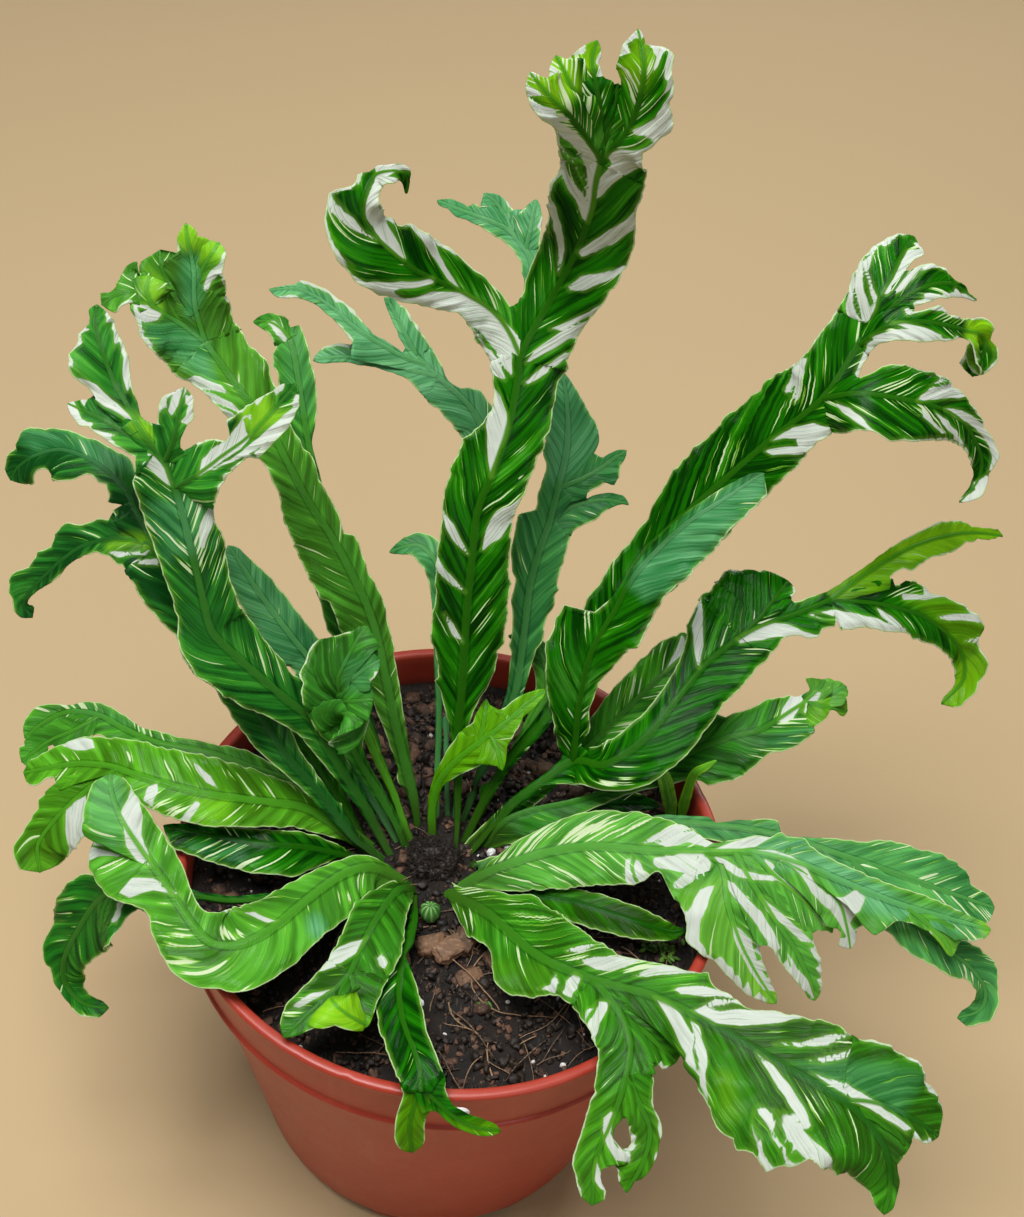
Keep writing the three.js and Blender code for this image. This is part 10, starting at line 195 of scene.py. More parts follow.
        [(128.2,-3.6,158.8,-0.743,-0.626,-0.237,1,1,8,9,0,0), (129.5,-5,158.2,-0.747,-0.621,-0.239,1,7.5,9,2.7,-0.1,0), (130.9,-6.4,157.7,-0.751,-0.613,-0.245,1.8,9.2,9,0,-0.2,0), (132.2,-7.8,157.2,-0.75,-0.61,-0.256,2.5,8.1,9,0,-0.3,0), (133.5,-9.2,156.7,-0.742,-0.613,-0.27,3.2,7,9,0,-0.5,0), (134.9,-10.6,156.2,-0.73,-0.621,-0.284,3.8,6.1,9,0,-0.7,0), (136.2,-11.9,155.6,-0.713,-0.636,-0.296,4.5,5.1,9,0,-0.8,0), (137.7,-13.2,155,-0.692,-0.655,-0.305,5,4.6,9,0,-0.9,0), (139.1,-14.4,154.4,-0.674,-0.671,-0.308,5.5,4.8,9,0,-0.9,0), (140.6,-15.6,153.7,-0.66,-0.684,-0.31,6,5.2,9,0,-1,0), (142.1,-16.7,153.1,-0.648,-0.695,-0.311,6.5,5.7,9,0,-1,0), (143.7,-17.8,152.4,-0.635,-0.706,-0.313,6.8,8.1,9,0,-1,0), (145.2,-18.9,151.8,-0.622,-0.718,-0.314,7.2,7.8,9,0,-1.1,0), (146.8,-19.9,151.1,-0.606,-0.73,-0.315,7.5,7.9,9,0,-1,0), (148.4,-20.9,150.3,-0.587,-0.745,-0.316,8,8.2,9,0,-1,0), (150,-21.8,149.6,-0.56,-0.764,-0.319,8.2,8.5,3.6,0,-0.7,0), (151.6,-22.7,148.9,-0.528,-0.785,-0.323,6.7,8.8,0,0,-0.3,0), (153.3,-23.5,148.1,-0.499,-0.803,-0.326,6.9,8.3,0,0,-0.1,0), (155,-24.1,147.3,-0.479,-0.814,-0.328,7.1,7.9,0,0,0,0), (156.7,-24.8,146.5,-0.47,-0.82,-0.327,7.2,7.9,0,0,0,0), (158.4,-25.4,145.6,-0.47,-0.821,-0.325,7.3,7.4,0,0,0,0), (160.1,-26,144.7,-0.462,-0.825,-0.325,7.2,7.5,0,0,0,0), (161.8,-26.6,143.7,-0.443,-0.834,-0.329,7,7.2,0,0,0,0), (163.4,-27,142.7,-0.433,-0.837,-0.333,6.9,7,0,0,0,0), (165.1,-27.5,141.7,-0.443,-0.832,-0.334,6.7,6.6,0,0,0,0), (166.7,-27.9,140.6,-0.476,-0.815,-0.33,6.6,5.9,0,0,0,0), (168.3,-28.4,139.5,-0.526,-0.788,-0.32,7.4,4.6,0,0,0,0), (169.7,-29,138.2,-0.568,-0.76,-0.315,7.2,3.6,0,0,0,0), (171.2,-29.6,137,-0.605,-0.731,-0.316,7.9,3.6,0,0,0,0), (172.5,-30.2,135.6,-0.658,-0.686,-0.312,8,3.4,0,0,0,0), (173.8,-30.8,134.2,-0.743,-0.597,-0.303,6.9,2.9,0,0,0,0), (174.8,-31.5,132.7,-0.867,-0.422,-0.263,4.6,3.2,0,0,0,0), (175.5,-32.5,131.1,-0.974,-0.141,-0.176,3.9,3,0,0,0,0), (175.7,-33.6,129.4,-0.979,0.179,-0.097,4.4,3,0,0,0,0), (175.5,-34.7,127.8,-0.877,0.479,-0.034,4,3,0,0,0,0), (174.7,-35.6,126.2,-0.655,0.752,0.079,4.7,3.3,0,0,0,0), (173.5,-36.1,124.7,-0.37,0.909,0.194,3.6,2.8,0,0,0,0), (172,-36.2,123.4,-0.201,0.953,0.227,3.8,2.4,0,0,0,0), (170.4,-36.1,122.2,-0.173,0.961,0.216,3.2,1.8,0,0,0,0), (168.8,-36.2,121,-0.185,0.961,0.205,0.3,0.3,0,0,0,0)],
    ],
    "frond_left_back_low": [
        [(-29.5,7.3,132.6,0.453,0.856,0.249,1.3,1.3,0,0,0,0), (-31.5,8,133.7,0.449,0.858,0.25,1.3,1.4,0,0,0,0), (-33.5,8.7,134.9,0.448,0.858,0.252,1.3,1.5,0,0,0,0), (-35.4,9.4,136,0.465,0.85,0.25,1.3,1.7,0,0,0,0), (-37.4,10.1,137.2,0.5,0.831,0.242,1.4,1.7,0,0,0,0), (-39.3,11,138.3,0.556,0.8,0.225,1.5,1.8,0,0,0,0), (-41.1,12,139.5,0.606,0.768,0.208,1.6,1.9,0,0,0,0), (-42.8,13.2,140.7,0.62,0.758,0.203,1.8,2.7,0,0,0,0), (-44.6,14.3,141.8,0.585,0.782,0.216,2,1.9,0,0,0,0), (-46.5,15.3,142.9,0.522,0.819,0.238,2.2,2.2,0,0,0,0), (-48.5,16.1,143.9,0.469,0.847,0.251,2.9,2.1,0,0,0,0), (-50.5,16.9,145,0.428,0.866,0.259,3.6,2.2,0,0,0,0), (-52.5,17.5,146,0.382,0.884,0.27,4.1,2.3,0,0,0,0), (-54.7,18.1,146.9,0.336,0.899,0.28,4.4,2.6,0,0,0,0), (-56.9,18.6,147.6,0.29,0.912,0.29,4.8,2.8,0,0,0,0), (-59.1,19.1,148.3,0.248,0.922,0.298,5.2,3,0,0,0,0), (-61.4,19.4,148.9,0.22,0.927,0.303,5.5,3.3,0,0,0,0), (-63.7,19.8,149.5,0.205,0.93,0.305,5.8,3.6,0,0,0,0), (-66,20.1,150,0.203,0.93,0.306,6,4,0,0,0,0), (-68.3,20.4,150.5,0.211,0.929,0.305,6.3,4.4,0,0,0,0), (-70.6,20.8,151,0.227,0.925,0.303,6.4,4.7,0,0,0,0), (-72.9,21.3,151.5,0.242,0.922,0.301,6.5,4.9,0,0,0,0), (-75.2,21.7,151.9,0.248,0.921,0.301,6.6,4.7,0,0,0,0), (-77.5,22.2,152.3,0.245,0.921,0.302,6.7,4.4,0,0,0,0), (-79.8,22.7,152.7,0.233,0.924,0.305,6.7,4.3,0,0,0,0), (-82.1,23.1,153.1,0.211,0.928,0.308,6.7,3.1,0,0,0,0), (-84.4,23.5,153.4,0.176,0.933,0.314,6.8,3.3,0,0,0,0), (-86.8,23.8,153.6,0.128,0.939,0.32,6.9,3.1,0,0,0,0), (-89.2,24,153.9,0.079,0.942,0.326,6.8,3.1,0,0,0,0), (-91.5,24.1,154.1,0.054,0.943,0.329,6.6,3.2,0,0,0,0), (-93.9,24.1,154.2,0.057,0.943,0.329,6.4,3.2,0,0,0,0), (-96.3,24.3,154.4,0.087,0.941,0.326,6.3,3.3,0,0,0,0), (-98.7,24.5,154.5,0.154,0.935,0.319,6.1,3.9,0,0,0,0), (-101,25,154.5,0.233,0.921,0.311,6,3.7,0,0,0,0), (-103.3,25.7,154.5,0.295,0.906,0.303,6,3.8,0,0,0,0), (-105.5,26.5,154.4,0.343,0.892,0.295,6.1,3.4,0,0,0,0), (-107.7,27.4,154.3,0.378,0.879,0.289,6.1,2.9,0,0,0,0), (-109.9,28.4,154.2,0.399,0.872,0.284,6.3,2.7,0,0,0,0), (-112,29.5,154.1,0.414,0.867,0.278,6.2,3.3,0,0,0,0), (-114.1,30.6,153.9,0.447,0.852,0.271,5.9,3.6,0,0,0,0), (-116.2,31.8,153.8,0.495,0.828,0.264,5.9,4,0,0,0,0), (-118.2,33.1,153.6,0.514,0.816,0.264,6.1,3.9,0,0,0,0), (-120.2,34.4,153.4,0.484,0.831,0.274,6.6,4.1,0,0,0,0), (-122.2,35.6,153.2,0.4,0.87,0.29,3.2,4.1,3.9,0,0,0), (-124.4,36.5,152.9,0.302,0.902,0.307,1,4.2,6.6,0,0,0), (-126.6,37.3,152.6,0.23,0.918,0.324,2,3.9,9,0,0.1,0), (-128.9,37.9,152.2,0.16,0.928,0.338,3,3.8,9,0,0.2,0), (-131.2,38.3,151.8,0.075,0.933,0.352,3.8,3.5,9,0,0.4,0), (-133.5,38.6,151.3,-0.047,0.93,0.364,4.2,2.2,9,0,0.5,0), (-135.8,38.5,150.7,-0.22,0.905,0.364,4.5,2.5,9,0,0.7,0), (-138,38,150,-0.387,0.852,0.354,4.5,3.8,9,0,0.7,0), (-140.1,37.2,149.2,-0.494,0.798,0.346,4.5,5,9,0,0.7,0), (-142.1,36.2,148.3,-0.554,0.758,0.343,4.5,5.8,9,0,0.7,0), (-144,35.2,147.4,-0.623,0.709,0.33,4.2,6.1,4.3,0,0.7,0), (-145.8,33.9,146.3,-0.688,0.656,0.309,4.2,5.1,3.5,0,0.7,0), (-147.4,32.7,145.1,-0.706,0.638,0.308,4,4,9,0,0.6,0), (-149.1,31.4,144,-0.701,0.64,0.313,0.3,0.3,0,0,0.3,0)],
        [(-123.6,36.2,153,-0.54,0.837,0.086,0.8,0.8,9,5.1,0,0), (-125.3,35.2,152.4,-0.549,0.831,0.096,4.2,1.5,4.2,6.2,0,-0.1), (-126.9,34.1,151.7,-0.556,0.821,0.13,5.5,2.2,0,6.2,0,-0.1), (-128.6,33.1,151.1,-0.543,0.82,0.182,5.5,3.2,0,5.3,0,-0.3), (-130.3,32.2,150.4,-0.506,0.828,0.242,6.9,3.8,0,6,0,-0.4), (-132,31.4,149.7,-0.448,0.842,0.3,7.1,4.2,0,5.6,0,-0.5), (-133.8,30.8,149,-0.396,0.852,0.342,7.4,4.5,0,5.5,0,-0.6), (-135.6,30.3,148.2,-0.383,0.851,0.36,7.6,4.5,0,7.4,0,-0.7), (-137.5,29.9,147.4,-0.415,0.836,0.359,6.9,4.5,0,7.9,0,-0.7), (-139.2,29.3,146.5,-0.491,0.799,0.346,1.6,4.2,0,8.8,0,-0.7), (-140.9,28.5,145.7,-0.577,0.747,0.33,1.3,4.2,0,8.3,0,-0.8), (-142.5,27.5,144.8,-0.638,0.701,0.318,6.6,4,0,7.2,0,-0.8), (-144,26.5,143.8,-0.673,0.67,0.311,7.9,4,0,5.2,0,-0.6), (-145.5,25.4,142.9,-0.686,0.658,0.31,7.7,4,0,0,0,-0.3), (-146.9,24.4,141.9,-0.682,0.661,0.313,7.2,4.8,0,0,0,-0.1), (-148.4,23.3,141,-0.675,0.667,0.315,0.3,0.3,0,0,0,0)],
    ],
    "frond_left_mid": [
        [(-30.5,3.9,132.6,0.507,0.833,0.223,0.8,2,0,0,0,0), (-32.2,4.5,134.2,0.507,0.833,0.22,0.8,2,0,0,0,0), (-33.9,5.1,135.8,0.496,0.84,0.221,1.4,1.9,0,0,0,0), (-35.7,5.7,137.3,0.466,0.854,0.233,1.9,2,0,0,0,0), (-37.5,6.2,138.8,0.435,0.868,0.24,2.9,2,0,0,0,0), (-39.3,6.6,140.4,0.404,0.882,0.243,3.9,2,0,0,0,0), (-41.1,7,141.9,0.358,0.898,0.256,4.7,2.1,0,0,0,0), (-43,7.3,143.3,0.307,0.913,0.268,5.5,2.4,0,0,0,0), (-45,7.5,144.7,0.266,0.925,0.271,6.1,2.8,0,0,0,0), (-46.9,7.6,146.1,0.213,0.937,0.277,6.7,3.2,0,0,0,0), (-48.9,7.6,147.5,0.132,0.947,0.292,7.1,4,0,0,0,0), (-51,7.4,148.7,0.034,0.951,0.308,7.3,5.1,0,0,0,0), (-53,6.9,149.9,-0.061,0.945,0.322,7.3,6.6,0,0,0,0), (-55.1,6.3,151,-0.127,0.935,0.33,7.7,7.7,0,0,0,0), (-57.2,5.6,152,-0.151,0.932,0.33,8,8.4,0,0,0,0), (-59.2,4.9,153,-0.141,0.935,0.325,8.3,8.9,0,0,0,0), (-61.4,4.3,154,-0.118,0.94,0.32,8.6,9.4,0,0,0,0), (-63.5,3.8,154.9,-0.108,0.941,0.319,8.9,9.9,0,0,0,0), (-65.7,3.2,155.8,-0.111,0.94,0.322,9.3,10.5,0,0,0,0), (-67.9,2.6,156.6,-0.111,0.94,0.323,9.5,11,0,0,0,0), (-70,2.1,157.5,-0.104,0.941,0.322,9.7,11.2,0,0,0,0), (-72.2,1.6,158.4,-0.088,0.943,0.322,10,11.5,0,0,0,0), (-74.5,1.1,159.1,-0.066,0.945,0.32,10.2,11.7,0,0,0,0), (-76.7,0.7,159.9,-0.034,0.947,0.318,10.5,11.9,0,0,0,0), (-79,0.5,160.6,0.009,0.949,0.315,10.4,12,0,0,0,0), (-81.4,0.4,161.1,0.057,0.949,0.311,10.2,12.1,0,0,0,0), (-83.7,0.4,161.6,0.1,0.946,0.308,10.2,12.2,0,0,0,0), (-86.1,0.6,162,0.133,0.943,0.305,10,12.2,0,0,0,0), (-88.5,0.9,162.3,0.159,0.939,0.303,9.9,12,0,0,0,0), (-90.9,1.2,162.5,0.18,0.936,0.302,10,12.1,0,0,0,0), (-93.2,1.7,162.7,0.196,0.933,0.301,9.3,12,0,0,0,0), (-95.6,2.1,162.8,0.209,0.931,0.299,8.9,11.9,0,0,0,0), (-97.9,2.6,162.9,0.221,0.929,0.298,8.4,11.8,0,0,0,0), (-100.3,3.2,163,0.248,0.923,0.295,8,11.7,0,0,0,0), (-102.6,3.9,163,0.294,0.911,0.29,8.9,11.7,0,0,0,0), (-104.8,4.7,162.9,0.335,0.897,0.288,12.8,11.4,0,0,-0.2,0), (-107.1,5.6,162.7,0.348,0.891,0.291,8.2,11.1,9,0,-0.3,0), (-109.3,6.6,162.4,0.317,0.901,0.297,3,10.5,9,0,-0.3,0), (-111.5,7.4,162.1,0.255,0.918,0.305,1,10.1,9,0,-0.3,0), (-113.8,8.1,161.7,0.199,0.928,0.314,2,10,9,0,-0.3,0), (-116,8.7,161.1,0.155,0.934,0.323,3,9.9,9,0,-0.4,0), (-118.3,9.2,160.5,0.115,0.937,0.33,3.8,9.8,9,0,-0.4,0), (-120.6,9.7,159.9,0.073,0.939,0.336,4.8,9.6,9,0,-0.3,0), (-122.8,10.1,159.2,0.026,0.939,0.342,5.5,9.4,9,0,-0.2,0), (-125.1,10.4,158.4,-0.029,0.938,0.344,6,9,9,0,-0.1,0), (-127.4,10.5,157.6,-0.081,0.935,0.345,6.8,8.2,9,0,-0.1,0), (-129.6,10.6,156.7,-0.112,0.932,0.346,7.2,7.6,2.5,0,0,0), (-131.8,10.6,155.8,-0.119,0.93,0.349,3.5,6.9,0,0,0,0), (-134.1,10.7,154.9,-0.118,0.929,0.352,3.5,6.3,0,0,0,0), (-136.3,10.8,153.9,-0.126,0.928,0.351,4.9,5.4,0,0,0,0), (-138.5,10.8,153,-0.135,0.927,0.35,5.2,4.4,0,0,0,0), (-140.7,10.9,152,-0.137,0.926,0.351,4.7,3.7,0,0,0,0), (-142.9,10.9,151,-0.136,0.926,0.352,0.3,0.3,0,0,0,0)],
        [(-110.2,6.9,162.3,-0.476,0.874,0.098,0.8,0.8,9,9,0.3,0.2), (-111.8,6.2,161.2,-0.48,0.87,0.109,5,1.2,7.2,9,0.4,0.3), (-113.3,5.5,160.2,-0.497,0.857,0.137,9,2.2,2.8,9,0.4,0.4), (-114.8,4.8,159.1,-0.527,0.832,0.172,11.2,3,0,9,0.2,0.5), (-116.3,4.1,158,-0.562,0.8,0.212,10.7,3.8,0,9,0,0.5), (-117.8,3.3,156.9,-0.595,0.764,0.249,10.1,4.2,0,9,0,0.5), (-119.3,2.4,155.9,-0.62,0.733,0.281,10.2,5,0,9,0,0.4), (-120.8,1.5,154.9,-0.638,0.71,0.299,10.4,5.8,0,9,0,0.3), (-122.2,0.7,153.8,-0.654,0.696,0.296,10.8,6.5,0,7.2,0,0.2), (-123.7,-0.2,152.7,-0.666,0.686,0.292,11,7,0,1.6,0,0.1), (-125,-1.1,151.4,-0.676,0.677,0.291,11.2,7.8,0,0.9,0,0), (-126.4,-1.9,150.2,-0.694,0.66,0.287,11.3,8.2,0,0.5,0,-0.1), (-127.7,-2.8,148.9,-0.723,0.633,0.277,11.4,8.6,0,0,0,-0.1), (-128.9,-3.7,147.6,-0.753,0.603,0.265,11.3,9,0,0,0,0), (-130.1,-4.6,146.3,-0.771,0.581,0.262,12.3,6.7,0,0,0,0), (-131.3,-5.6,144.9,-0.784,0.561,0.265,11.1,6.5,0,0,0,0), (-132.4,-6.6,143.6,-0.817,0.516,0.257,10.8,6.3,0,0,0,0), (-133.4,-7.7,142.2,-0.872,0.425,0.241,10.8,6.2,0,0,0,0), (-134.3,-8.8,140.8,-0.946,0.258,0.198,10.4,5.9,0,0,0,0), (-134.7,-10,139.2,-0.994,0.013,0.109,10.3,7.7,0,0,0,0), (-134.6,-11.2,137.6,-0.978,-0.205,0.032,10.3,7.1,0,0,0,0), (-134.3,-12.5,136.1,-0.948,-0.317,0.005,9.8,6.4,0,0,0,0), (-133.8,-13.7,134.6,-0.943,-0.334,0.017,7.7,5.9,0,0,0,0), (-133.5,-15,133,-0.948,-0.317,0.03,0.3,0.3,0,0,0,0)],
    ],
    "leaf_left_under": [
        [(-30.3,-1.1,132.6,-0.013,0.972,0.235,0.3,1,0,0,0,0), (-32.2,-1.4,134,-0.013,0.972,0.234,0.3,1.6,0,0,0,0), (-34.2,-1.8,135.5,-0.02,0.972,0.234,0.3,2.1,0,0,0,0), (-36.1,-2.2,136.9,-0.038,0.97,0.239,0.7,2.7,0,0,0,0), (-38.2,-2.6,138.1,-0.052,0.969,0.241,1.3,3.2,0,0,0,0), (-40.2,-3,139.3,-0.06,0.969,0.241,3.1,3.6,0,0,0,0), (-42.3,-3.5,140.5,-0.071,0.968,0.241,4.7,4,0,0,0,0), (-44.4,-3.9,141.6,-0.087,0.966,0.242,6.2,4.4,0,0,0,0), (-46.6,-4.4,142.6,-0.11,0.964,0.243,7.6,4.8,0,0,0,0), (-48.8,-4.9,143.6,-0.144,0.958,0.248,8.9,5,0,0,0,0), (-50.9,-5.5,144.5,-0.171,0.953,0.252,10.1,5,0,0,0,0), (-53.1,-6.1,145.3,-0.172,0.952,0.252,10.9,5,0,0,0,0), (-55.4,-6.7,146,-0.15,0.956,0.251,10.6,5,0,0,0,0), (-57.7,-7.2,146.7,-0.097,0.964,0.248,10.3,5,0,0,0,0), (-60.1,-7.5,147.1,-0.025,0.969,0.245,10.2,4.9,0,0,0,0), (-62.5,-7.5,147.3,0.037,0.969,0.243,10.1,4.7,0,0,0,0), (-64.9,-7.3,147.4,0.077,0.967,0.243,9.9,4.5,0,0,0,0), (-67.3,-7.1,147.4,0.088,0.966,0.241,9.6,4.3,0,0,0,0), (-69.7,-6.9,147.4,0.077,0.968,0.24,9.4,4.1,0,0,0,0), (-72.2,-6.8,147.7,0.067,0.968,0.24,9.1,3.9,0,0,0,0), (-74.6,-6.7,148.1,0.066,0.969,0.239,9,3.7,0,0,0,0), (-76.9,-6.7,148.5,0.069,0.969,0.239,8.8,3.5,0,0,0,0), (-79.3,-6.6,148.9,0.076,0.968,0.238,8.5,3.3,0,0,0,0), (-81.7,-6.5,149.3,0.089,0.967,0.239,8.1,3.1,0,0,0,0), (-84.2,-6.3,149.5,0.107,0.965,0.238,7.6,2.8,0,0,0,0), (-86.6,-6.1,149.6,0.127,0.963,0.239,7.2,2.3,0,0,0,0), (-89,-5.7,149.6,0.141,0.961,0.239,6.4,1.7,0,0,0,0), (-91.4,-5.3,149.5,0.143,0.96,0.239,3.8,1.2,0,0,0,0), (-93.8,-5,149.5,0.14,0.961,0.239,0.3,0.3,0,0,0,0)],
    ],
    "frond_left_scurve": [
        [(-17.4,-6.5,132.8,0.19,0.942,0.278,1.4,1.4,0,0,0,0), (-19.3,-6.5,134.2,0.159,0.949,0.274,2.8,1.8,0,0,0,0), (-21.3,-6.6,135.6,0.087,0.954,0.288,4.3,2.5,0,0,0,0), (-23.2,-7,137,0.007,0.957,0.292,6.7,2.9,0,0,0,0), (-25.1,-7.4,138.3,-0.1,0.951,0.292,8.5,3.4,0,0,0,0), (-27,-8.2,139.6,-0.265,0.912,0.312,9.2,4.4,0,0,0,0), (-28.7,-9.3,140.7,-0.412,0.854,0.317,9.7,4.6,0,0,0,0), (-30.4,-10.7,141.8,-0.507,0.806,0.304,10.3,4.9,0,0,0,0), (-32,-12.1,142.7,-0.575,0.765,0.292,10.9,4.8,0,0,0,0), (-33.5,-13.7,143.7,-0.632,0.722,0.281,11.4,4.9,0,0,0,0), (-34.9,-15.4,144.6,-0.687,0.673,0.273,11.8,5.1,0,0,0,0), (-36.2,-17.2,145.5,-0.731,0.629,0.265,12.1,5.5,0,0,0,0), (-37.5,-19.1,146.3,-0.755,0.603,0.257,12.3,6,0,0,0,0), (-38.7,-21,147.1,-0.766,0.592,0.25,12.4,6.4,0,0,0,0), (-39.9,-22.9,147.9,-0.769,0.59,0.245,12.5,6.7,0,0,0,0), (-41.1,-24.8,148.6,-0.775,0.584,0.242,12.6,7,0,0,0,0), (-42.3,-26.7,149.3,-0.782,0.575,0.24,12.6,7.4,0,0,0,0), (-43.6,-28.7,149.9,-0.788,0.568,0.237,12.4,7.8,0,0,0,0), (-44.8,-30.6,150.5,-0.792,0.564,0.234,12.2,8.2,0,0,0,0), (-46,-32.6,151,-0.798,0.556,0.232,12,8.6,0,0,0,0), (-47.2,-34.6,151.6,-0.808,0.542,0.231,12,9,0,0,0,0), (-48.4,-36.6,152.1,-0.809,0.54,0.232,12.1,9.4,0,0,0,0), (-49.6,-38.6,152.5,-0.793,0.562,0.235,12.1,9.7,0,0,0,0), (-50.9,-40.5,152.9,-0.762,0.601,0.24,12.3,9.9,0,0,0,0), (-52.4,-42.4,153.3,-0.727,0.64,0.247,12.7,10,0,0,0,0), (-53.9,-44.2,153.6,-0.689,0.678,0.254,13.2,10.4,0,0,0,0), (-55.6,-45.9,153.9,-0.637,0.725,0.261,13.2,10.7,0,0,0,0), (-57.4,-47.4,154,-0.572,0.775,0.269,13.3,10.9,0,0,0,0), (-59.4,-48.7,154,-0.487,0.829,0.276,13.8,11.1,0,0,0,0), (-61.5,-49.8,154,-0.363,0.888,0.282,14.6,11.1,0,0,0,0), (-63.8,-50.5,154.1,-0.21,0.936,0.283,14,11,0,0,0,0), (-66.1,-50.9,154.4,-0.042,0.96,0.277,12.9,10.8,0,0,0,0), (-68.5,-50.9,154.8,0.171,0.951,0.256,13.4,10.7,0,0,0,0), (-70.7,-50.4,155.4,0.404,0.889,0.215,13.1,10.9,0,0,0,0), (-72.7,-49.3,156.1,0.572,0.801,0.175,13.2,10.5,0,0,0,0), (-74.5,-48,156.8,0.659,0.736,0.152,12.4,8.6,0,0,0,0), (-76.2,-46.5,157.6,0.713,0.688,0.135,11.7,6.2,0,0,0,0), (-77.8,-44.8,158.3,0.746,0.654,0.123,11.9,4.6,0,0,0,0), (-79.4,-43.2,159,0.756,0.644,0.118,11,4.8,0,0,0,0), (-80.9,-41.5,159.8,0.754,0.646,0.119,9.6,5,0,0,0,0), (-82.4,-39.9,160.6,0.754,0.646,0.118,9.1,5.3,0,0,0,0), (-83.9,-38.3,161.5,0.758,0.642,0.115,9.4,5.9,0,0,0,0), (-85.4,-36.7,162.5,0.755,0.645,0.116,11.6,6.4,0,0,0,0), (-86.9,-35.1,163.5,0.745,0.656,0.12,12.8,7.1,0,0,0,0), (-88.5,-33.6,164.4,0.732,0.669,0.127,14.1,7.3,0,0,-0.1,0), (-90.1,-32,165.3,0.722,0.68,0.131,8.8,7.6,6.4,0,-0.2,0), (-91.7,-30.5,166.2,0.718,0.683,0.132,0.8,7.7,9,0,-0.3,0), (-93.3,-29,167,0.722,0.679,0.13,1.5,7.9,9,0,-0.5,0), (-94.9,-27.5,168,0.727,0.675,0.127,2.8,8,9,0,-0.8,0), (-96.4,-26,168.9,0.727,0.675,0.128,4,8,9,0,-1.3,0), (-98,-24.5,170,0.735,0.666,0.125,5.5,8,9,0,-1.7,0), (-99.5,-22.9,171,0.762,0.638,0.113,7,8.1,9,0,-2.1,0), (-100.9,-21.3,171.9,0.799,0.593,0.095,9,7.8,4.8,0,-1.7,0), (-102.3,-19.5,172.8,0.831,0.55,0.079,10.8,7.3,1.2,0,-0.9,0), (-103.5,-17.6,173.5,0.855,0.514,0.065,10.7,6.9,0,0,-0.2,0), (-104.7,-15.7,174.3,0.88,0.473,0.049,9.4,6.6,0,0,0,0), (-105.7,-13.6,175,0.914,0.404,0.021,8.1,6.2,0,0,0,0), (-106.6,-11.5,175.7,0.952,0.306,-0.015,6.4,5.6,0,0,0,0), (-107.1,-9.3,176.3,0.968,0.25,-0.036,5,4.5,0,0,0,0), (-107.7,-7.1,177,0.968,0.246,-0.039,0.3,0.3,0,0,0,0)],
        [(-91.6,-30.6,166.1,0.228,0.921,0.315,1,1,9,8.7,0.2,0.2), (-93.5,-30,165.8,0.228,0.922,0.312,7.5,1.2,6.7,9,0.2,0.5), (-95.4,-29.5,165.6,0.232,0.924,0.304,14,2.2,0,9,0.1,0.8), (-97.3,-28.9,165.3,0.245,0.925,0.292,13.6,3,0,9,0,1.1), (-99.2,-28.2,164.9,0.264,0.923,0.279,13.3,4.2,0,9,0,1.5), (-101,-27.5,164.4,0.298,0.915,0.274,12.5,5.2,0,9,0,1.8), (-102.8,-26.8,163.9,0.321,0.906,0.276,11.1,6.2,0,9,0,2.1), (-104.5,-26,163.4,0.315,0.908,0.277,9.7,7.5,0,9,0,1.7), (-106.2,-25.3,162.8,0.303,0.911,0.279,8.5,8.5,0,9,0,0.8), (-107.9,-24.5,162.2,0.293,0.914,0.28,7.3,9.5,0,9,0,0.2), (-109.6,-23.8,161.6,0.289,0.915,0.282,5.4,10.5,0,7.9,0,0), (-111.3,-23.1,161,0.289,0.915,0.283,0.3,0.3,0,0,0,0)],
    ],
    "frond_left_hanging": [
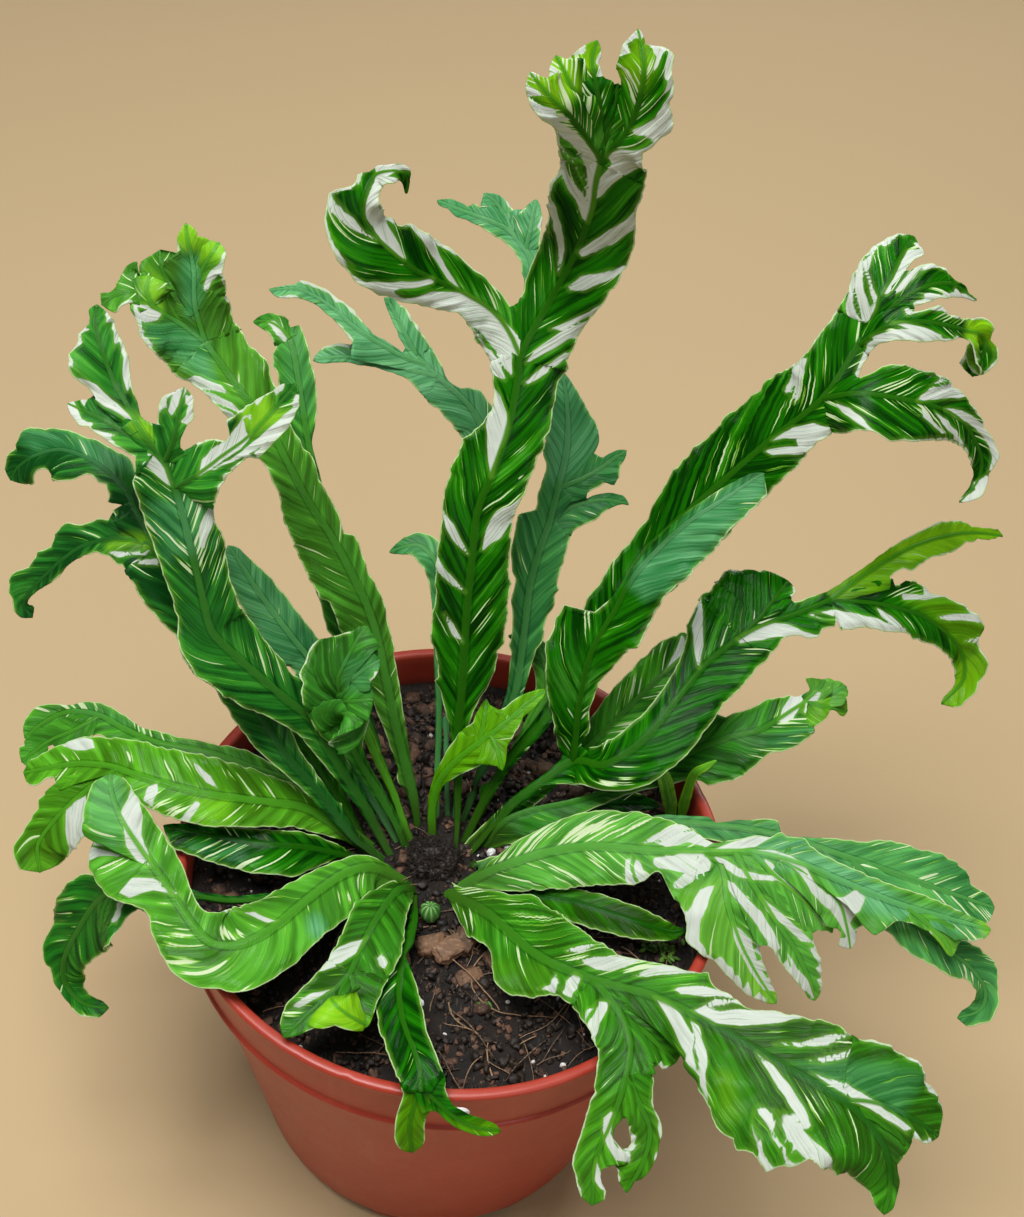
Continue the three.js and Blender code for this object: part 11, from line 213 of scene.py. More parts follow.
        [(-26.5,-5.5,132.5,-0.5,0.836,0.226,0.6,1,0,0,0,0), (-28.5,-6.8,132.7,-0.505,0.833,0.226,0.6,1.1,0,0,0,0), (-30.5,-8.1,133,-0.51,0.83,0.226,0.6,1.3,0,0,0,0), (-32.5,-9.4,133.2,-0.505,0.833,0.227,0.6,1.4,0,0,0,0), (-34.6,-10.6,133.4,-0.49,0.841,0.228,0.6,1.6,0,0,0,0), (-36.6,-11.9,133.7,-0.467,0.854,0.23,0.6,1.7,0,0,0,0), (-38.7,-13,133.9,-0.438,0.869,0.231,0.6,1.7,0,0,0,0), (-40.8,-14.1,134.2,-0.409,0.882,0.232,0.6,1.8,0,0,0,0), (-43,-15.2,134.5,-0.387,0.892,0.233,0.6,1.9,0,0,0,0), (-45.1,-16.2,134.8,-0.372,0.898,0.234,0.6,1.9,0,0,0,0), (-47.3,-17.1,135.1,-0.363,0.902,0.235,0.6,1.9,0,0,0,0), (-49.5,-18.1,135.4,-0.357,0.904,0.235,0.6,1.9,0,0,0,0), (-51.7,-19,135.8,-0.357,0.904,0.236,0.6,1.8,0,0,0,0), (-53.8,-20,136.3,-0.36,0.902,0.237,0.6,1.7,0,0,0,0), (-55.9,-21,137,-0.364,0.9,0.238,0.6,1.8,0,0,0,0), (-58,-22,137.7,-0.365,0.9,0.239,0.6,1.9,0,0,0,0), (-60,-23.1,138.5,-0.361,0.901,0.239,0.6,2,0,0,0,0), (-62,-24.1,139.3,-0.352,0.905,0.24,0.6,2,0,0,0,0), (-64,-25.1,140.3,-0.336,0.911,0.24,0.6,1.9,0,0,0,0), (-65.9,-26,141.2,-0.31,0.92,0.239,0.6,1.8,0,0,0,0), (-67.9,-26.9,142.2,-0.28,0.93,0.237,0.6,1.8,0,0,0,0), (-69.9,-27.8,143.3,-0.248,0.94,0.236,0.6,1.9,0,0,0,0), (-71.8,-28.6,144.6,-0.212,0.949,0.235,0.6,1.9,0,0,0,0), (-73.7,-29.3,145.9,-0.169,0.958,0.232,0.6,1.9,0,0,0,0), (-75.7,-29.8,147.1,-0.125,0.965,0.231,0.6,1.7,0,0,0,0), (-77.8,-30.3,148.1,-0.077,0.97,0.229,0.6,1.6,0,0,0,0), (-80.1,-30.6,148.9,-0.023,0.974,0.225,2.1,2.2,0,0,0,0), (-82.4,-30.7,149.5,0.018,0.974,0.224,3.4,2.7,0,0,0,0), (-84.7,-30.8,150,0.042,0.974,0.224,4.5,3.1,0,0,0,0), (-87.1,-30.7,150.4,0.053,0.973,0.225,5.5,3.6,0,0,0,0), (-89.5,-30.7,150.7,0.075,0.971,0.225,6.6,4.2,0,0,0,0), (-91.9,-30.5,150.9,0.103,0.969,0.226,7.5,4.7,0,0,0,0), (-94.3,-30.2,150.9,0.103,0.968,0.231,7,5.3,0,0,0,0), (-96.6,-29.9,150.3,0.097,0.967,0.236,8.4,6.1,0,0,0,0), (-98.8,-29.4,149.5,0.093,0.965,0.246,14.7,6.5,0,0,0,0), (-100.9,-29,148.5,0.058,0.965,0.254,18.3,6.2,0,0,0,0), (-102.9,-28.6,147.2,-0.013,0.967,0.253,18.9,6.1,0,0,0,0), (-104.7,-28.3,145.7,-0.087,0.964,0.251,18.4,6.4,0,0,0,0), (-106.4,-28.1,144,-0.148,0.956,0.253,18.1,6.8,0,0,0,0), (-107.9,-27.8,142.1,-0.21,0.944,0.253,17.4,7.4,0,0,0,0), (-109.4,-27.7,140.2,-0.289,0.926,0.245,16.8,8.2,0,0,0,0), (-110.8,-27.7,138.2,-0.383,0.894,0.232,15.8,9,0,0,0,0), (-112.1,-27.8,136.2,-0.485,0.848,0.214,14.9,11.7,0,0,0,0), (-113.3,-28.2,134.2,-0.58,0.792,0.192,14.1,11.8,0,0,0,0), (-114.5,-28.6,132.2,-0.65,0.739,0.178,13.3,12.3,0,0,0,0), (-115.6,-29.2,130.1,-0.693,0.7,0.172,12.8,12.7,0,0,0,0), (-116.7,-29.8,128,-0.718,0.676,0.167,12.1,12.8,0,0,0,0), (-117.7,-30.4,125.9,-0.728,0.666,0.164,11.4,12.8,0,0,0,0), (-118.7,-31,123.8,-0.726,0.667,0.165,10.5,12.4,0,0,0,0), (-119.7,-31.5,121.7,-0.723,0.67,0.169,9.6,12.1,0,0,0,0), (-120.7,-32,119.6,-0.733,0.658,0.173,9,9.9,0,0,0,0), (-121.6,-32.5,117.4,-0.767,0.617,0.179,8.5,9.1,0,0,0,0), (-122.5,-33,115.2,-0.828,0.53,0.183,8.2,9.2,0,0,0,0), (-123.3,-33.6,113,-0.904,0.391,0.173,7.4,8.5,0,0,0,0), (-123.9,-34.2,110.8,-0.967,0.21,0.147,7.1,7,0,0,0,0), (-124.2,-34.8,108.5,-0.994,0.003,0.109,6.9,4.1,0,0,0,0), (-124.4,-35.6,106.2,-0.973,-0.222,0.059,6.7,3.3,0,0,0,0), (-124.2,-36.4,104,-0.891,-0.453,-0.005,6.6,3.1,0,0,0,0), (-123.5,-37.3,101.8,-0.759,-0.647,-0.063,6.5,2.4,0,0,0,0), (-122.3,-38.2,99.9,-0.63,-0.771,-0.089,5.9,2.6,0,0,0,0), (-120.8,-39,98.3,-0.52,-0.848,-0.103,3.9,2.7,0,0,0,0), (-119,-39.8,96.9,-0.389,-0.913,-0.127,3.8,3.6,0,0,0,0), (-117,-40.3,95.7,-0.192,-0.966,-0.174,3.2,4,0,0,0,0), (-114.7,-40.3,94.9,-0.008,-0.979,-0.204,2.7,3.6,0,0,0,0), (-112.4,-40.1,94.5,0.049,-0.977,-0.206,2.2,3.6,0,0,0,0), (-110,-39.9,94,0.044,-0.978,-0.202,0.3,0.3,0,0,0,0)],
    ],
    "frond_front_left": [
        [(-13.4,-10.2,133,-0.605,0.736,0.305,2.3,2,0,0,0,0), (-14.4,-11.7,134.7,-0.602,0.743,0.293,3.7,2,0,0,0,0), (-15.4,-13.2,136.3,-0.638,0.719,0.276,4.9,2.4,0,0,0,0), (-16.4,-14.7,138,-0.728,0.632,0.267,5.6,3.4,0,0,0,0), (-17.2,-16.5,139.4,-0.821,0.517,0.243,6,4.1,0,0,0,0), (-17.9,-18.5,140.6,-0.879,0.428,0.209,6.3,4.6,0,0,0,0), (-18.6,-20.5,141.8,-0.908,0.378,0.181,6.7,5.3,0,0,0,0), (-19.2,-22.6,142.9,-0.922,0.351,0.167,7,6.1,0,0,0,0), (-19.8,-24.7,143.9,-0.928,0.336,0.159,7.3,6.7,0,0,0,0), (-20.4,-26.8,145,-0.931,0.332,0.155,7.6,7.3,0,0,0,0), (-21,-29,146,-0.932,0.33,0.151,8.4,7.9,0,0,0,0), (-21.6,-31.1,146.9,-0.935,0.324,0.148,9,8.4,0,0,0,0), (-22.2,-33.3,147.9,-0.939,0.311,0.143,9.6,8.1,0,0,0,0), (-22.8,-35.5,148.7,-0.944,0.298,0.138,10.4,8,0,0,0,0), (-23.3,-37.7,149.5,-0.949,0.286,0.132,11,7.7,0,0,0,0), (-23.9,-40,150.2,-0.954,0.273,0.126,11.6,7.5,0,0,0,0), (-24.5,-42.3,150.8,-0.958,0.259,0.121,11.8,7.4,0,0,0,0), (-25,-44.6,151.3,-0.961,0.25,0.117,11.7,7.3,0,0,0,0), (-25.6,-46.9,151.7,-0.962,0.249,0.114,11.6,7.2,0,0,0,0), (-26.1,-49.3,152,-0.962,0.251,0.113,11.6,7.3,0,0,0,0), (-26.7,-51.6,152.3,-0.962,0.251,0.112,11.4,7.5,0,0,0,0), (-27.3,-54,152.4,-0.962,0.25,0.111,6,7.7,5.2,0,0,0), (-27.9,-56.3,152.5,-0.962,0.25,0.11,0.8,0.8,9,7.2,0,0)],
        [(-27.7,-55.3,152.5,-0.84,0.534,0.091,0.8,3,9,5,0.1,0.1), (-28.7,-57,152.3,-0.841,0.532,0.095,1.2,7.6,9,0,0.1,0), (-29.8,-58.6,152.2,-0.834,0.541,0.106,2.2,7.5,9,0,0.1,0), (-30.9,-60.2,152,-0.814,0.569,0.121,3.2,7.4,9,0,0.1,0), (-32,-61.7,151.9,-0.79,0.596,0.142,4.5,7.3,9,0,0.1,0), (-33.2,-63.3,151.8,-0.776,0.609,0.165,5.8,7.1,9,0,0,0), (-34.4,-64.8,151.7,-0.768,0.613,0.185,6.5,7,6.5,0,0,0), (-35.7,-66.2,151.5,-0.764,0.615,0.196,7,6.9,2.9,0,0,0), (-36.9,-67.7,151.2,-0.76,0.619,0.199,6.4,6.9,0,0,0,0), (-38.2,-69.1,150.9,-0.754,0.626,0.199,5.1,6.7,0,0,0,0), (-39.5,-70.5,150.4,-0.749,0.632,0.199,4.2,6.6,0,0,0,0), (-40.7,-71.9,149.9,-0.742,0.64,0.199,3.4,6.3,0,0,0,0), (-42,-73.2,149.3,-0.734,0.648,0.2,2.6,5.4,0,0,0,0), (-43.4,-74.4,148.7,-0.731,0.652,0.201,1.7,4.1,0,0,0,0), (-44.7,-75.7,148,-0.731,0.653,0.2,0.3,0.3,0,0,0,0)],
        [(-27.7,-55.3,152.5,-0.948,-0.297,0.118,1.2,0.8,9,9,0,0), (-27.1,-57.2,152.3,-0.95,-0.296,0.102,8,1.2,4.1,9,0,-0.1), (-26.5,-59,152.2,-0.948,-0.311,0.062,11,2.2,0,9,0,-0.1), (-25.9,-60.9,152,-0.936,-0.352,0.008,10,3.2,0,9,0,-0.1), (-25.2,-62.6,151.7,-0.92,-0.39,-0.047,8.7,4.5,0,9,0,-0.1), (-24.4,-64.4,151.4,-0.91,-0.406,-0.082,7.2,5.8,0,9,0,0), (-23.6,-66.1,151,-0.911,-0.404,-0.084,5.4,6.2,0,7.9,0,0), (-22.8,-67.8,150.4,-0.914,-0.399,-0.081,4,4.2,0,4.8,0,0.1), (-22,-69.4,149.7,-0.914,-0.399,-0.08,2.6,2,0,4.7,0,0.1), (-21.2,-71.1,149,-0.914,-0.399,-0.08,0.6,2.8,0,0,0,0.1)],
        [(-21.5,-70.5,149.3,0.185,0.92,0.347,0.8,0.5,1.2,9,-0.2,-0.5), (-22.9,-70.9,151.2,0.203,0.918,0.34,2.6,2.2,0,9,-0.1,-0.9), (-24.4,-71.2,153.1,0.277,0.907,0.319,3.3,4.2,0,9,0,-1.6), (-26.2,-71.2,154.8,0.369,0.882,0.294,4,5.8,0,9,0,-2.4), (-28,-70.8,156.3,0.466,0.843,0.269,4.5,7.2,0,9,-0.2,-3), (-29.8,-70,157.3,0.626,0.757,0.189,8.3,7.8,0,9,-0.8,-3), (-31.2,-68.5,157.4,0.77,0.619,0.156,7.2,7.5,9,9,-1.2,-2.2), (-32.3,-66.8,157,0.801,0.581,0.144,0.3,0.3,0,0,-1,-1.1)],
    ],
    "frond_front_rim": [
        [(-10.7,-15.2,132.6,-0.999,-0.054,-0.007,0.4,1.7,0,0,0,0), (-10.6,-17.3,133.8,-0.998,-0.061,-0.009,0.5,1.7,0,0,0,0), (-10.5,-19.3,135,-0.998,-0.063,-0.006,0.5,1.7,0,0,0,0), (-10.3,-21.4,136.3,-0.999,-0.048,0.001,0.6,1.8,0,0,0,0), (-10.3,-23.4,137.5,-1,-0.013,0.013,0.7,1.7,0,0,0,0), (-10.3,-25.6,138.6,-0.999,0.032,0.027,0.9,1.7,0,0,0,0), (-10.3,-27.7,139.6,-0.996,0.076,0.041,0.9,1.6,0,0,0,0), (-10.5,-29.9,140.6,-0.993,0.109,0.053,1,1.6,0,0,0,0), (-10.7,-32.1,141.5,-0.99,0.129,0.061,1.1,1.6,0,0,0,0), (-11,-34.3,142.4,-0.988,0.14,0.065,1.2,1.6,0,0,0,0), (-11.2,-36.6,143.2,-0.987,0.144,0.068,1.4,1.5,0,0,0,0), (-11.5,-38.8,143.9,-0.986,0.151,0.07,1.4,1.5,0,0,0,0), (-11.9,-41.1,144.5,-0.983,0.17,0.067,0.7,1.6,0,0,0,0), (-12.3,-43.5,144.7,-0.984,0.168,0.062,0.3,1.8,0,0,0,0), (-12.6,-45.8,144.9,-0.992,0.116,0.052,1.7,2.1,0,0,0,0), (-12.8,-48.2,145.2,-0.998,0.057,0.039,2.7,2.5,0,0,0,0), (-12.9,-50.5,145.7,-0.999,0.022,0.027,3.6,3.5,0,0,0,0), (-12.9,-52.9,146.2,-1,-0.002,0.016,4.3,4.6,0,0,0,0), (-12.8,-55.2,146.7,-1,-0.028,0.004,5,5.8,0,0,0,0), (-12.7,-57.6,147.2,-0.997,-0.072,-0.012,5.6,6.1,0,0,0,0), (-12.5,-59.9,147.8,-0.989,-0.146,-0.027,5.9,6.5,0,0,0,0), (-12.1,-62.2,148.4,-0.978,-0.207,-0.042,6.2,7.2,0,0,0,0), (-11.6,-64.4,148.9,-0.971,-0.233,-0.056,6.2,7.1,0,0,0,0), (-11.1,-66.7,149.4,-0.964,-0.256,-0.066,6.2,7.1,0,0,0,0), (-10.5,-69,150,-0.955,-0.285,-0.078,6.2,7.2,0,0,0,0), (-9.8,-71.2,150.5,-0.939,-0.332,-0.089,6,7.2,0,0,0,0), (-9,-73.4,151,-0.916,-0.388,-0.097,5.8,7,0,0,0,0), (-8.1,-75.6,151.5,-0.905,-0.414,-0.103,5.3,7.3,0,0,0,0), (-7.1,-77.7,151.9,-0.911,-0.398,-0.104,5.2,7.2,0,0,0,0), (-6.3,-79.9,152.2,-0.92,-0.38,-0.097,5.4,7.3,0,0,0,0), (-5.4,-82.1,152.5,-0.931,-0.356,-0.085,5.4,7.2,0,0,0,0), (-4.6,-84.4,152.5,-0.956,-0.286,-0.068,5.7,7,0,0,0,0), (-4,-86.7,152.3,-0.983,-0.177,-0.042,6.4,6.7,0,0,-0.1,0), (-3.7,-89,151.7,-0.994,-0.109,-0.022,2.8,5.7,4.1,0,-0.2,0), (-3.5,-91.3,151,-0.995,-0.099,-0.02,1.5,2,5.4,3,-0.3,-0.1)],
        [(-3.7,-89.4,151.6,-0.962,0.26,0.083,1,1.8,6.7,5.8,0,0.2), (-4.1,-90.7,150,-0.963,0.256,0.081,1.5,5.2,8.2,0,0.2,0.1), (-4.6,-92,148.4,-0.967,0.242,0.075,2.8,3.8,7.3,0,0.4,0), (-5,-93.1,146.7,-0.969,0.236,0.073,4,3.8,0.7,0,0.4,0), (-5.4,-94.2,145,-0.974,0.216,0.074,4.1,3.9,0,0,0.2,0), (-5.7,-95.2,143.2,-0.99,0.133,0.051,4.2,4.1,0,0,0,0), (-5.9,-96.2,141.4,-1,0.008,0.008,4.1,4.1,0,0,0,0), (-5.8,-97.1,139.6,-0.993,-0.115,-0.027,4.1,4.2,0,0,0,0), (-5.6,-97.8,137.7,-0.978,-0.203,-0.046,4.1,4.5,0,0,0,0), (-5.3,-98.6,135.8,-0.968,-0.245,-0.052,3.9,4,0,0,0,0), (-5,-99.3,133.9,-0.967,-0.252,-0.046,3.4,3.2,0,0,0,0), (-4.7,-100.1,132,-0.969,-0.245,-0.042,0.3,0.3,0,0,0,0)],
        [(-3.6,-89.7,151.5,-0.597,-0.773,-0.214,0.8,0.8,7.3,9,0.2,0), (-2.2,-90.5,150.3,-0.595,-0.775,-0.213,5.2,1.8,2.1,8.2,0.2,-0.1), (-0.7,-91.4,149.1,-0.588,-0.781,-0.211,6,3.2,0,5.4,0.1,-0.1), (0.9,-92.3,148.1,-0.591,-0.781,-0.203,4,3.3,0,0,0,-0.1), (2.6,-93.3,147.3,-0.575,-0.794,-0.198,3.1,1.7,0,0,0,0), (4.2,-94.3,146.5,-0.514,-0.834,-0.203,2.3,1.9,0,0,0,0), (5.9,-95,145.6,-0.445,-0.872,-0.207,2.4,2,0,0,0,0), (7.6,-95.5,144.6,-0.38,-0.902,-0.205,2.6,2.2,0,0,0,0), (9.3,-95.9,143.5,-0.295,-0.932,-0.21,2.6,2,0,0,0,0), (11,-96.1,142.5,-0.181,-0.958,-0.221,2.8,1.8,0,0,0,0), (12.8,-96.1,141.5,-0.053,-0.971,-0.235,2.9,1.9,0,0,0,0), (14.6,-95.9,140.6,0.044,-0.97,-0.24,2.8,1.9,0,0,0,0), (16.5,-95.5,139.7,0.087,-0.967,-0.238,2.3,1.7,0,0,0,0), (18.3,-95.1,138.9,0.088,-0.969,-0.232,1.8,1.4,0,0,0,0), (20.1,-94.8,138,0.079,-0.97,-0.23,0.3,0.3,0,0,0,0)],
    ],
    "frond_upper_left_tall": [
        [(-21.7,3.9,132.6,0.799,0.577,0.171,1.1,1.2,0,0,0,0), (-22.9,4.9,134.4,0.8,0.576,0.17,1.2,1.2,0,0,0,0), (-24,5.9,136.2,0.797,0.579,0.168,1.3,1.3,0,0,0,0), (-25.2,7,138.1,0.788,0.592,0.172,1.5,1.3,0,0,0,0), (-26.3,7.9,140,0.773,0.61,0.176,1.6,1.4,0,0,0,0), (-27.4,8.6,141.9,0.756,0.63,0.178,1.7,1.5,0,0,0,0), (-28.4,9.3,144,0.736,0.651,0.187,1.8,1.6,0,0,0,0), (-29.5,9.9,146,0.716,0.67,0.197,1.9,1.8,0,0,0,0), (-30.7,10.5,148,0.702,0.682,0.204,1.9,2,0,0,0,0), (-31.9,11.2,149.9,0.692,0.69,0.209,2.1,2.2,0,0,0,0), (-33.1,11.8,151.9,0.687,0.695,0.212,2.3,2.4,0,0,0,0), (-34.4,12.5,153.8,0.683,0.698,0.213,2.5,2.6,0,0,0,0), (-35.6,13.1,155.7,0.681,0.7,0.214,2.7,2.8,0,0,0,0), (-36.9,13.7,157.7,0.68,0.701,0.213,2.9,3,0,0,0,0), (-38.1,14.3,159.6,0.68,0.702,0.212,3.1,3.2,0,0,0,0), (-39.3,14.9,161.6,0.683,0.7,0.21,3.3,3.4,0,0,0,0), (-40.5,15.4,163.6,0.69,0.695,0.203,3.6,3.6,0,0,0,0), (-41.6,16,165.6,0.699,0.688,0.195,3.9,3.7,0,0,0,0), (-42.7,16.5,167.7,0.704,0.684,0.189,4.3,3.9,0,0,0,0), (-43.7,17,169.8,0.702,0.687,0.188,4.7,4,0,0,0,0), (-44.7,17.4,171.9,0.691,0.697,0.191,5.1,4.2,0,0,0,0), (-45.8,17.9,174,0.67,0.716,0.199,5.4,4.4,0,0,0,0), (-46.9,18.3,176.1,0.633,0.744,0.214,5.8,4.7,0,0,0,0), (-48,18.6,178.1,0.576,0.782,0.238,6,5.1,0,0,0,0), (-49.3,18.8,180.1,0.497,0.824,0.273,6.4,5.5,0,0,0,0), (-50.7,18.9,182.1,0.408,0.858,0.313,6.8,6.3,0,0,0,0), (-52.2,18.8,183.9,0.338,0.877,0.341,7.1,7.3,0,0,0,0), (-53.7,18.6,185.7,0.31,0.884,0.351,7.2,7.8,0,0,0,0), (-55.3,18.5,187.5,0.328,0.882,0.339,7.2,8.1,0,0,0,0), (-56.8,18.4,189.3,0.364,0.875,0.32,7.4,8.1,0,0,0,0), (-58.4,18.4,191.1,0.384,0.868,0.316,7.8,7.8,0,0,0,0), (-59.9,18.5,192.9,0.392,0.863,0.318,8.6,7.7,0,0,0,0), (-61.5,18.6,194.7,0.4,0.86,0.316,9.4,8.9,0,0,0,0), (-63.1,18.7,196.5,0.41,0.856,0.314,10.3,9.2,0,0,0,0), (-64.7,18.8,198.3,0.419,0.853,0.312,11.2,9.5,0,0,0,0), (-66.3,19,200,0.427,0.849,0.312,11.3,9.9,0,0,0,0), (-68,19.2,201.7,0.438,0.844,0.309,11.4,10.2,0,0,0,0), (-69.6,19.4,203.4,0.453,0.838,0.304,12.8,10.6,0,0,0,0), (-71.3,19.7,205.1,0.467,0.833,0.296,12.1,11,0,0,0,0), (-72.9,20,206.9,0.469,0.831,0.3,12.3,11.4,0,0,0,0), (-74.5,20.3,208.6,0.475,0.826,0.305,12.5,11.8,0,0,0,0), (-76.1,20.6,210.3,0.517,0.804,0.292,12.9,12,0,0,0,0), (-77.6,21,212.1,0.607,0.753,0.256,12.1,11.9,0,0,0,0), (-79,21.6,214,0.734,0.655,0.182,11.1,11.7,0,0,0,0), (-79.9,22.5,216,0.842,0.53,0.099,9.9,11.4,0,0,0,0), (-80.6,23.5,218,0.901,0.431,0.052,8.6,10.9,0,0,0,0), (-81.1,24.6,220.1,0.922,0.384,0.039,8.6,10.3,0,0,0,0), (-81.7,25.7,222.1,0.922,0.384,0.053,8.8,9.9,0,0,0,0), (-82.3,26.8,224.2,0.918,0.391,0.063,8.8,9.6,0,0,0,0), (-82.9,27.9,226.2,0.921,0.386,0.055,8.8,9.3,0,0,0,0), (-83.5,29.1,228.1,0.922,0.383,0.052,9.1,9.2,0,0,0,0), (-84.1,30.2,230.1,0.92,0.389,0.055,9.4,9.4,0,0,0,0), (-84.7,31.3,232.2,0.916,0.397,0.059,9.6,9.7,0,0,0,0), (-85.3,32.3,234.3,0.914,0.402,0.061,9.8,10,0,0,0,0), (-85.8,33.3,236.4,0.913,0.402,0.062,10,10.3,0,0,0,0), (-86.5,34.4,238.4,0.916,0.398,0.061,10.1,10.3,0,0,0,0), (-87.1,35.5,240.4,0.919,0.391,0.058,10.5,9.3,0,0,0,0), (-87.7,36.8,242.3,0.92,0.388,0.057,10.6,8.5,0,0,0,0), (-88.4,38,244.2,0.917,0.395,0.06,10.8,8.9,0,0,0,0.1), (-89.1,39.3,246.2,0.908,0.414,0.068,11.1,9.8,0,0,0,0.4), (-89.8,40.5,248.1,0.891,0.447,0.085,11.2,8.5,0,3,0,0.8), (-90.6,41.6,250,0.869,0.484,0.106,11.3,4.8,0,9,0,0.8), (-91.5,42.7,252,0.851,0.511,0.123,11,1.5,0,9,0,0.5), (-92.4,43.7,253.9,0.842,0.524,0.127,11,2.2,0,9,0,0.3), (-93.3,44.7,255.9,0.841,0.527,0.119,10.7,4.5,0,9,0,0.3), (-94.2,45.8,257.8,0.827,0.549,0.12,10.6,5.2,0,7.1,0,0.3), (-95.2,46.7,259.7,0.773,0.614,0.156,9.1,1,0,7.5,0,0.3), (-96.4,47.5,261.6,0.669,0.703,0.241,6.5,2.5,1.4,6,-0.1,0.4), (-97.8,47.9,263.5,0.585,0.75,0.309,0.8,4.2,6,6,-0.1,0.5), (-99.3,48.3,265.3,0.621,0.733,0.278,1.2,5.8,5.3,4.5,-0.2,0.5), (-100.8,49.1,267,0.705,0.673,0.222,1.8,4,6.5,0,-0.1,0.3), (-102.2,50.3,268.5,0.743,0.636,0.209,2.2,2.8,7.2,0,-0.1,0), (-103.7,51.5,270,0.748,0.628,0.213,3,0.8,7.6,1.2,-0.1,-0.1)],
        [(-101.4,49.6,267.7,0.776,0.616,0.137,2,4.1,7.4,0,-0.1,0), (-102.6,50.8,268.9,0.776,0.615,0.141,0.8,2.4,9,0,-0.3,0), (-103.7,51.9,270,0.778,0.611,0.147,1,1.9,9,0,-0.5,0), (-104.8,53.1,271.2,0.785,0.6,0.151,3.8,2.4,8.7,0,-0.6,0), (-105.9,54.3,272.4,0.797,0.585,0.152,4.2,3,9,0,-0.8,0), (-107,55.5,273.6,0.798,0.579,0.166,5,3.2,9,0,-1,0), (-108.2,56.7,274.7,0.798,0.576,0.179,5.5,3.7,6.4,0,-1.1,0), (-109.3,57.9,275.8,0.81,0.56,0.174,6.2,4.2,0.5,0,-0.9,0), (-110.4,59.2,276.9,0.827,0.539,0.157,7,4.9,0,0,-0.4,0), (-111.3,60.4,278.2,0.847,0.513,0.135,7.7,5.4,0,0,-0.1,0), (-112.2,61.6,279.5,0.866,0.487,0.113,9.2,6.1,0,0,0,0), (-113,62.7,280.9,0.88,0.465,0.097,10.3,6.5,0,0,0,0), (-113.8,63.9,282.4,0.888,0.451,0.088,10.7,6.2,0,0,0,0), (-114.5,65.1,283.8,0.892,0.444,0.087,9.7,6.3,0,0,0,0), (-115.3,66.4,285.1,0.893,0.441,0.089,9.1,6,0,0,0,0), (-116.1,67.7,286.4,0.902,0.424,0.081,5.7,5.8,0,0,0,0), (-116.8,69.1,287.7,0.926,0.373,0.05,5.1,5.5,0,0,0,0), (-117.3,70.5,289,0.964,0.265,-0.021,1.6,5.5,0,0,0,0), (-117.5,72,290.3,0.985,0.131,-0.11,1.3,5.3,0,0,0,0), (-117.4,73.5,291.7,0.987,0.064,-0.147,2.1,3.3,0,0,0,0), (-117.3,74.9,293,0.988,0.056,-0.143,0.3,0.3,0,0,0,0)],
        [(-97.3,47.8,262.9,0.323,0.757,0.568,2,1.8,9,9,0.1,0.6), (-99.1,47.8,263.8,0.319,0.763,0.563,9.5,1,0,9,0,0.4), (-100.8,47.8,264.8,0.323,0.778,0.538,4.8,1.2,0,5.9,0,0.4), (-102.6,48,265.7,0.351,0.796,0.494,4.9,1.8,0,4.3,0,0.4), (-104.3,48.3,266.5,0.382,0.807,0.451,5,2.2,0,3.9,0,0.5), (-106.1,48.7,267.4,0.389,0.815,0.43,5.2,2.8,0,5.1,0,0.5), (-107.9,49.2,268.1,0.386,0.821,0.42,5,3.5,0,7.1,0,0.6), (-109.7,49.7,268.8,0.391,0.821,0.415,4.8,4,0,7.6,0,0.7), (-111.6,50.3,269.3,0.399,0.816,0.418,4.5,4.5,0,9,0,0.9), (-113.4,51.1,269.6,0.408,0.809,0.422,4.3,5.2,0,8.5,0,1.1), (-115.2,51.9,269.8,0.412,0.805,0.426,3.7,5.8,0,8,0,1.3), (-117.1,52.7,270,0.411,0.804,0.43,4.7,6.5,0,2.1,0,1), (-118.9,53.6,270.1,0.411,0.802,0.434,3.9,3.5,0,0,0,0.5), (-120.7,54.5,270.1,0.411,0.8,0.437,2.9,2.9,0,0,0,0.1), (-122.4,55.5,270,0.411,0.799,0.438,1.9,1.7,0,0,0,0), (-124.2,56.4,270,0.411,0.799,0.438,0.3,0.3,0,0,0,0)],
        [(-94.9,46.4,259.1,0.871,0.179,-0.457,0.8,0.8,9,9,-0.4,-0.3), (-94,47.1,261,0.88,0.147,-0.451,1.5,6,9,7.8,-0.5,-0.2), (-93.2,47.8,262.9,0.902,0.076,-0.424,2.8,6.5,9,1.5,-0.7,-0.1), (-92.3,48.6,264.8,0.931,0.006,-0.365,4,2.2,9,0,-0.8,0), (-91.7,49.4,266.8,0.958,-0.037,-0.285,5,1.8,6.5,0,-0.7,0), (-91.1,50.3,268.7,0.981,-0.043,-0.189,5.7,2.1,0,0,-0.4,0), (-90.9,51.5,270.4,0.991,-0.028,-0.128,5.8,2.9,0,0,-0.1,0), (-90.6,52.7,272,0.992,-0.012,-0.122,5.9,4.3,0,0,0,0), (-90.5,54.1,273.5,0.993,-0.003,-0.119,5.9,3.9,0,0,0,0), (-90.3,55.5,275.1,0.991,-0.018,-0.133,5.4,3.6,0,0,0,0), (-90,56.9,276.5,0.989,-0.036,-0.147,2.8,3.3,0,0,0,0), (-89.7,58.3,278,0.988,-0.043,-0.148,0.3,0.3,0,0,0,0)],
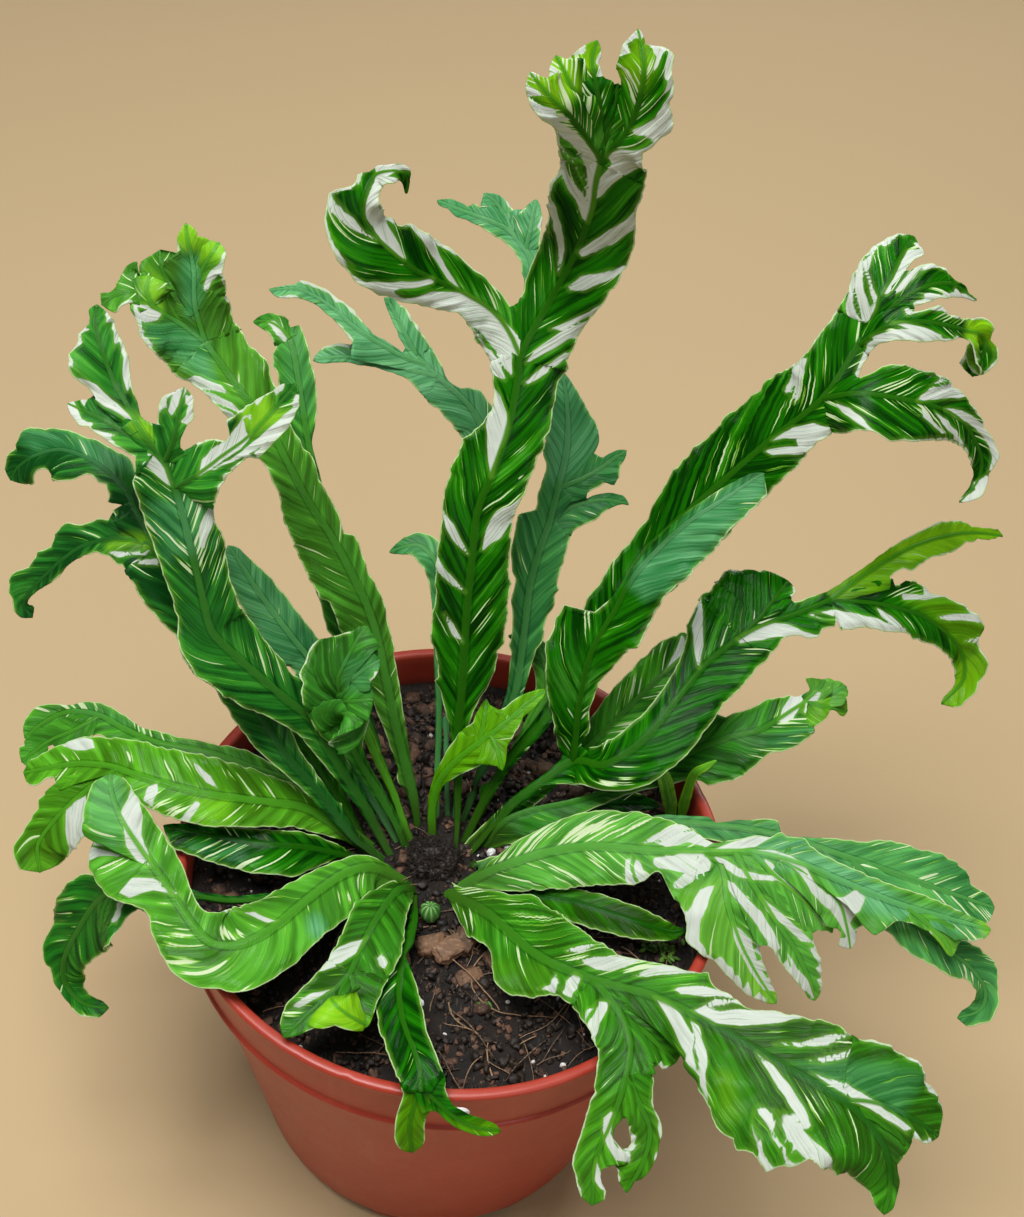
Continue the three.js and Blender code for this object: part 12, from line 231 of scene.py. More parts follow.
        [(-91.7,42.9,252.4,0.555,-0.312,-0.771,0.5,0.5,9,9,-0.4,-0.5), (-89.6,43.3,253.8,0.552,-0.351,-0.756,2.5,3.8,9,9,-0.5,-0.8), (-87.4,43.7,255.2,0.555,-0.438,-0.707,4.8,7,9,9,-0.5,-0.8), (-85.3,44.2,256.6,0.574,-0.533,-0.621,6,10.4,8.6,0,-0.3,-0.5), (-83.2,45,258,0.594,-0.611,-0.524,6.8,8.4,1.1,0,-0.1,-0.1), (-81.2,45.9,259.4,0.611,-0.655,-0.445,7.8,6.9,0,0,0,0), (-79.7,46.4,260.6,0.612,-0.67,-0.419,7.4,6.3,0,0,0,0), (-78.2,47,261.9,0.58,-0.689,-0.435,6.7,5.8,0,0,0,0), (-76.7,47.4,263.1,0.547,-0.706,-0.449,5.3,5.6,0,0,0,0), (-75.1,47.8,264.4,0.534,-0.713,-0.454,3.2,5.4,0,0,0,0), (-73.6,48.2,265.6,0.543,-0.709,-0.45,3.4,4.9,0,0,0,0), (-72,48.6,266.9,0.574,-0.692,-0.437,8.2,4.8,0,0,0,0), (-70.5,49.1,268.2,0.618,-0.667,-0.417,8.1,7,0,0,0,0), (-69.1,49.6,269.6,0.659,-0.639,-0.397,7.9,6.9,0,0,0,0), (-67.8,50.1,271,0.69,-0.614,-0.383,7.5,7,0,0,0,0), (-66.5,50.8,272.4,0.713,-0.592,-0.375,7.1,6.9,0,0,0,0), (-65.2,51.5,273.8,0.733,-0.571,-0.37,6.7,6.7,0,0,0,0), (-63.9,52.3,275.2,0.754,-0.548,-0.362,6.1,6.6,0,0,0,0), (-62.7,53.3,276.4,0.772,-0.528,-0.354,5.5,6.6,0,0,0,0), (-61.4,54.3,277.7,0.781,-0.517,-0.35,4.7,6,0,0,0,0), (-60.2,55.3,279,0.787,-0.51,-0.346,4,5.4,0,0,0,0), (-59,56.2,280.3,0.796,-0.501,-0.338,3.4,4.9,0,0,0,0), (-57.8,57.2,281.6,0.803,-0.495,-0.333,2.8,3,0,0,0,0), (-56.7,58.2,283,0.803,-0.494,-0.333,0.3,0.3,0,0,0,0)],
    ],
    "frond_upper_left_outer": [
        [(-25.1,0,132.4,0.479,0.832,0.281,0.3,2.7,0,0,0,0), (-26.8,0.4,134,0.473,0.834,0.285,0.3,2.7,0,0,0,0), (-28.5,0.9,135.6,0.474,0.832,0.289,0.3,2.7,0,0,0,0), (-30.2,1.3,137.2,0.501,0.818,0.281,0.3,2.7,0,0,0,0), (-31.9,1.8,138.8,0.554,0.79,0.263,0.6,2.6,0,0,0,0), (-33.5,2.5,140.5,0.615,0.752,0.238,1,2.3,0,0,0,0), (-35,3.3,142.2,0.666,0.714,0.216,1.2,2.4,0,0,0,0), (-36.4,4.2,143.8,0.693,0.691,0.205,1.4,2.4,0,0,0,0), (-37.8,5.1,145.6,0.696,0.689,0.204,1.8,2.3,0,0,0,0), (-39.2,6,147.3,0.679,0.703,0.211,2.1,2.3,0,0,0,0), (-40.6,6.7,149.1,0.649,0.727,0.224,2.4,3.6,0,0,0,0), (-42,7.4,150.9,0.623,0.747,0.233,2.6,2.5,0,0,0,0), (-43.4,7.9,152.8,0.604,0.761,0.236,2.8,2.7,0,0,0,0), (-44.7,8.4,154.6,0.59,0.771,0.24,3,2.8,0,0,0,0), (-46.1,8.9,156.5,0.578,0.779,0.241,3.1,3.1,0,0,0,0), (-47.6,9.3,158.4,0.561,0.79,0.248,3.3,3.3,0,0,0,0), (-49,9.7,160.2,0.535,0.803,0.263,3.5,3.6,0,0,0,0), (-50.5,10.1,162.1,0.523,0.807,0.272,3.7,3.9,0,0,0,0), (-52,10.5,163.9,0.543,0.797,0.265,3.9,4.1,0,0,0,0), (-53.5,10.9,165.7,0.589,0.77,0.244,4.1,4.3,0,0,0,0), (-54.9,11.6,167.5,0.638,0.737,0.222,4.6,4.3,0,0,0,0), (-56.3,12.3,169.3,0.673,0.71,0.209,5.1,4.8,0,0,0,0), (-57.7,13.1,171.1,0.693,0.692,0.202,5.6,5.1,0,0,0,0), (-59,13.9,172.9,0.704,0.682,0.198,6.2,5.5,0,0,0,0), (-60.3,14.8,174.7,0.706,0.68,0.196,6.8,5.8,0,0,0,0), (-61.6,15.6,176.5,0.703,0.683,0.197,7.2,6.2,0,0,0,0), (-62.9,16.4,178.4,0.698,0.688,0.198,7.3,6.6,0,0,0,0), (-64.1,17.1,180.3,0.698,0.689,0.196,7.5,6.6,0,0,0,0), (-65.3,17.7,182.3,0.702,0.686,0.194,7.7,6.5,0,0,0,0), (-66.5,18.4,184.2,0.71,0.677,0.195,7.7,6.5,0,0,0,0), (-67.8,19.2,186.1,0.72,0.665,0.198,7.8,6.5,0,0,0,0), (-69.2,20.3,187.6,0.73,0.653,0.202,7.5,6.6,0,0,0,0), (-70.7,21.6,189,0.738,0.643,0.204,7.6,6.8,0,0,0,0), (-72.3,23,190.1,0.74,0.64,0.207,7.2,7,0,0,0,0), (-73.8,24.4,191.2,0.735,0.645,0.209,7.1,7.2,0,0,0,0), (-75.4,25.8,192.4,0.724,0.656,0.21,7.7,7.5,0,0,0,0), (-76.9,27,193.8,0.704,0.677,0.214,8.6,7.8,0,0,0,0), (-78.4,28,195.4,0.676,0.702,0.223,9.5,8.1,0,0,0,0), (-79.8,28.8,197.1,0.655,0.72,0.23,9.9,8.4,0,0,0,0), (-81.3,29.5,198.9,0.649,0.725,0.23,9.8,8.7,0,0,0,0), (-82.7,30.2,200.7,0.66,0.717,0.224,9.5,9,0,0,0,0), (-84,30.9,202.5,0.685,0.697,0.211,8.6,9.2,0,0,0,0), (-85.4,31.8,204.3,0.717,0.67,0.194,7.5,9.2,0,0,0,0), (-86.7,32.8,206,0.742,0.646,0.181,7.1,9.5,0,0,0,0), (-88,33.8,207.8,0.758,0.628,0.174,8.3,9.4,0,0,0,0), (-89.2,34.9,209.5,0.768,0.618,0.169,8.9,9.3,0,0,0,0), (-90.5,35.9,211.2,0.772,0.613,0.167,9.5,9.4,0,0,0,0), (-91.7,37,212.9,0.77,0.615,0.169,9.9,9.5,0,0,0,0), (-93,38.1,214.6,0.766,0.619,0.174,10.4,9.4,0,0,0,0), (-94.3,39.2,216.3,0.765,0.62,0.176,10.5,9.4,0,0,0,0), (-95.5,40.3,218,0.77,0.614,0.174,10.7,9.1,0,0,0,0), (-96.8,41.5,219.7,0.781,0.602,0.168,10.7,8.9,0,0,0,0), (-98.1,42.7,221.3,0.797,0.583,0.158,11,8.6,0,0,-0.1,0), (-99.3,44,222.9,0.818,0.557,0.143,10,8.3,1.7,0,-0.2,0), (-100.4,45.3,224.5,0.834,0.536,0.132,4,8.1,7.7,0,-0.2,0), (-101.6,46.8,226,0.839,0.529,0.129,1,7.9,9,0,-0.2,0), (-102.7,48.2,227.5,0.833,0.537,0.137,2,7.7,9,0,-0.4,0), (-103.9,49.7,229,0.817,0.556,0.153,3.2,7.5,9,0,-0.6,0), (-105.2,51.2,230.3,0.8,0.576,0.169,4.5,7.2,9,0,-0.5,0), (-106.6,52.7,231.6,0.79,0.586,0.178,5.8,6.7,6.4,0,-0.3,0), (-108,54.2,232.8,0.788,0.588,0.18,6,0.5,0,5.5,-0.1,0), (-109.4,55.7,234,0.79,0.587,0.178,5.9,0.8,0,4.8,0,0)],
        [(-106.9,52.9,231.8,0.847,0.518,0.123,6.2,6.5,5,0,0,0), (-107.9,54.3,232.8,0.852,0.509,0.118,0.5,6,5.6,0,0,0), (-108.8,55.7,233.8,0.851,0.512,0.122,0.8,5.4,5.6,0,0,0), (-109.8,57.1,234.7,0.821,0.549,0.153,3.2,5.3,3.2,0,0,0), (-111,58.5,235.7,0.763,0.613,0.204,6.3,5.5,0,0,0,0), (-112.3,59.7,236.5,0.706,0.665,0.246,4.9,6,0,0,0,0), (-113.8,60.8,237.2,0.663,0.696,0.274,4.3,6.6,0,0,0,0), (-115.3,61.9,237.9,0.626,0.721,0.298,3.2,7.4,0,0,0,0), (-116.9,63,238.5,0.599,0.736,0.316,4.4,7.8,0,0,0,0), (-118.5,64.1,239,0.575,0.747,0.332,4.3,7.3,0,0,0,0), (-120.1,65.1,239.4,0.546,0.761,0.351,3.9,6.9,0,0,0,0), (-121.8,66.1,239.7,0.507,0.777,0.372,4.6,6.7,0,0,0,0), (-123.5,67.1,239.9,0.464,0.794,0.393,7.7,6.6,0,0,0,0), (-125.3,68,240,0.424,0.807,0.412,9.3,6.7,0,0,0,0), (-127.1,68.9,240,0.396,0.812,0.428,10,6.5,0,0,0,0), (-128.9,69.8,239.9,0.365,0.817,0.446,10.5,6.2,0,0,0,0), (-130.7,70.7,239.7,0.31,0.827,0.469,10.5,6.4,0,0,0,0), (-132.5,71.4,239.4,0.21,0.843,0.495,10.5,6.3,0,0,0,0), (-134.4,72,239.1,0.059,0.855,0.516,10.3,6.6,0,0,0,0), (-136.3,72.2,238.6,-0.101,0.846,0.523,10.1,7.3,0,0,0,0), (-138.2,72.2,238,-0.224,0.823,0.523,7.4,7,0,0,0,0), (-140.1,72,237.3,-0.301,0.799,0.521,5.6,8.3,0,0,0,0), (-141.9,71.7,236.5,-0.347,0.78,0.521,5,9.3,0,0,0,0), (-143.6,71.6,235.6,-0.395,0.758,0.518,5,9.2,0,0,0,0), (-145.2,71.4,234.4,-0.461,0.731,0.503,5.6,8.1,0,0,0,0), (-146.7,71.3,233.1,-0.531,0.692,0.488,7.3,5.2,0,0,0,0), (-148.2,71.1,231.7,-0.618,0.633,0.466,7.2,5.2,0,0,0,0), (-149.5,70.7,230.3,-0.752,0.534,0.387,6.8,4.3,0,0,0,0), (-150.4,70.1,228.7,-0.851,0.427,0.306,5.7,3.1,0,0,0,0), (-151.3,69.4,227,-0.879,0.368,0.303,0.3,0.3,0,0,0,0)],
        [(-101.1,46.2,225.4,0.21,0.804,0.556,0.8,0.8,9,9,0.2,0.2), (-103,46.4,225.8,0.207,0.808,0.552,5,1.2,8.6,9,0.2,0.3), (-105,46.7,226.1,0.166,0.818,0.55,8.8,2.2,3.6,9,0.2,0.5), (-106.9,47,226.2,0.103,0.83,0.548,11.3,3.2,0,9,0.1,0.8), (-108.9,47.2,226,0.061,0.842,0.535,8.4,4.5,0,9,0,1.1), (-110.9,47.5,225.7,0.011,0.853,0.521,8.4,5.8,0,9,0,1.4), (-112.8,47.7,225.4,-0.058,0.86,0.506,7.1,7,0,4.2,0,1.1), (-114.7,47.8,224.9,-0.119,0.861,0.495,5.7,6.1,0,0,0,0.6), (-116.5,47.8,224.2,-0.166,0.853,0.495,5,6.7,0,0,0,0.1), (-118.4,47.9,223.5,-0.202,0.844,0.497,3.9,7.2,0,0,0,0), (-120.2,47.9,222.7,-0.238,0.834,0.498,3.2,6.7,0,0,0,0), (-121.9,47.8,221.8,-0.284,0.82,0.497,3.4,6.3,0,0,0,0), (-123.7,47.7,220.9,-0.347,0.799,0.49,3,7,0,0,0,0), (-125.3,47.6,219.8,-0.425,0.772,0.474,3.1,8.8,0,0,0,0), (-126.9,47.4,218.6,-0.491,0.743,0.455,2.8,10,0,0,0,0), (-128.3,47.1,217.3,-0.527,0.722,0.447,2.5,8.6,0,0,0,0), (-129.8,46.8,216,-0.545,0.709,0.447,2.7,8.6,0,0,0,0), (-131.2,46.6,214.7,-0.567,0.696,0.44,3,5.5,0,0,0,0), (-132.6,46.3,213.3,-0.591,0.683,0.429,3.2,6.2,0,0,0,0), (-133.9,45.9,211.9,-0.606,0.674,0.423,3.4,7.2,0,0,0,0), (-135.2,45.6,210.5,-0.613,0.669,0.421,3.4,7.4,0,0,0,0), (-136.5,45.4,209,-0.616,0.666,0.421,3,6.9,0,0,0,0), (-137.8,45.1,207.6,-0.623,0.661,0.42,2.6,6.1,0,0,0,0), (-139.1,44.8,206.1,-0.638,0.649,0.414,2.1,6,0,0,0,0), (-140.3,44.6,204.6,-0.665,0.631,0.4,1.7,6.9,0,0,0,0), (-141.5,44.3,203,-0.697,0.605,0.384,1.4,7.9,0,0,0,0), (-142.6,44,201.4,-0.741,0.554,0.38,1,8.3,0,0,0,0), (-143.6,43.7,199.7,-0.839,0.396,0.374,0.8,6.8,0,0,0,0), (-144.4,43.4,198,-0.972,0.025,0.234,0.9,3.6,0,0,0,0), (-144.5,42.9,196.1,-0.882,-0.459,-0.107,2.4,3.2,0,0,0,0), (-143.5,42.4,194.5,-0.657,-0.716,-0.234,2.3,2.6,0,0,0,0), (-142.3,41.9,193,-0.591,-0.779,-0.208,0.3,0.3,0,0,0,0)],
    ],
    "leaf_upper_left_narrow": [
        [(-31.9,10.4,132.6,0.774,0.606,0.183,1.2,1.2,0,0,0,0), (-33.2,11.5,134.2,0.776,0.605,0.181,1.4,1.4,0,0,0,0), (-34.4,12.6,135.9,0.774,0.607,0.18,1.6,1.6,0,0,0,0), (-35.7,13.7,137.5,0.763,0.62,0.184,1.7,1.7,0,0,0,0), (-37,14.8,139.2,0.742,0.642,0.194,1.9,1.9,0,0,0,0), (-38.3,15.7,140.9,0.715,0.668,0.207,2.3,2.3,0,0,0,0), (-39.6,16.5,142.7,0.694,0.687,0.216,2.7,2.7,0,0,0,0), (-41,17.3,144.5,0.686,0.694,0.219,3.2,3.2,0,0,0,0), (-42.3,18.1,146.2,0.691,0.69,0.217,3.7,3.7,0,0,0,0), (-43.6,18.9,148,0.707,0.675,0.209,4.2,4.2,0,0,0,0), (-45,19.8,149.7,0.728,0.656,0.199,4.5,4.5,0,0,0,0), (-46.3,20.8,151.4,0.743,0.641,0.194,4.6,4.6,0,0,0,0), (-47.6,21.9,153,0.752,0.631,0.191,4.8,4.8,0,0,0,0), (-48.9,22.9,154.6,0.756,0.627,0.188,4.9,4.9,0,0,0,0), (-50.2,24,156.3,0.755,0.629,0.186,5,5,0,0,0,0), (-51.4,24.9,158.1,0.753,0.632,0.185,4.8,4.8,0,0,0,0), (-52.5,25.7,160,0.756,0.629,0.183,4.6,4.6,0,0,0,0), (-53.7,26.5,161.9,0.769,0.614,0.179,4.3,4.3,0,0,0,0), (-54.8,27.4,163.7,0.792,0.586,0.17,4,4,0,0,0,0), (-56,28.7,165.3,0.818,0.553,0.16,3.1,3.1,0,0,0,0), (-57.2,30.2,166.7,0.831,0.534,0.157,2,2,0,0,0,0), (-58.4,31.7,168,0.832,0.53,0.16,0.3,0.3,0,0,0,0)],
    ],
    "frond_crested_yellow": [
        [(-13.1,17.3,132.6,0.968,0.241,0.072,1.1,1.1,0,0,0,0), (-13.4,18,134.9,0.968,0.244,0.067,1.2,1.1,0,0,0,0), (-13.7,18.7,137.2,0.962,0.265,0.069,1.4,1.1,0,0,0,0), (-14.2,19.4,139.4,0.947,0.308,0.086,1.5,1.2,0,0,0,0), (-14.7,20.3,141.5,0.93,0.352,0.101,1.7,1.5,0,0,0,0), (-15.3,21.3,143.6,0.919,0.38,0.109,1.9,1.6,0,0,0,0), (-16,22.4,145.6,0.913,0.393,0.113,2.3,1.7,0,0,0,0), (-16.7,23.5,147.6,0.91,0.399,0.115,3.9,1.8,0,0,0,0), (-17.5,24.6,149.6,0.909,0.401,0.115,3.9,1.9,0,0,0,0), (-18.2,25.6,151.7,0.909,0.402,0.113,2.6,2.1,0,0,0,0), (-18.9,26.6,153.7,0.908,0.403,0.11,2.8,2.2,0,0,0,0), (-19.6,27.6,155.8,0.907,0.407,0.11,3,2.4,0,0,0,0), (-20.2,28.5,157.9,0.905,0.41,0.111,3.2,2.6,0,0,0,0), (-20.9,29.3,160.1,0.907,0.407,0.11,3.6,2.7,0,0,0,0), (-21.5,30.2,162.2,0.911,0.398,0.107,3.6,2.9,0,0,0,0), (-22.2,31.1,164.3,0.918,0.384,0.103,3.8,3,0,0,0,0), (-22.8,32.1,166.4,0.925,0.367,0.098,4.1,3.2,0,0,0,0), (-23.4,33.1,168.5,0.931,0.352,0.094,4.5,3.3,0,0,0,0), (-24,34.2,170.5,0.936,0.341,0.091,5,3.4,0,0,0,0), (-24.6,35.4,172.5,0.937,0.336,0.09,5.4,3.6,0,0,0,0), (-25.2,36.5,174.6,0.937,0.336,0.09,5.9,3.7,0,0,0,0), (-25.8,37.6,176.6,0.936,0.34,0.092,6.3,3.8,0,0,0,0), (-26.4,38.7,178.6,0.933,0.347,0.096,6.8,3.9,0,0,0,0), (-27.1,39.8,180.6,0.931,0.351,0.098,7.3,4.1,0,0,0,0), (-27.7,40.9,182.7,0.932,0.35,0.096,7.8,4.1,0,0,0,0), (-28.3,42,184.7,0.933,0.347,0.093,8.3,4.1,0,0,0,0), (-28.9,43.1,186.7,0.932,0.349,0.094,8.8,4.1,0,0,0,0), (-29.5,44.2,188.8,0.929,0.358,0.096,9.3,4.8,0,0,0,0), (-30.2,45.3,190.8,0.923,0.372,0.101,9.7,4.6,0,0,0,0), (-30.8,46.4,192.9,0.913,0.394,0.109,10.2,4.5,0,0,0,0), (-31.5,47.4,194.9,0.898,0.424,0.12,10.5,4.5,0,0,0,0), (-32.3,48.3,196.9,0.877,0.461,0.135,10.8,4.8,0,0,0,0), (-33.2,49.2,199,0.852,0.501,0.153,11,5.4,0,0,0,0), (-34.1,50,201.1,0.826,0.538,0.169,11.1,5.6,0,0,0,0), (-35,50.8,203.1,0.802,0.568,0.183,11.1,5.6,0,0,0,0), (-36,51.5,205.2,0.783,0.591,0.195,11.1,5.4,0,0,0,0), (-37.1,52.2,207.2,0.771,0.604,0.202,11,5.4,0,0,0,0), (-38.2,52.9,209.2,0.766,0.609,0.204,10.9,5,0,0,0,0), (-39.3,53.6,211.2,0.766,0.61,0.204,13,5.1,0,0,0,0), (-40.4,54.3,213.2,0.764,0.611,0.206,13,5.5,0,0,0,0), (-41.5,55,215.2,0.758,0.617,0.212,12.9,5.6,0,0,0,0), (-42.7,55.8,217.2,0.75,0.625,0.218,12.9,6.2,0,0,0,0), (-43.8,56.5,219.1,0.741,0.634,0.223,12.8,6.8,0,0,0,0), (-45.1,57.2,221,0.73,0.644,0.227,12.3,7,0,0,0,0), (-46.3,57.9,223,0.716,0.659,0.232,12.2,4.1,0,0,0,0), (-47.5,58.5,224.9,0.691,0.681,0.243,11.9,4.6,0,0,0,0), (-48.8,59,226.9,0.656,0.707,0.264,11.7,5.5,0,0,0,0), (-50.1,59.5,228.8,0.631,0.723,0.281,11.4,6.2,0,0,0,0), (-51.5,59.8,230.8,0.635,0.721,0.277,10.7,6.6,0,0,0,0), (-52.7,60.3,232.7,0.664,0.703,0.254,10.3,6.8,0,0,0,0), (-54,60.8,234.8,0.694,0.68,0.236,9.7,6.8,0,0,0,0), (-55.1,61.3,236.8,0.719,0.657,0.225,8.7,6.4,0,0,0,0), (-56.3,61.9,238.8,0.743,0.633,0.217,7.9,6.4,0,0,0,0), (-57.4,62.7,240.7,0.764,0.61,0.21,7.2,6.7,0,0,0,0), (-58.6,63.5,242.6,0.781,0.59,0.204,6.9,7.3,0,0,0,0), (-59.8,64.5,244.5,0.792,0.576,0.202,6.9,7.7,0,0,0,0), (-61,65.5,246.3,0.797,0.569,0.205,6.7,7.8,0,0,0,0), (-62.2,66.6,248,0.805,0.558,0.202,6.4,6.5,0,0,0,0), (-63.4,67.8,249.7,0.813,0.548,0.196,7,6.4,0,0,0,0), (-64.6,69,251.3,0.807,0.556,0.2,8.3,6.3,0,0,0,0), (-65.9,70.2,253,0.781,0.587,0.215,7.3,6.3,0,0,0,0), (-67.3,71.3,254.7,0.728,0.639,0.247,7.7,6.4,0,0,0,0), (-68.7,72.1,256.4,0.664,0.69,0.287,7.9,6.9,0,0,0,0), (-70.2,72.6,258.2,0.627,0.715,0.31,8.1,8.1,0,0,0,0), (-71.7,73.2,260,0.636,0.709,0.306,8,8.9,0,0,0,0), (-73.3,73.9,261.6,0.677,0.678,0.286,8.1,9.7,0,0,0,0), (-74.8,75,263.1,0.713,0.646,0.273,8.4,9.9,0,0,0,0), (-76.4,76.2,264.4,0.731,0.627,0.27,8.6,10.5,0,0,0,0), (-78,77.5,265.6,0.737,0.62,0.269,9,12,0,0,0,0), (-79.5,78.8,266.9,0.735,0.623,0.269,9.3,12.2,0,0,0,0), (-81.1,80.1,268.2,0.728,0.63,0.271,9.9,12,0,0,0,0), (-82.6,81.2,269.6,0.722,0.636,0.271,10.5,11.3,0,0,0,0), (-84.1,82.4,271.1,0.72,0.639,0.27,11.1,10.9,0,0,0,0), (-85.7,83.4,272.6,0.719,0.641,0.269,13,11.2,0,0,0,0), (-87.2,84.5,274,0.719,0.641,0.269,13.3,11.2,0,0,0,0), (-88.7,85.6,275.5,0.719,0.641,0.269,1.8,11.4,9,0,0,0)],
        [(-88.7,85.6,275.5,0.868,0.489,0.088,0.8,11.8,9,0,0,0), (-89.5,86.6,277.2,0.869,0.486,0.091,1,11.1,9,0,-0.2,0), (-90.2,87.7,278.9,0.876,0.474,0.094,1.8,10.5,9,0,-0.3,0), (-90.9,88.7,280.6,0.892,0.444,0.089,2.5,10.4,9,0,-0.4,0), (-91.5,89.6,282.4,0.913,0.4,0.08,3.2,10.8,9,0,-0.4,0), (-92,90.4,284.2,0.941,0.334,0.049,1.2,10.4,9,0,-0.5,0), (-92.3,91.3,285.9,0.967,0.255,0.007,2,10.2,9,0,-0.6,0), (-92.5,92.3,287.6,0.983,0.181,-0.029,3,9.7,9,0,-0.5,0), (-92.6,93.2,289.4,0.989,0.137,-0.062,4,3.2,9,6.1,0,0), (-92.6,94.1,291.1,0.987,0.152,-0.046,5.5,0.8,9,8.3,0.5,-0.1), (-92.7,95.2,292.7,0.979,0.204,-0.01,6.5,1.2,9,7.5,0.6,-0.1), (-93,96.5,294.1,0.967,0.254,0.012,7,1.8,9,7.3,0.5,-0.1), (-93.4,97.7,295.6,0.952,0.303,0.035,7,2.5,7.6,7.5,0.5,-0.1), (-93.8,98.5,297.3,0.931,0.356,0.079,7.2,3.2,1.9,7.5,0.4,-0.1), (-94.2,99,299.2,0.922,0.373,0.104,3.7,4,0,7,0.2,-0.2), (-94.6,99.5,301.1,0.938,0.34,0.062,3.2,4.8,0,3.7,0,-0.3), (-95,100.4,302.7,0.96,0.281,0.015,2.9,3,0,0,0,-0.1), (-95.3,101.6,304.2,0.968,0.249,0.004,1.7,2.8,0,0,0,0), (-95.6,102.9,305.7,0.97,0.243,0.007,0.3,0.3,0,0,0,0)],
        [(-92.6,93.3,289.5,0.927,-0.046,-0.373,2,1.8,9,9,0,0), (-91.9,94.5,291,0.932,-0.067,-0.356,0.8,9.3,9,0,0,0), (-91.3,95.7,292.5,0.936,-0.134,-0.325,1.2,8.6,9,0,0.1,0), (-90.5,96.9,294,0.912,-0.262,-0.316,1.8,7.8,8.7,0,0,0), (-89.6,97.8,295.5,0.846,-0.405,-0.347,2.8,7.4,7.7,0,0,0), (-88.5,98.5,297,0.814,-0.445,-0.373,3.5,5.5,8.2,0,0,0), (-87.5,99.2,298.5,0.868,-0.373,-0.328,4.2,4.5,6.2,0,0,0), (-86.6,100.7,299.6,0.909,-0.283,-0.306,5,3.6,0,0,0,0), (-85.9,102.3,300.5,0.914,-0.257,-0.314,0.3,0.3,0,0,0,0)],
        [(-88.6,85.6,275.4,0.499,0.747,0.439,3.2,1.2,9,9,0,0.1), (-90.2,86,276.5,0.499,0.749,0.437,13.4,1,0,9,0,0.1), (-91.8,86.4,277.5,0.48,0.759,0.44,13,1.8,0,9,0,0.3), (-93.3,86.8,278.5,0.431,0.78,0.454,12.6,2.2,0,9,0,0.4), (-94.9,86.9,279.6,0.373,0.803,0.465,12.7,3.2,0,9,0,0.4), (-96.5,87,280.7,0.312,0.825,0.47,13,3.5,0,9,0,0.2), (-98.1,86.9,281.8,0.235,0.843,0.485,12.9,4,0,9,0,-0.1), (-99.6,86.5,283,0.179,0.846,0.502,12.6,4.5,0,9,0,-0.4), (-101,86.1,284.2,0.231,0.847,0.479,11.5,5,0,9,0,-0.5), (-102.5,85.9,285.5,0.367,0.825,0.43,9.6,5.5,0,8.9,0,-0.3), (-103.8,85.9,286.9,0.581,0.743,0.333,6.5,1.2,0,9,-0.1,-0.3), (-104.8,86.4,288.4,0.822,0.549,0.153,5,6.2,1.5,4,-0.2,-0.6), (-105.5,87.6,289.9,0.946,0.325,0.017,2.2,6.5,6.9,4.4,-0.4,-0.9), (-105.8,89,291.2,0.987,0.135,-0.092,2.2,6.8,6.1,7,-0.6,-0.9), (-105.6,90.6,292.3,0.984,-0.008,-0.178,3,6.8,4.7,9,-0.5,-0.6), (-105.4,92.3,293.2,0.978,-0.045,-0.205,0.3,0.3,0,0,-0.3,-0.3)],
        [(-91.7,89.8,282.9,0.681,0.55,0.483,1.2,1.2,9,9,0.1,0.4), (-93.5,91,284.1,0.681,0.563,0.469,3.5,1.5,9,9,0.1,0.6), (-95.4,92.2,285.3,0.683,0.592,0.428,4,2.8,9,9,0.3,1.1), (-97.3,93.8,286.3,0.693,0.626,0.358,5,4.5,9,9,0.9,1.8), (-99.3,95.6,287,0.705,0.652,0.28,6.2,6.8,7.5,9,1.6,2.5), (-101.2,97.4,287.7,0.757,0.607,0.242,6.5,8,7.3,9,1.9,3.1), (-102.2,98.4,289.2,0.816,0.543,0.198,6,8,8.6,9,1.7,3.4), (-103.1,99.1,290.9,0.858,0.488,0.161,5.8,7.5,8.9,9,1.3,3.3), (-103.8,100.1,292.6,0.938,0.344,0.039,5,7.2,4.4,7.2,0.9,2.9), (-104.2,101.6,294,0.976,0.217,-0.036,2.8,7.2,0,0.5,0.4,2), (-104.4,103.2,295.3,0.982,0.186,-0.042,0.3,0.3,0,0,0.1,1.1)],
        [(-103.6,85.9,286.7,0.697,0.697,0.169,5.8,2,0,9,0,0), (-105,87.1,287.9,0.702,0.69,0.178,4.6,5.8,0,9,0.1,-0.1), (-106.5,88.3,289,0.714,0.671,0.2,2.8,2.2,2.1,9,0.3,0), (-108.1,89.7,289.9,0.724,0.648,0.237,1,2.5,9,9,0.3,0.2), (-109.7,91.2,290.6,0.761,0.603,0.24,3.2,3.2,6.9,9,0.3,0), (-111.1,92.9,291.4,0.848,0.501,0.172,4.4,4.2,0,5.6,0.2,-0.4), (-111.9,94.4,292.5,0.987,0.159,-0.018,1.9,4.2,0,3.8,0,-0.5), (-111.4,95.4,294,0.791,-0.422,-0.444,0.9,4,0,2.9,0,0), (-109.8,95.5,295.3,0.454,-0.71,-0.538,0.3,0.3,0,0,0,0.3)],
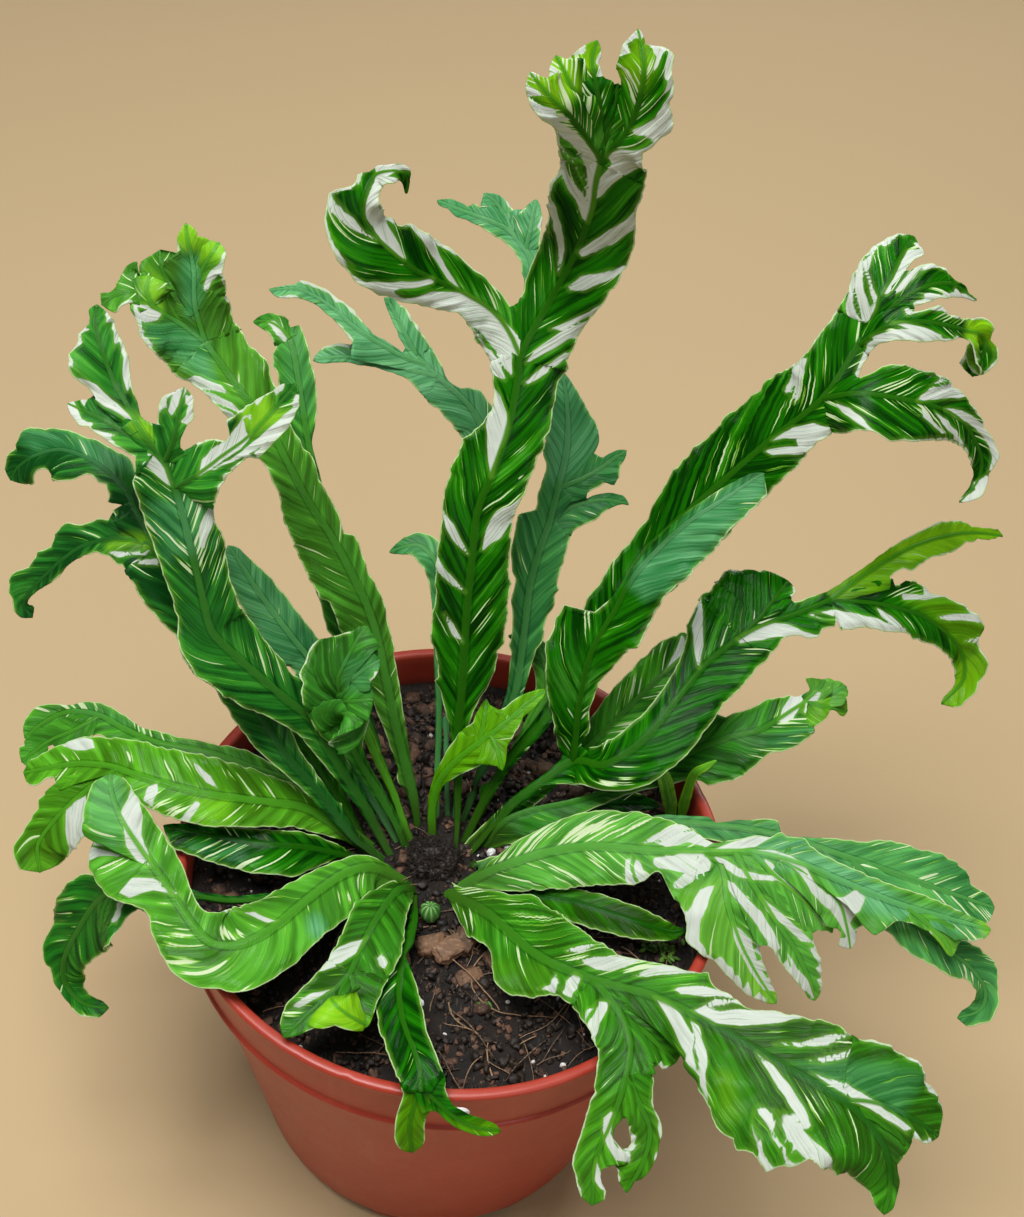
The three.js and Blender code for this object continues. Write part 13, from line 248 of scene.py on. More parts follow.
        [(-107.6,89.2,289.6,-0.491,0.773,0.401,0.8,0.5,9,9,-0.1,-0.3), (-109,88.1,290,-0.474,0.77,0.427,3,2,5.4,7,-0.1,-0.5), (-110.4,87.1,290.4,-0.413,0.772,0.484,3.6,3.5,0,3.4,0,-0.8), (-112.2,86.3,290.2,-0.357,0.765,0.535,3.7,4.8,0,0.4,0,-0.7), (-114,85.9,289.6,-0.399,0.727,0.558,4,2.5,0,0,0,-0.3), (-115.7,85.5,288.8,-0.529,0.67,0.52,4.4,1.5,0,0,0,-0.1), (-117.2,84.7,287.9,-0.615,0.62,0.487,4.6,3.1,0,0,0,0), (-118.6,84,287,-0.63,0.604,0.488,0.3,0.3,0,0,0,0)],
    ],
    "frond_back_left": [
        [(-18.7,15.3,132.3,0.941,0.325,0.09,0.8,1.1,0,0,0,0), (-19.4,16.7,134.1,0.942,0.324,0.085,0.9,1.1,0,0,0,0), (-20,18.1,136,0.937,0.338,0.088,1.1,1,0,0,0,0), (-20.7,19.4,137.8,0.922,0.373,0.105,1.2,1,0,0,0,0), (-21.5,20.7,139.7,0.903,0.412,0.123,1.2,1.2,0,0,0,0), (-22.4,22,141.5,0.887,0.442,0.135,1.3,1.2,0,0,0,0), (-23.3,23.2,143.3,0.878,0.458,0.139,1.4,1.3,0,0,0,0), (-24.2,24.4,145.2,0.874,0.465,0.141,1.4,1.5,0,0,0,0), (-25.2,25.6,147,0.875,0.464,0.141,1.4,1.5,0,0,0,0), (-26.1,26.8,148.9,0.878,0.458,0.138,1.5,1.5,0,0,0,0), (-27,28,150.7,0.883,0.45,0.133,1.5,1.6,0,0,0,0), (-27.9,29.3,152.5,0.887,0.443,0.13,1.5,0.9,0,0,0,0), (-28.8,30.5,154.4,0.889,0.438,0.13,1.6,1.7,0,0,0,0), (-29.7,31.8,156.2,0.891,0.435,0.129,1.7,1.8,0,0,0,0), (-30.6,33.1,158,0.893,0.431,0.127,1.7,1.8,0,0,0,0), (-31.5,34.3,159.9,0.895,0.428,0.126,1.8,1.9,0,0,0,0), (-32.3,35.6,161.7,0.897,0.424,0.124,1.9,1.9,0,0,0,0), (-33.2,36.9,163.5,0.898,0.423,0.123,2,1.9,0,0,0,0), (-34,38.2,165.4,0.898,0.422,0.123,2.1,2.1,0,0,0,0), (-34.9,39.4,167.2,0.899,0.42,0.122,2.1,2.3,0,0,0,0), (-35.7,40.7,169.1,0.902,0.415,0.12,2.3,2.5,0,0,0,0), (-36.5,41.9,170.9,0.905,0.409,0.118,2.4,2.7,0,0,0,0), (-37.3,43.2,172.8,0.909,0.4,0.115,2.5,2.8,0,0,0,0), (-38.1,44.5,174.6,0.915,0.389,0.11,2.7,2.9,0,0,0,0), (-38.9,45.9,176.4,0.92,0.378,0.106,2.8,3,0,0,0,0), (-39.7,47.3,178.3,0.924,0.368,0.102,2.8,3.2,0,0,0,0), (-40.4,48.6,180,0.928,0.359,0.099,2.9,3.4,0,0,0,0), (-41.1,50.1,181.8,0.931,0.352,0.096,3.1,3.6,0,0,0,0), (-41.8,51.5,183.6,0.934,0.346,0.094,3.2,3.8,0,0,0,0), (-42.5,52.9,185.4,0.936,0.341,0.092,3.4,3.9,0,0,0,0), (-43.2,54.4,187.2,0.937,0.337,0.09,5.1,4.1,0,0,0,0), (-43.9,55.8,189,0.938,0.334,0.088,4.9,4.2,0,0,0,0), (-44.6,57.2,190.8,0.94,0.33,0.086,5.1,4.4,0,0,0,0), (-45.2,58.6,192.6,0.942,0.326,0.084,4.9,4.5,0,0,0,0), (-45.9,60,194.5,0.944,0.321,0.082,5.1,4.7,0,0,0,0), (-46.5,61.4,196.3,0.946,0.315,0.079,5.6,4.8,0,0,0,0), (-47.1,62.8,198.1,0.948,0.309,0.077,6.1,4.9,0,0,0,0), (-47.7,64.2,199.9,0.95,0.302,0.075,4.1,5.1,0,0,0,0), (-48.3,65.7,201.7,0.953,0.293,0.072,4.3,5.2,0,0,0,0), (-48.9,67.2,203.5,0.957,0.283,0.068,4.5,5.3,0,0,0,0), (-49.5,68.8,205.2,0.96,0.273,0.063,4.8,5.4,0,0,0,0), (-50,70.4,206.9,0.962,0.267,0.061,5.1,5.5,0,0,0,0), (-50.6,72.1,208.5,0.962,0.265,0.06,5.4,5.6,0,0,0,0), (-51.2,73.7,210.2,0.962,0.267,0.06,5.7,6.3,0,0,0,0), (-51.7,75.3,211.9,0.96,0.273,0.062,6,5.7,0,0,0,0), (-52.3,76.8,213.7,0.957,0.282,0.066,6.4,5.4,0,0,0,0), (-52.8,78.2,215.5,0.954,0.291,0.069,6.6,5.5,0,0,0,0), (-53.4,79.6,217.4,0.952,0.299,0.071,6.9,4.6,0,0,0,0), (-54,80.9,219.3,0.95,0.304,0.073,7.2,3.9,0,0,0,0), (-54.5,82.2,221.2,0.949,0.306,0.073,7.5,2.9,0,0,0,0), (-55.1,83.5,223.1,0.95,0.304,0.073,7.7,1.9,0,0,0,0), (-55.7,84.9,225,0.951,0.3,0.072,8,1.9,0,0,0,0), (-56.2,86.3,226.8,0.952,0.296,0.072,8,1.7,0,0,0,0), (-56.8,87.8,228.6,0.953,0.295,0.072,7.9,1.4,0,0,0,0), (-57.4,89.3,230.4,0.953,0.293,0.073,7.7,1.2,0,0,0,0), (-58,90.8,232.1,0.954,0.291,0.072,7.6,1,0,0,0,0), (-58.6,92.4,233.8,0.955,0.288,0.071,7.5,1,0,0,0,0), (-59.2,93.9,235.6,0.956,0.284,0.068,7.4,1.8,0,0,0,0), (-59.8,95.4,237.3,0.958,0.279,0.065,7.4,2.9,0,0,0,0), (-60.4,97,239.1,0.96,0.275,0.062,7.3,3.5,0,0,0,0), (-60.9,98.5,240.9,0.961,0.271,0.06,7.2,4.3,0,0,0,0), (-61.4,100,242.6,0.961,0.269,0.059,7.1,4.6,0,0,0,0), (-62,101.5,244.4,0.961,0.269,0.059,7,5,0,0,0,0), (-62.5,103,246.2,0.961,0.27,0.061,6.8,5.3,0,0,0,0), (-63.1,104.6,247.9,0.961,0.271,0.063,6.6,5.4,0,0,0,0), (-63.6,106.2,249.6,0.961,0.269,0.062,6.4,5.4,0,0,0,0), (-64.2,107.8,251.3,0.961,0.269,0.061,6.2,5.2,0,0,0,0), (-64.7,109.5,252.9,0.959,0.276,0.066,7.6,4.7,0,0,0,0), (-65.3,111.1,254.5,0.953,0.294,0.077,7.2,5,0,0,0,0), (-66,112.8,256,0.937,0.332,0.105,6.8,4.8,0,0,0,0), (-66.9,114.5,257.5,0.912,0.384,0.144,4.9,4.9,0,0,0.1,0), (-67.9,116.3,258.7,0.895,0.413,0.165,0.8,4.8,3.4,0,0.2,0), (-69,118,260,0.894,0.415,0.168,1.5,4.9,3.9,0,0.4,0)],
        [(-67.4,115.3,258.1,0.7,0.626,0.344,2.2,2.5,3.9,2.6,-0.1,-0.2), (-68.7,116.1,259.4,0.692,0.634,0.344,5.3,1,0,4.3,0,-0.3), (-70.1,116.9,260.6,0.644,0.67,0.371,4.5,1.5,0,2.8,0,-0.3), (-71.7,117.9,261.2,0.562,0.709,0.425,3.8,3.9,0,0,0,-0.1), (-73.3,119.1,261.3,0.459,0.742,0.489,3.5,3.4,0,0,0,0), (-75.1,120.2,261,0.311,0.784,0.537,3.1,3.1,0,0,0,0), (-76.8,121,260.5,0.166,0.816,0.555,2.4,2.5,0,0,0,0), (-78.6,121.8,259.8,0.098,0.819,0.566,1.4,1.6,0,0,0,0), (-80.3,122.5,259,0.088,0.811,0.578,0.3,0.3,0,0,0,0)],
    ],
    "leaf_back_left_pale": [
        [(-20.3,10.1,132.2,0.787,0.588,0.184,0.8,0.9,0,0,0,0), (-21.5,11.2,133.9,0.788,0.588,0.183,0.9,1,0,0,0,0), (-22.7,12.3,135.7,0.788,0.588,0.183,1,1.1,0,0,0,0), (-24,13.4,137.4,0.786,0.59,0.183,1.2,1.2,0,0,0,0), (-25.2,14.5,139.2,0.783,0.594,0.184,1.3,1.3,0,0,0,0), (-26.4,15.5,141,0.777,0.602,0.187,1.4,1.4,0,0,0,0), (-27.6,16.5,142.7,0.768,0.611,0.193,1.5,1.5,0,0,0,0), (-28.9,17.5,144.5,0.764,0.616,0.195,1.5,1.6,0,0,0,0), (-30.1,18.5,146.3,0.768,0.611,0.193,1.6,1.7,0,0,0,0), (-31.3,19.4,148.1,0.78,0.598,0.186,1.6,1.8,0,0,0,0), (-32.5,20.5,149.9,0.796,0.58,0.176,1.8,1.8,0,0,0,0), (-33.7,21.5,151.8,0.811,0.561,0.168,1.8,1.8,0,0,0,0), (-34.8,22.6,153.6,0.821,0.547,0.162,1.9,2,0,0,0,0), (-35.8,23.8,155.4,0.828,0.537,0.159,2,2.1,0,0,0,0), (-36.9,24.9,157.2,0.833,0.531,0.156,2.2,2.2,0,0,0,0), (-38,26,159,0.835,0.528,0.155,2.3,2.3,0,0,0,0), (-39,27.2,160.8,0.835,0.528,0.154,2.4,2.4,0,0,0,0), (-40.1,28.3,162.7,0.834,0.53,0.154,2.6,2.5,0,0,0,0), (-41.1,29.3,164.5,0.833,0.532,0.154,2.8,2.6,0,0,0,0), (-42.1,30.4,166.4,0.833,0.532,0.151,3.2,2.9,0,0,0,0), (-43.1,31.4,168.4,0.834,0.531,0.149,3.5,3.2,0,0,0,0), (-44,32.3,170.4,0.834,0.531,0.148,3.8,3.4,0,0,0,0), (-45,33.3,172.3,0.834,0.531,0.15,4.1,3.7,0,0,0,0), (-46,34.3,174.2,0.834,0.53,0.154,4.6,4,0,0,0,0), (-47,35.4,176.1,0.837,0.526,0.154,5.5,4.3,0,0,0,0), (-48.1,36.6,177.9,0.839,0.522,0.153,6.3,4.7,0,0,0,0), (-49.2,37.8,179.6,0.835,0.527,0.155,7.2,5,0,0,0,0), (-50.3,39,181.4,0.823,0.545,0.16,8,5.5,0,0,0,0), (-51.4,40.2,183.1,0.792,0.586,0.175,6.1,6,0,0,0,0), (-52.7,41.2,184.9,0.725,0.654,0.216,6.3,6.7,0,0,0,0), (-54.1,42,186.6,0.644,0.717,0.267,6.7,6.4,0,0,0,0), (-55.6,42.5,188.4,0.615,0.741,0.271,9.1,6.6,0,0,0,0), (-57.1,43.1,190.2,0.618,0.743,0.258,9.3,6.5,0,0,0,0), (-58.5,43.6,192,0.619,0.74,0.263,9,6.7,0,0,0,0), (-59.9,44.2,193.9,0.64,0.724,0.256,8.7,6.6,0,0,0,0), (-61.4,44.9,195.6,0.673,0.699,0.243,8.5,6.4,0,0,0,0), (-62.9,45.9,197.2,0.695,0.679,0.236,8.2,6.3,0,0,0,0), (-64.4,47,198.7,0.699,0.675,0.235,7.9,6.4,0,0,0,0), (-65.9,48,200.2,0.689,0.684,0.24,7.7,6.3,0,0,0,0), (-67.4,48.8,201.9,0.681,0.69,0.245,7.5,5.9,0,0,0,0), (-68.8,49.6,203.6,0.689,0.683,0.242,7.3,5.9,0,0,0,0), (-70.3,50.5,205.3,0.716,0.66,0.228,7.1,5.9,0,0,0,0), (-71.7,51.6,206.9,0.75,0.628,0.209,6.6,5.4,0,0,0,0), (-73.1,52.8,208.5,0.769,0.607,0.199,6.2,4.8,0,0,0,0), (-74.4,54.1,209.9,0.762,0.614,0.206,5.9,4,0,0,0,0), (-75.9,55.3,211.4,0.738,0.637,0.223,5.6,3.3,0,0,0,0), (-77.3,56.4,212.9,0.719,0.654,0.234,4.7,2.7,0,0,0,0), (-78.8,57.5,214.5,0.713,0.66,0.236,3.1,2.3,0,0,0,0), (-80.3,58.5,216,0.713,0.661,0.234,0.3,0.3,0,0,0,0)],
    ],
    "young_frond_crumpled": [
        [(-17.7,7.8,132.8,0.845,0.507,0.172,0.3,2.4,0,0,0,0), (-18.6,8.6,134.9,0.846,0.506,0.17,0.3,2.4,0,0,0,0), (-19.5,9.3,137,0.844,0.51,0.169,0.3,2.3,0,0,0,0), (-20.4,10.1,139.1,0.834,0.523,0.176,0.3,2.2,0,0,0,0), (-21.3,10.8,141.2,0.818,0.543,0.188,0.5,2.1,0,0,0,0), (-22.2,11.4,143.4,0.802,0.563,0.199,0.8,2.1,0,0,0,0), (-23.2,12,145.5,0.788,0.58,0.205,1.1,1.9,0,0,0,0), (-24.2,12.6,147.6,0.773,0.598,0.211,1.4,1.9,0,0,0,0), (-25.2,13.2,149.7,0.754,0.62,0.219,1.6,1.8,0,0,0,0), (-26.3,13.6,151.8,0.726,0.647,0.234,1.8,1.8,0,0,0,0), (-27.3,14,153.9,0.692,0.676,0.254,2.3,2,0,0,0,0), (-28.5,14.3,156,0.666,0.695,0.27,2.2,2.1,0,0,0,0), (-29.6,14.5,158.1,0.663,0.698,0.27,2.3,2.2,0,0,0,0), (-30.6,14.7,160.3,0.682,0.686,0.256,2.4,2.2,0,0,0,0), (-31.7,15,162.4,0.706,0.665,0.243,2.6,2.4,0,0,0,0), (-32.7,15.3,164.6,0.726,0.644,0.24,2.6,2.5,0,0,0,0), (-33.6,15.6,166.8,0.75,0.619,0.233,2.7,2.7,0,0,0,0), (-34.6,15.9,169,0.782,0.584,0.218,2.9,3.1,0,0,0,0), (-35.4,16.3,171.2,0.821,0.538,0.194,3.4,3.9,0,0,0,0), (-36.2,16.9,173.4,0.858,0.486,0.165,4.9,5.3,0,0,0,0), (-36.9,17.5,175.6,0.887,0.439,0.14,6.7,6.8,0,0,0,0), (-37.6,18.2,177.8,0.908,0.401,0.124,8.5,7.5,0,0,0,0), (-38.2,18.9,180,0.924,0.367,0.106,9.2,7.8,0,0,0,0), (-38.7,19.8,182.2,0.937,0.339,0.088,3.8,8.7,6.2,0,-0.1,0), (-39.2,20.7,184.4,0.943,0.322,0.082,10.9,10.5,0,0,0,0), (-39.7,21.7,186.5,0.945,0.314,0.085,11.5,10.6,0,0,0,0), (-40.3,22.9,188.5,0.947,0.309,0.088,1,2,9,8.1,0,0), (-41,24.4,190.2,0.949,0.304,0.087,0.8,0.8,9,9,0,-0.1), (-41.6,25.9,192,0.949,0.302,0.088,1,1.2,9,9,-0.1,-0.1)],
        [(-40.8,23.9,189.6,0.973,0.018,-0.228,0.8,1.5,9,9,-0.1,0), (-40.4,25,191.3,0.976,0.007,-0.219,1,4.2,9,5.6,-0.3,-0.2), (-40,26,193,0.978,-0.03,-0.205,1.8,6.5,9,3,-0.6,-0.1), (-39.6,27,194.7,0.976,-0.094,-0.199,3,7.5,9,2,-0.8,0.7), (-39.1,28.1,196.4,0.966,-0.168,-0.197,3.8,7.8,8.5,2.6,-0.9,2.1), (-38.6,29.3,197.9,0.955,-0.227,-0.19,4.2,7.5,7.9,3.1,-0.9,3), (-37.9,30.5,199.4,0.947,-0.259,-0.188,4.2,7.8,6.6,2.9,-0.8,3.2), (-37.3,31.8,200.8,0.939,-0.282,-0.2,4,7.8,4.8,2.9,-0.7,3.1), (-36.6,33,202.2,0.927,-0.308,-0.216,4.2,7.5,1.2,1.8,-0.5,2.9), (-35.8,34.2,203.6,0.919,-0.324,-0.225,4,7.8,0,0.4,-0.2,2.1), (-35.1,35.4,205,0.918,-0.327,-0.225,0.3,0.3,0,0,0,1.1)],
        [(-40.2,22.7,188.1,0.866,0.427,0.261,10.8,2,1,8.7,-0.2,0.1), (-41.2,23.8,189.4,0.863,0.434,0.259,11.3,0.8,0,9,-0.1,0.1), (-42.1,24.9,190.7,0.866,0.439,0.239,10.9,1,0,9,0,0.3), (-43,26.1,192.1,0.886,0.422,0.193,10.6,1.2,0,9,0,0.5), (-43.8,27.3,193.4,0.906,0.395,0.153,8.8,3,0,9,0,0.7), (-44.6,28.6,194.7,0.922,0.365,0.131,9.3,3.8,0,9,0,0.9), (-45.3,30,196,0.949,0.298,0.104,7.3,4.2,0,9,0,1), (-45.8,31.4,197.3,0.993,0.119,0.017,5.5,4.5,0,7.4,0,1), (-45.6,32.8,198.7,0.948,-0.237,-0.21,4.2,4.5,0,7.4,0,0.8), (-44.6,33.9,199.9,0.792,-0.491,-0.364,2.6,4.2,0,8.2,0,0.6), (-43.3,34.8,201,0.75,-0.553,-0.362,0.3,0.3,0,0,0,0.3)],
        [(-40.3,22.9,188.5,0.928,-0.06,-0.368,0.5,1,9,9,0.2,-0.5), (-39.5,22.5,190.6,0.922,-0.106,-0.373,2.5,4,9,6.9,0.1,-0.1), (-38.7,22.1,192.8,0.882,-0.245,-0.402,2.2,4.8,9,5.9,0,0.3), (-37.7,21.7,194.9,0.786,-0.433,-0.441,2.2,4.2,9,6.2,0.2,0.5), (-36.6,21.6,196.9,0.679,-0.581,-0.449,2.8,4.2,9,6.4,0.5,0.1), (-35.3,21.6,198.8,0.616,-0.669,-0.417,3,4.5,9,6.1,0.5,-0.2), (-33.9,22,200.2,0.587,-0.699,-0.409,3.5,5,9,4.6,0.4,-0.4), (-32.4,22.4,201.6,0.554,-0.712,-0.431,4,4.3,9,0,0.4,-0.2), (-30.9,22.8,202.8,0.568,-0.704,-0.427,4.5,4.1,8.4,0,0.3,0), (-29.2,23.7,203.6,0.599,-0.681,-0.422,5,2.6,6.8,0,0.2,0), (-27.6,24.9,204,0.607,-0.671,-0.426,0.3,0.3,0,0,0.1,0)],
        [(-39.7,21.6,186.3,0.94,0.048,-0.338,1.2,1.2,9,8.2,-0.1,0.1), (-39,20.2,188,0.912,-0.056,-0.406,0.8,6.2,9,2.8,-0.2,0.2), (-38.3,18.8,189.8,0.675,-0.403,-0.618,1.8,3.2,9,8.2,-0.3,0.2), (-37.5,17.5,191.5,0.235,-0.694,-0.681,2.8,2.5,9,9,-0.3,-0.1), (-36.2,16.6,192.8,0.051,-0.798,-0.6,3.5,2.8,9,9,-0.2,-0.6), (-34.6,16,193.8,0.074,-0.85,-0.522,4,3,9,9,-0.1,-0.9), (-32.6,15.8,194.5,0.119,-0.862,-0.493,4.2,4,9,9,0,-1.1), (-30.6,15.8,195,0.102,-0.864,-0.493,5,5.2,9,3.2,0.2,-0.9), (-28.5,16,195,0.092,-0.865,-0.493,0.3,0.3,0,0,0.2,-0.5)],
        [(-38.3,19.2,180.8,0.825,0.445,0.349,9.1,6,0,5,0,0), (-38.7,18.3,182.8,0.855,0.403,0.327,9,3.5,0,7.7,-0.1,-0.1), (-39,17.3,184.8,0.969,0.215,0.126,9.6,8.6,0,0,-0.3,-0.1), (-38.8,16.3,186.7,0.871,-0.248,-0.424,5.2,9.4,9,0,-0.4,0), (-37.8,15.2,188.4,0.143,-0.698,-0.701,2.2,11.5,9,2.1,-0.3,0), (-36.6,13.9,189.5,-0.39,-0.751,-0.532,2.8,10.6,9,0,0.1,0), (-35.1,12.6,190,-0.592,-0.706,-0.387,3.5,10.8,6.2,0,0.3,0), (-33.5,11.3,189.5,-0.715,-0.63,-0.304,4.6,10.6,0,0,0.2,0), (-32.2,10.1,188.5,-0.749,-0.604,-0.273,0.3,0.3,0,0,0.1,0)],
        [(-39,20.3,188,0.874,-0.443,0.202,0.8,1,9,9,-0.2,0.2), (-39.5,20.4,190.1,0.885,-0.419,0.204,2.5,1.8,9,9,-0.5,0.2), (-39.9,20.6,192.3,0.914,-0.358,0.192,3.8,3,9,9,-0.8,0.2), (-40.2,20.8,194.4,0.944,-0.297,0.147,5,2,7.3,9,-1.4,-0.1), (-40.3,21.2,196.4,0.959,-0.269,0.089,6,2.2,5.9,8.5,-2.2,-0.5), (-40.3,21.8,198.4,0.961,-0.266,-0.08,7.5,2.5,4.2,8.1,-2.8,-0.8), (-39.6,22.6,200.2,0.926,-0.314,-0.211,8.2,2.8,3.4,7.5,-3.1,-0.7), (-38.9,23.5,201.9,0.916,-0.337,-0.217,8.5,3,3.3,7.3,-3.3,-0.7), (-38.1,24.6,203.4,0.909,-0.347,-0.23,9,3.5,1.9,7.2,-3.2,-0.5), (-37.3,25.8,204.9,0.906,-0.349,-0.238,9,4,0.5,6.6,-2.4,-0.4), (-36.4,27.1,206.3,0.908,-0.345,-0.239,7.5,4.5,0,5.9,-1.1,-0.4), (-35.6,28.5,207.5,0.905,-0.347,-0.245,5.2,5,0,3.8,-0.2,-0.4), (-34.7,30,208.6,0.879,-0.389,-0.277,2.8,5.5,0,2.4,0,-0.4), (-33.6,31.6,209.5,0.811,-0.48,-0.335,1.9,6,0,0.7,0,-0.3), (-32.3,33.1,210,0.762,-0.532,-0.37,0.3,0.3,0,0,0,-0.2)],
    ],
    "young_stalk_narrow": [
        [(-15.7,12.1,132.4,0.88,0.445,0.166,1,1,0,0,0,0), (-16.7,13.3,134.2,0.88,0.445,0.166,1,1,0,0,0,0), (-17.6,14.5,136.1,0.879,0.446,0.166,1.1,1.1,0,0,0,0), (-18.6,15.6,138,0.881,0.445,0.162,1.1,1.1,0,0,0,0), (-19.4,16.7,140,0.882,0.444,0.156,1.1,1.1,0,0,0,0), (-20.3,17.7,142,0.879,0.451,0.157,1.1,1.1,0,0,0,0), (-21.2,18.7,144,0.868,0.467,0.168,1.2,1.2,0,0,0,0), (-22.1,19.7,145.9,0.852,0.49,0.184,1.2,1.2,0,0,0,0), (-23.2,20.7,147.8,0.837,0.51,0.199,1.2,1.2,0,0,0,0), (-24.3,21.8,149.6,0.828,0.522,0.206,1.3,1.3,0,0,0,0), (-25.4,22.9,151.4,0.826,0.524,0.207,1.3,1.3,0,0,0,0), (-26.6,23.9,153.3,0.831,0.519,0.202,1.4,1.4,0,0,0,0), (-27.6,24.9,155.1,0.841,0.506,0.191,1.4,1.4,0,0,0,0), (-28.6,25.9,157.1,0.851,0.493,0.179,1.5,1.5,0,0,0,0), (-29.6,26.9,159.1,0.857,0.486,0.173,1.5,1.5,0,0,0,0), (-30.5,27.8,161.1,0.856,0.487,0.173,1.6,1.6,0,0,0,0), (-31.5,28.7,163.1,0.851,0.494,0.18,1.6,1.6,0,0,0,0), (-32.4,29.7,165.1,0.846,0.5,0.186,1.2,1.2,0,0,0,0), (-33.4,30.6,167,0.843,0.504,0.187,0.9,0.9,0,0,0,0), (-34.4,31.6,169,0.843,0.505,0.187,0.3,0.3,0,0,0,0)],
    ],
    "frond_back_forked": [
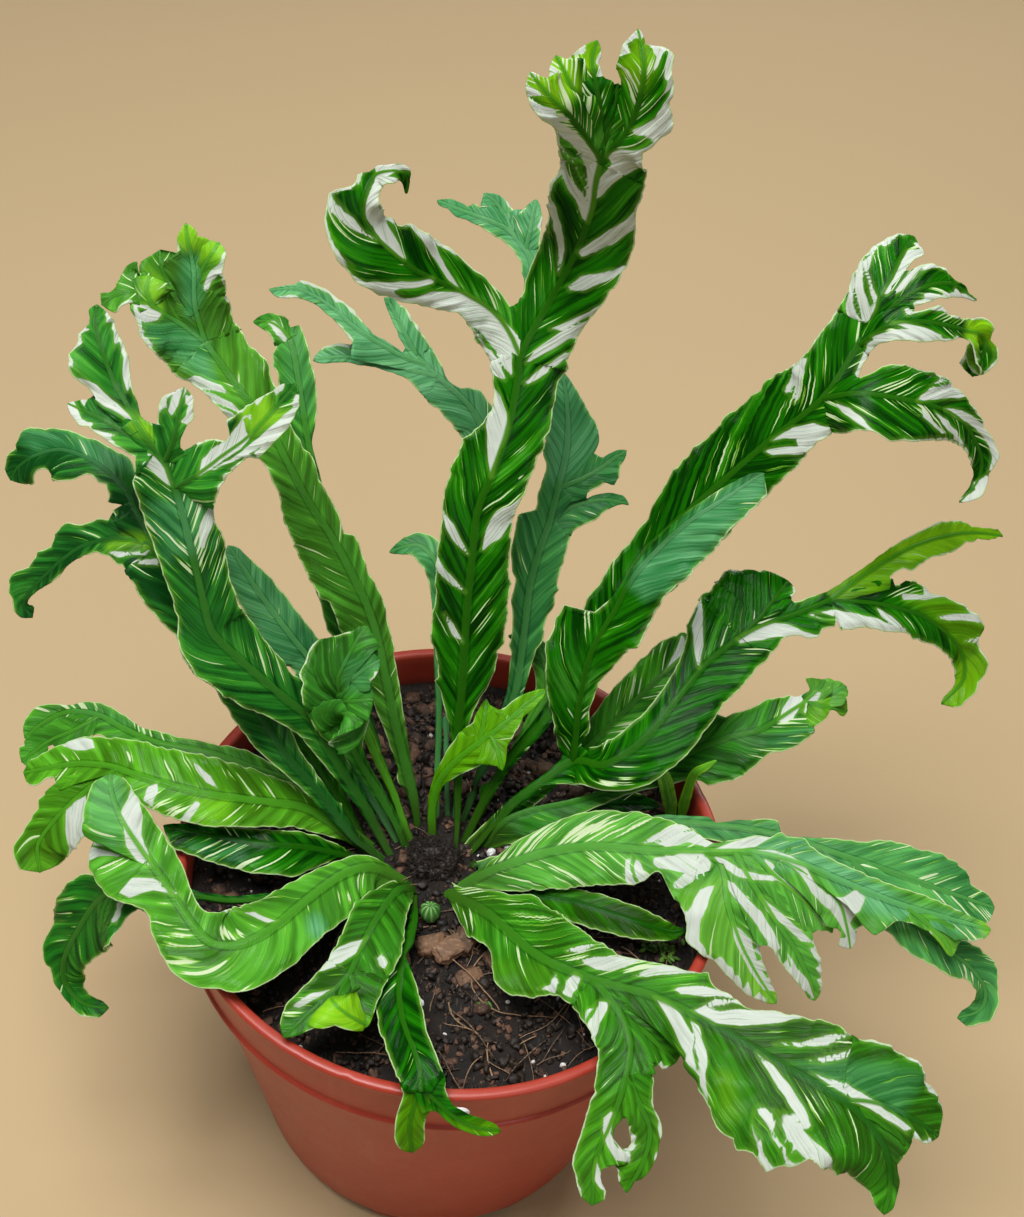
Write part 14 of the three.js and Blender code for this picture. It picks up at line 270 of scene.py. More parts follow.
        [(-3.4,22.3,132.4,0.994,0.103,0.027,0.3,1.3,0,0,0,0), (-3.6,23.4,134.5,0.994,0.103,0.027,0.3,1.2,0,0,0,0), (-3.8,24.5,136.6,0.994,0.104,0.027,0.3,1.2,0,0,0,0), (-4,25.6,138.7,0.994,0.105,0.027,0.3,1.1,0,0,0,0), (-4.1,26.7,140.8,0.994,0.108,0.029,0.4,1,0,0,0,0), (-4.3,27.8,142.9,0.993,0.112,0.031,0.4,1,0,0,0,0), (-4.5,28.9,145,0.993,0.111,0.031,0.4,0.9,0,0,0,0), (-4.7,30,147.2,0.994,0.106,0.029,0.5,0.9,0,0,0,0), (-4.9,31.1,149.3,0.995,0.097,0.026,0.5,0.8,0,0,0,0), (-5,32.3,151.3,0.996,0.085,0.022,0.6,0.8,0,0,0,0), (-5.2,33.5,153.4,0.997,0.074,0.018,0.7,0.7,0,0,0,0), (-5.3,34.7,155.4,0.998,0.065,0.016,0.7,0.8,0,0,0,0), (-5.4,36,157.5,0.998,0.059,0.014,0.7,0.8,0,0,0,0), (-5.5,37.2,159.5,0.999,0.053,0.012,1,0.9,0,0,0,0), (-5.6,38.5,161.5,0.999,0.048,0.011,2.1,0.9,0,0,0,0), (-5.7,39.8,163.5,0.999,0.043,0.009,0.3,1,0,0,0,0), (-5.7,41.1,165.5,0.999,0.039,0.008,0.9,1,0,0,0,0), (-5.8,42.4,167.5,0.999,0.035,0.006,1,1,0,0,0,0), (-5.8,43.6,169.6,1,0.031,0.005,1,1.1,0,0,0,0), (-5.9,44.9,171.6,1,0.027,0.003,1,1.1,0,0,0,0), (-5.9,46.1,173.7,1,0.024,0.002,1.1,1.2,0,0,0,0), (-5.9,47.3,175.7,1,0.021,0.001,1.1,1.2,0,0,0,0), (-6,48.5,177.8,1,0.019,0,1.1,1.2,0,0,0,0), (-6,49.8,179.8,1,0.016,0,1.2,1.3,0,0,0,0), (-6,51,181.8,1,0.014,-0.001,1.2,1.3,0,0,0,0), (-6,52.3,183.9,1,0.013,-0.002,1.3,1.3,0,0,0,0), (-6,53.5,185.9,1,0.011,-0.002,1.3,1.3,0,0,0,0), (-6,54.8,187.9,1,0.01,-0.003,1.4,1.5,0,0,0,0), (-6.1,56.1,189.9,1,0.009,-0.003,1.5,1.6,0,0,0,0), (-6.1,57.4,191.9,1,0.007,-0.004,1.5,1.7,0,0,0,0), (-6.1,58.8,193.9,1,0.004,-0.005,1.6,1.8,0,0,0,0), (-6,60.1,195.9,1,0.001,-0.006,1.7,2,0,0,0,0), (-6,61.4,197.8,1,-0.003,-0.007,1.7,2.1,0,0,0,0), (-6,62.8,199.8,1,-0.007,-0.009,1.8,2.2,0,0,0,0), (-6,64.2,201.7,1,-0.012,-0.011,1.9,2.3,0,0,0,0), (-5.9,65.6,203.7,1,-0.015,-0.013,2,2.4,0,0,0,0), (-5.9,67,205.6,1,-0.018,-0.014,2.1,2.6,0,0,0,0), (-5.8,68.4,207.5,1,-0.02,-0.015,2.2,2.7,0,0,0,0), (-5.8,69.8,209.4,1,-0.024,-0.016,2.3,2.9,0,0,0,0), (-5.7,71.3,211.3,0.999,-0.029,-0.018,2.4,3.1,0,0,0,0), (-5.6,72.8,213.2,0.999,-0.036,-0.021,2.5,3.2,0,0,0,0), (-5.5,74.2,215.1,0.999,-0.045,-0.025,2.6,3.4,0,0,0,0), (-5.4,75.7,217,0.998,-0.057,-0.03,2.8,3.5,0,0,0,0), (-5.2,77.2,218.8,0.997,-0.072,-0.037,3,3.6,0,0,0,0), (-5,78.6,220.7,0.995,-0.091,-0.046,3,3.8,0,0,0,0), (-4.8,80.1,222.6,0.993,-0.109,-0.055,3.1,4,0,0,0,0), (-4.5,81.6,224.4,0.991,-0.121,-0.061,3.3,4.3,0,0,0,0), (-4.2,83.1,226.3,0.99,-0.128,-0.064,3.4,4.5,0,0,0,0), (-3.9,84.6,228.1,0.99,-0.128,-0.064,3.6,4.6,0,0,0,0), (-3.6,86.1,229.9,0.991,-0.123,-0.06,3.8,4.8,0,0,0,0), (-3.3,87.6,231.7,0.991,-0.121,-0.057,4,5.1,0,0,0,0), (-3,89.1,233.5,0.989,-0.132,-0.067,6.3,5.2,0,0,0,0), (-2.6,90.7,235.3,0.987,-0.142,-0.077,6.2,5.3,0,0,0,0), (-2.3,92.3,237.1,0.989,-0.126,-0.073,5.8,5.2,0,0,0,0), (-2,93.8,238.9,0.996,-0.07,-0.05,5.5,5.3,0,0,0,0), (-1.9,95.4,240.6,0.999,0.048,0.006,7.1,5.6,0,0,0,0), (-2.1,97,242.4,0.967,0.229,0.108,7.7,6.6,0,0,0,0), (-3,98.4,244.2,0.879,0.419,0.228,8,6,0,0,0,0), (-4.3,99.6,245.7,0.777,0.548,0.31,8.3,6,0,0,0,0), (-5.8,100.8,247.1,0.725,0.599,0.339,8.3,6,0,0,0,0), (-7.5,102,248.4,0.693,0.625,0.359,8.7,6.3,0,0,0,0), (-9.2,103.2,249.4,0.646,0.657,0.389,8.5,4.7,0,0,0,0), (-11.1,104.3,250.4,0.613,0.677,0.407,8.3,2,0,0,0,0), (-13,105.5,251.2,0.61,0.677,0.412,8.7,1.4,0,0,0,0), (-14.9,106.7,252,0.624,0.666,0.409,8.7,1.3,0,0,0,0), (-16.7,108.1,252.7,0.632,0.658,0.409,6,1.9,2.5,0,0,0), (-18.5,109.5,253.3,0.634,0.658,0.407,0.8,3.3,7.5,0,0.1,0), (-20.4,110.9,254,0.64,0.656,0.4,1.5,4.3,6.3,0,0.1,0), (-22.2,112.1,254.9,0.645,0.657,0.391,1,4.9,6.7,0,0.1,0), (-24,113.2,255.9,0.646,0.658,0.387,1,5.4,7.3,0,0.1,0.1), (-25.8,114.4,257,0.646,0.659,0.385,1.8,0.8,7.7,5.1,0.1,0.1)],
        [(-25.4,114.1,256.8,0.819,0.512,0.259,1.8,5.7,9,0,0,0), (-26.4,115.1,258.2,0.819,0.512,0.259,2.2,5.3,4.8,0,0,0), (-27.5,116,259.6,0.822,0.508,0.256,1.9,5.2,0,0,0,0), (-28.5,117,260.9,0.832,0.496,0.249,2,5,0,0,0,0), (-29.5,118.1,262.2,0.84,0.484,0.246,2.3,4.8,0,0,0,0), (-30.5,119.3,263.4,0.843,0.478,0.245,1.8,4.6,0,0,0,0), (-31.5,120.5,264.6,0.84,0.483,0.249,2,4.2,0,0,0,0), (-32.6,121.6,265.8,0.832,0.493,0.253,1.8,4.1,0,0,0,0), (-33.6,122.7,267,0.824,0.507,0.254,1.6,4.1,0,0,0,0), (-34.7,123.8,268.3,0.799,0.541,0.263,1.5,2.4,0,0,0,0), (-35.8,124.7,269.6,0.718,0.62,0.316,1.2,2.1,0,0,0,0), (-37.1,125.2,271,0.64,0.685,0.348,0.3,0.3,0,0,0,0)],
        [(-22.2,112.1,254.9,0.199,0.816,0.542,1.2,1.2,7.7,4.9,0,-0.1), (-24.1,112.2,255.5,0.197,0.817,0.542,2,1,6,7.3,-0.1,-0.1), (-26.1,112.2,256.1,0.209,0.817,0.538,2,1.5,4.7,8.2,-0.3,-0.2), (-28,112.4,256.7,0.248,0.812,0.528,2.2,2.2,3.9,4,-0.5,-0.1), (-29.9,112.5,257.4,0.291,0.806,0.515,2.8,0.9,3.8,0,-0.8,0), (-31.8,112.8,258.1,0.343,0.798,0.496,3.2,1.5,3.8,0,-1.1,0), (-33.6,113.2,258.9,0.381,0.791,0.478,4,1.5,3.7,0,-1.4,0), (-35.4,113.6,259.7,0.381,0.792,0.477,4.5,1.6,3.6,0,-1.7,0), (-37.2,113.9,260.5,0.368,0.796,0.481,5.2,1.8,3.6,0,-2,0), (-39,114.3,261.3,0.363,0.797,0.483,6.2,1.4,3.4,0,-2.1,0), (-40.7,114.6,262.1,0.381,0.791,0.478,7.2,1.5,3.4,0,-1.6,0), (-42.5,115,262.9,0.421,0.778,0.466,8.5,2.2,1.1,0,-0.8,0), (-44.2,115.5,263.7,0.478,0.756,0.447,4.3,2.6,0,0,-0.2,0), (-45.9,116.2,264.5,0.542,0.726,0.423,3.9,3.3,0,0,0,0), (-47.5,117,265.3,0.59,0.7,0.404,3.3,3.4,0,0,0,0), (-49.1,117.9,266.2,0.607,0.689,0.397,3.1,3.9,0,0,0,0), (-50.6,118.8,267,0.601,0.692,0.4,2.9,3.8,0,0,0,0), (-52.2,119.7,267.8,0.568,0.711,0.414,2.8,3.7,0,0,0,0), (-53.9,120.4,268.6,0.511,0.74,0.438,2.9,3.3,0,0,0,0), (-55.6,121,269.4,0.459,0.762,0.456,2.6,3.6,0,0,0,0), (-57.3,121.6,270.2,0.419,0.778,0.468,2.3,3.8,0,0,0,0), (-59.1,122,271,0.374,0.793,0.482,2.3,3.5,0,0,0,0), (-60.9,122.3,271.7,0.306,0.809,0.501,2.6,3.5,0,0,0,0), (-62.7,122.5,272.4,0.213,0.825,0.524,2.7,3.1,0,0,0,0), (-64.6,122.5,273,0.072,0.831,0.552,2.9,3.3,0,0,0,0), (-66.5,122.2,273.4,-0.094,0.816,0.571,3.2,1.2,0,0,0,0), (-68.4,121.6,273.6,-0.216,0.79,0.574,3.2,1.1,0,0,0,0), (-70.3,120.9,273.7,-0.272,0.774,0.572,3.1,0.9,0,0,0,0), (-72.1,120.1,273.9,-0.264,0.778,0.57,2.9,0.7,0,0,0,0), (-74,119.5,274,-0.245,0.785,0.57,0.3,0.3,0,0,0,0)],
        [(-17.7,108.9,253.1,0.145,0.864,0.482,1.2,1.2,9,3.2,-0.1,-0.1), (-19.8,109.1,253.2,0.145,0.862,0.485,8.5,1,0.4,6.2,0,-0.1), (-21.9,109.4,253.4,0.145,0.858,0.493,7.2,1.5,0,7.4,0,-0.1), (-24,109.6,253.6,0.144,0.852,0.503,5.5,2,0,8.9,0,0), (-26,109.8,253.8,0.142,0.845,0.515,3.8,2,0,8.9,0,0.2), (-28.1,110.1,254,0.167,0.836,0.523,2.9,2.2,0,8.2,0,0.4), (-30.1,110.5,254,0.199,0.826,0.528,2.6,2.5,0,2.5,0,0.6), (-32,111,254,0.211,0.821,0.53,2.1,3,0,2.6,0,0.9), (-34,111.5,254.1,0.215,0.82,0.53,2.3,3.5,0,3,0,1.1), (-35.9,112,254.1,0.209,0.821,0.532,2,4.2,0,3.2,0,1.5), (-37.9,112.5,254,0.2,0.822,0.533,1.7,5,0,3,0,1.9), (-39.9,113,253.9,0.205,0.82,0.535,1.8,5.8,0,2.5,0,2), (-41.8,113.6,253.8,0.213,0.816,0.537,1.9,6.8,0,2,0,1.6), (-43.7,114.2,253.6,0.198,0.818,0.54,2.3,7.8,0,2.3,0,0.7), (-45.6,114.8,253.4,0.158,0.824,0.545,1.9,8.8,0,0.9,0,0.2), (-47.6,115.3,253.2,0.088,0.831,0.549,1.8,4.2,0,0,0,0), (-49.6,115.6,252.9,-0.006,0.835,0.55,1.9,4.4,0,0,0,0), (-51.6,115.6,252.6,-0.095,0.832,0.547,1.8,4.4,0,0,0,0), (-53.5,115.6,252.2,-0.155,0.825,0.543,1.7,4.3,0,0,0,0), (-55.5,115.4,251.8,-0.179,0.821,0.542,1.7,3.9,0,0,0,0), (-57.5,115.3,251.4,-0.173,0.821,0.544,1.4,2.7,0,0,0,0), (-59.5,115.1,251,-0.162,0.823,0.545,0.3,0.3,0,0,0,0)],
    ],
    "frond_back_top": [
        [(-0.2,21.3,132.4,1,0.006,0.002,0.8,0.6,0,0,0,0), (-0.3,22.4,134.5,1,0.01,0.003,0.8,0.7,0,0,0,0), (-0.3,23.6,136.6,1,0.01,0.005,0.7,0.8,0,0,0,0), (-0.3,24.7,138.7,1,0.002,0.002,0.7,0.9,0,0,0,0), (-0.3,25.9,140.8,1,-0.013,-0.004,0.7,1,0,0,0,0), (-0.3,27.1,142.8,1,-0.029,-0.01,0.7,1,0,0,0,0), (-0.2,28.4,144.9,0.999,-0.041,-0.014,0.7,1,0,0,0,0), (-0.1,29.7,146.9,0.999,-0.05,-0.017,0.7,1.1,0,0,0,0), (0,30.9,148.9,0.998,-0.056,-0.019,0.7,1.1,0,0,0,0), (0.1,32.2,150.9,0.998,-0.06,-0.02,0.8,1.1,0,0,0,0), (0.2,33.5,152.9,0.998,-0.062,-0.021,0.8,1.1,0,0,0,0), (0.4,34.8,154.9,0.998,-0.064,-0.021,0.8,1.1,0,0,0,0), (0.5,36.2,156.9,0.998,-0.065,-0.022,0.9,1,0,0,0,0), (0.6,37.5,158.9,0.998,-0.065,-0.022,0.9,1,0,0,0,0), (0.8,38.8,160.8,0.998,-0.065,-0.022,1,1,0,0,0,0), (0.9,40.2,162.8,0.998,-0.066,-0.022,1,1,0,0,0,0), (1,41.5,164.8,0.998,-0.066,-0.022,1,1.1,0,0,0,0), (1.2,42.9,166.8,0.998,-0.067,-0.023,1.1,1.2,0,0,0,0), (1.3,44.2,168.7,0.997,-0.068,-0.023,1.1,1.2,0,0,0,0), (1.4,45.6,170.7,0.997,-0.069,-0.023,1.1,1.3,0,0,0,0), (1.6,47,172.6,0.997,-0.069,-0.023,1.2,1.4,0,0,0,0), (1.7,48.4,174.6,0.997,-0.07,-0.024,1.2,1.4,0,0,0,0), (1.9,49.7,176.5,0.997,-0.071,-0.024,1.2,1.5,0,0,0,0), (2,51.1,178.4,0.997,-0.071,-0.024,1.3,1.6,0,0,0,0), (2.2,52.5,180.4,0.997,-0.072,-0.025,1.3,1.6,0,0,0,0), (2.3,53.9,182.3,0.997,-0.073,-0.025,1.3,1.7,0,0,0,0), (2.5,55.3,184.2,0.997,-0.074,-0.025,1.4,1.7,0,0,0,0), (2.6,56.7,186.2,0.997,-0.075,-0.026,1.5,1.8,0,0,0,0), (2.8,58.1,188.1,0.997,-0.075,-0.026,1.5,1.9,0,0,0,0), (2.9,59.6,190,0.997,-0.076,-0.026,1.6,1.9,0,0,0,0), (3.1,61,191.9,0.997,-0.076,-0.027,1.6,2,0,0,0,0), (3.2,62.4,193.8,0.997,-0.076,-0.027,1.7,2,0,0,0,0), (3.4,63.8,195.8,0.997,-0.076,-0.027,1.7,2.1,0,0,0,0), (3.6,65.3,197.7,0.997,-0.076,-0.027,1.8,2.1,0,0,0,0), (3.7,66.7,199.6,0.997,-0.076,-0.027,1.9,2.2,0,0,0,0), (3.9,68.1,201.5,0.997,-0.075,-0.027,1.9,2.2,0,0,0,0), (4,69.6,203.4,0.997,-0.075,-0.026,2,2.3,0,0,0,0), (4.2,71.1,205.2,0.997,-0.074,-0.026,2,2.4,0,0,0,0), (4.4,72.5,207.1,0.997,-0.074,-0.026,2.1,2.4,0,0,0,0), (4.5,74,209,0.997,-0.074,-0.026,2.2,2.5,0,0,0,0), (4.7,75.5,210.8,0.997,-0.074,-0.026,2.2,2.5,0,0,0,0), (4.8,77,212.7,0.997,-0.073,-0.026,2.3,2.6,0,0,0,0), (5,78.5,214.5,0.997,-0.073,-0.026,2.3,2.6,0,0,0,0), (5.2,80,216.4,0.997,-0.073,-0.026,2.4,2.7,0,0,0,0), (5.3,81.6,218.2,0.997,-0.073,-0.026,2.4,2.8,0,0,0,0), (5.5,83.1,220.1,0.997,-0.073,-0.026,2.5,2.8,0,0,0,0), (5.6,84.6,221.9,0.997,-0.074,-0.026,2.6,2.9,0,0,0,0), (5.8,86.1,223.8,0.997,-0.074,-0.026,2.6,2.9,0,0,0,0), (6,87.6,225.6,0.997,-0.075,-0.026,2.7,3,0,0,0,0), (6.1,89,227.5,0.997,-0.076,-0.027,2.7,3,0,0,0,0), (6.3,90.5,229.4,0.997,-0.077,-0.027,2.8,3,0,0,0,0), (6.4,91.9,231.3,0.997,-0.077,-0.028,2.9,3,0,0,0,0), (6.6,93.4,233.2,0.997,-0.078,-0.028,2.9,3.1,0,0,0,0), (6.8,94.9,235.1,0.997,-0.077,-0.027,3,3.1,0,0,0,0), (6.9,96.3,236.9,0.997,-0.076,-0.027,3,3.1,0,0,0,0), (7.1,97.8,238.8,0.997,-0.075,-0.027,3.1,3.1,0,0,0,0), (7.3,99.2,240.7,0.997,-0.072,-0.026,3.2,3.2,0,0,0,0), (7.4,100.7,242.6,0.997,-0.069,-0.024,3.2,3.2,0,0,0,0), (7.6,102.2,244.4,0.998,-0.066,-0.023,3.3,3.2,0,0,0,0), (7.7,103.8,246.2,0.998,-0.062,-0.021,3.3,3.3,0,0,0,0), (7.8,105.4,248,0.998,-0.057,-0.019,3.4,3.3,0,0,0,0), (7.9,107,249.8,0.998,-0.053,-0.017,3.4,3.3,0,0,0,0), (8.1,108.6,251.6,0.999,-0.05,-0.015,3.4,3.4,0,0,0,0), (8.2,110.2,253.3,0.999,-0.047,-0.014,3.5,3.4,0,0,0,0), (8.3,111.9,255,0.999,-0.046,-0.014,3.5,3.4,0,0,0,0), (8.4,113.5,256.8,0.999,-0.046,-0.014,3.5,3.5,0,0,0,0), (8.5,115.2,258.5,0.999,-0.048,-0.014,3.5,3.5,0,0,0,0), (8.6,116.8,260.2,0.999,-0.051,-0.016,3.6,3.6,0,0,0,0), (8.7,118.5,261.9,0.998,-0.056,-0.019,3.6,3.6,0,0,0,0), (8.8,120.1,263.7,0.998,-0.063,-0.023,3.7,3.6,0,0,0,0), (9,121.7,265.4,0.997,-0.07,-0.027,3.8,3.8,0,0,0,0), (9.1,123.3,267.2,0.997,-0.077,-0.03,3.6,3.9,0,0,0,0), (9.3,124.9,268.9,0.996,-0.081,-0.033,3.7,3.9,0,0,0,0), (9.5,126.6,270.7,0.996,-0.081,-0.033,3,3.9,0,0,0,0), (9.7,128.2,272.4,0.997,-0.078,-0.03,2.5,4,0,0,0,0), (9.9,129.8,274.2,0.996,-0.083,-0.033,1.5,4.1,0,0,0,0), (10.1,131.5,275.9,0.994,-0.096,-0.046,1.6,3.9,0,0,0,0), (10.4,133.2,277.5,0.995,-0.087,-0.046,2.1,3.7,0,0,0,0), (10.5,134.9,279.2,1,-0.014,-0.005,3.4,3.6,0,0,0,0), (10.4,136.7,280.8,0.984,0.148,0.103,3.5,3.9,0,0,0,0), (9.7,138.3,282.3,0.901,0.354,0.25,3.1,4.1,0,0,0,0.1), (8.4,139.8,283.6,0.802,0.488,0.344,3.6,3.5,0,1.3,0,0.1), (6.9,141.3,284.8,0.772,0.519,0.366,3.3,1.2,0,5.7,0,0.1), (5.4,142.8,285.9,0.759,0.53,0.378,3.7,2.5,0,6.6,0,0.1), (3.8,144.2,286.9,0.705,0.577,0.413,3.8,4,0,7.9,0,0), (2,145.5,287.8,0.573,0.669,0.473,4.3,1,0,9,0,-0.1), (-0.1,146.2,288.7,0.365,0.753,0.547,4.4,1.8,0,6.6,0,-0.3), (-2.3,146.3,289.5,0.259,0.779,0.571,4.3,2.8,0,5.6,0,-0.4), (-4.6,146.7,290.2,0.272,0.778,0.566,3.8,3.5,0,5.4,0,-0.4), (-6.9,147.1,290.7,0.295,0.769,0.568,2.9,4,0,5,0,-0.2), (-9.2,147.8,291,0.351,0.745,0.566,2.8,2.8,0,0,0,-0.1), (-11.3,149,291,0.412,0.713,0.567,2.6,3.6,0,0,0,0), (-13.2,150.3,290.7,0.448,0.691,0.568,2.7,1.7,0,0,0,0), (-15,151.8,290.4,0.474,0.674,0.567,2.6,2.2,0,0,0,0), (-16.7,153.4,290,0.503,0.654,0.565,1.9,2.2,0,0,0,0), (-18.4,155.1,289.5,0.53,0.633,0.564,1,2.4,0,0,0,0), (-19.9,156.9,289,0.547,0.62,0.563,1.3,2.1,0,0,0,0), (-21.4,158.7,288.5,0.55,0.618,0.562,1.2,1.3,0,0,0,0), (-22.9,160.5,288,0.548,0.621,0.561,0.3,0.3,0,0,0,0)],
        [(3.8,144.2,286.8,0.879,0.386,0.28,2.2,3.5,3.5,6.4,0,0), (2.8,145.6,287.8,0.881,0.383,0.278,0.8,4.2,5.9,6.6,0.1,0.1), (1.9,147.1,288.8,0.88,0.385,0.279,1.2,4.8,7.3,6.9,0.2,0.3), (1,148.5,289.8,0.867,0.405,0.29,2,5.5,7.9,6.6,0.3,0.5), (-0.1,149.9,290.9,0.837,0.45,0.313,3,3.4,7.8,0,0.4,0.3), (-1.2,151,292,0.787,0.513,0.344,3.5,3.2,8,0,0.4,0.1), (-2.5,152,293.2,0.706,0.59,0.392,4,2.9,8,0,0.3,0), (-3.9,152.8,294.3,0.565,0.678,0.47,4.2,2.4,8,0,0.1,0), (-5.6,153.2,295.2,0.442,0.73,0.521,4.2,1.4,7.7,0,0,0), (-7.4,153.6,296,0.41,0.745,0.526,0.3,0.3,0,0,0,0)],
        [(7.7,140.5,284.1,0.985,-0.105,-0.135,0.8,0.8,7.9,4.9,-0.4,-0.2), (8,141.5,285.7,0.985,-0.111,-0.132,1.5,4.4,9,0,-0.5,-0.1), (8.4,142.6,287.4,0.986,-0.119,-0.118,2.5,3.9,9,0,-0.7,0), (8.7,143.7,288.9,0.989,-0.117,-0.093,3.5,3.7,9,0,-1,0), (8.9,145.1,290.3,0.992,-0.108,-0.068,4,3.4,9,0,-1.1,0), (9.2,146.5,291.6,0.994,-0.095,-0.049,4.8,3.1,9,0,-0.8,0), (9.3,147.9,292.9,0.995,-0.089,-0.046,4.6,3.1,0,0,-0.4,0), (9.5,149.5,294,0.994,-0.096,-0.053,2.8,2.3,0,0,-0.1,0), (9.8,151.1,295,0.994,-0.098,-0.056,1.9,1.6,0,0,0,0), (10,152.7,296,0.994,-0.098,-0.056,0.3,0.3,0,0,0,0)],
    ],
    "frond_back_right": [
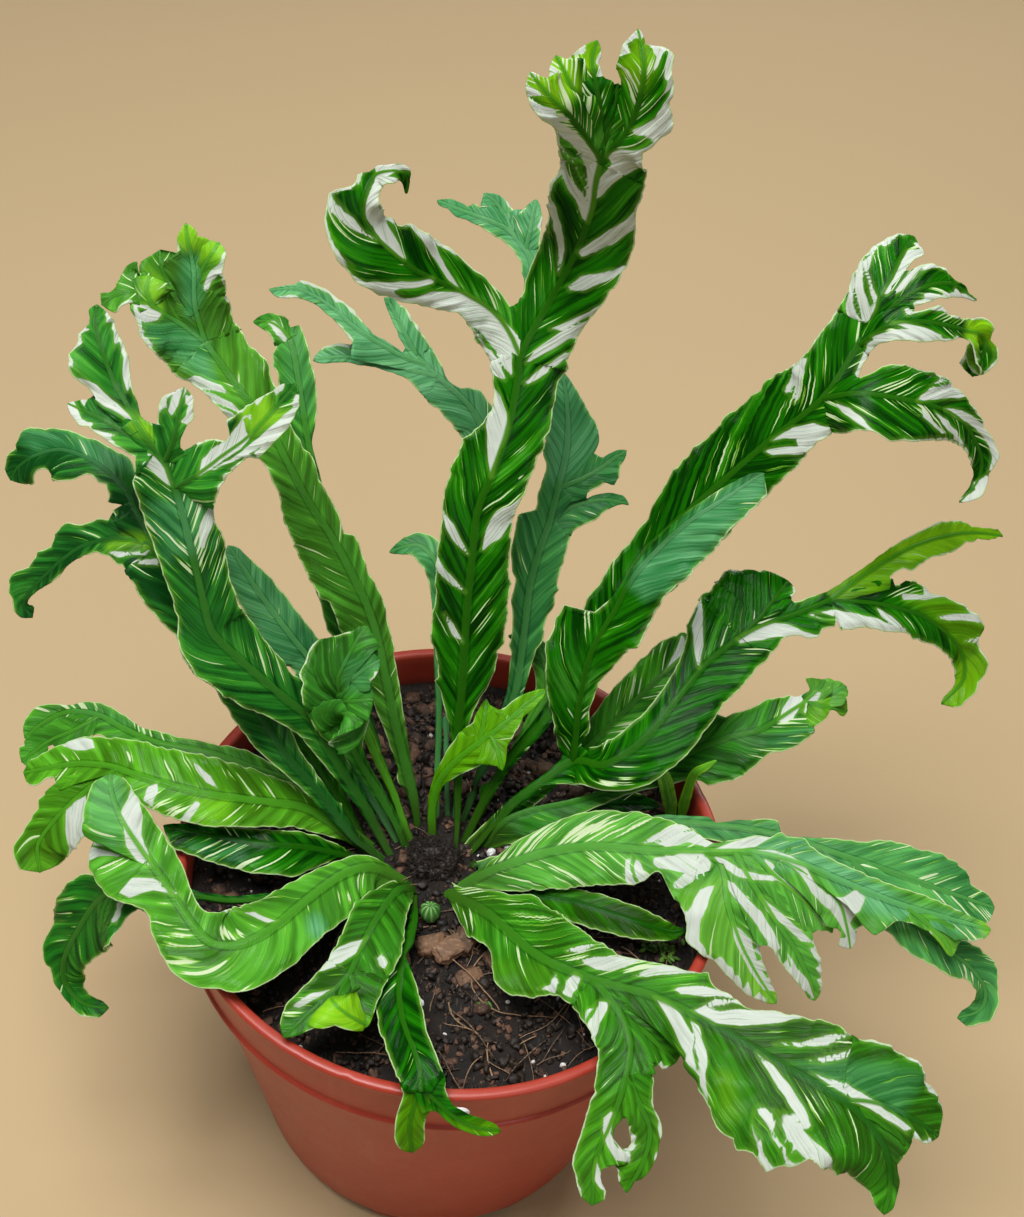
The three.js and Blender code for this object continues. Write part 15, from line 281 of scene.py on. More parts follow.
        [(2.9,20.4,132.3,0.93,-0.354,-0.1,0.9,0.9,0,0,0,0), (3.5,21.3,134.5,0.93,-0.354,-0.101,1.1,0.9,0,0,0,0), (4.1,22.2,136.6,0.931,-0.351,-0.102,1.2,1,0,0,0,0), (4.7,23.1,138.7,0.934,-0.343,-0.101,1.4,1,0,0,0,0), (5.3,24.2,140.8,0.938,-0.333,-0.098,1.5,1,0,0,0,0), (5.9,25.3,142.9,0.942,-0.322,-0.095,0.3,0.3,0,0,0,0), (6.5,26.4,144.9,0.944,-0.316,-0.094,1.5,0.3,0,0,0,0), (7,27.5,147,0.944,-0.317,-0.095,1.5,0.5,0,0,0,0), (7.6,28.7,149,0.941,-0.324,-0.098,1.5,1.5,0,0,0,0), (8.3,29.9,151,0.936,-0.338,-0.103,1.5,1.6,0,0,0,0), (8.9,31.1,153,0.927,-0.359,-0.111,1.6,1.7,0,0,0,0), (9.6,32.2,155,0.914,-0.385,-0.124,1.7,1.8,0,0,0,0), (10.4,33.4,156.9,0.902,-0.41,-0.138,1.7,2,0,0,0,0), (11.3,34.6,158.9,0.894,-0.424,-0.145,1.8,2.1,0,0,0,0), (12.2,35.7,160.8,0.894,-0.424,-0.145,2,2.2,0,0,0,0), (13,36.9,162.7,0.902,-0.409,-0.137,2.1,2.3,0,0,0,0), (13.8,38.1,164.6,0.914,-0.387,-0.124,2.1,2.4,0,0,0,0), (14.6,39.3,166.6,0.922,-0.369,-0.121,2.3,2.3,0,0,0,0), (15.3,40.6,168.5,0.933,-0.342,-0.116,2.5,2.2,0,0,0,0), (16,41.8,170.5,0.952,-0.291,-0.093,2.7,2.2,0,0,0,0), (16.5,43.1,172.4,0.972,-0.228,-0.064,2.7,2.3,0,0,0,0), (16.9,44.5,174.4,0.985,-0.17,-0.04,2.8,2.6,0,0,0,0), (17.1,45.9,176.3,0.992,-0.124,-0.023,3,2.9,0,0,0,0), (17.3,47.3,178.3,0.996,-0.093,-0.013,3.2,3.2,0,0,0,0), (17.4,48.7,180.2,0.997,-0.074,-0.006,3.3,3.5,0,0,0,0), (17.5,50.2,182.1,0.998,-0.065,-0.004,3.4,3.9,0,0,0,0), (17.6,51.6,184,0.998,-0.062,-0.004,3,4.3,0,0,0,0), (17.7,53.1,185.9,0.998,-0.062,-0.005,4.4,4.7,0,0,0,0), (17.8,54.6,187.8,0.998,-0.057,-0.004,3.9,6.4,0,0,0,0), (17.9,56.1,189.7,0.999,-0.049,0.001,3.9,6.8,0,0,0,0), (18,57.6,191.6,0.999,-0.044,0.004,4.1,6.1,0,0,0,0), (18.1,59.1,193.5,0.999,-0.042,0.004,4.4,6.6,0,0,0,0), (18.1,60.7,195.3,0.999,-0.046,0.003,4.6,7.1,0,0,0,0), (18.2,62.2,197.2,0.998,-0.055,0,5.4,8.8,0,0,0,0), (18.3,63.7,199,0.997,-0.072,-0.006,5.3,9.1,0,0,0,0), (18.4,65.2,200.9,0.995,-0.099,-0.017,5,8.5,0,0,0,0), (18.6,66.7,202.8,0.99,-0.137,-0.034,4.8,9.9,0,0,0,0), (19,68.1,204.7,0.982,-0.18,-0.053,7.1,8.7,0,0,0,0), (19.4,69.5,206.7,0.973,-0.219,-0.072,7.8,8.5,0,0,0,0), (19.8,70.8,208.6,0.966,-0.245,-0.085,8.6,8.5,0,0,0,0), (20.4,72.2,210.5,0.964,-0.253,-0.086,9.2,8.5,0,0,0,0), (20.9,73.7,212.4,0.962,-0.259,-0.09,9.5,8.4,0,0,0,0), (21.5,75.3,214,0.956,-0.274,-0.106,9.9,8.4,0,0,0,0), (22.2,77,215.6,0.955,-0.275,-0.109,10.3,8.2,0,0,0,0), (22.9,78.7,217.2,0.965,-0.246,-0.09,10.5,7.8,0,0,0,0), (23.4,80.3,218.9,0.974,-0.214,-0.069,10.2,1,0,8.2,0,-0.1), (23.8,81.8,220.7,0.979,-0.195,-0.06,5.6,1.2,0,9,0,-0.2), (24.2,83.4,222.5,0.981,-0.185,-0.055,5.5,2.2,0,9,0,-0.3), (24.6,84.9,224.3,0.983,-0.179,-0.052,6.2,3.2,0,9,0,-0.2), (25,86.4,226.1,0.983,-0.177,-0.051,6,4.2,0,9,0,-0.1), (25.3,88,228,0.982,-0.18,-0.054,5.6,0.8,0,9,0,-0.1), (25.7,89.5,229.8,0.982,-0.181,-0.056,5.5,2,0,9,0,-0.1), (26.1,91,231.6,0.984,-0.17,-0.052,5.4,3.2,0,9,0,-0.3), (26.5,92.5,233.5,0.988,-0.147,-0.041,6.2,4.5,0,9,0,-0.6), (26.7,94.1,235.3,0.994,-0.111,-0.022,7.4,5.8,0,9,0,-0.9), (26.9,95.7,237,0.998,-0.068,0.001,8.1,7.2,0,2.7,0,-1.1), (27,97.5,238.7,0.999,-0.026,0.023,7.2,8.5,0,1.9,0,-1), (26.9,99.2,240.4,0.999,0.01,0.041,7.4,9.8,0,0.7,0,-0.8), (26.8,101,242,0.998,0.04,0.056,7.1,9.8,0,0,0,-0.3), (26.6,102.7,243.7,0.995,0.07,0.071,6.7,8.8,0,0,0,-0.1), (26.3,104.4,245.4,0.991,0.101,0.087,6.3,7.2,0,0,0,0), (25.9,106,247.1,0.987,0.125,0.1,5.8,6.1,0,0,0,0), (25.5,107.7,248.8,0.984,0.144,0.11,5,5,0,0,0,0), (25.1,109.4,250.4,0.978,0.167,0.125,4.1,3.9,0,0,0,0), (24.5,111.2,252,0.97,0.196,0.145,3.1,2.6,0,0,0,0), (23.9,112.9,253.5,0.966,0.209,0.153,2,1.7,0,0,0,0), (23.3,114.7,255,0.966,0.209,0.152,0.3,0.3,0,0,0,0)],
        [(23.4,80.3,218.9,0.659,-0.567,-0.494,1,1,5.9,9,0.2,0.1), (24.9,81.4,219.7,0.665,-0.569,-0.483,1.2,7.2,8.1,1.3,0.3,0.1), (26.4,82.5,220.5,0.66,-0.587,-0.469,2,7.2,8.8,0,0.5,0.1), (28,83.6,221.3,0.609,-0.636,-0.473,3,7.1,9,0,0.8,0), (29.7,84.5,222,0.502,-0.712,-0.49,4,7.5,8.8,0,1.1,0), (31.6,85.1,222.8,0.393,-0.778,-0.49,4.8,7.3,6.8,0,1.2,0), (33.4,85.5,223.4,0.313,-0.821,-0.478,4.8,7.5,1.5,0,0.9,0), (35.3,85.8,223.9,0.264,-0.843,-0.469,0.9,6.9,0,0,0.4,0), (37.2,86.1,224.4,0.221,-0.851,-0.476,1.6,6.6,0,0,0.1,0), (39.1,86.3,224.8,0.146,-0.86,-0.489,1.9,5.5,0,0,0,0), (41.1,86.4,225,0.055,-0.864,-0.5,2.2,4,0,0,0,0), (43.1,86.5,224.9,-0.026,-0.864,-0.504,2.5,2.8,0,0,0,0), (45.1,86.5,224.6,-0.074,-0.861,-0.504,2.5,1.3,0,0,0,0), (47,86.5,224.3,-0.082,-0.859,-0.505,2.5,0.3,0,0,0,0), (49,86.5,224,-0.077,-0.859,-0.506,0.3,0.3,0,0,0,0)],
        [(25.3,87.7,227.6,0.408,-0.628,-0.663,0.8,0.8,9,9,0,0), (27.1,88.2,228.3,0.404,-0.639,-0.654,1.5,4.2,9,9,0.1,-0.1), (28.9,88.6,229,0.408,-0.664,-0.626,2.5,4.5,9,9,0.2,-0.4), (30.8,89.1,229.7,0.435,-0.691,-0.577,3.8,4.5,9,5.7,0.3,-0.5), (32.6,89.7,230.4,0.476,-0.712,-0.517,4.8,4.8,9,0,0.5,-0.4), (34.3,90.5,231.1,0.516,-0.724,-0.457,5.5,4.8,9,0,0.8,-0.1), (35.9,91.1,231.9,0.544,-0.731,-0.412,6.5,5.1,9,0,0.9,0), (37.5,91.9,232.8,0.564,-0.732,-0.383,7.5,4.8,5.3,0,0.7,0), (39,92.6,233.7,0.596,-0.717,-0.362,7.6,7,0,0.6,0.3,0), (40.5,93.3,234.8,0.611,-0.71,-0.351,2.3,6.4,0,0,0.1,0), (41.9,94.1,235.8,0.585,-0.725,-0.363,2.2,5,0,0,0,0), (43.4,94.7,236.9,0.551,-0.743,-0.38,1.9,3.3,0,0,0,0), (45,95.2,237.9,0.537,-0.751,-0.384,1.7,2.2,0,0,0,0), (46.5,95.8,239,0.536,-0.753,-0.382,0.3,0.3,0,0,0,0)],
    ],
    "leaf_back_small": [
        [(-6.5,21.6,132.3,0.995,0.101,0.022,0.9,0.9,0,0,0,0), (-6.7,23.3,134.1,0.994,0.103,0.023,0.9,0.9,0,0,0,0), (-6.9,25,135.8,0.994,0.102,0.024,0.9,0.9,0,0,0,0), (-7.1,26.6,137.5,0.995,0.095,0.021,0.9,0.9,0,0,0,0), (-7.3,28.2,139.4,0.996,0.084,0.017,0.9,0.9,0,0,0,0), (-7.5,29.7,141.2,0.997,0.072,0.013,0.9,0.9,0,0,0,0), (-7.6,31.2,143.2,0.998,0.061,0.009,0.9,0.9,0,0,0,0), (-7.7,32.7,145.1,0.998,0.055,0.007,0.9,0.9,0,0,0,0), (-7.8,34.1,147.1,0.999,0.052,0.007,0.9,0.9,0,0,0,0), (-7.9,35.5,149,0.999,0.053,0.007,0.9,0.9,0,0,0,0), (-7.9,36.9,151,0.998,0.056,0.008,1,1,0,0,0,0), (-8,38.3,152.9,0.998,0.062,0.01,1,1,0,0,0,0), (-8.2,39.8,154.9,0.997,0.071,0.012,1,1,0,0,0,0), (-8.3,41.2,156.8,0.996,0.082,0.015,1,1,0,0,0,0), (-8.5,42.7,158.7,0.995,0.095,0.02,1,1,0,0,0,0), (-8.7,44.2,160.6,0.994,0.108,0.024,1,1,0,0,0,0), (-8.9,45.7,162.5,0.993,0.118,0.027,1.1,1.1,0,0,0,0), (-9.1,47.2,164.4,0.992,0.124,0.029,1.1,1.1,0,0,0,0), (-9.4,48.8,166.3,0.991,0.127,0.03,1.1,1.1,0,0,0,0), (-9.6,50.3,168.1,0.992,0.126,0.03,1.1,1.1,0,0,0,0), (-9.9,51.8,170,0.992,0.121,0.029,1.1,1.1,0,0,0,0), (-10.1,53.4,171.8,0.993,0.113,0.026,1.2,1.2,0,0,0,0), (-10.3,54.9,173.7,0.995,0.102,0.022,1.2,1.2,0,0,0,0), (-10.5,56.5,175.5,0.996,0.091,0.018,1.3,1.3,0,0,0,0), (-10.7,58.1,177.4,0.996,0.082,0.016,1.4,1.4,0,0,0,0), (-10.8,59.6,179.2,0.997,0.076,0.014,1.5,1.5,0,0,0,0), (-11,61.2,181,0.997,0.071,0.012,1.6,1.6,0,0,0,0), (-11.1,62.8,182.9,0.998,0.067,0.011,1.7,1.7,0,0,0,0), (-11.2,64.4,184.7,0.998,0.066,0.012,1.9,1.9,0,0,0,0), (-11.4,66,186.5,0.998,0.06,0.012,2,2,0,0,0,0), (-11.5,67.5,188.4,0.999,0.045,0.003,2.3,2.3,0,0,0,0), (-11.5,69,190.3,0.999,0.037,-0.008,2.8,2.8,0,0,0,0), (-11.5,70.5,192.2,0.998,0.065,-0.004,3.3,3.3,0,0,0,0), (-11.7,72,194.1,0.988,0.149,0.029,3.7,3.7,0,0,0,0), (-12.1,73.6,195.9,0.961,0.266,0.075,4.1,4.1,0,0,0,0), (-12.8,75,197.8,0.911,0.392,0.129,4.5,4.5,0,0,0,0), (-13.8,76.5,199.4,0.84,0.51,0.188,4.8,4.8,0,0,0,0), (-15.2,78,200.6,0.764,0.6,0.236,5,5,0,0,0,0), (-16.9,79.6,201.4,0.673,0.682,0.286,5,5,0,0,0,0), (-18.8,81,201.9,0.461,0.813,0.356,5,5,0,0,0,0), (-21.1,81.7,202,0.059,0.918,0.393,4.4,4.4,0,0,0,0), (-23.4,81.5,201.5,-0.178,0.91,0.373,3.5,3.5,0,0,0,0), (-25.7,81.4,200.6,-0.199,0.902,0.384,2.6,2.6,0,0,0,0), (-27.8,81.4,199.3,-0.214,0.898,0.384,1.6,1.6,0,0,0,0), (-29.8,81.5,198,-0.22,0.897,0.383,0.3,0.3,0,0,0,0)],
    ],
    "leaf_small_center": [
        [(6.5,17.8,132.2,0.9,-0.413,-0.137,0.9,0.9,0,0,0,0), (7.4,19.2,133.9,0.901,-0.412,-0.136,0.9,0.9,0,0,0,0), (8.3,20.5,135.7,0.901,-0.412,-0.136,0.9,0.9,0,0,0,0), (9.2,21.9,137.4,0.899,-0.415,-0.137,1,1,0,0,0,0), (10.1,23.3,139.2,0.897,-0.419,-0.14,1,1,0,0,0,0), (11.1,24.7,140.9,0.894,-0.424,-0.143,1,1,0,0,0,0), (12,26.1,142.6,0.893,-0.427,-0.144,1,1,0,0,0,0), (13,27.5,144.3,0.892,-0.429,-0.145,1,1,0,0,0,0), (13.9,29,145.9,0.89,-0.431,-0.146,1,1,0,0,0,0), (14.9,30.4,147.6,0.888,-0.435,-0.148,1.1,1.1,0,0,0,0), (15.9,31.8,149.3,0.885,-0.44,-0.15,1.1,1.1,0,0,0,0), (16.9,33.2,150.9,0.881,-0.447,-0.152,1.1,1.1,0,0,0,0), (17.9,34.6,152.6,0.875,-0.458,-0.157,1.2,1.2,0,0,0,0), (18.9,36,154.2,0.868,-0.468,-0.163,1.4,1.4,0,0,0,0), (20,37.4,155.9,0.864,-0.475,-0.166,1.5,1.5,0,0,0,0), (21.1,38.8,157.5,0.863,-0.476,-0.167,1.7,1.7,0,0,0,0), (22.1,40.1,159.2,0.866,-0.471,-0.165,1.9,1.9,0,0,0,0), (23.2,41.5,160.8,0.875,-0.458,-0.16,2.1,2.1,0,0,0,0), (24.2,43,162.4,0.886,-0.438,-0.15,2.3,2.3,0,0,0,0), (25.2,44.5,164,0.896,-0.418,-0.147,2.6,2.6,0,0,0,0), (26.2,46,165.6,0.913,-0.384,-0.139,3.1,3.1,0,0,0,0), (27,47.7,167.1,0.949,-0.297,-0.101,3.5,3.5,0,0,0,0), (27.6,49.5,168.6,0.987,-0.157,-0.034,3.9,3.9,0,0,0,0), (27.7,51.3,170.1,0.999,-0.005,0.036,4,4,0,0,0,0), (27.5,53.3,171.5,0.989,0.12,0.09,4.1,4.1,0,0,0,0), (27,55.2,172.8,0.967,0.22,0.132,4.1,4.1,0,0,0,0), (26.3,57.1,174.1,0.926,0.33,0.182,4.2,4.2,0,0,0,0), (25.2,58.9,175.3,0.854,0.459,0.245,4,4,0,0,0,0), (23.8,60.5,176.3,0.763,0.572,0.3,3.8,3.8,0,0,0,0), (22.1,62,177.2,0.627,0.691,0.36,3.5,3.5,0,0,0,0), (20.1,63.2,177.7,0.46,0.789,0.408,2.9,2.9,0,0,0,0), (17.9,64.1,178,0.344,0.835,0.43,2.4,2.4,0,0,0,0), (15.6,64.8,178.1,0.268,0.857,0.44,1.5,1.5,0,0,0,0), (13.3,65.5,178,0.235,0.864,0.446,0.3,0.3,0,0,0,0)],
    ],
    "young_frond_lime": [
        [(-7.6,13.4,132.8,0.991,0.127,0.038,1.3,1.3,0,0,0,0), (-7.8,14.4,134.9,0.991,0.127,0.044,1.3,1.3,0,0,0,0), (-8.1,15.5,137,0.993,0.106,0.043,1.4,1.4,0,0,0,0), (-8.2,16.5,139.1,0.999,0.046,0.013,1.4,1.4,0,0,0,0), (-8.2,17.4,141.3,0.999,-0.033,-0.027,1.4,1.4,0,0,0,0), (-8.1,18.3,143.5,0.992,-0.109,-0.056,1.7,1.5,0,0,0,0), (-7.8,19.1,145.7,0.979,-0.188,-0.081,1.6,1.6,0,0,0,0), (-7.4,19.9,147.9,0.952,-0.284,-0.117,1.8,1.6,0,0,0,0), (-6.8,20.7,150,0.902,-0.399,-0.168,2,1.7,0,0,0,0), (-6,21.3,152.2,0.831,-0.508,-0.225,2.5,2.3,0,0,0,0), (-5,21.8,154.2,0.766,-0.585,-0.267,2.9,3,0,0,0,0), (-3.8,22.3,156.2,0.722,-0.63,-0.286,3.4,3.6,0,0,0,0), (-2.5,22.9,158.1,0.688,-0.66,-0.304,3.9,4.2,0,0,0,0), (-1.1,23.4,159.9,0.653,-0.684,-0.326,4.7,5,0,0,0,0), (0.4,24,161.7,0.631,-0.698,-0.339,5.2,5.6,0,0,0,0), (2,24.5,163.3,0.626,-0.702,-0.341,6,6.2,0,0,0,0), (3.6,25.2,164.9,0.623,-0.703,-0.344,6.3,6.5,0,0,0,0.2), (5.3,26,166.3,0.614,-0.707,-0.351,3.2,5,3.3,2.6,0,0.4), (7.1,26.9,167.6,0.601,-0.715,-0.358,1,3,5.7,9,0,0.3), (8.8,27.7,169,0.587,-0.721,-0.368,2,0.8,6.2,9,0,0.2), (10.6,28.4,170.3,0.602,-0.712,-0.363,3,2.8,6.3,4.2,-0.1,0.1), (12.4,29.4,171.6,0.644,-0.685,-0.34,3.8,5.8,6.6,0,-0.1,0), (14.1,30.5,172.8,0.656,-0.676,-0.334,4.8,4.8,0.3,0,-0.1,0), (15.9,31.5,173.9,0.609,-0.707,-0.36,0.8,3.9,3.4,0,-0.1,0), (17.8,32.5,175,0.548,-0.741,-0.388,0.8,2.7,3.7,0,0,0), (19.7,33.3,176,0.527,-0.753,-0.393,0.3,0.3,0,0,0,0)],
        [(6,26.4,166.8,0.951,-0.279,0.13,1,0.8,7,8.6,-0.1,0.1), (6.2,27.8,168.2,0.961,-0.258,0.104,6,1.2,0.7,8.7,-0.1,0), (6.5,29.2,169.6,0.979,-0.199,0.051,5.2,2,0,8.7,0,0), (6.7,30.6,171,0.993,-0.12,0.002,3.3,3,0,8.5,0,0.1), (6.8,32.1,172.4,0.998,-0.056,-0.016,3.1,3.8,0,8.5,0,0.1), (6.9,33.6,173.6,1,-0.026,-0.001,2.4,4.8,0,9,0,0.2), (6.9,35.2,174.8,1,-0.015,0.004,1.5,1.5,0,0,0,0.1), (6.9,36.9,176,1,-0.016,0.003,0.3,0.3,0,0,0,0)],
        [(9.1,27.8,169.1,-0.792,-0.278,-0.543,0.5,0.5,9,9,-0.1,-0.2), (10.1,26,168.5,-0.813,-0.311,-0.492,2.8,2.5,7.8,9,-0.1,-0.3), (11.1,24.3,167.9,-0.864,-0.35,-0.362,5.2,4.2,1,9,0,-0.7), (12.1,22.6,167.1,-0.917,-0.332,-0.221,3.1,6,0,9,0,-1), (12.8,20.8,166.2,-0.951,-0.268,-0.157,2.3,7.2,0,9,0,-0.9), (13.4,19.1,165.1,-0.963,-0.232,-0.137,1.5,1.7,0,0,0,-0.4), (14,17.4,164,-0.964,-0.227,-0.135,0.3,0.3,0,0,0,-0.1)],
        [(13.9,30.3,172.6,0.722,-0.63,-0.286,4.5,4.7,1.3,0,0,0), (15.2,31.4,173.6,0.724,-0.627,-0.286,4.2,0.5,0,3.7,0,0), (16.5,32.4,174.6,0.725,-0.624,-0.291,3.7,0.8,0,2.7,0,0.1), (17.8,33.5,175.5,0.718,-0.626,-0.304,3.6,1,0,2.3,0,0.1), (19.1,34.6,176.5,0.699,-0.638,-0.322,3.5,1.2,0,1.9,0,0.1), (20.5,35.6,177.3,0.671,-0.658,-0.341,3.1,2.9,0,0,0,0), (22,36.7,178,0.648,-0.675,-0.354,2.7,2.5,0,0,0,0), (23.5,37.7,178.7,0.635,-0.683,-0.36,2.1,1.9,0,0,0,0), (25,38.8,179.3,0.635,-0.683,-0.361,1.5,1.4,0,0,0,0), (26.5,39.8,180,0.637,-0.682,-0.359,0.3,0.3,0,0,0,0)],
    ],
}

# How the limbs of a leaf hang together: (limb it starts from, distance along that limb, 1 where the blade goes on into the next limbs)
FORKS = {
    "frond_center_tall": [(-1, 0, 1), (0, 168.4, 0), (0, 238.2, 0), (0, 238.2, 0), (3, 3.9, 0), (0, 238.2, 0), (0, 238.2, 0)],
    "frond_right_long": [(-1, 0, 1), (0, 223.1, 0), (0, 225.5, 0), (0, 215.9, 0), (0, 194.3, 0)],
    "frond_right_mid": [(-1, 0, 1), (0, 43.4, 0), (0, 123.1, 0), (0, 156.9, 0), (0, 156.9, 0)],
    "leaf_right_mid_behind": [(-1, 0, 0)],
    "frond_right_low": [(-1, 0, 1), (0, 122.4, 0), (0, 122.4, 0), (2, 0, 0)],
    "leaf_small_upright_a": [(-1, 0, 0)],
    "leaf_small_upright_b": [(-1, 0, 0)],
    "leaf_dark_low": [(-1, 0, 0)],
    "frond_front_right_upper": [(-1, 0, 0), (0, 81.4, 0), (0, 93.4, 0), (0, 98.2, 0), (0, 107.8, 0), (0, 148.5, 0)],
    "frond_front_right_large": [(-1, 0, 0), (0, 144, 0), (0, 64.8, 0), (2, 31.8, 0), (2, 13.9, 0)],
    "leaf_front_right_small": [(-1, 0, 0)],
    "frond_right_behind_low": [(-1, 0, 0), (0, 120.8, 0)],
    "frond_left_back_low": [(-1, 0, 0), (0, 105, 0)],
    "frond_left_mid": [(-1, 0, 0), (0, 89.2, 0)],
    "leaf_left_under": [(-1, 0, 0)],
    "frond_left_scurve": [(-1, 0, 0), (0, 109.7, 0)],
    "frond_left_hanging": [(-1, 0, 0)],
    "frond_front_left": [(-1, 0, 1), (0, 53.6, 0), (0, 53.6, 1), (2, 17.5, 0)],
    "frond_front_rim": [(-1, 0, 1), (0, 79, 0), (0, 79, 0)],
    "frond_upper_left_tall": [(-1, 0, 1), (0, 166.9, 0), (0, 162.1, 0), (0, 157.4, 0), (0, 147.8, 0)],
    "frond_upper_left_outer": [(-1, 0, 1), (0, 140.9, 0), (0, 131.3, 0)],
    "leaf_upper_left_narrow": [(-1, 0, 0)],
    "frond_crested_yellow": [(-1, 0, 1), (0, 179.4, 0), (1, 16.4, 0), (0, 179.4, 0), (1, 8.4, 0), (3, 19.3, 0), (5, 6.7, 0)],
    "frond_back_left": [(-1, 0, 1), (0, 167.5, 0)],
    "leaf_back_left_pale": [(-1, 0, 0)],
    "young_frond_crumpled": [(-1, 0, 1), (0, 64.9, 0), (0, 62.5, 0), (0, 62.5, 0), (0, 60.1, 0), (0, 52.9, 0), (4, 2.3, 0)],
    "young_stalk_narrow": [(-1, 0, 0)],
    "frond_back_forked": [(-1, 0, 1), (0, 167.1, 0), (0, 162.3, 0), (0, 157.6, 0)],
    "frond_back_top": [(-1, 0, 0), (0, 200.8, 0), (0, 193.6, 0)],
    "frond_back_right": [(-1, 0, 0), (0, 108.5, 0), (0, 120.5, 0)],
    "leaf_back_small": [(-1, 0, 0)],
    "leaf_small_center": [(-1, 0, 0)],
    "young_frond_lime": [(-1, 0, 0), (0, 40.1, 0), (0, 44.9, 0), (0, 51.9, 0)],}

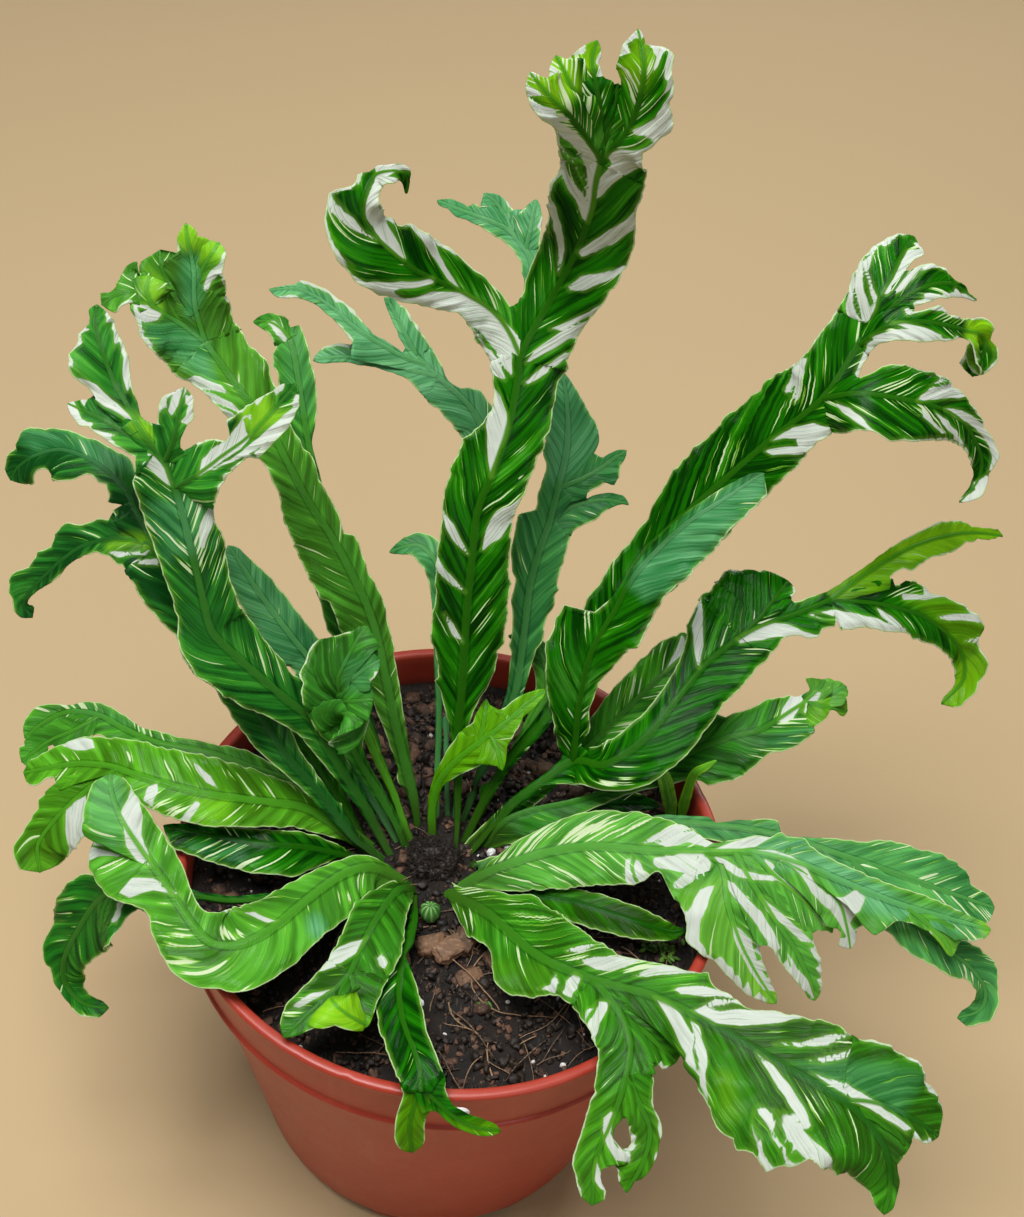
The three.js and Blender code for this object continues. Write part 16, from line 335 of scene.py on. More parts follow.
# Variegation of the leaves. Each patch is an outline on one limb, as (distance along the midrib, distance from it) pairs:
# (limb, kind, strength, outline); kinds: w white, g green inside white, s streaky, l lime, p pale tint and painted
# sheen, d dark
PATCHES = {
    "frond_center_tall": [
        (1,"w",1,(73.7,1.4, 81.6,1.4, 87.2,-0.4, 92.8,-2.6, 93.1,-2, 88.5,0.8, 84.6,2.5, 77.3,4.6, 65.4,5.6, 56.1,2.5, 52.8,0.8, 59.1,0.2, 66.4,1.6, 70.4,1)),
        (1,"w",1,(74.7,-9.6, 73.4,-6.2, 71,-2.8, 63.1,-0.6, 66.7,-2, 71.7,-6.5, 73.7,-9.6)),
        (1,"w",1,(73.4,-9.8, 70.7,-7, 64.4,-1.4, 68.7,-5, 71.4,-8.5)),
        (1,"w",1,(63.7,-12.5, 50.1,0.1, 50.1,-0.9, 59.1,-8.9, 62.1,-12.3)),
        (1,"w",1,(58.8,-12.7, 50.1,-5.5, 40.8,0, 40.5,-1.1, 49.5,-7, 53.5,-11.9, 56.1,-12.8)),
        (1,"w",1,(48.1,-10.1, 40.5,-4.2, 28.2,0, 15.6,-0.5, 4.9,1.9, 0,-0.1, 4.2,-2.9, 15.6,-7.2, 26.2,-7.8, 28.2,-6.9, 37.5,-8.9, 46.2,-11.2)),
        (0,"w",1,(170,-35.2, 172,-30.2, 173.2,-22.8, 172.8,-14.5, 170,-5.5, 166.8,-2.5, 161.6,-2.2, 166.4,-6.2, 168.4,-11.6, 170,-18.2, 170.8,-24.4, 170,-30.6)),
        (1,"w",1,(42.8,-8.4, 36.2,-4.6, 26.9,-3.2, 17,-2.7, 6.1,-1.8, 1,-2.3, 0,-4.9, 2.6,-5.8, 10.7,-7.1, 21.6,-7.5, 29.6,-6.9, 37.9,-8.5)),
        (0,"w",1,(171.2,-23.2, 169.6,-17.8, 167.6,-11.5, 164.8,-6, 159.6,-4, 160.4,-7, 166.8,-11.3, 169.2,-17.6)),
        (1,"w",1,(27.9,-5.7, 21.3,-8.4, 8.7,-8.7, 1,-6.7, 0,-7.4, 0,-9.5, 7.1,-9.2, 20.6,-8.8)),
        (1,"w",1,(57.4,9.6, 51.1,10.9, 44.2,10.3, 37.9,4.7, 31.2,0.9, 35.5,1.8, 41.2,5.6, 51.1,8.7)),
        (1,"w",1,(22.3,6.8, 20.6,6.1, 16,1.2, 18.3,1.9)),
        (0,"w",1,(238.2,-16.1, 238.2,-9.8, 238.2,-2.7, 236.2,0.1, 227,0.2, 216.9,-0.1, 217.7,-1.8, 224.6,-5, 232.6,-10.2, 238.2,-14.1)),
        (3,"w",1,(23.4,-3.9, 14.3,-1.7, 3.6,-0.7, 0,-1.1, 0,-5, 0,-9.5, 0,-10.6, 0,-10.4, 1.6,-11.6, 11.7,-9.2)),
        (4,"w",1,(14.5,-8.3, 8.1,-4.1, 0,-0.6, 0,0.1, 0,-2.8, 0,-6.3, 0,-7.5, 0,-8.1, 0,-10.6, 4.4,-11)),
        (0,"g",1,(238.2,-14.2, 238.2,-8.3, 235,-3.4, 227.8,-1.3, 231.8,-3.7, 237,-8.9, 238.2,-13.1)),
        (3,"g",1,(17.3,-5.3, 8.5,-4.1, 0,-4.6, 0,-6.1, 0,-6.6, 5.5,-7, 13.3,-6.9)),
        (4,"g",1,(9.1,-8.5, 3.4,-5, 0,-3.4, 0,-4, 0,-5, 0.7,-7.3, 5.7,-9)),
        (0,"g",1,(238.2,-13.3, 235.8,-8, 230.2,-3, 223.4,-1.6, 227.4,-3.7, 233.4,-8.9)),
        (3,"g",1,(12.4,-7.8, 3.6,-7.4, 0,-6.6, 0,-7.9, 0,-8.4, 1.3,-10.1)),
        (4,"g",1,(5,-9.7, 0,-7.2, 0,-4.8, 0,-5.4, 0,-6.3, 0,-9.1)),
        (0,"w",1,(224.6,-12.8, 218.9,-10, 211.7,-6.9, 203.7,-3.5, 195.7,-1.9, 204.9,-5.9, 213.3,-9.9, 220.1,-12.9)),
        (0,"w",1,(220.9,-4, 214.1,-1.3, 206.5,1.7, 210.5,-1)),
        (0,"w",1,(225.8,1, 233,1.4, 238.2,3.6, 238.2,8.3, 238.2,13, 238.2,10.4, 235,6.9, 231,4.4, 226.6,2.2)),
        (2,"w",1,(0,4.7, 0,2.5, 2.3,3, 9.9,5.2, 11.6,9.5, 5.6,9, 0.7,7.1, 0,5.9, 0,5.5)),
        (2,"w",1,(3.6,0.1, 7.9,2.2, 14.2,8, 17.2,10.4, 20.8,10.2, 17.8,12.9, 15.5,10.5, 13.2,9.2, 10.9,7.2, 9.6,5.7, 4,4.2, 2.3,3)),
        (2,"w",0.8,(14.2,1.1, 18.8,5.2, 23.8,8.3, 20.8,10.2, 19.8,8.7, 15.5,5.3, 13.9,2.6)),
        (0,"w",1,(205.7,0.4, 214.1,5.4, 218.9,9.1, 224.6,13.7, 220.9,15, 217.7,13.5, 213.7,9.6, 209.3,6, 204.9,2.3)),
        (0,"w",1,(193.3,3.6, 200.1,8.5, 207.7,14.6, 207.7,15.9, 202.5,11.8, 196.9,7.8)),
        (0,"w",1,(193.7,2.9, 199.7,5.1, 205.7,12, 204.5,11.6, 198.1,7.1)),
        (0,"w",1,(179.2,4.5, 185.7,9.2, 192.1,13.1, 197.3,15.1, 193.3,14.9, 187.7,11.7, 182.1,8.7)),
        (0,"w",1,(165.6,2.3, 171.6,3.9, 180.8,8.3, 191.7,16, 185.7,15.3, 182.1,13, 179.6,10.8, 174.4,8.2, 170.4,5.5)),
        (0,"w",1,(159.6,2.1, 164.4,7.6, 175.6,12.4, 175.2,13.3, 163.2,9.2, 159.6,2.8)),
        (0,"w",1,(136.3,3.2, 142,8, 150.8,13, 146.8,12.4, 142,9, 138.3,5.9)),
        (0,"w",1,(104.7,3.1, 111.5,3.7, 118.7,5.8, 124.3,9.7, 127.5,12.1, 122.3,12.9, 114.7,10.6, 109.5,8.2, 107.1,5.3)),
        (0,"w",1,(158.4,-9.1, 154,-4.6, 149.2,-1.7, 145.2,-0.4, 139.5,-0.5, 142.4,-2.8, 147.6,-5.2, 153.2,-8.2)),
        (0,"w",1,(149.2,-6.8, 145.6,-3.4, 139.5,-1.1, 133.1,-0.8, 129.1,0.1, 133.5,-2.7, 139.5,-5.1, 144.8,-6.9)),
        (0,"s",0.75,(137.5,-13.7, 144.8,-6.9, 125.9,0.8, 119.1,0.2, 128.3,-9.9)),
        (0,"w",1,(115.1,-10.5, 111.9,-7, 103.1,-1.6, 105.9,-5.3, 110.7,-9.1)),
        (0,"w",1,(101.9,-12.2, 96.6,-7.6, 90.2,-1.2, 92.2,-5.1, 96.2,-10.3)),
        (0,"w",1,(82.6,-7.3, 78.6,-4, 73,-0.8, 75,-3.8)),
        (0,"w",1,(132.3,8.3, 136.3,11.1, 135.9,12, 132.7,10.4)),
        (3,"s",0.85,(37.1,4.3, 27.3,19.9, 11.7,7.5, 3.9,-2.6, 23.4,-3.9, 37.1,-3.2)),
        (4,"s",0.85,(30.3,-6.6, 30.3,10.2, 9.1,5.7, 0,-2.6, 14.5,-8.3, 28.9,-11.6)),
        (5,"s",0.85,(31.2,-20.3, 34.6,-3.3, 12.8,1.6, 2,-4.1, 14.9,-13.1, 27.1,-20.2)),
        (6,"s",0.85,(16.3,-29.3, 20.5,-11.4, 12.5,-0.9, 1,-4.4, 9.1,-15.5, 16.3,-26.8)),
        (3,"l",0.8,(37.1,-2, 37.1,7.5, 30.6,11.6, 23.8,6.8, 24.4,-0.1, 33.8,-1.6)),
        (4,"l",0.8,(30.3,-11.2, 30.3,-1.5, 29.6,2.9, 20.5,1.3, 18.5,-5.3, 25.2,-9.2)),
        (5,"l",0.7,(31.5,-5.7, 34.6,0.1, 28.5,3, 27.1,-2.6)),
        (2,"s",0.6,(25.1,-7.8, 39.9,-5.3, 41.5,1, 34.6,9.3, 21.8,10.8, 13.9,8.3, 8.3,1.3)),
        (2,"l",0.5,(30,-7.4, 41.5,0.7, 33.3,2.7, 26.4,-0.6)),
        (1,"w",1,(84.6,-2.7, 93.1,-3.9, 59.8,15.1, 81.3,10.4, 92.1,2.7, 84.6,1.3)),
    ],
    "frond_right_long": [
        (1,"w",1,(5.1,-9.6, 10.1,-9.7, 16.3,-9.7, 22.1,-8.4, 14.6,-7.3, 11.2,-4.1, 8.8,-1.4, 5.5,-0.7, 1.4,-1.7, 0,-3.5, 0,-4.9, 0,-6.9, 2.1,-8.6)),
        (1,"g",1,(10.8,-9.6, 7.2,-7.1, 3.8,-4.6, 0,-3.4, 2.1,-5.4, 5.8,-7.8)),
        (1,"g",1,(16.6,-9.8, 10.8,-4.8, 6.8,-1.5, 4.8,-1.6, 7.8,-4.3, 11.5,-7.6)),
        (1,"w",1,(10.5,0.4, 15.9,1.1, 28.5,1.3, 31.2,6.1, 26.8,4.9, 21.7,3.3, 15.9,2.2, 10.8,1.6)),
        (2,"w",1,(12.1,3.3, 23.2,4.7, 35,0.4, 39.2,-0.5, 39.2,2.7, 36.3,1.3, 22.5,5.9, 16,5)),
        (2,"w",1,(8.8,-2.8, 16,-6.1, 19.6,-6.7, 16,-4.1, 10.8,-2.4)),
        (3,"w",1,(5.5,0.7, 10.6,2, 17.9,2.8, 24.5,4, 29.8,5.1, 18.6,6.8, 5.9,3.4)),
        (3,"w",1,(13,-0.3, 18.9,1.3, 28.5,4, 24.5,4.6, 17.9,2.4)),
        (3,"w",1,(16.9,-4.3, 23.9,-5.4, 36.8,-7.5, 45.1,-5, 34.5,-4.9, 23.9,-3.9, 17.3,-2.4)),
        (0,"w",1,(205.1,4.5, 211.9,3.4, 217.1,2.4, 221.1,4.6, 217.9,4.5, 213.1,4.1, 207.1,5.7, 205.1,6.7)),
        (3,"w",1,(0,8.9, 0,4.6, 2.9,1.5, 8.1,2.2, 4.4,3.3, 0,4.6, 0,9, 0,10.8)),
        (0,"w",1,(186.3,-10.4, 197.1,-14, 201.9,-14.3, 203.5,-11.8, 194.7,-9.3, 188.3,-5, 186.7,-5.3, 193.1,-10.4, 186.7,-8.7)),
        (0,"w",1,(173.9,0.7, 181.9,1.6, 188.7,4.6, 193.5,12.1, 189.5,10.8, 185.1,10.7, 182.3,11.3, 180.3,9.1, 181.9,5.6, 178.3,2.7)),
        (0,"w",1,(169.9,1.9, 178.7,6.7, 182.7,10, 181.1,11, 171.1,4.7)),
        (4,"w",1,(32.3,0, 36.6,-4.4, 40.3,-9.1, 47.7,-9.2, 53.1,-8.8, 49.1,-5.8, 41,-2.7)),
        (4,"g",1,(35.6,-4.8, 39,-7.2, 45,-9.8, 43.7,-8, 37.3,-5.1)),
        (4,"w",1,(44.4,-0.2, 51.8,-2.5, 58.8,-4.1, 67.9,-6.8, 72.3,-7.2, 74.6,-4.4, 75.6,-2.7, 71.6,-3.7, 65.9,-3.5, 58.1,-1.8, 49.8,0.4)),
        (4,"w",1,(81,0.8, 77.3,-2.1, 79.6,-4.5, 83.3,-4.7, 87.7,-2.1, 88.7,1.1, 85.3,-0.7, 82.3,-1.4)),
        (4,"w",1,(33.6,2.3, 38.3,4.7, 46.4,7.4, 42,7.5, 34.6,4.6)),
        (4,"w",1,(40,2, 49.1,3.9, 60.2,5, 54.5,6.4, 43.4,4.9)),
        (4,"w",1,(5.4,2.5, 10.8,5.1, 15.5,8.7, 18.8,12.7, 14.8,10.6, 9.4,6.4)),
        (4,"s",0.6,(30.9,1.8, 51.4,-3.8, 70.9,-7.4, 78.6,-2.6, 69.9,3.9, 54.8,6.6, 35,10)),
        (0,"s",0.45,(176.3,-7.3, 194.3,-9.7, 217.1,-5.9, 210.7,1.1, 194.3,-0.2, 179.1,1.6)),
        (3,"l",1,(42.4,-1.5, 52,-7.2, 58.2,-5.9, 46.7,17.1, 51.7,19.7, 66.8,5.8, 39.8,4.2)),
    ],
    "frond_right_mid": [
        (1,"p",0.85,(75.6,-1.5, 78.9,-0.2, 88.6,0.5, 95.6,-0.9, 109.5,-3.3, 123.8,0.5, 122.5,6.6, 106.5,11.1, 88.6,13.8, 75.3,12.9, 66.9,6.8, 68.3,1)),
        (0,"w",1,(112.2,-12.4, 117.1,-16.3, 120.3,-19.4, 110.6,-5.2, 104.2,-0.8, 106.6,-4.4)),
        (0,"w",1,(121.1,-0.1, 127.5,0.4, 135.2,0.8, 139.2,2.7, 143.6,7.1, 148.8,11.2, 143.6,9.7, 136.4,6.1, 127.9,4.3, 121.1,1.6)),
        (2,"w",1,(0,-0.4, 4.7,1.7, 11.1,4.9, 13.5,8.7, 14.6,14.8, 17,21.2, 13.2,17.1, 10.1,10.2, 4,5.5, 0,1.2)),
        (0,"w",1,(148,2.2, 156.1,3.9, 155.7,7.7, 154.5,13.3, 154.5,19.3, 154.5,21.2, 154.5,23.2, 154.5,19.5, 154.5,15.2, 154.5,12.4, 154.5,7.5)),
        (4,"w",1,(0,5.7, 1.3,3.8, 6.7,4.6, 15,5.7, 22.7,7.5, 27,6.9, 28.7,8.2, 20,9.5, 12.7,9.4, 6,10.8, 1.3,7.8)),
        (0,"g",1,(148,0.3, 152.5,3.5, 156.1,7.4, 154.1,7.8, 150,3.8)),
        (4,"w",1,(16,1.9, 21,3.6, 26.7,7.4, 22.7,7.1, 17.3,4.6)),
        (4,"w",1,(24.7,-4.9, 33.4,-7.1, 32.7,-10.9, 39,-9.9, 33.7,-5.7, 26,-3.5)),
        (4,"w",1,(40.7,-2.5, 52.4,-12.3, 55.7,-15.1, 53.4,-10.4, 45,-4)),
        (4,"w",1,(55,-2.9, 58,-10.6, 59,-7.5)),
        (3,"l",0.75,(31.6,-8.4, 55.9,-7.6, 67.7,-4.4, 84.8,-0.5, 84.8,3, 67,5.2, 46.5,6.7, 30.6,4.2)),
        (3,"l",0.45,(2.7,-5.3, 23.6,-5.7, 40.1,-7.5, 33.3,6.9, 13.1,7, 1,0.7)),
        (4,"l",0.55,(62.7,4, 59,-11, 68.4,-8.9, 79.7,-5.1, 80,2.2, 73.3,2.3)),
        (4,"l",0.3,(27.3,-3.7, 55.4,-15.3, 65.7,-8.2, 66.4,1.5)),
        (0,"s",0.3,(39,2, 58.7,-1.3, 71.6,1.5, 66,14.6, 59.1,10.8, 53.1,9.5)),
        (0,"w",1,(61.1,3.6, 61.9,6.2, 63.2,11.7, 62.4,10.5, 61.1,6.5)),
        (0,"w",1,(56.3,1.7, 57.5,4.2, 59.9,10.5, 58.7,9.4, 57.1,5.3)),
        (0,"s",0.1,(105.4,-4, 132.7,6, 121.9,13.6, 94.1,8.5, 93.3,3.6)),
        (2,"s",0.1,(0,-6.9, 7.4,8.6, 0,13.1, 0,6, 0,1.2)),
    ],
    "leaf_right_mid_behind": [
        (0,"s",0.6,(51.5,-3.1, 98.9,-9.3, 97.7,5.6, 58.3,10)),
        (0,"w",1,(98.1,-6, 96.5,-1.5, 90.9,-0.1, 85.2,0, 89.7,-1.6, 93.7,-3.3)),
        (0,"w",1,(82.4,-8.7, 82,-7.3, 75.2,-5.8, 78.8,-7.1)),
    ],
    "frond_right_low": [
        (0,"l",0.45,(124.8,-10.9, 124.8,1.2, 124.8,17.5, 120,7.6)),
        (1,"l",0.45,(8,-9.6, 9,6.7, 6,17.9, 0,7.1)),
        (2,"l",0.45,(4.3,-13.6, 16.9,-5, 11.8,13.6, 0.4,8.2)),
        (3,"l",0.45,(0,-11.1, 14.3,-17, 16.3,4.5, 3.9,7)),
        (0,"w",1,(111.2,0.7, 115.2,-2.1, 121.2,-4.6, 124.8,-2.2, 120.4,0.4, 115.6,2.5, 112.4,2.1)),
        (0,"w",1,(124,0, 124.8,-0.6, 124.8,1.1, 122.8,3.6, 120.4,3.2)),
        (1,"w",1,(0.3,0, 5,-0.3, 5.7,1.5, 0,3.5, 0,2.8)),
        (2,"w",1,(0.7,-0.3, 4.7,-2.9, 6.5,-1.7, 1.4,3.4, 0,3.9)),
        (0,"s",0.75,(97.2,4.3, 118,7.4, 124.4,8.7, 117.6,11.5, 102.4,9.6)),
        (0,"p",0.5,(103.2,4.2, 121.2,8.8, 119.6,11.5, 106.8,9.8)),
        (0,"s",0.5,(80.4,-4.3, 104.8,-8.8, 119.2,-6.7, 112.8,1.1, 90.8,0.1)),
        (1,"p",0.35,(8,-6.7, 8.6,7.9, 6.6,14.5, 3.3,5.4, 2.3,-1.8)),
        (2,"p",0.35,(3.6,-10.2, 16.9,-1, 12.1,9.7, 5.8,3.1, 1.8,-3.1)),
    ],
    "frond_front_right_upper": [
        (0,"w",1,(67.1,2.4, 73,1.6, 76.2,0.3, 82.6,0.7, 85,3.8, 83.8,6.5, 80.6,9.3, 75.4,12.2, 72.2,11.7, 77,7.1, 72.2,6.3, 68.7,5.7, 67.1,4.3)),
        (1,"w",1,(11.7,22.1, 0,5.2, 0,2.6, 1.3,0.1, 4.6,1.9, 5.6,4.9, 2.6,8.8, 15.3,14.5, 14.7,17.6, 0,8.5, 11.7,17.2, 11.7,20.8, 11.7,22.2)),
        (0,"w",1,(58.7,8.3, 58.3,4.3, 59.9,2.2, 59.9,6.1, 61.9,10.2, 64.3,12, 61.5,12.3, 58.7,10.3)),
        (0,"w",1,(61.5,3.2, 63.5,4.4, 64.7,7.6, 67.5,10.2, 65.1,11.9, 62.3,8.4, 61.5,5.7)),
        (0,"w",1,(62.3,-2.1, 66.3,-4.8, 73,-8.4, 77.4,-10.1, 79.8,-8.1, 73,-5.4, 66.7,-2.9)),
        (0,"w",1,(67.9,-2.4, 73,-5.6, 80.6,-6.8, 87.4,-3.8, 83.8,-1.5, 77.4,-3.2, 75.4,-2.1, 71,-1.4)),
        (0,"w",1,(85.8,-0.4, 91.4,-2.8, 98.2,-4.8, 103.8,-6.1, 99,-1.8, 92.2,-0.2)),
        (0,"w",1,(85.8,1.3, 89,2.4, 94.2,5.8, 100.6,7.3, 106.6,6.6, 113,5.8, 119.3,6.8, 124.9,10.1, 129.3,12.6, 130.9,14.8, 126.9,16, 119.7,11.6, 114.2,9.1, 107.8,7.7, 99.4,9.3, 93,7.9, 89,5.1)),
        (1,"w",1,(4.3,-0.7, 6.9,-1.8, 10.4,-5.2, 12.1,-10.1, 12.7,-15.3, 13.7,-21.5, 17.3,-26.4, 27.5,-29.1, 51.4,-32.1, 54.3,-31.5, 48.8,-27.6, 27.8,-24.4, 17.3,-21.2, 13.7,-16.2, 13.7,-8.8, 12.1,-3.8, 8.8,-0.3)),
        (2,"w",1,(0,6.9, 0.7,4.4, 6,1.2, 9.8,-2.7, 13.2,-7.1, 17.3,-12, 23.3,-14.9, 31.8,-15.7, 36.2,-16.4, 38.2,-16, 35.8,-12.1, 27.1,-11.6, 20.3,-10.2, 14.9,-7.3, 10.8,-0.8, 7.4,3.1, 3.2,5.6)),
        (3,"w",1,(0,10.3, 0,8.6, 1.4,6.7, 6.2,4, 9.9,0.5, 15.8,-2.9, 22,-4, 29.2,-3.3, 35.8,-3.4, 37.7,-2.2, 33.5,1, 23.7,0.2, 17.8,-0.2, 11.5,0.8, 6.8,6.1, 2.4,8.9, 0,10.3)),
        (0,"w",1,(98.6,-0.5, 104.6,-1.7, 111,-1.3, 116.2,0.9, 120.9,4.7, 124.5,5.9, 129.3,4.7, 132.1,0.9, 135.7,1.9, 135.3,6.6, 133.7,8.5, 133.3,11.9, 136.5,14.5, 138.9,19.1, 132.9,21.9, 131.3,18.6, 133.7,16.3, 130.5,13.1, 128.1,10.9, 124.5,9.2, 120.5,7.5, 115.8,3.6, 109.4,0.8, 103.8,0.1)),
        (3,"w",1,(0,-0.6, 4.1,-5.4, 10.9,-8.6, 17.4,-8.5, 23,-6.5, 27.6,-7, 33.5,-10.6, 35.4,-15.5, 37.7,-16, 37.7,-11.3, 37.7,-9, 37.7,-5.7, 37.7,-3.9, 37.7,-0.1, 37.7,4.2, 37.7,1.3, 37.7,-1.4, 37.7,-3.8, 33.5,-4.2, 28.2,-3.9, 23.3,-3.8, 17.8,-5.8, 10.2,-6, 4.4,-3.5)),
        (4,"w",1,(0,2.9, 0,-0.7, 3.5,-2.3, 8.6,-1.4, 14.1,1.3, 18.2,1.2, 22.6,-2.3, 23,-6.9, 25.4,-8.6, 27.8,-5.6, 28.1,-3, 30.5,-1.1, 35.3,-2.8, 39,-3, 39,4, 34.9,3.9, 34.6,0.7, 29.5,2, 25,3.3, 19.2,4.2, 14.1,4, 8.6,1.4, 2.4,0.1, 0,1.2)),
        (0,"w",1,(102.2,1.7, 105.4,2.7, 109,6, 107.8,7.1, 105,5)),
        (3,"w",1,(4.1,-1.1, 7.2,-2.3, 11.9,-1.1, 11.2,0.4, 7.9,-0.1)),
        (1,"w",1,(13.1,0.1, 14,-2.5, 20.3,-6.3, 26.5,-9.8, 34.3,-11, 42.9,-11, 41.2,-8.4, 31.1,-7.3, 25.2,-5.6, 19.9,-3, 16.7,-1)),
        (2,"w",1,(7,7.1, 8.8,5.1, 14.9,4, 20.6,2.4, 26.7,2.7, 32.8,3.9, 31.1,6.4, 23.3,5.8, 18.6,6.2, 13.5,7.2, 10.2,7.5)),
        (1,"w",1,(16,8.2, 15,3.7, 20.6,6.6, 23.5,10.2, 28.8,12.5, 34,12, 31.1,16.3, 26.8,17.4, 22.6,14.5, 19.9,11.1)),
        (1,"w",1,(26.8,0.5, 29.4,-1.5, 34,-3.5, 40.9,-2.1, 47.5,-2, 54,-2.2, 50.4,1, 42.5,1.5, 36.6,1.3, 32.1,1.5)),
        (2,"w",1,(16.2,0.1, 23.7,-2.7, 30.1,-4.1, 37.9,-6.4, 35.2,-3, 27.4,-1.4, 21,0.8)),
        (2,"w",1,(35.5,2.9, 42.2,2.1, 47,0.4, 54.1,-0.3, 55.1,0, 48.7,2.7, 42.9,4.2)),
        (1,"l",0.5,(16,17.7, 12.1,-0.6, 25.5,0.6, 34.3,0.6, 47.1,0, 57,-0.8, 53.7,5.1, 35,8.3, 32.7,14.2, 0.7,22.1)),
        (1,"l",0.9,(45.2,2.8, 54.7,-5.1, 57,0, 54.7,5.7)),
        (0,"p",0.9,(96.6,-2.9, 114.6,-10.1, 151.3,-0.8, 173.2,-1.8, 178,3.6, 152.1,5.6, 134.9,5.4, 119.7,-0.6, 101,2.1)),
        (3,"p",0.9,(0,-0.7, 12.5,-18.3, 37.7,-22.7, 37.7,-30.6, 37.7,-27.7, 37.7,-17.2, 37.7,-12.4, 21,-11.3, 3.4,-0.2)),
        (4,"p",0.9,(0,1.9, 5.2,-11.8, 28.8,-22.5, 39,-41.1, 39,-43.5, 37.6,-21.6, 26.7,-5.9, 12.1,-3.7, 0,4.2)),
        (0,"l",1,(168.8,-1.3, 179.6,-4.3, 179.6,2.2, 175.6,4.7, 170.4,1.6)),
        (5,"l",0.8,(10.5,0.2, 15.6,-0.3, 22.5,-1.6, 22.5,1.2, 17,2.8)),
        (0,"s",0.85,(0,-1.1, 16.4,-5.7, 49.9,-14.9, 73,-12.8, 87,-2.9, 49.5,1.6, 16.8,0.4)),
        (0,"s",0.6,(11.2,-0.6, 49.5,1.6, 69.1,2.9, 67.5,11.9, 16.8,9.7)),
    ],
    "frond_front_right_large": [
        (0,"w",1,(58.8,7.8, 58,2.7, 59.6,0.1, 62,0.6, 62.4,3.8, 62,7.7)),
        (2,"w",1,(13.6,15, 7.6,8.1, 7,2.7, 9.3,0.8, 11.6,3, 13.6,6.4, 18.6,9.4, 28.8,10.6, 29.8,12.3, 25.5,14.3)),
        (2,"g",1,(10.9,11.6, 7,3.9, 8,3.5, 11.9,10.4, 16.2,12.9)),
        (0,"w",1,(51.6,9, 54,6.1, 54,2.4, 56.4,4.7, 57.2,8.3, 54.8,8.2)),
        (0,"w",1,(52.8,-5.4, 57.6,-8.5, 64,-10.8, 58.8,-6.3, 54,-4.8)),
        (0,"w",1,(58,-3.5, 63.6,-6.7, 77.2,-10.8, 81.6,-11.7, 77.6,-9.1, 74.4,-6, 68.8,-3.5, 65.2,-3.1)),
        (0,"g",1,(65.6,-4.8, 74,-7.9, 77.6,-9.6, 74,-7.1, 68,-4.6)),
        (0,"w",1,(77.2,-4.1, 82.4,-8.7, 86,-11.5, 95.6,-13, 87.6,-8.2, 81.2,-4.6)),
        (0,"w",1,(89.2,-4.7, 95.6,-8.5, 104,-11.4, 107.6,-11.5, 99.2,-6.3, 92,-3.5)),
        (0,"w",1,(97.6,-0.9, 102,-6.9, 109.2,-11.6, 116.8,-13.4, 127.6,-16.2, 122.4,-11.4, 111.6,-3.4, 104.8,-0.3)),
        (0,"g",1,(100.8,-3.6, 106.4,-8.4, 113.6,-11.2, 109.2,-7.7, 103.6,-4)),
        (0,"w",1,(85.6,0.2, 89.6,0.3, 94.8,1.3, 101.6,5.7, 106.8,13.1, 110.8,16.2, 104.4,13.7, 100,10.3, 94.8,6.1, 89.6,2.8)),
        (4,"w",1,(6.2,-10.2, 9.6,-11.1, 14.3,-11.6, 21.5,-9.2, 21.8,-2.5, 22.1,0.2, 21.8,-1.7, 20.8,-4.3, 15.2,-6.9, 10,-8.6)),
        (0,"w",1,(98,1.8, 101.6,2.3, 107.6,8.1, 115.2,19.7, 110,16.3, 105.2,9.7, 101.2,5.1)),
        (0,"w",1,(125.6,13.3, 129.6,13.1, 133.2,15.2, 138.8,18.2, 144,21.7, 143.2,23.7, 140,23.1, 134,20.2, 128,15.5)),
        (0,"w",1,(126.4,16.2, 130.8,22.1, 134.8,25, 140.8,27, 140,28.8, 134.8,27.3, 130.8,24.4)),
        (0,"w",1,(130.4,12.4, 137.2,12.5, 144,14.4, 156.8,16, 149.6,19.7, 143.2,19.7, 137.2,17.3)),
        (0,"g",1,(129.6,13.1, 134,15.6, 143.2,21.7, 141.6,22.6, 134.4,18.6)),
        (0,"w",1,(119.2,0.5, 125.2,1.3, 131.6,3.9, 138.8,8.1, 142,11.7, 139.2,12.7, 134,9.4, 126.8,5.1)),
        (0,"w",1,(138,4.4, 141.2,6.7, 146.4,12.2, 155.2,15.3, 150.8,16.1, 143.6,12, 139.6,8)),
        (0,"w",1,(134.8,-2.2, 141.2,-4, 148.8,-5.1, 155.6,-6.3, 162.4,-9.3, 162.4,-7.4, 156.8,-4.2, 148.4,-1.6, 140,-1.9)),
        (1,"w",1,(0,-7.7, 0,-5.6, 6.1,-2.3, 13,0.9, 22.8,2.8, 21.5,4.7, 13,3.6, 3.7,0.5, 0,-4.4)),
        (0,"w",1,(122,-4.2, 130,-10, 135.6,-15, 140.8,-18.7, 135.6,-11.2, 129.2,-7.2, 123.2,-4.3)),
        (0,"w",1,(132.4,-4.5, 139.2,-11.4, 145.2,-18.5, 148,-22, 152.4,-22.3, 155.2,-22, 150.8,-20.9, 146.8,-17.1, 141.6,-11, 136.8,-6.3)),
        (0,"w",1,(140,-6.3, 148.4,-12.6, 156,-22.3, 156.4,-20.6, 149.2,-11.2, 142,-6.1)),
        (2,"w",1,(26.5,4.7, 33.1,4.7, 36.8,5.5, 31.5,5.8)),
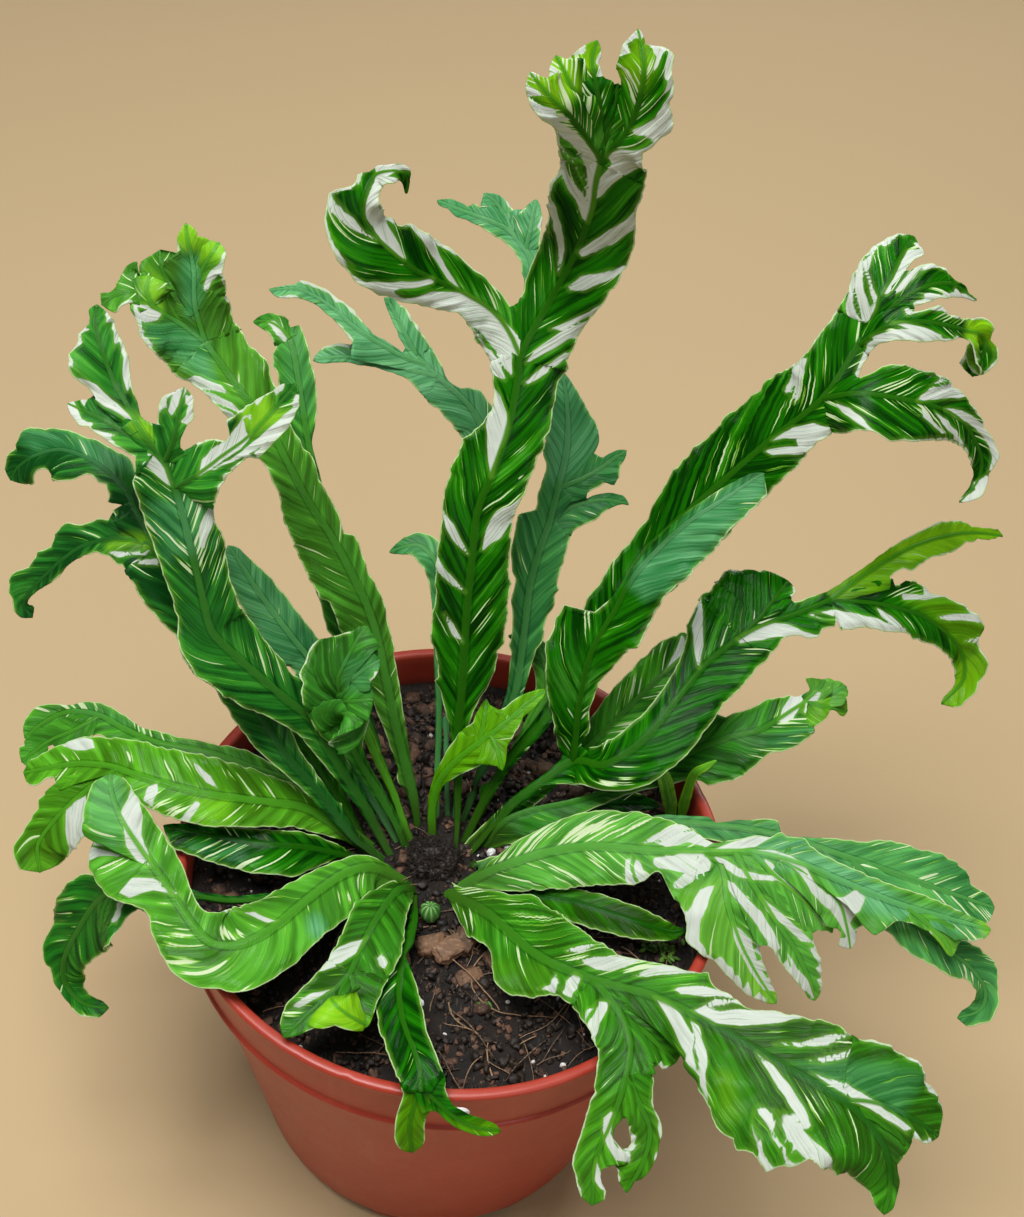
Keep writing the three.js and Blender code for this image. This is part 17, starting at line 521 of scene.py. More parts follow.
        (2,"w",1,(45.7,2.5, 42.7,1.1, 43.4,0.1, 48.7,-1.1, 51.3,-4.3, 51.3,-8.4, 54,-9.6, 55.3,-5.6, 52,-1.1, 49,1.5)),
        (3,"w",1,(7.8,11.1, 6.8,8, 8.2,7.8, 18.1,11.3, 25,8.3, 24.3,4.1, 27.9,3.2, 29.9,6.9, 25.6,11.5, 9.8,13.1)),
        (2,"w",1,(60,0.3, 57,-0.3, 60.6,-2.1, 65.3,-3.9, 65.3,-2, 62.9,-0.2)),
        (0,"l",0.36,(114.4,12.1, 117.2,11.3, 122.8,18.7, 121.2,20.9)),
        (0,"s",0.6,(0,-1, 26.8,-14.6, 61.6,-12.5, 92.4,-11.3, 75.6,-2.7, 47.2,1.6, 18.4,7.1)),
        (0,"s",0.45,(14.8,4.2, 42,16.9, 55.2,8.7, 78.8,7.2, 59.2,-3.5, 26,-1.6)),
        (2,"l",0.14,(44.4,14.3, 34.8,-8.9, 55.7,-19.9, 67.6,-5.9, 69.6,3.3, 59.3,7.1)),
        (3,"l",0.14,(0,18.3, 8.2,-5, 27.6,-7.1, 35.8,1.4, 35.8,6.9, 14.1,25.6)),
        (0,"l",0.18,(33.2,11.3, 50.8,1.1, 55.6,9.6, 45.2,16.7)),
        (0,"p",0.5,(131.6,-2.3, 156,-20.4, 158.8,-9.2, 144.4,-1.6)),
        (1,"p",0.5,(0,-9.5, 21.8,-11.8, 18.6,0.3, 0.3,-1.7)),
        (0,"d",0.62,(92,-15.8, 138.8,-25.1, 158.8,-24.3, 165.2,-19.5, 181.6,-4.3, 130,19.4, 103.6,5.7)),
        (1,"d",0.62,(0,-39.9, 7.1,-24.9, 28.7,-14.2, 33.2,-2.4, 17.3,29.4, 0,6.9, 0,-18.3)),
    ],
    "frond_right_behind_low": [
        (0,"s",0.6,(126,-7.7, 141.7,-12, 174,-0.9, 172.3,6.3, 162.7,2.9, 132.5,-0.6)),
        (1,"s",0.55,(12.3,7.6, 27.7,-0.9, 58.7,-9.6, 64.3,-3.7, 53,4.6)),
        (0,"p",0.45,(65.2,-1.2, 97,-5.4, 101.1,0.8, 65.6,5.8)),
    ],
    "frond_left_back_low": [
        (0,"s",0.6,(117.7,4.9, 84.3,3.4, 66.4,2.4, 65.6,-1.1, 85.5,-1.2, 118.5,-2.3)),
        (0,"p",0.3,(117.7,6.1, 104.6,7.7, 86.7,2.5, 112.5,-3)),
    ],
    "frond_left_mid": [
        (0,"w",1,(111.6,7, 106.8,9.2, 101.6,8.6, 99.6,5, 105.6,4.1)),
        (1,"w",1,(21.7,-0.6, 17,-0.6, 13,-1.4, 18,-9.2, 19,-13, 39.9,-12.3, 30.1,-9.7, 26.4,-5.1)),
        (0,"w",1,(85.5,10, 74.7,6, 65.9,2.6, 69.9,2.7, 78.3,6.1)),
        (0,"w",1,(67.1,9.6, 59,6.2, 55.8,2.3, 59.8,3.4, 64.3,6.4)),
        (0,"w",1,(45.8,7.9, 39.4,5.6, 34.5,1.1, 37.7,3, 42.6,5.3)),
        (0,"w",1,(96,7.5, 90.4,5.8, 84.3,3.6, 90,3.6)),
        (0,"w",1,(77.5,-2.6, 75.1,-0.2, 73.9,-2.5, 73.9,-8.4, 77.1,-7.6)),
        (0,"w",1,(61.8,-2.3, 60.2,-3.9, 62.6,-10.8, 64.7,-10.4, 63,-5.2)),
        (0,"s",0.5,(87.1,11.7, 24.9,6.7, 10.8,2.5, 28.9,5.5, 64.7,8.3)),
        (0,"s",0.6,(81.9,-1.4, 26.1,1.6, 11.6,-0.8, 54.6,-11.4, 74.3,-8.6)),
        (0,"l",0.5,(61.8,-2.5, 52.6,-0.9, 51.8,-8.7, 60.2,-10.2)),
        (1,"l",0.3,(38.9,2.3, 34.8,-7.4, 44.9,-6.8, 45.6,3.3)),
    ],
    "leaf_left_under": [
        (0,"s",0.65,(55.1,-8.1, 48.6,0.4, 23.1,-1, 23.5,-10.3, 35.7,-11.3, 48.2,-10.1)),
        (0,"p",0.35,(58,-5.2, 42.2,0.5, 40.1,-7.4, 54.7,-10.3)),
    ],
    "frond_left_scurve": [
        (0,"w",1,(127.2,0.3, 130.4,4.1, 134.7,6.1, 129.2,7.2, 122.4,6.1, 117.3,2.5, 111.7,1.3, 107.7,-0.8, 111.7,-3, 117.3,-3.2, 122.8,-0.8)),
        (1,"w",1,(21.5,-2, 21.5,2.4, 17.2,0.7, 11.4,-0.2, 5.4,0, 16.6,-2.9, 20.5,-5.4, 20.5,-5.1)),
        (0,"w",1,(112.1,-15.3, 110.5,-9.9, 104.5,-1.9, 101.4,-0.4, 101.4,-1.7, 96.2,2.2, 95,2.2, 101,-4.1, 103.3,-10.9, 107.3,-13.4)),
        (0,"w",1,(86.3,8.9, 79.9,13.2, 59.6,7.5, 55.2,0.9, 58.4,2.2, 62,6.7, 68,10.7)),
        (0,"w",1,(77.9,5.2, 70.4,4.6, 67.6,2.6, 70.7,2.7, 75.1,3.8)),
        (0,"w",1,(76.7,-13.5, 75.1,-7.6, 72.7,-2.3, 72.7,-5.2, 74.3,-9.6, 75.9,-13.2)),
        (0,"w",1,(55.2,-2.2, 53.7,-2.5, 58.4,-8.1, 60.8,-13.9, 62,-14.9, 59.2,-7.5)),
        (0,"w",1,(55.6,-7.2, 53.7,-6.6, 58.8,-14.5, 60,-14.2)),
        (0,"p",1,(46.9,-5.3, 43.7,-5.9, 46.1,-11.2, 49.7,-13.2, 50.5,-10.4, 49.7,-7.7)),
        (0,"w",1,(97,-6.8, 95.4,-2.9, 94.2,-2, 95,-5.5)),
        (0,"w",1,(89.8,-10.3, 87,-5.9, 85.9,-2.1, 82.7,0.5, 85.1,-5, 87.8,-9.9)),
        (0,"w",1,(85.5,-12.3, 83.1,-8.3, 81.5,-3.2, 79.5,-2.4, 81.5,-7.5, 84.3,-12)),
        (0,"w",1,(120,9.3, 115.3,8, 109.3,6, 105.3,4.9, 110.1,5.3, 115.3,6.7)),
        (0,"s",0.35,(89.4,-11.2, 60.8,6.4, 68.8,-14.6, 77.1,-14.2)),
        (0,"p",0.4,(138.3,-6.7, 140.7,3.1, 122.8,1.6, 118.4,-6.8, 130,-9.1)),
    ],
    "frond_left_hanging": [
        (0,"w",1,(85.3,-11.8, 84.9,-5, 83.3,-4.3, 82.1,-12)),
        (0,"w",1,(115.4,7.9, 111,5.8, 111.4,4.7)),
    ],
    "frond_front_left": [
        (0,"w",1,(53.6,11, 50.3,8.4, 45.9,5.9, 38.6,-0.5, 42.6,0.3, 45.9,0.5, 51.5,3.6, 53.6,7.5)),
        (1,"w",1,(7.8,9, 0.6,8.7, 0,7.1, 0,1.9, 0,2.1, 0,1.8, 0.3,3.7, 5.2,6.2)),
        (1,"w",1,(20,5, 13.3,4.2, 7.4,0.5, 12,1.3, 18.4,2.8)),
        (1,"w",1,(23.3,4.1, 16.8,3.4, 11,0.4, 18.1,1.8)),
        (0,"w",1,(45.5,-5.6, 42.6,-6.5, 45.5,-9.4, 47.9,-9.4, 47.5,-7.2)),
        (3,"l",1,(15.7,-1.5, 2.5,13.1, 0,-3, 11.6,-11.5)),
        (2,"l",0.6,(12,7.2, 17.2,-2.3, 17.5,0.1, 17.5,8)),
    ],
    "frond_front_rim": [
        (0,"s",0.25,(47.9,7.7, 31.5,0.3, 75.4,-6.8, 81.4,-5.3, 81.4,5)),
        (1,"l",0.3,(5.9,6.5, 0,-26, 4.2,-27.8, 18.3,-4.6, 22.7,-2, 20.7,5.3)),
        (2,"l",0.3,(0,7.2, 28.8,-4, 28.8,1.6, 10.1,9, 11.1,14.6, 4.2,18.1)),
    ],
    "frond_upper_left_tall": [
        (0,"s",0.62,(164.9,-7.5, 157,17.4, 123.2,10, 123.2,-9.3)),
        (1,"w",1,(20.7,-9.1, 17,-5.1, 10.7,-2.6, 4.7,-0.8, 2.7,-0.8, 7,-2.9, 11.7,-5.8, 14,-6.8, 17,-7.7)),
        (0,"w",1,(166.9,-9.9, 165.3,-5, 160.9,-2.3, 154.6,-0.8, 149.8,-1, 153.8,-3.4, 159.7,-5.7, 164.5,-7.7)),
        (0,"w",1,(164.1,-8.8, 162.5,-7.8, 154.6,-9.2, 149.4,-9, 149.4,-9.8, 154.6,-9.7, 160.9,-10.2)),
        (3,"w",1,(16.2,-2.9, 20.4,-2.5, 23.5,-1.1, 23.5,1, 19.7,-0.2, 14.9,-2)),
        (3,"w",1,(21.4,1.1, 21.1,3.8, 18.7,3.7, 19,1.7)),
        (4,"w",1,(9,0.5, 12.5,-2.7, 16.7,-3.3, 21.4,-3, 31.6,-5.2, 33.6,-4, 31.2,-1.6, 28.2,0.6, 24.1,1.4, 19.4,1.2, 14,1)),
        (4,"w",1,(13.3,1.6, 20.7,2.7, 28.5,2.5, 37.3,3.3, 46.5,4.3, 42.1,7.1, 37.3,6.4, 30.2,5, 24.8,4, 20.4,3.2)),
        (4,"g",1,(30.9,-4.6, 32.6,-4.8, 31.6,-1.2, 28.5,0.8, 28.9,-1.6)),
        (4,"l",0.9,(32.9,-6.6, 40.4,-3.8, 38.3,-0.2, 41.7,4.6, 39.4,4.2, 35.6,1, 30.5,-0.4, 30.5,-3.3)),
        (2,"w",1,(30,-0.2, 29.7,1.9, 26,-0.5, 23.3,-2.5, 19.6,-3.3, 23.3,-3.9, 28.4,-1.7)),
        (2,"w",1,(18.3,-4.2, 15.6,-3.8, 11.6,-2.3, 14.6,-5.9, 16.3,-5.2)),
        (1,"w",1,(23,5.5, 19.3,5.8, 14,4.1, 12.3,2.3, 17.7,3.3)),
        (0,"l",0.9,(171.7,-0.6, 169.7,1.8, 164.9,4, 160.9,2.2, 166.1,0.8, 170.9,-1)),
        (1,"l",0.9,(5.3,-0.8, 1.7,1.7, 0,4.4, 0,3.7, 0,1.1, 3,-1.1)),
        (0,"s",0.75,(151.4,-10.7, 138.3,0.8, 128,3.5, 131.1,-9, 142.7,-11.8)),
        (0,"s",0.6,(144.6,6.2, 143.1,11.4, 118.4,12.6, 114,5.4, 129.1,2.8)),
        (0,"w",1,(129.1,2.7, 135.5,4, 142.7,10.2, 138.7,10.2, 132.7,5.8, 128.8,3.7)),
        (0,"p",0.55,(146.6,-11.4, 144.6,6.7, 128.4,6.6, 128,-7.8)),
        (1,"s",0.4,(29.3,-8.5, 29.3,8.3, 13.7,2.7, 18.3,-9.6)),
        (0,"w",1,(142.7,1.5, 146.2,7.3, 146.6,13.8, 146.2,17.8, 146.2,11.5, 144.6,5.9, 141.5,2.3)),
        (4,"w",1,(0,5.8, 7.3,3.4, 13.6,4.9, 18.4,6.8, 11.2,4.6, 5.6,4.9, 0.4,7.2)),
    ],
    "frond_upper_left_outer": [
        (0,"w",1,(132.9,-13.1, 130.1,-6.7, 127.4,0.4, 126.6,-1.1, 130.5,-10.9)),
        (2,"w",1,(13.9,-4.7, 5.3,-4.5, 0,-2, 0,-3.6, 9.6,-6.3)),
        (0,"w",1,(129,-10.4, 125.8,-0.9, 124.2,-1, 127.4,-8)),
        (0,"w",1,(122.6,-7.3, 119.4,-2, 117.8,-2.2)),
        (0,"l",0.9,(135.7,-6.4, 132.5,0, 129.7,0.5, 134.9,-12.3, 133.7,-5.6)),
        (2,"l",0.9,(8.6,0.4, 1.3,1.6, 0,0, 13.9,-2.7, 6.6,-0.9)),
        (1,"p",0.7,(47.1,10.2, 35.8,8, 15.9,9.9, 9.3,7.1, 20.2,-0.1, 45.1,1.1)),
        (0,"s",0.3,(135.7,-13.2, 128.2,3.6, 112.2,-2.5, 125,-9.3)),
    ],
    "frond_crested_yellow": [
        (3,"w",1,(19.7,-6.3, 21.6,-4.9, 20.3,-1.6, 16.1,-0.3, 16.4,-2.8, 18.4,-5.2)),
        (0,"p",0.8,(179.4,-13.9, 179.4,-6.1, 179.4,-1.6, 177.8,-0.4, 166.7,-6.1, 179,-9.7, 179.4,-14.8)),
        (1,"p",0.8,(9.8,-17.6, 7.7,-8.5, 3.5,-2.6, 0,0.1, 0,-1.4, 0,-9, 4.2,-16.3)),
        (3,"p",0.8,(19.3,-6.4, 12.2,-1.6, 4.5,-0.1, 0,-0.8, 0,-9.3, 2.6,-9.4, 15.5,-10.5)),
        (3,"w",1,(14.8,-9.4, 9.3,-7, 2.9,-4.9, 8.3,-8.2)),
        (0,"w",1,(173.9,-13.2, 172.7,-9.3, 165.5,-4.2, 162.3,-3.7, 167.9,-9.1, 171.9,-12.6)),
        (0,"w",1,(169.9,-12.9, 167.9,-10.3, 159.5,-4.8, 155.1,-4.1, 161.1,-7.6, 166.7,-12.5)),
        (0,"w",1,(161.1,-9.1, 156.3,-6.5, 152.3,-6.8, 156.7,-10)),
        (2,"w",1,(0.7,2.5, 7.4,2.8, 12.4,4.3, 10,5.8, 3.7,3.9, 0,4)),
        (1,"l",1,(31,-3.3, 35.9,-2.6, 35.9,2.8, 33.9,6.1, 30,11.9, 24.8,11, 25.8,3.6, 29.7,3.4, 28.1,-0.9)),
        (2,"l",1,(8.4,-11.1, 12,-15.9, 12.7,-10.7, 14.7,-5, 16,1, 14,4.5, 9.7,-1.8, 12.7,-4.8, 8.1,-7)),
        (3,"l",0.9,(29,-0.9, 28.7,2.3, 24.5,4.3, 17.7,1.8, 22.9,0.7, 25.8,-0.7)),
        (4,"l",0.9,(17.7,-4.8, 15.7,-2.6, 12.3,-3.1, 8.7,-6.7, 12.8,-7, 15.7,-6.8)),
        (1,"p",0.85,(27.8,-2.6, 25.8,2.1, 14.1,1.8, 8.7,-1, 9.1,-2.5, 19.9,-3.7)),
        (4,"p",0.85,(22.2,6.5, 21.2,11.4, 3,4.3, 0.4,-1, 1.3,-2.1, 13.3,4.6)),
        (0,"s",0.4,(179.4,-13.3, 151.5,-5.4, 155.1,3.3, 177.8,-0.4)),
        (3,"s",0.4,(15.1,-9, 0,-12.6, 0,-3.3, 0,-0.8)),
        (0,"l",0.25,(174.7,-2.9, 173.1,11.1, 155.1,3.3, 158.7,-1.8)),
        (4,"p",0.35,(17.7,-20.1, 23.6,-10, 13.9,-3.8, 10.5,-11.7, 13.3,-21.1)),
    ],
    "frond_back_left": [
        (0,"w",1,(172.3,-4.9, 172.3,-3.2, 169.9,-0.6, 168.7,-1.7, 171.5,-3.5)),
        (1,"w",1,(9.8,-0.4, 8.4,0.7, 1.3,-0.2, 0.3,-1.7, 4,-2.5)),
        (0,"p",0.35,(172.3,-3, 172.3,10.7, 143.2,4.3, 144.8,-5.4)),
    ],
    "young_frond_crumpled": [
        (1,"p",0.5,(10.1,-0.3, 17.1,10.2, 3.4,13.6, 0.7,3.7)),
        (3,"p",0.5,(12.3,-6, 21.9,-0.7, 17.8,8.5, 5.9,2)),
        (4,"p",0.5,(8,-13.2, 16,-14.4, 17,-3.2, 9.1,-3.6)),
        (6,"p",0.5,(16.6,0, 24.1,9.7, 13.1,14.4, 6.6,4.1)),
    ],
    "leaf_small_center": [
        (0,"p",0.3,(79.2,0.6, 65.6,2.2, 59.2,-1.2, 76.4,-3.3)),
    ],
    "frond_back_right": [
        (0,"p",0.9,(159.1,-3.3, 158.7,14, 125.7,13.9, 120.5,-8.8, 138.2,-9.3)),
        (0,"p",0.35,(112.1,-14.8, 120.9,-6.6, 112.1,2.5, 99.2,-0.4, 98.8,-9.5)),
    ],}

# ---------------------------------------------------------------- leaf settings
# slope of the lateral veins against the midrib and how much they bend towards the tip, where it is not (1.12, 0.016)
VEINS = {
    "frond_left_mid": (0.80, 0.012), "frond_left_scurve": (0.75, 0.010), "frond_left_back_low": (0.90, 0.012),
    "frond_front_left": (1.00, 0.010), "frond_front_right_upper": (1.40, 0.010), "frond_front_right_large": (1.60, 0.004),
    "frond_center_tall": (1.55, 0.014), "frond_upper_left_tall": (1.50, 0.012), "frond_crested_yellow": (1.35, 0.012),
    "frond_left_hanging": (1.00, 0.012), "frond_upper_left_outer": (1.30, 0.012), "leaf_left_under": (1.10, 0.012),
    "frond_right_long": (1.60, 0.012), "frond_front_rim": (1.50, 0.012),
}
CUP = 0.15               # rise of the blade away from the midrib
CUP_FLAT = 0.0045
BLADE_HALF = 0.27        # half the thickness of the blade
# leaves whose forked tips have a broad white margin
WHITE_EDGE = {"young_frond_crumpled": 0.5, "frond_center_tall": 3.2, "frond_right_long": 2.0, "frond_front_right_upper": 1.8, "frond_upper_left_tall": 1.4, "frond_crested_yellow": 1.2,
              "frond_right_mid": 0.9, "frond_front_right_large": 1.2, "frond_back_forked": 0.9, "frond_back_top": 0.9}
# name: (streaks, pale tint and painted sheen, lime, dark, ruffle, rib at the base, rib at the tip)
THINNER = {"frond_front_right_large": 0.32, "frond_left_scurve": 0.35, "frond_left_mid": 0.30, "frond_front_left": 0.35, "frond_front_right_upper": 0.15}
LOOKS = {
    "frond_center_tall": (0.26, 0.00, 0.00, 0.50, 0.9, 3.4, 1.7),
    "frond_right_long": (0.26, 0.00, 0.00, 0.50, 0.9, 3.4, 1.7),
    "frond_right_mid": (0.02, 0.00, 0.00, 0.50, 1.3, 3.4, 1.5),
    "leaf_right_mid_behind": (0.20, 0.05, 0.05, 0.28, 0.9, 2.4, 1.2),
    "frond_right_low": (0.20, 0.08, 0.05, 0.36, 1.2, 2.8, 1.5),
    "leaf_small_upright_a": (0.00, 0.25, 1.00, 0.00, 0.5, 1.8, 0.9),
    "leaf_small_upright_b": (0.00, 0.10, 1.00, 0.00, 0.5, 1.6, 0.9),
    "leaf_dark_low": (0.05, 0.00, 0.00, 0.70, 0.8, 1.8, 1.0),
    "frond_front_right_upper": (0.24, 0.20, 0.22, 0.00, 1.1, 3.0, 1.4),
    "frond_front_right_large": (0.24, 0.04, 0.08, 0.30, 1.2, 3.2, 1.5),
    "leaf_front_right_small": (0.06, 0.00, 0.05, 0.68, 1.0, 2.0, 1.1),
    "frond_right_behind_low": (0.22, 0.45, 0.05, 0.10, 1.2, 2.8, 1.3),
    "frond_left_back_low": (0.22, 0.10, 0.12, 0.12, 1.2, 2.6, 1.3),
    "frond_left_mid": (0.22, 0.05, 0.22, 0.08, 1.1, 3.0, 1.4),
    "leaf_left_under": (0.20, 0.00, 0.00, 0.60, 0.8, 2.2, 1.3),
    "frond_left_scurve": (0.18, 0.10, 0.18, 0.05, 1.1, 3.2, 1.5),
    "frond_left_hanging": (0.06, 0.08, 0.00, 0.38, 0.9, 2.6, 1.4),
    "frond_front_left": (0.18, 0.05, 0.08, 0.38, 0.9, 2.6, 1.3),
    "frond_front_rim": (0.08, 0.00, 0.00, 0.50, 0.9, 2.4, 1.1),
    "frond_upper_left_tall": (0.26, 0.10, 0.00, 0.42, 1.2, 3.4, 1.5),
    "frond_upper_left_outer": (0.12, 0.12, 0.00, 0.62, 1.2, 3.2, 1.4),
    "leaf_upper_left_narrow": (0.04, 0.00, 0.05, 0.50, 0.6, 2.2, 1.2),
    "frond_crested_yellow": (0.24, 0.12, 0.18, 0.28, 1.1, 3.2, 1.4),
    "frond_back_left": (0.08, 0.15, 0.08, 0.20, 0.9, 3.0, 1.3),
    "leaf_back_left_pale": (0.08, 0.75, 0.00, 0.05, 0.8, 2.6, 1.2),
    "young_frond_crumpled": (0.10, 0.12, 0.08, 0.30, 3.4, 3.0, 1.2),
    "young_stalk_narrow": (0.00, 0.05, 0.45, 0.00, 0.3, 2.0, 1.2),
    "frond_back_forked": (0.06, 0.90, 0.00, 0.05, 0.8, 2.8, 1.3),
    "frond_back_top": (0.04, 0.90, 0.00, 0.10, 0.8, 2.6, 1.2),
    "frond_back_right": (0.08, 0.40, 0.00, 0.35, 1.2, 3.0, 1.4),
    "leaf_back_small": (0.02, 0.55, 0.00, 0.10, 0.6, 2.0, 1.0),
    "leaf_small_center": (0.02, 0.15, 0.20, 0.05, 0.6, 2.0, 1.0),
    "young_frond_lime": (0.12, 0.00, 0.36, 0.15, 1.3, 2.4, 1.1),
}

# ---------------------------------------------------------------- noise
PERM = np.random.default_rng(11).permutation(256)
PERM = np.concatenate([PERM, PERM, PERM])
GRAD = np.random.default_rng(12).normal(size=(256, 3))
GRAD /= np.linalg.norm(GRAD, axis=1, keepdims=True)


def noise(p, seed=0):
    """Smooth gradient noise, about -0.7 to 0.7, of points (n, 3)."""
    p = np.asarray(p, float) + seed * 17.31
    i = np.floor(p).astype(int)
    f = p - i
    w = f * f * f * (f * (f * 6 - 15) + 10)
    out = 0
    for dx in (0, 1):
        for dy in (0, 1):
            for dz in (0, 1):
                h = PERM[(PERM[(PERM[(i[:, 0] + dx) & 255] + i[:, 1] + dy) & 255] + i[:, 2] + dz) & 255]
                g = GRAD[h]
                d = (g * (f - np.array([dx, dy, dz]))).sum(1)
                ww = (w[:, 0] if dx else 1 - w[:, 0]) * (w[:, 1] if dy else 1 - w[:, 1]) * (w[:, 2] if dz else 1 - w[:, 2])
                out = out + ww * d
    return out


def smooth(a, b, v):
    t = np.clip((v - a) / (b - a), 0, 1)
    return t * t * (3 - 2 * t)


def rows(m, t):
    """Catmull-Rom through the rows of m at the row numbers t."""
    n = len(m)
    i = np.clip(t.astype(int), 0, n - 2)
    f = (t - i)[:, None]
    p1, p2, p0, p3 = m[i], m[i + 1], m[np.maximum(i - 1, 0)], m[np.minimum(i + 2, n - 1)]
    return 0.5 * (2 * p1 + (p2 - p0) * f + (2 * p0 - 5 * p1 + 4 * p2 - p3) * f ** 2 + (3 * p1 - p0 - 3 * p2 + p3) * f ** 3)


def unit(v):
    return v / np.maximum(np.linalg.norm(v, axis=-1, keepdims=True), 1e-12)


def inside(p, q):
    """Signed distance of the points p (n, 2) to the outline q, positive inside."""
    q = np.array(q, float).reshape(-1, 2)
    d = np.full(len(p), 1e9)
    odd = np.zeros(len(p), bool)
    for a, b in zip(q, np.roll(q, -1, 0)):
        e, v = b - a, p - a
        t = np.clip((v @ e) / max(e @ e, 1e-9), 0, 1)
        d = np.minimum(d, np.linalg.norm(v - t[:, None] * e, axis=1))
        if a[1] != b[1]:
            odd ^= ((a[1] > p[:, 1]) != (b[1] > p[:, 1])) & (p[:, 0] < e[0] * (p[:, 1] - a[1]) / e[1] + a[0])
    return np.where(odd, d, -d)


# ---------------------------------------------------------------- mesh helpers
def add_mesh(name, verts, faces, smooth_shade=True, uv=None, attrs=None):
    """verts in mm, faces as one array or a list; uv per face corner; attrs {name: (n, 3)} per vertex."""
    me = bpy.data.meshes.new(name)
    verts = np.asarray(verts, float) * MM
    sizes = np.array([len(f) for f in faces], np.int32)
    loops = np.concatenate([np.asarray(f, np.int32) for f in faces]) if isinstance(faces, list) else faces.ravel().astype(np.int32)
    me.vertices.add(len(verts))
    me.vertices.foreach_set("co", verts.astype(np.float32).ravel())
    me.loops.add(len(loops))
    me.loops.foreach_set("vertex_index", loops)
    me.polygons.add(len(sizes))
    me.polygons.foreach_set("loop_start", np.concatenate([[0], np.cumsum(sizes)[:-1]]).astype(np.int32))
    me.polygons.foreach_set("loop_total", sizes)
    me.update(calc_edges=True)
    if smooth_shade:
        me.polygons.foreach_set("use_smooth", np.ones(len(sizes), bool))
    if uv is not None:
        layer = me.uv_layers.new(name="OFBake")
        layer.data.foreach_set("uv", np.asarray(uv, np.float32).ravel())
    for k, v in (attrs or {}).items():
        a = me.attributes.new(k, "FLOAT_VECTOR", "POINT")
        a.data.foreach_set("vector", np.asarray(v, np.float32).ravel())
    me.validate()
    me.update()
    o = bpy.data.objects.new(name, me)
    bpy.context.scene.collection.objects.link(o)
    return o


def keep(o, slot, *nodes, body="root"):
    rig.ride(o, body)
    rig.slot(o, slot)
    if nodes:
        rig.replaces(o, *nodes)
    return o


# ---------------------------------------------------------------- leaves
HALF = np.array([0.0, 0.04, 0.085, 0.14, 0.21, 0.29, 0.38, 0.47, 0.56, 0.65, 0.74, 0.825, 0.90, 0.955, 1.0])
COLS = np.concatenate([-HALF[::-1], HALF[1:]])        # left margin to right margin


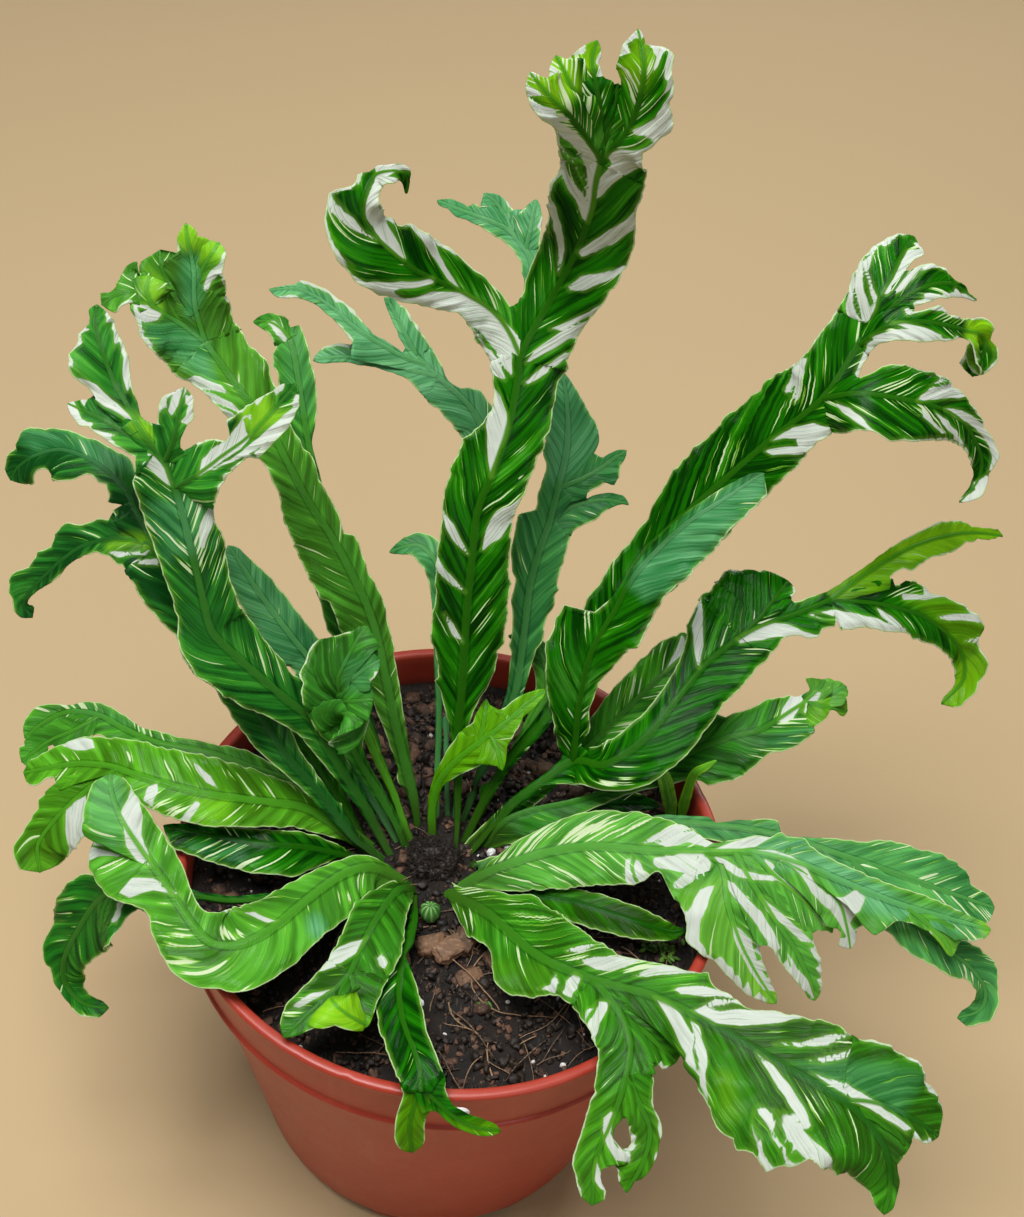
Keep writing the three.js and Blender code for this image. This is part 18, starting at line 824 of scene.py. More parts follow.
def limb_rings(name, k, st, looks, patches, seed, ribs):
    """Rings of points round one limb, with their attributes."""
    streaks, pale_and_sheen, lime, dark, ruffle, rib0, rib1 = looks
    veins, bend = VEINS.get(name, (1.38, 0.012))
    parent, at_parent, goes_on = FORKS[name][k]
    st = np.array(st, float)
    d = np.linalg.norm(np.diff(st[:, :3], axis=0), axis=1)
    s_st = np.concatenate([[0], np.cumsum(d)])
    length = s_st[-1]
    step = 1.0 if length > 60 else 0.8
    n = max(8, int(round(length / step)) + 1)
    s = np.linspace(0, length, n)
    t_row = np.interp(s, s_st, np.arange(len(st)))
    m = rows(st, t_row)
    for col in range(6, 12):
        m[:, col] = np.interp(t_row, np.arange(len(st)), st[:, col])
    m[:, 6:8] = np.maximum(m[:, 6:8], 0.25)
    m[:, 8:10] = np.clip(m[:, 8:10], 0, 9)
    if k == 0:                                        # a stalk goes on down into the soil
        t0 = unit(m[0, :3] - m[1, :3])
        ext = np.array([4.0, 2.6, 1.3])
        low = np.repeat(m[:1], 3, 0)
        low[:, :3] += t0 * ext[:, None]
        m = np.concatenate([low, m])
        s = np.concatenate([-ext, s])
    c, w = m[:, :3], unit(m[:, 3:6])
    t = unit(np.gradient(c, axis=0))
    w = unit(w - (w * t).sum(1, keepdims=True) * t)
    nn = np.cross(w, t)
    frac = np.clip(s / length, 0, 1)
    if k == 0:
        rib = 1.08 * (rib0 + (rib1 - rib0) * frac ** 0.8)
    else:
        start = 0.92 * float(np.interp(at_parent, ribs[parent][0], ribs[parent][1]))
        rib = start + (min(0.6 * start, 0.55 * rib1) - start) * frac ** 0.7
    if not goes_on:
        rib = np.where(frac > 0.85, rib * (1 - 0.6 * (frac - 0.85) / 0.15), rib)
    ribs.append((s, rib))
    u = COLS[None, :] * np.ones((len(s), 1))
    wid = np.where(u < 0, m[:, 6:7], m[:, 7:8])
    shared = np.where(u < 0, m[:, 8:9], m[:, 9:10])
    rise = np.where(u < 0, m[:, 10:11], m[:, 11:12])
    side = np.where(u < 0, -1.0, 1.0)
    flat = lambda a: a.reshape(-1)
    ss = s[:, None] * np.ones_like(u)
    loose = (shared < 0.05)
    joined = smooth(0.0, 1.0, shared)
    # small irregularities of the free margin
    wav = noise(np.stack([flat(ss) / 4.2, flat(side) * 3.1, np.full(u.size, seed * 1.7)], 1)).reshape(u.shape)
    wav2 = noise(np.stack([flat(ss) / 1.9, flat(side) * 5.1, np.full(u.size, seed * 2.3 + 9)], 1)).reshape(u.shape)
    wid = wid * (1 + (1 - joined) * smooth(2.5, 7.0, wid) * (0.07 * wav + 0.045 * wav2))
    # where two limbs meet the blade runs on a little under its neighbour
    wide = wid + np.minimum(shared, 1.6)
    x = u * wide
    ax = np.abs(x)
    past = np.maximum(ax - wid, 0)
    p0 = c[:, None, :] + w[:, None, :] * x[..., None]
    pf = p0.reshape(-1, 3)
    q = ss - veins * ax - bend * ax ** 2
    big = noise(pf / 21.0, 1).reshape(u.shape)
    mid = noise(pf / 9.0, 2).reshape(u.shape)
    fine = noise(np.stack([flat(q) / 3.4, flat(x) / 26.0, np.full(u.size, seed * 3.3)], 1)).reshape(u.shape)
    amp = np.minimum(ax / 12.0, 1.25) ** 1.8
    lift = CUP * ax - CUP_FLAT * ax ** 2
    ruf = ruffle * amp * (3.4 * big + 2.0 * mid)
    ridge = 0.34 * np.sin(2 * math.pi * (q / 5.6 + 0.5 * noise(np.stack([flat(q) / 9, flat(side), np.full(u.size, seed * 3.7)], 1)).reshape(u.shape))) + 0.75 * fine
    ridge = ridge * smooth(1.0, 4.5, ax) * (1 - joined * smooth(0.55, 0.95, ax / np.maximum(wid, 0.1)))
    roll = -0.9 * smooth(0.80, 1.0, np.abs(u)) * smooth(4, 10, wid) * loose
    base = lift + ruf + ridge + roll + rise * np.clip(ax / np.maximum(wid, 0.1), 0, 1) ** 1.6 - 0.30 * past
    e = np.exp(-(x / (0.50 * rib[:, None])) ** 2)
    half = BLADE_HALF * (1 - 0.35 * smooth(0.8, 1.0, np.abs(u)))
    top = base + half + 0.27 * rib[:, None] * e
    bot = base - half - 0.45 * rib[:, None] * e
    edge = np.where(loose, wid - ax, wid - ax + shared + 0.8)
    edge = edge + 2.5 * smooth(3.4, 2.2, wid)
    # a white margin with green fingers on the crested tips
    rim = WHITE_EDGE.get(name, 0.0) * (smooth(0.10, 0.55, frac) if k else smooth(0.80, 1.0, frac) * 0.6)[:, None]
    if length > 60:
        rim = rim * 0.3
    rim = rim * np.clip(0.75 + 2.2 * fine + 0.8 * wav, 0.0, 2.2) - edge - 9 * (shared > 0.05)
    # attributes
    sx = np.stack([flat(ss), flat(x)], 1)
    sec = np.full(u.size, -9.0)
    cut = np.full(u.size, -9.0)
    amt = np.full(u.size, float(streaks))
    lim = np.full(u.size, float(lime))
    # pale amount: pale tint of the leaf and painted sheen
    pale_sheen_amt = np.full(u.size, float(pale_and_sheen))
    dk = np.full(u.size, float(dark))
    for pk, kind, val, q2 in patches:
        if pk != k:
            continue
        sd = inside(sx, q2)
        if kind == "w" and sd.max() < 0.55 + THINNER.get(name, 0.0):            # too thin for a sector: a few dashes
            amt = amt + (max(0.72, streaks) - amt) * smooth(-2.2, 0.2, sd)
        elif kind == "w":
            sec = np.maximum(sec, sd + 0.18 - THINNER.get(name, 0.0))
        elif kind == "g" and sd.max() < 0.55:
            continue
        elif kind == "g":
            cut = np.maximum(cut, sd)
        elif kind == "s":
            amt = amt + (val - amt) * smooth(-3, 1.5, sd)
        elif kind == "l":
            lim = np.maximum(lim, lim + (val - lim) * smooth(-3.5, 1.5, sd))
        elif kind == "p":
            pale_sheen_amt = np.maximum(pale_sheen_amt, pale_sheen_amt + (val - pale_sheen_amt) * smooth(-3, 2.5, sd))
        elif kind == "d":
            dk = dk + (val - dk) * smooth(-2, 1, sd)
    sec = np.maximum(sec, np.where(flat(rim) > -3, flat(rim) * 0.8, -9))
    sec = np.clip(np.minimum(sec, -cut), -4, 4)
    tipw = 1 - frac[:, None] * np.ones_like(u)
    fq = np.stack([flat(q) + seed * 41.3, flat(x), np.clip(flat(edge), 0, 12)], 1)
    fw = np.stack([sec, amt, lim], 1)
    rr = (0.40 * rib[:, None] + 0.25) * np.ones_like(u)
    fp = np.stack([pale_sheen_amt, dk, flat(frac[:, None] * np.ones_like(u)) if k == 0 else np.ones(u.size)], 1)
    fr = np.stack([flat(ax / rr), flat(tipw), np.full(u.size, seed % 7 * 0.37)], 1)
    shp = u.shape
    pt = p0 + nn[:, None, :] * top[..., None]
    pb = p0 + nn[:, None, :] * bot[..., None]
    mido = 0.5 * (top + bot)
    out_w = np.where(loose, 0.16, 0.02)
    pe = p0 + nn[:, None, :] * mido[..., None] + w[:, None, :] * (np.sign(u) * out_w)[..., None]
    at = [a.reshape(shp + (3,)) for a in (fq, fw, fp, fr)]

    def ring(a_top, a_edge, a_bot):
        return np.concatenate([a_edge[:, :1], a_top, a_edge[:, -1:], a_bot[:, ::-1]], 1)

    pts = ring(pt, pe, pb)
    attrs = [ring(a, a, a) for a in at]
    nt = shp[1]
    under = np.zeros(pts.shape[:2])
    under[:, nt + 2:] = 1
    under[:, 0] = under[:, nt + 1] = 0.5
    attrs[3][..., 1] = under
    xs = ring(x[..., None], x[..., None] + (np.sign(u) * 0.2)[..., None], x[..., None])[..., 0]
    return pts, attrs, s, xs, nt


def build_leaf(name, idx):
    looks = LOOKS[name]
    ribs = []
    pts_all, faces, at_all, strips = [], [], [[], [], [], []], []
    off = 0
    for k, st in enumerate(LEAVES[name]):
        pts, attrs, s, xs, nt = limb_rings(name, k, st, looks, PATCHES.get(name, []), idx * 1.0 + k * 0.21, ribs)
        n, r = pts.shape[:2]
        pts_all.append(pts.reshape(-1, 3))
        for j in range(4):
            at_all[j].append(attrs[j].reshape(-1, 3))
        i = np.arange(n - 1)[:, None] * r
        j = np.arange(r)[None, :]
        jn = (j + 1) % r
        quad = np.stack([i + j, i + jn, i + r + jn, i + r + j], -1)      # outward seen from the top side
        top = (np.arange(r) <= nt)
        wmax_t = float(np.abs(xs[:, :nt + 2]).max())
        strips.append((k, off, n, r, nt, s, xs, quad))
        # end caps: a centre point at each end
        for end, row in ((0, 0), (1, n - 1)):
            cpt = pts[row].mean(0)
            tdir = unit(pts[row].mean(0) - pts[row - 1 if end else row + 1].mean(0))
            pts_all.append((cpt + tdir * (0.35 if end else 0.05))[None])
            for jj in range(4):
                at_all[jj].append(attrs[jj][row].mean(0)[None])
        off += n * r + 2
    verts = np.concatenate(pts_all)
    attrs = [np.concatenate(a) for a in at_all]
    # faces and a strip layout of the surface for the baked textures
    pieces = []          # (height, length, list of (faces, uv))
    total = 0.0
    for k, o, n, r, nt, s, xs, quad in strips:
        total += float(np.ptp(s)) * 2 * float(np.ptp(xs)) * 1.05
    seg = max(30.0, math.sqrt(total) * 0.92)
    f_list, uv_list = [], []
    for k, o, n, r, nt, s, xs, quad in strips:
        parts = max(1, int(math.ceil(np.ptp(s) / seg)))
        cuts = np.linspace(0, n - 1, parts + 1).astype(int)
        for a, b in zip(cuts[:-1], cuts[1:]):
            for face in (0, 1):
                cols = np.arange(0, nt + 1) if face == 0 else np.arange(nt + 1, r)
                f = quad[a:b][:, cols]                                     # (rows, cols, 4)
                su = np.broadcast_to(s[:, None], xs.shape)
                si = np.stack([su[a:b][:, cols], su[a:b][:, (cols + 1) % r], su[a + 1:b + 1][:, (cols + 1) % r], su[a + 1:b + 1][:, cols]], -1)
                xi = np.stack([xs[a:b][:, cols], xs[a:b][:, (cols + 1) % r], xs[a + 1:b + 1][:, (cols + 1) % r], xs[a + 1:b + 1][:, cols]], -1)
                f = f.reshape(-1, 4) + o
                uv = np.stack([si.reshape(-1, 4), xi.reshape(-1, 4)], -1)
                uv -= uv.reshape(-1, 2).min(0)
                size = uv.reshape(-1, 2).max(0)
                if a == 0 or b == n - 1:
                    pass
                pieces.append([f, uv, size])
        # caps
        for end, row, cidx in ((0, 0, o + n * r), (1, n - 1, o + n * r + 1)):
            ring_i = o + row * r + np.arange(r)
            tri = np.stack([np.full(r, cidx), np.roll(ring_i, -1), ring_i] if end == 0 else [np.full(r, cidx), ring_i, np.roll(ring_i, -1)], 1)
            ang = np.linspace(0, 2 * math.pi, r + 1)
            cx = np.stack([np.cos(ang), np.sin(ang)], 1) * 0.8 + 0.8
            uvt = np.stack([np.tile([[0.8, 0.8]], (r, 1)), cx[:-1], cx[1:]], 1)
            pieces.append([tri, uvt, np.array([1.6, 1.6])])
    # shelf packing, widest strips first
    gap = 0.5
    pieces.sort(key=lambda p: (-p[2][1], -p[2][0]))
    side = max(max(p[2][0] for p in pieces) + 2 * gap, math.sqrt(sum((p[2][0] + gap) * (p[2][1] + gap) for p in pieces)) * 1.04)
    for _ in range(40):
        x = y = gap
        h = 0
        ok = True
        place = []
        for f, uv, size in pieces:
            if x + size[0] + gap > side:
                x = gap
                y += h + gap
                h = 0
            if y + size[1] + gap > side:
                ok = False
                break
            place.append((x, y))
            x += size[0] + gap
            h = max(h, size[1])
        if ok:
            break
        side *= 1.03
    quads = [p for p in zip(pieces, place)]
    f4 = [p[0] for p, _ in quads if p[0].shape[1] == 4]
    u4 = [p[1] + np.array(pl) for p, pl in quads if p[0].shape[1] == 4]
    f3 = [p[0] for p, _ in quads if p[0].shape[1] == 3]
    u3 = [p[1] + np.array(pl) for p, pl in quads if p[0].shape[1] == 3]
    f4, u4, f3, u3 = np.concatenate(f4), np.concatenate(u4), np.concatenate(f3), np.concatenate(u3)
    loops = np.concatenate([f4.ravel(), f3.ravel()])
    sizes = np.concatenate([np.full(len(f4), 4), np.full(len(f3), 3)])
    uv = np.concatenate([u4.reshape(-1, 2), u3.reshape(-1, 2)]) / side
    me = bpy.data.meshes.new(name + "_blade")
    me.vertices.add(len(verts))
    me.vertices.foreach_set("co", (verts * MM).astype(np.float32).ravel())
    me.loops.add(len(loops))
    me.loops.foreach_set("vertex_index", loops.astype(np.int32))
    me.polygons.add(len(sizes))
    me.polygons.foreach_set("loop_start", np.concatenate([[0], np.cumsum(sizes)[:-1]]).astype(np.int32))
    me.polygons.foreach_set("loop_total", sizes.astype(np.int32))
    me.update(calc_edges=True)
    me.polygons.foreach_set("use_smooth", np.ones(len(sizes), bool))
    layer = me.uv_layers.new(name="OFBake")
    layer.data.foreach_set("uv", uv.astype(np.float32).ravel())
    for key, v in zip(("leaf_q", "leaf_w", "leaf_p", "leaf_r"), attrs):
        a = me.attributes.new(key, "FLOAT_VECTOR", "POINT")
        a.data.foreach_set("vector", v.astype(np.float32).ravel())
    me.validate()
    me.update()
    ob = bpy.data.objects.new(name + "_blade", me)
    bpy.context.scene.collection.objects.link(ob)
    return ob


# ---------------------------------------------------------------- node helpers
class Nodes:
    def __init__(self, name):
        self.mat = bpy.data.materials.new(name)
        self.mat.use_nodes = True
        self.nt = self.mat.node_tree
        self.nt.nodes.clear()
        self.out = self.nt.nodes.new("ShaderNodeOutputMaterial")
        self.bsdf = self.nt.nodes.new("ShaderNodeBsdfPrincipled")
        self.link(self.bsdf.outputs[0], self.out.inputs[0])

    def link(self, a, b):
        self.nt.links.new(a, b)

    def put(self, sock, v):
        if isinstance(v, bpy.types.NodeSocket):
            self.link(v, sock)
        elif isinstance(v, (tuple, list)) and len(v) == 3 and sock.type == "RGBA":
            sock.default_value = (*v, 1)
        else:
            sock.default_value = v

    def m(self, op, a, b=None, c=None, clamp=False):
        n = self.nt.nodes.new("ShaderNodeMath")
        n.operation = op
        n.use_clamp = clamp
        for i, v in enumerate((a, b, c)):
            if v is not None:
                self.put(n.inputs[i], v)
        return n.outputs[0]

    def attr(self, name):
        n = self.nt.nodes.new("ShaderNodeAttribute")
        n.attribute_name = name
        s = self.nt.nodes.new("ShaderNodeSeparateXYZ")
        self.link(n.outputs["Vector"], s.inputs[0])
        return s.outputs[0], s.outputs[1], s.outputs[2]

    def xyz(self, x, y, z):
        n = self.nt.nodes.new("ShaderNodeCombineXYZ")
        for i, v in enumerate((x, y, z)):
            self.put(n.inputs[i], v)
        return n.outputs[0]

    def noise(self, vec, scale=1.0, detail=2.0, rough=0.5, distort=0.0):
        n = self.nt.nodes.new("ShaderNodeTexNoise")
        n.inputs["Scale"].default_value = scale
        n.inputs["Detail"].default_value = detail
        n.inputs["Roughness"].default_value = rough
        n.inputs["Distortion"].default_value = distort
        self.link(vec, n.inputs["Vector"])
        return n.outputs["Fac"]

    def step(self, v, a, b, lo=0.0, hi=1.0):
        n = self.nt.nodes.new("ShaderNodeMapRange")
        n.interpolation_type = "SMOOTHSTEP"
        self.put(n.inputs["Value"], v)
        self.put(n.inputs["From Min"], a)
        self.put(n.inputs["From Max"], b)
        self.put(n.inputs["To Min"], lo)
        self.put(n.inputs["To Max"], hi)
        return n.outputs[0]

    def mix(self, f, a, b, kind="MIX"):
        n = self.nt.nodes.new("ShaderNodeMix")
        n.data_type = "RGBA"
        n.blend_type = kind
        self.put(n.inputs["Factor"], f)
        self.put(n.inputs[6], a)
        self.put(n.inputs[7], b)
        return n.outputs[2]

    def pos(self):
        return self.nt.nodes.new("ShaderNodeNewGeometry").outputs["Position"]

    def scaled(self, vec, k):
        n = self.nt.nodes.new("ShaderNodeVectorMath")
        n.operation = "MULTIPLY"
        self.link(vec, n.inputs[0])
        n.inputs[1].default_value = k if isinstance(k, (tuple, list)) else (k, k, k)
        return n.outputs[0]

    def bump(self, h, dist, strength=1.0):
        n = self.nt.nodes.new("ShaderNodeBump")
        n.inputs["Strength"].default_value = strength
        n.inputs["Distance"].default_value = dist
        self.link(h, n.inputs["Height"])
        self.link(n.outputs[0], self.bsdf.inputs["Normal"])

    def set(self, **kw):
        for k, v in kw.items():
            self.put(self.bsdf.inputs[k.replace("_", " ")], v)


# ---------------------------------------------------------------- materials
def leaf_material(name):
    g = Nodes(name)
    q, x, edge = g.attr("leaf_q")
    sec, amt, lime = g.attr("leaf_w")
    pale_and_sheen, dark, frac = g.attr("leaf_p")
    rib, under, rnd = g.attr("leaf_r")

    def along(fq, fx, off, detail, rough):
        return g.noise(g.xyz(g.m("MULTIPLY", q, fq), g.m("MULTIPLY", x, fx), g.m("ADD", rnd, off)), 1, detail, rough)

    n1 = along(0.80, 0.075, 0.0, 1.0, 0.35)           # thin dashes
    n4 = along(0.36, 0.055, 3.7, 1.0, 0.4)            # broad dashes
    n2 = along(0.27, 0.045, 5.3, 2.0, 0.5)            # light and dark bands
    n3 = along(2.0, 0.09, 9.1, 2.0, 0.55)             # fine vein lines
    cl = along(0.060, 0.10, 2.7, 1.0, 0.5)            # where the dashes gather
    big = g.noise(g.pos(), 38.0, 2.0, 0.5)
    off_rib = g.step(rib, 0.9, 1.7)
    ax = g.m("ABSOLUTE", x)
    low = g.m("SUBTRACT", g.m("MULTIPLY_ADD", amt, -0.23, 0.800), g.m("MULTIPLY", g.m("SUBTRACT", cl, 0.5), 0.48))
    dash = g.step(n1, low, g.m("ADD", low, 0.030))
    wide = g.m("ADD", low, 0.060)
    dash = g.m("MAXIMUM", dash, g.step(n4, wide, g.m("ADD", wide, 0.022)))
    dash = g.m("MULTIPLY", dash, off_rib)
    halo = g.m("MULTIPLY", g.step(n1, g.m("SUBTRACT", low, 0.055), low), off_rib)
    # white sectors with a few green lines left inside
    s = g.m("ADD", sec, g.m("ADD", g.m("MULTIPLY", g.m("SUBTRACT", n1, 0.5), 0.36), g.m("MULTIPLY", g.m("SUBTRACT", n3, 0.5), 0.12)))
    line = g.m("MULTIPLY", g.step(n3, 0.58, 0.70), 0.62)
    sect = g.m("MULTIPLY", g.step(s, -0.18, 0.20), g.m("SUBTRACT", 1.0, line))
    sect = g.m("MULTIPLY", sect, g.step(rib, 0.35, 1.15))
    near = g.m("MULTIPLY", g.step(s, -1.3, -0.1), 0.35)
    # pale line along the margin
    mw = g.m("MULTIPLY_ADD", g.noise(g.xyz(g.m("MULTIPLY", q, 0.22), rnd, 0.0), 1, 2.0), 0.46, -0.06)
    marg = g.m("SUBTRACT", 1.0, g.step(edge, mw, g.m("ADD", mw, 0.16)))
    # greens: deep, middle and bright
    level = g.m("ADD", g.m("MULTIPLY_ADD", n2, 1.80, -0.90), g.m("MULTIPLY_ADD", big, 0.9, -0.45))
    level = g.m("ADD", level, g.m("MULTIPLY_ADD", dark, -0.62, 0.62))
    level = g.m("ADD", level, g.m("MULTIPLY", g.m("SUBTRACT", n3, 0.5), 0.42), clamp=True)
    deep, middle, bright = (0.0012, 0.034, 0.0003), (0.0090, 0.140, 0.0008), (0.0560, 0.370, 0.0040)
    col = g.mix(g.step(level, 0.05, 0.50), deep, middle)
    col = g.mix(g.step(level, 0.45, 1.0), col, bright)
    col = g.mix(lime, col, g.mix(n2, (0.110, 0.430, 0.003), (0.340, 0.660, 0.010)))
    # pale mint tint: partly the leaves' own colour and partly painted sheen of light reflected at a grazing angle, on
    # the back fronds and the p patches
    col = g.mix(pale_and_sheen, col, g.mix(level, (0.026, 0.205, 0.050), (0.165, 0.470, 0.215)))
    col = g.mix(g.m("MULTIPLY", g.m("MULTIPLY", pale_and_sheen, g.step(n1, 0.50, 0.64)), 0.55), col, (0.010, 0.120, 0.026))
    # painted sheen: broad pale green patches that stand in for gloss highlights on the blades
    painted_sheen = g.step(g.m("ADD", g.m("MULTIPLY", n2, 0.65), g.m("MULTIPLY", big, 0.75)), 0.80, 1.05)
    col = g.mix(g.m("MULTIPLY", painted_sheen, 0.34), col, (0.150, 0.430, 0.090))
    ribc = g.mix(g.m("ADD", g.m("MULTIPLY", lime, 0.6), g.m("MULTIPLY_ADD", dark, -0.80, 0.52), clamp=True), (0.0060, 0.075, 0.0012), (0.100, 0.390, 0.012))
    ribc = g.mix(g.m("MULTIPLY", pale_and_sheen, 0.6), ribc, (0.120, 0.380, 0.180))
    col = g.mix(g.m("SUBTRACT", 1.0, g.step(rib, 0.62, 1.10)), col, ribc)
    # painted shade: a dark line along each side of the midrib where it rises from the blade
    col = g.mix(g.m("MULTIPLY", g.m("SUBTRACT", 1.0, g.step(g.m("ABSOLUTE", g.m("SUBTRACT", rib, 1.22)), 0.10, 0.34)), 0.40), col, deep)
    col = g.mix(g.m("MULTIPLY", under, 0.40), col, (0.055, 0.215, 0.040))
    base = g.m("SUBTRACT", 1.0, g.step(frac, 0.02, 0.15))
    col = g.mix(g.m("MULTIPLY", base, 0.50), col, (0.030, 0.048, 0.006))
    col = g.mix(g.m("MULTIPLY", g.m("MAXIMUM", halo, near), 0.65), col, (0.230, 0.560, 0.040))
    col = g.mix(dash, col, g.mix(n2, (0.490, 0.640, 0.300), (0.650, 0.730, 0.520)))
    col = g.mix(sect, col, g.mix(n2, (0.470, 0.540, 0.455), (0.650, 0.690, 0.625)))
    col = g.mix(g.m("MULTIPLY", marg, 0.72), col, g.mix(g.step(edge, -0.2, 0.35), (0.640, 0.760, 0.480), (0.330, 0.600, 0.100)))
    white = g.m("MAXIMUM", dash, sect)
    rough = g.m("ADD", g.m("MULTIPLY_ADD", big, 0.16, 0.08), g.m("MULTIPLY", n3, 0.08))
    rough = g.m("ADD", rough, g.m("ADD", g.m("MULTIPLY", under, 0.22), g.m("MULTIPLY", white, 0.10)))
    g.set(Base_Color=col, Roughness=rough, IOR=1.40)
    g.bsdf.inputs["Specular IOR Level"].default_value = 0.12
    wave = g.m("SINE", g.m("MULTIPLY", g.m("ADD", q, g.m("MULTIPLY", n2, 3.0)), 2.6))
    h = g.m("ADD", g.m("MULTIPLY", g.m("MULTIPLY", wave, g.step(rib, 1.0, 3.0)), 0.045), g.m("MULTIPLY", n3, 0.22))
    h = g.m("ADD", h, g.m("MULTIPLY", g.noise(g.pos(), 900.0, 2.0), 0.05))
    g.bump(h, 0.001, 0.8)
    return g.mat


def pot_material():
    g = Nodes("pot_plastic")
    p = g.pos()
    n = g.noise(p, 22.0, 4.0, 0.6)
    f = g.noise(g.scaled(p, (140.0, 140.0, 16.0)), 1.0, 3.0, 0.6)
    sp = g.noise(p, 900.0, 2.0, 0.6)
    dust = g.noise(p, 60.0, 5.0, 0.7)
    col = g.mix(n, (0.340, 0.032, 0.017), (0.470, 0.053, 0.028))
    col = g.mix(g.m("MULTIPLY", g.step(f, 0.56, 0.74), 0.22), col, (0.520, 0.130, 0.080))
    col = g.mix(g.m("MULTIPLY", g.step(dust, 0.55, 0.75), 0.16), col, (0.400, 0.170, 0.110))
    _, _, z = g.attr("pot_pos")
    inner, _, _ = g.attr("pot_in")
    # darker on the inside wall from the soil up to a few millimetres above it
    inner_wall_dark = g.m("MULTIPLY", g.m("SUBTRACT", 1.0, g.step(g.m("ADD", z, g.m("MULTIPLY", n, 6.0)), 131.0, 139.0)), inner)
    col = g.mix(g.m("MULTIPLY", inner_wall_dark, 0.8), col, (0.050, 0.022, 0.015))
    low = g.m("SUBTRACT", 1.0, g.step(g.m("ADD", z, g.m("MULTIPLY", dust, 14.0)), 2.0, 16.0))
    col = g.mix(g.m("MULTIPLY", low, 0.25), col, (0.300, 0.160, 0.100))
    rough = g.m("ADD", g.m("MULTIPLY_ADD", dust, 0.20, 0.24), g.m("MULTIPLY", sp, 0.06))
    g.set(Base_Color=col, Roughness=rough, IOR=1.48)
    h = g.m("ADD", g.m("MULTIPLY", g.noise(p, 420.0, 3.0), 0.05), g.m("MULTIPLY", f, 0.05))
    g.bump(h, 0.001, 0.6)
    return g.mat


def soil_material(name, deep, light, fleck=(0.30, 0.20, 0.12), amount=0.5, chip=0.0):
    g = Nodes(name)
    p = g.pos()
    a = g.noise(p, 120.0, 5.0, 0.65)
    b = g.noise(p, 460.0, 4.0, 0.7)
    c = g.noise(g.scaled(p, (900.0, 220.0, 500.0)), 1.0, 2.0, 0.6)
    col = g.mix(g.step(a, 0.35, 0.68), deep, light)
    col = g.mix(g.m("MULTIPLY", g.step(b, 0.62, 0.78), amount), col, fleck)
    col = g.mix(g.m("MULTIPLY", g.step(c, 0.60, 0.75), amount * 0.6), col, fleck)
    col = g.mix(g.m("MULTIPLY", g.step(b, 0.45, 0.30), 0.6), col, (0.004, 0.003, 0.002))
    g.set(Base_Color=col, Roughness=g.m("MULTIPLY_ADD", a, 0.25, 0.66), IOR=1.4)
    h = g.m("ADD", g.m("MULTIPLY", a, 0.8), g.m("MULTIPLY", b, 0.45))
    g.bump(h, 0.001, 0.9)
    return g.mat


def grain_material(name, dark, light, lines, rough=0.7, along=(1, 1, 1), spec=1.45, var="grain"):
    """Wood, bark and root pieces: colour per piece and streaks of fine fibres."""
    g = Nodes(name)
    r, t, _ = g.attr(var)
    p = g.pos()
    a = g.noise(p, 260.0, 4.0, 0.65)
    b = g.noise(g.scaled(p, tuple(900.0 * k for k in along)), 1.0, 3.0, 0.6)
    col = g.mix(g.m("ADD", g.m("MULTIPLY", r, 0.8), g.m("MULTIPLY_ADD", a, 0.9, -0.35), clamp=True), dark, light)
    col = g.mix(g.m("MULTIPLY", g.step(b, 0.52, 0.68), 0.5), col, lines)
    g.set(Base_Color=col, Roughness=g.m("MULTIPLY_ADD", a, 0.2, rough - 0.1), IOR=spec)
    g.bump(g.m("ADD", g.m("MULTIPLY", a, 0.35), g.m("MULTIPLY", b, 0.2)), 0.001, 0.8)
    return g.mat


def bud_material():
    g = Nodes("bud_green")
    a, z, _ = g.attr("bud")
    p = g.pos()
    n = g.noise(p, 300.0, 3.0, 0.55)
    st = g.m("SINE", g.m("MULTIPLY_ADD", a, 14.0, g.m("MULTIPLY", n, 2.2)))
    col = g.mix(g.step(st, -0.6, 0.9), (0.035, 0.140, 0.020), (0.150, 0.360, 0.080))
    col = g.mix(g.m("MULTIPLY", g.step(st, 0.86, 1.0), 0.6), col, (0.42, 0.60, 0.30))
    col = g.mix(g.m("MULTIPLY", g.m("SUBTRACT", 1.0, g.step(z, -0.9, -0.2)), 0.7), col, (0.060, 0.060, 0.020))
    g.set(Base_Color=col, Roughness=g.m("MULTIPLY_ADD", n, 0.15, 0.25), IOR=1.46)
    g.bump(g.m("ADD", g.m("MULTIPLY", st, 0.10), g.m("MULTIPLY", n, 0.2)), 0.001, 0.8)
    return g.mat


def floor_material():
    g = Nodes("paper_floor")
    n = g.noise(g.pos(), 2.2, 3.0, 0.5)
    f = g.noise(g.pos(), 700.0, 2.0, 0.5)
    col = g.mix(n, FLOOR_A, FLOOR_B)
    g.set(Base_Color=col, Roughness=g.m("MULTIPLY_ADD", f, 0.05, 0.85), IOR=1.3)
    g.bump(g.m("MULTIPLY", f, 0.05), 0.001, 0.3)
    return g.mat


FLOOR_A, FLOOR_B = (0.500, 0.368, 0.208), (0.525, 0.388, 0.220)

# ---------------------------------------------------------------- leaves
leaf_mat = leaf_material("fern_blade")
for idx, leaf_name in enumerate(LEAVES):
    ob = build_leaf(leaf_name, idx)
    ob.data.materials.append(leaf_mat)
    keep(ob, "leaf_green", leaf_name)

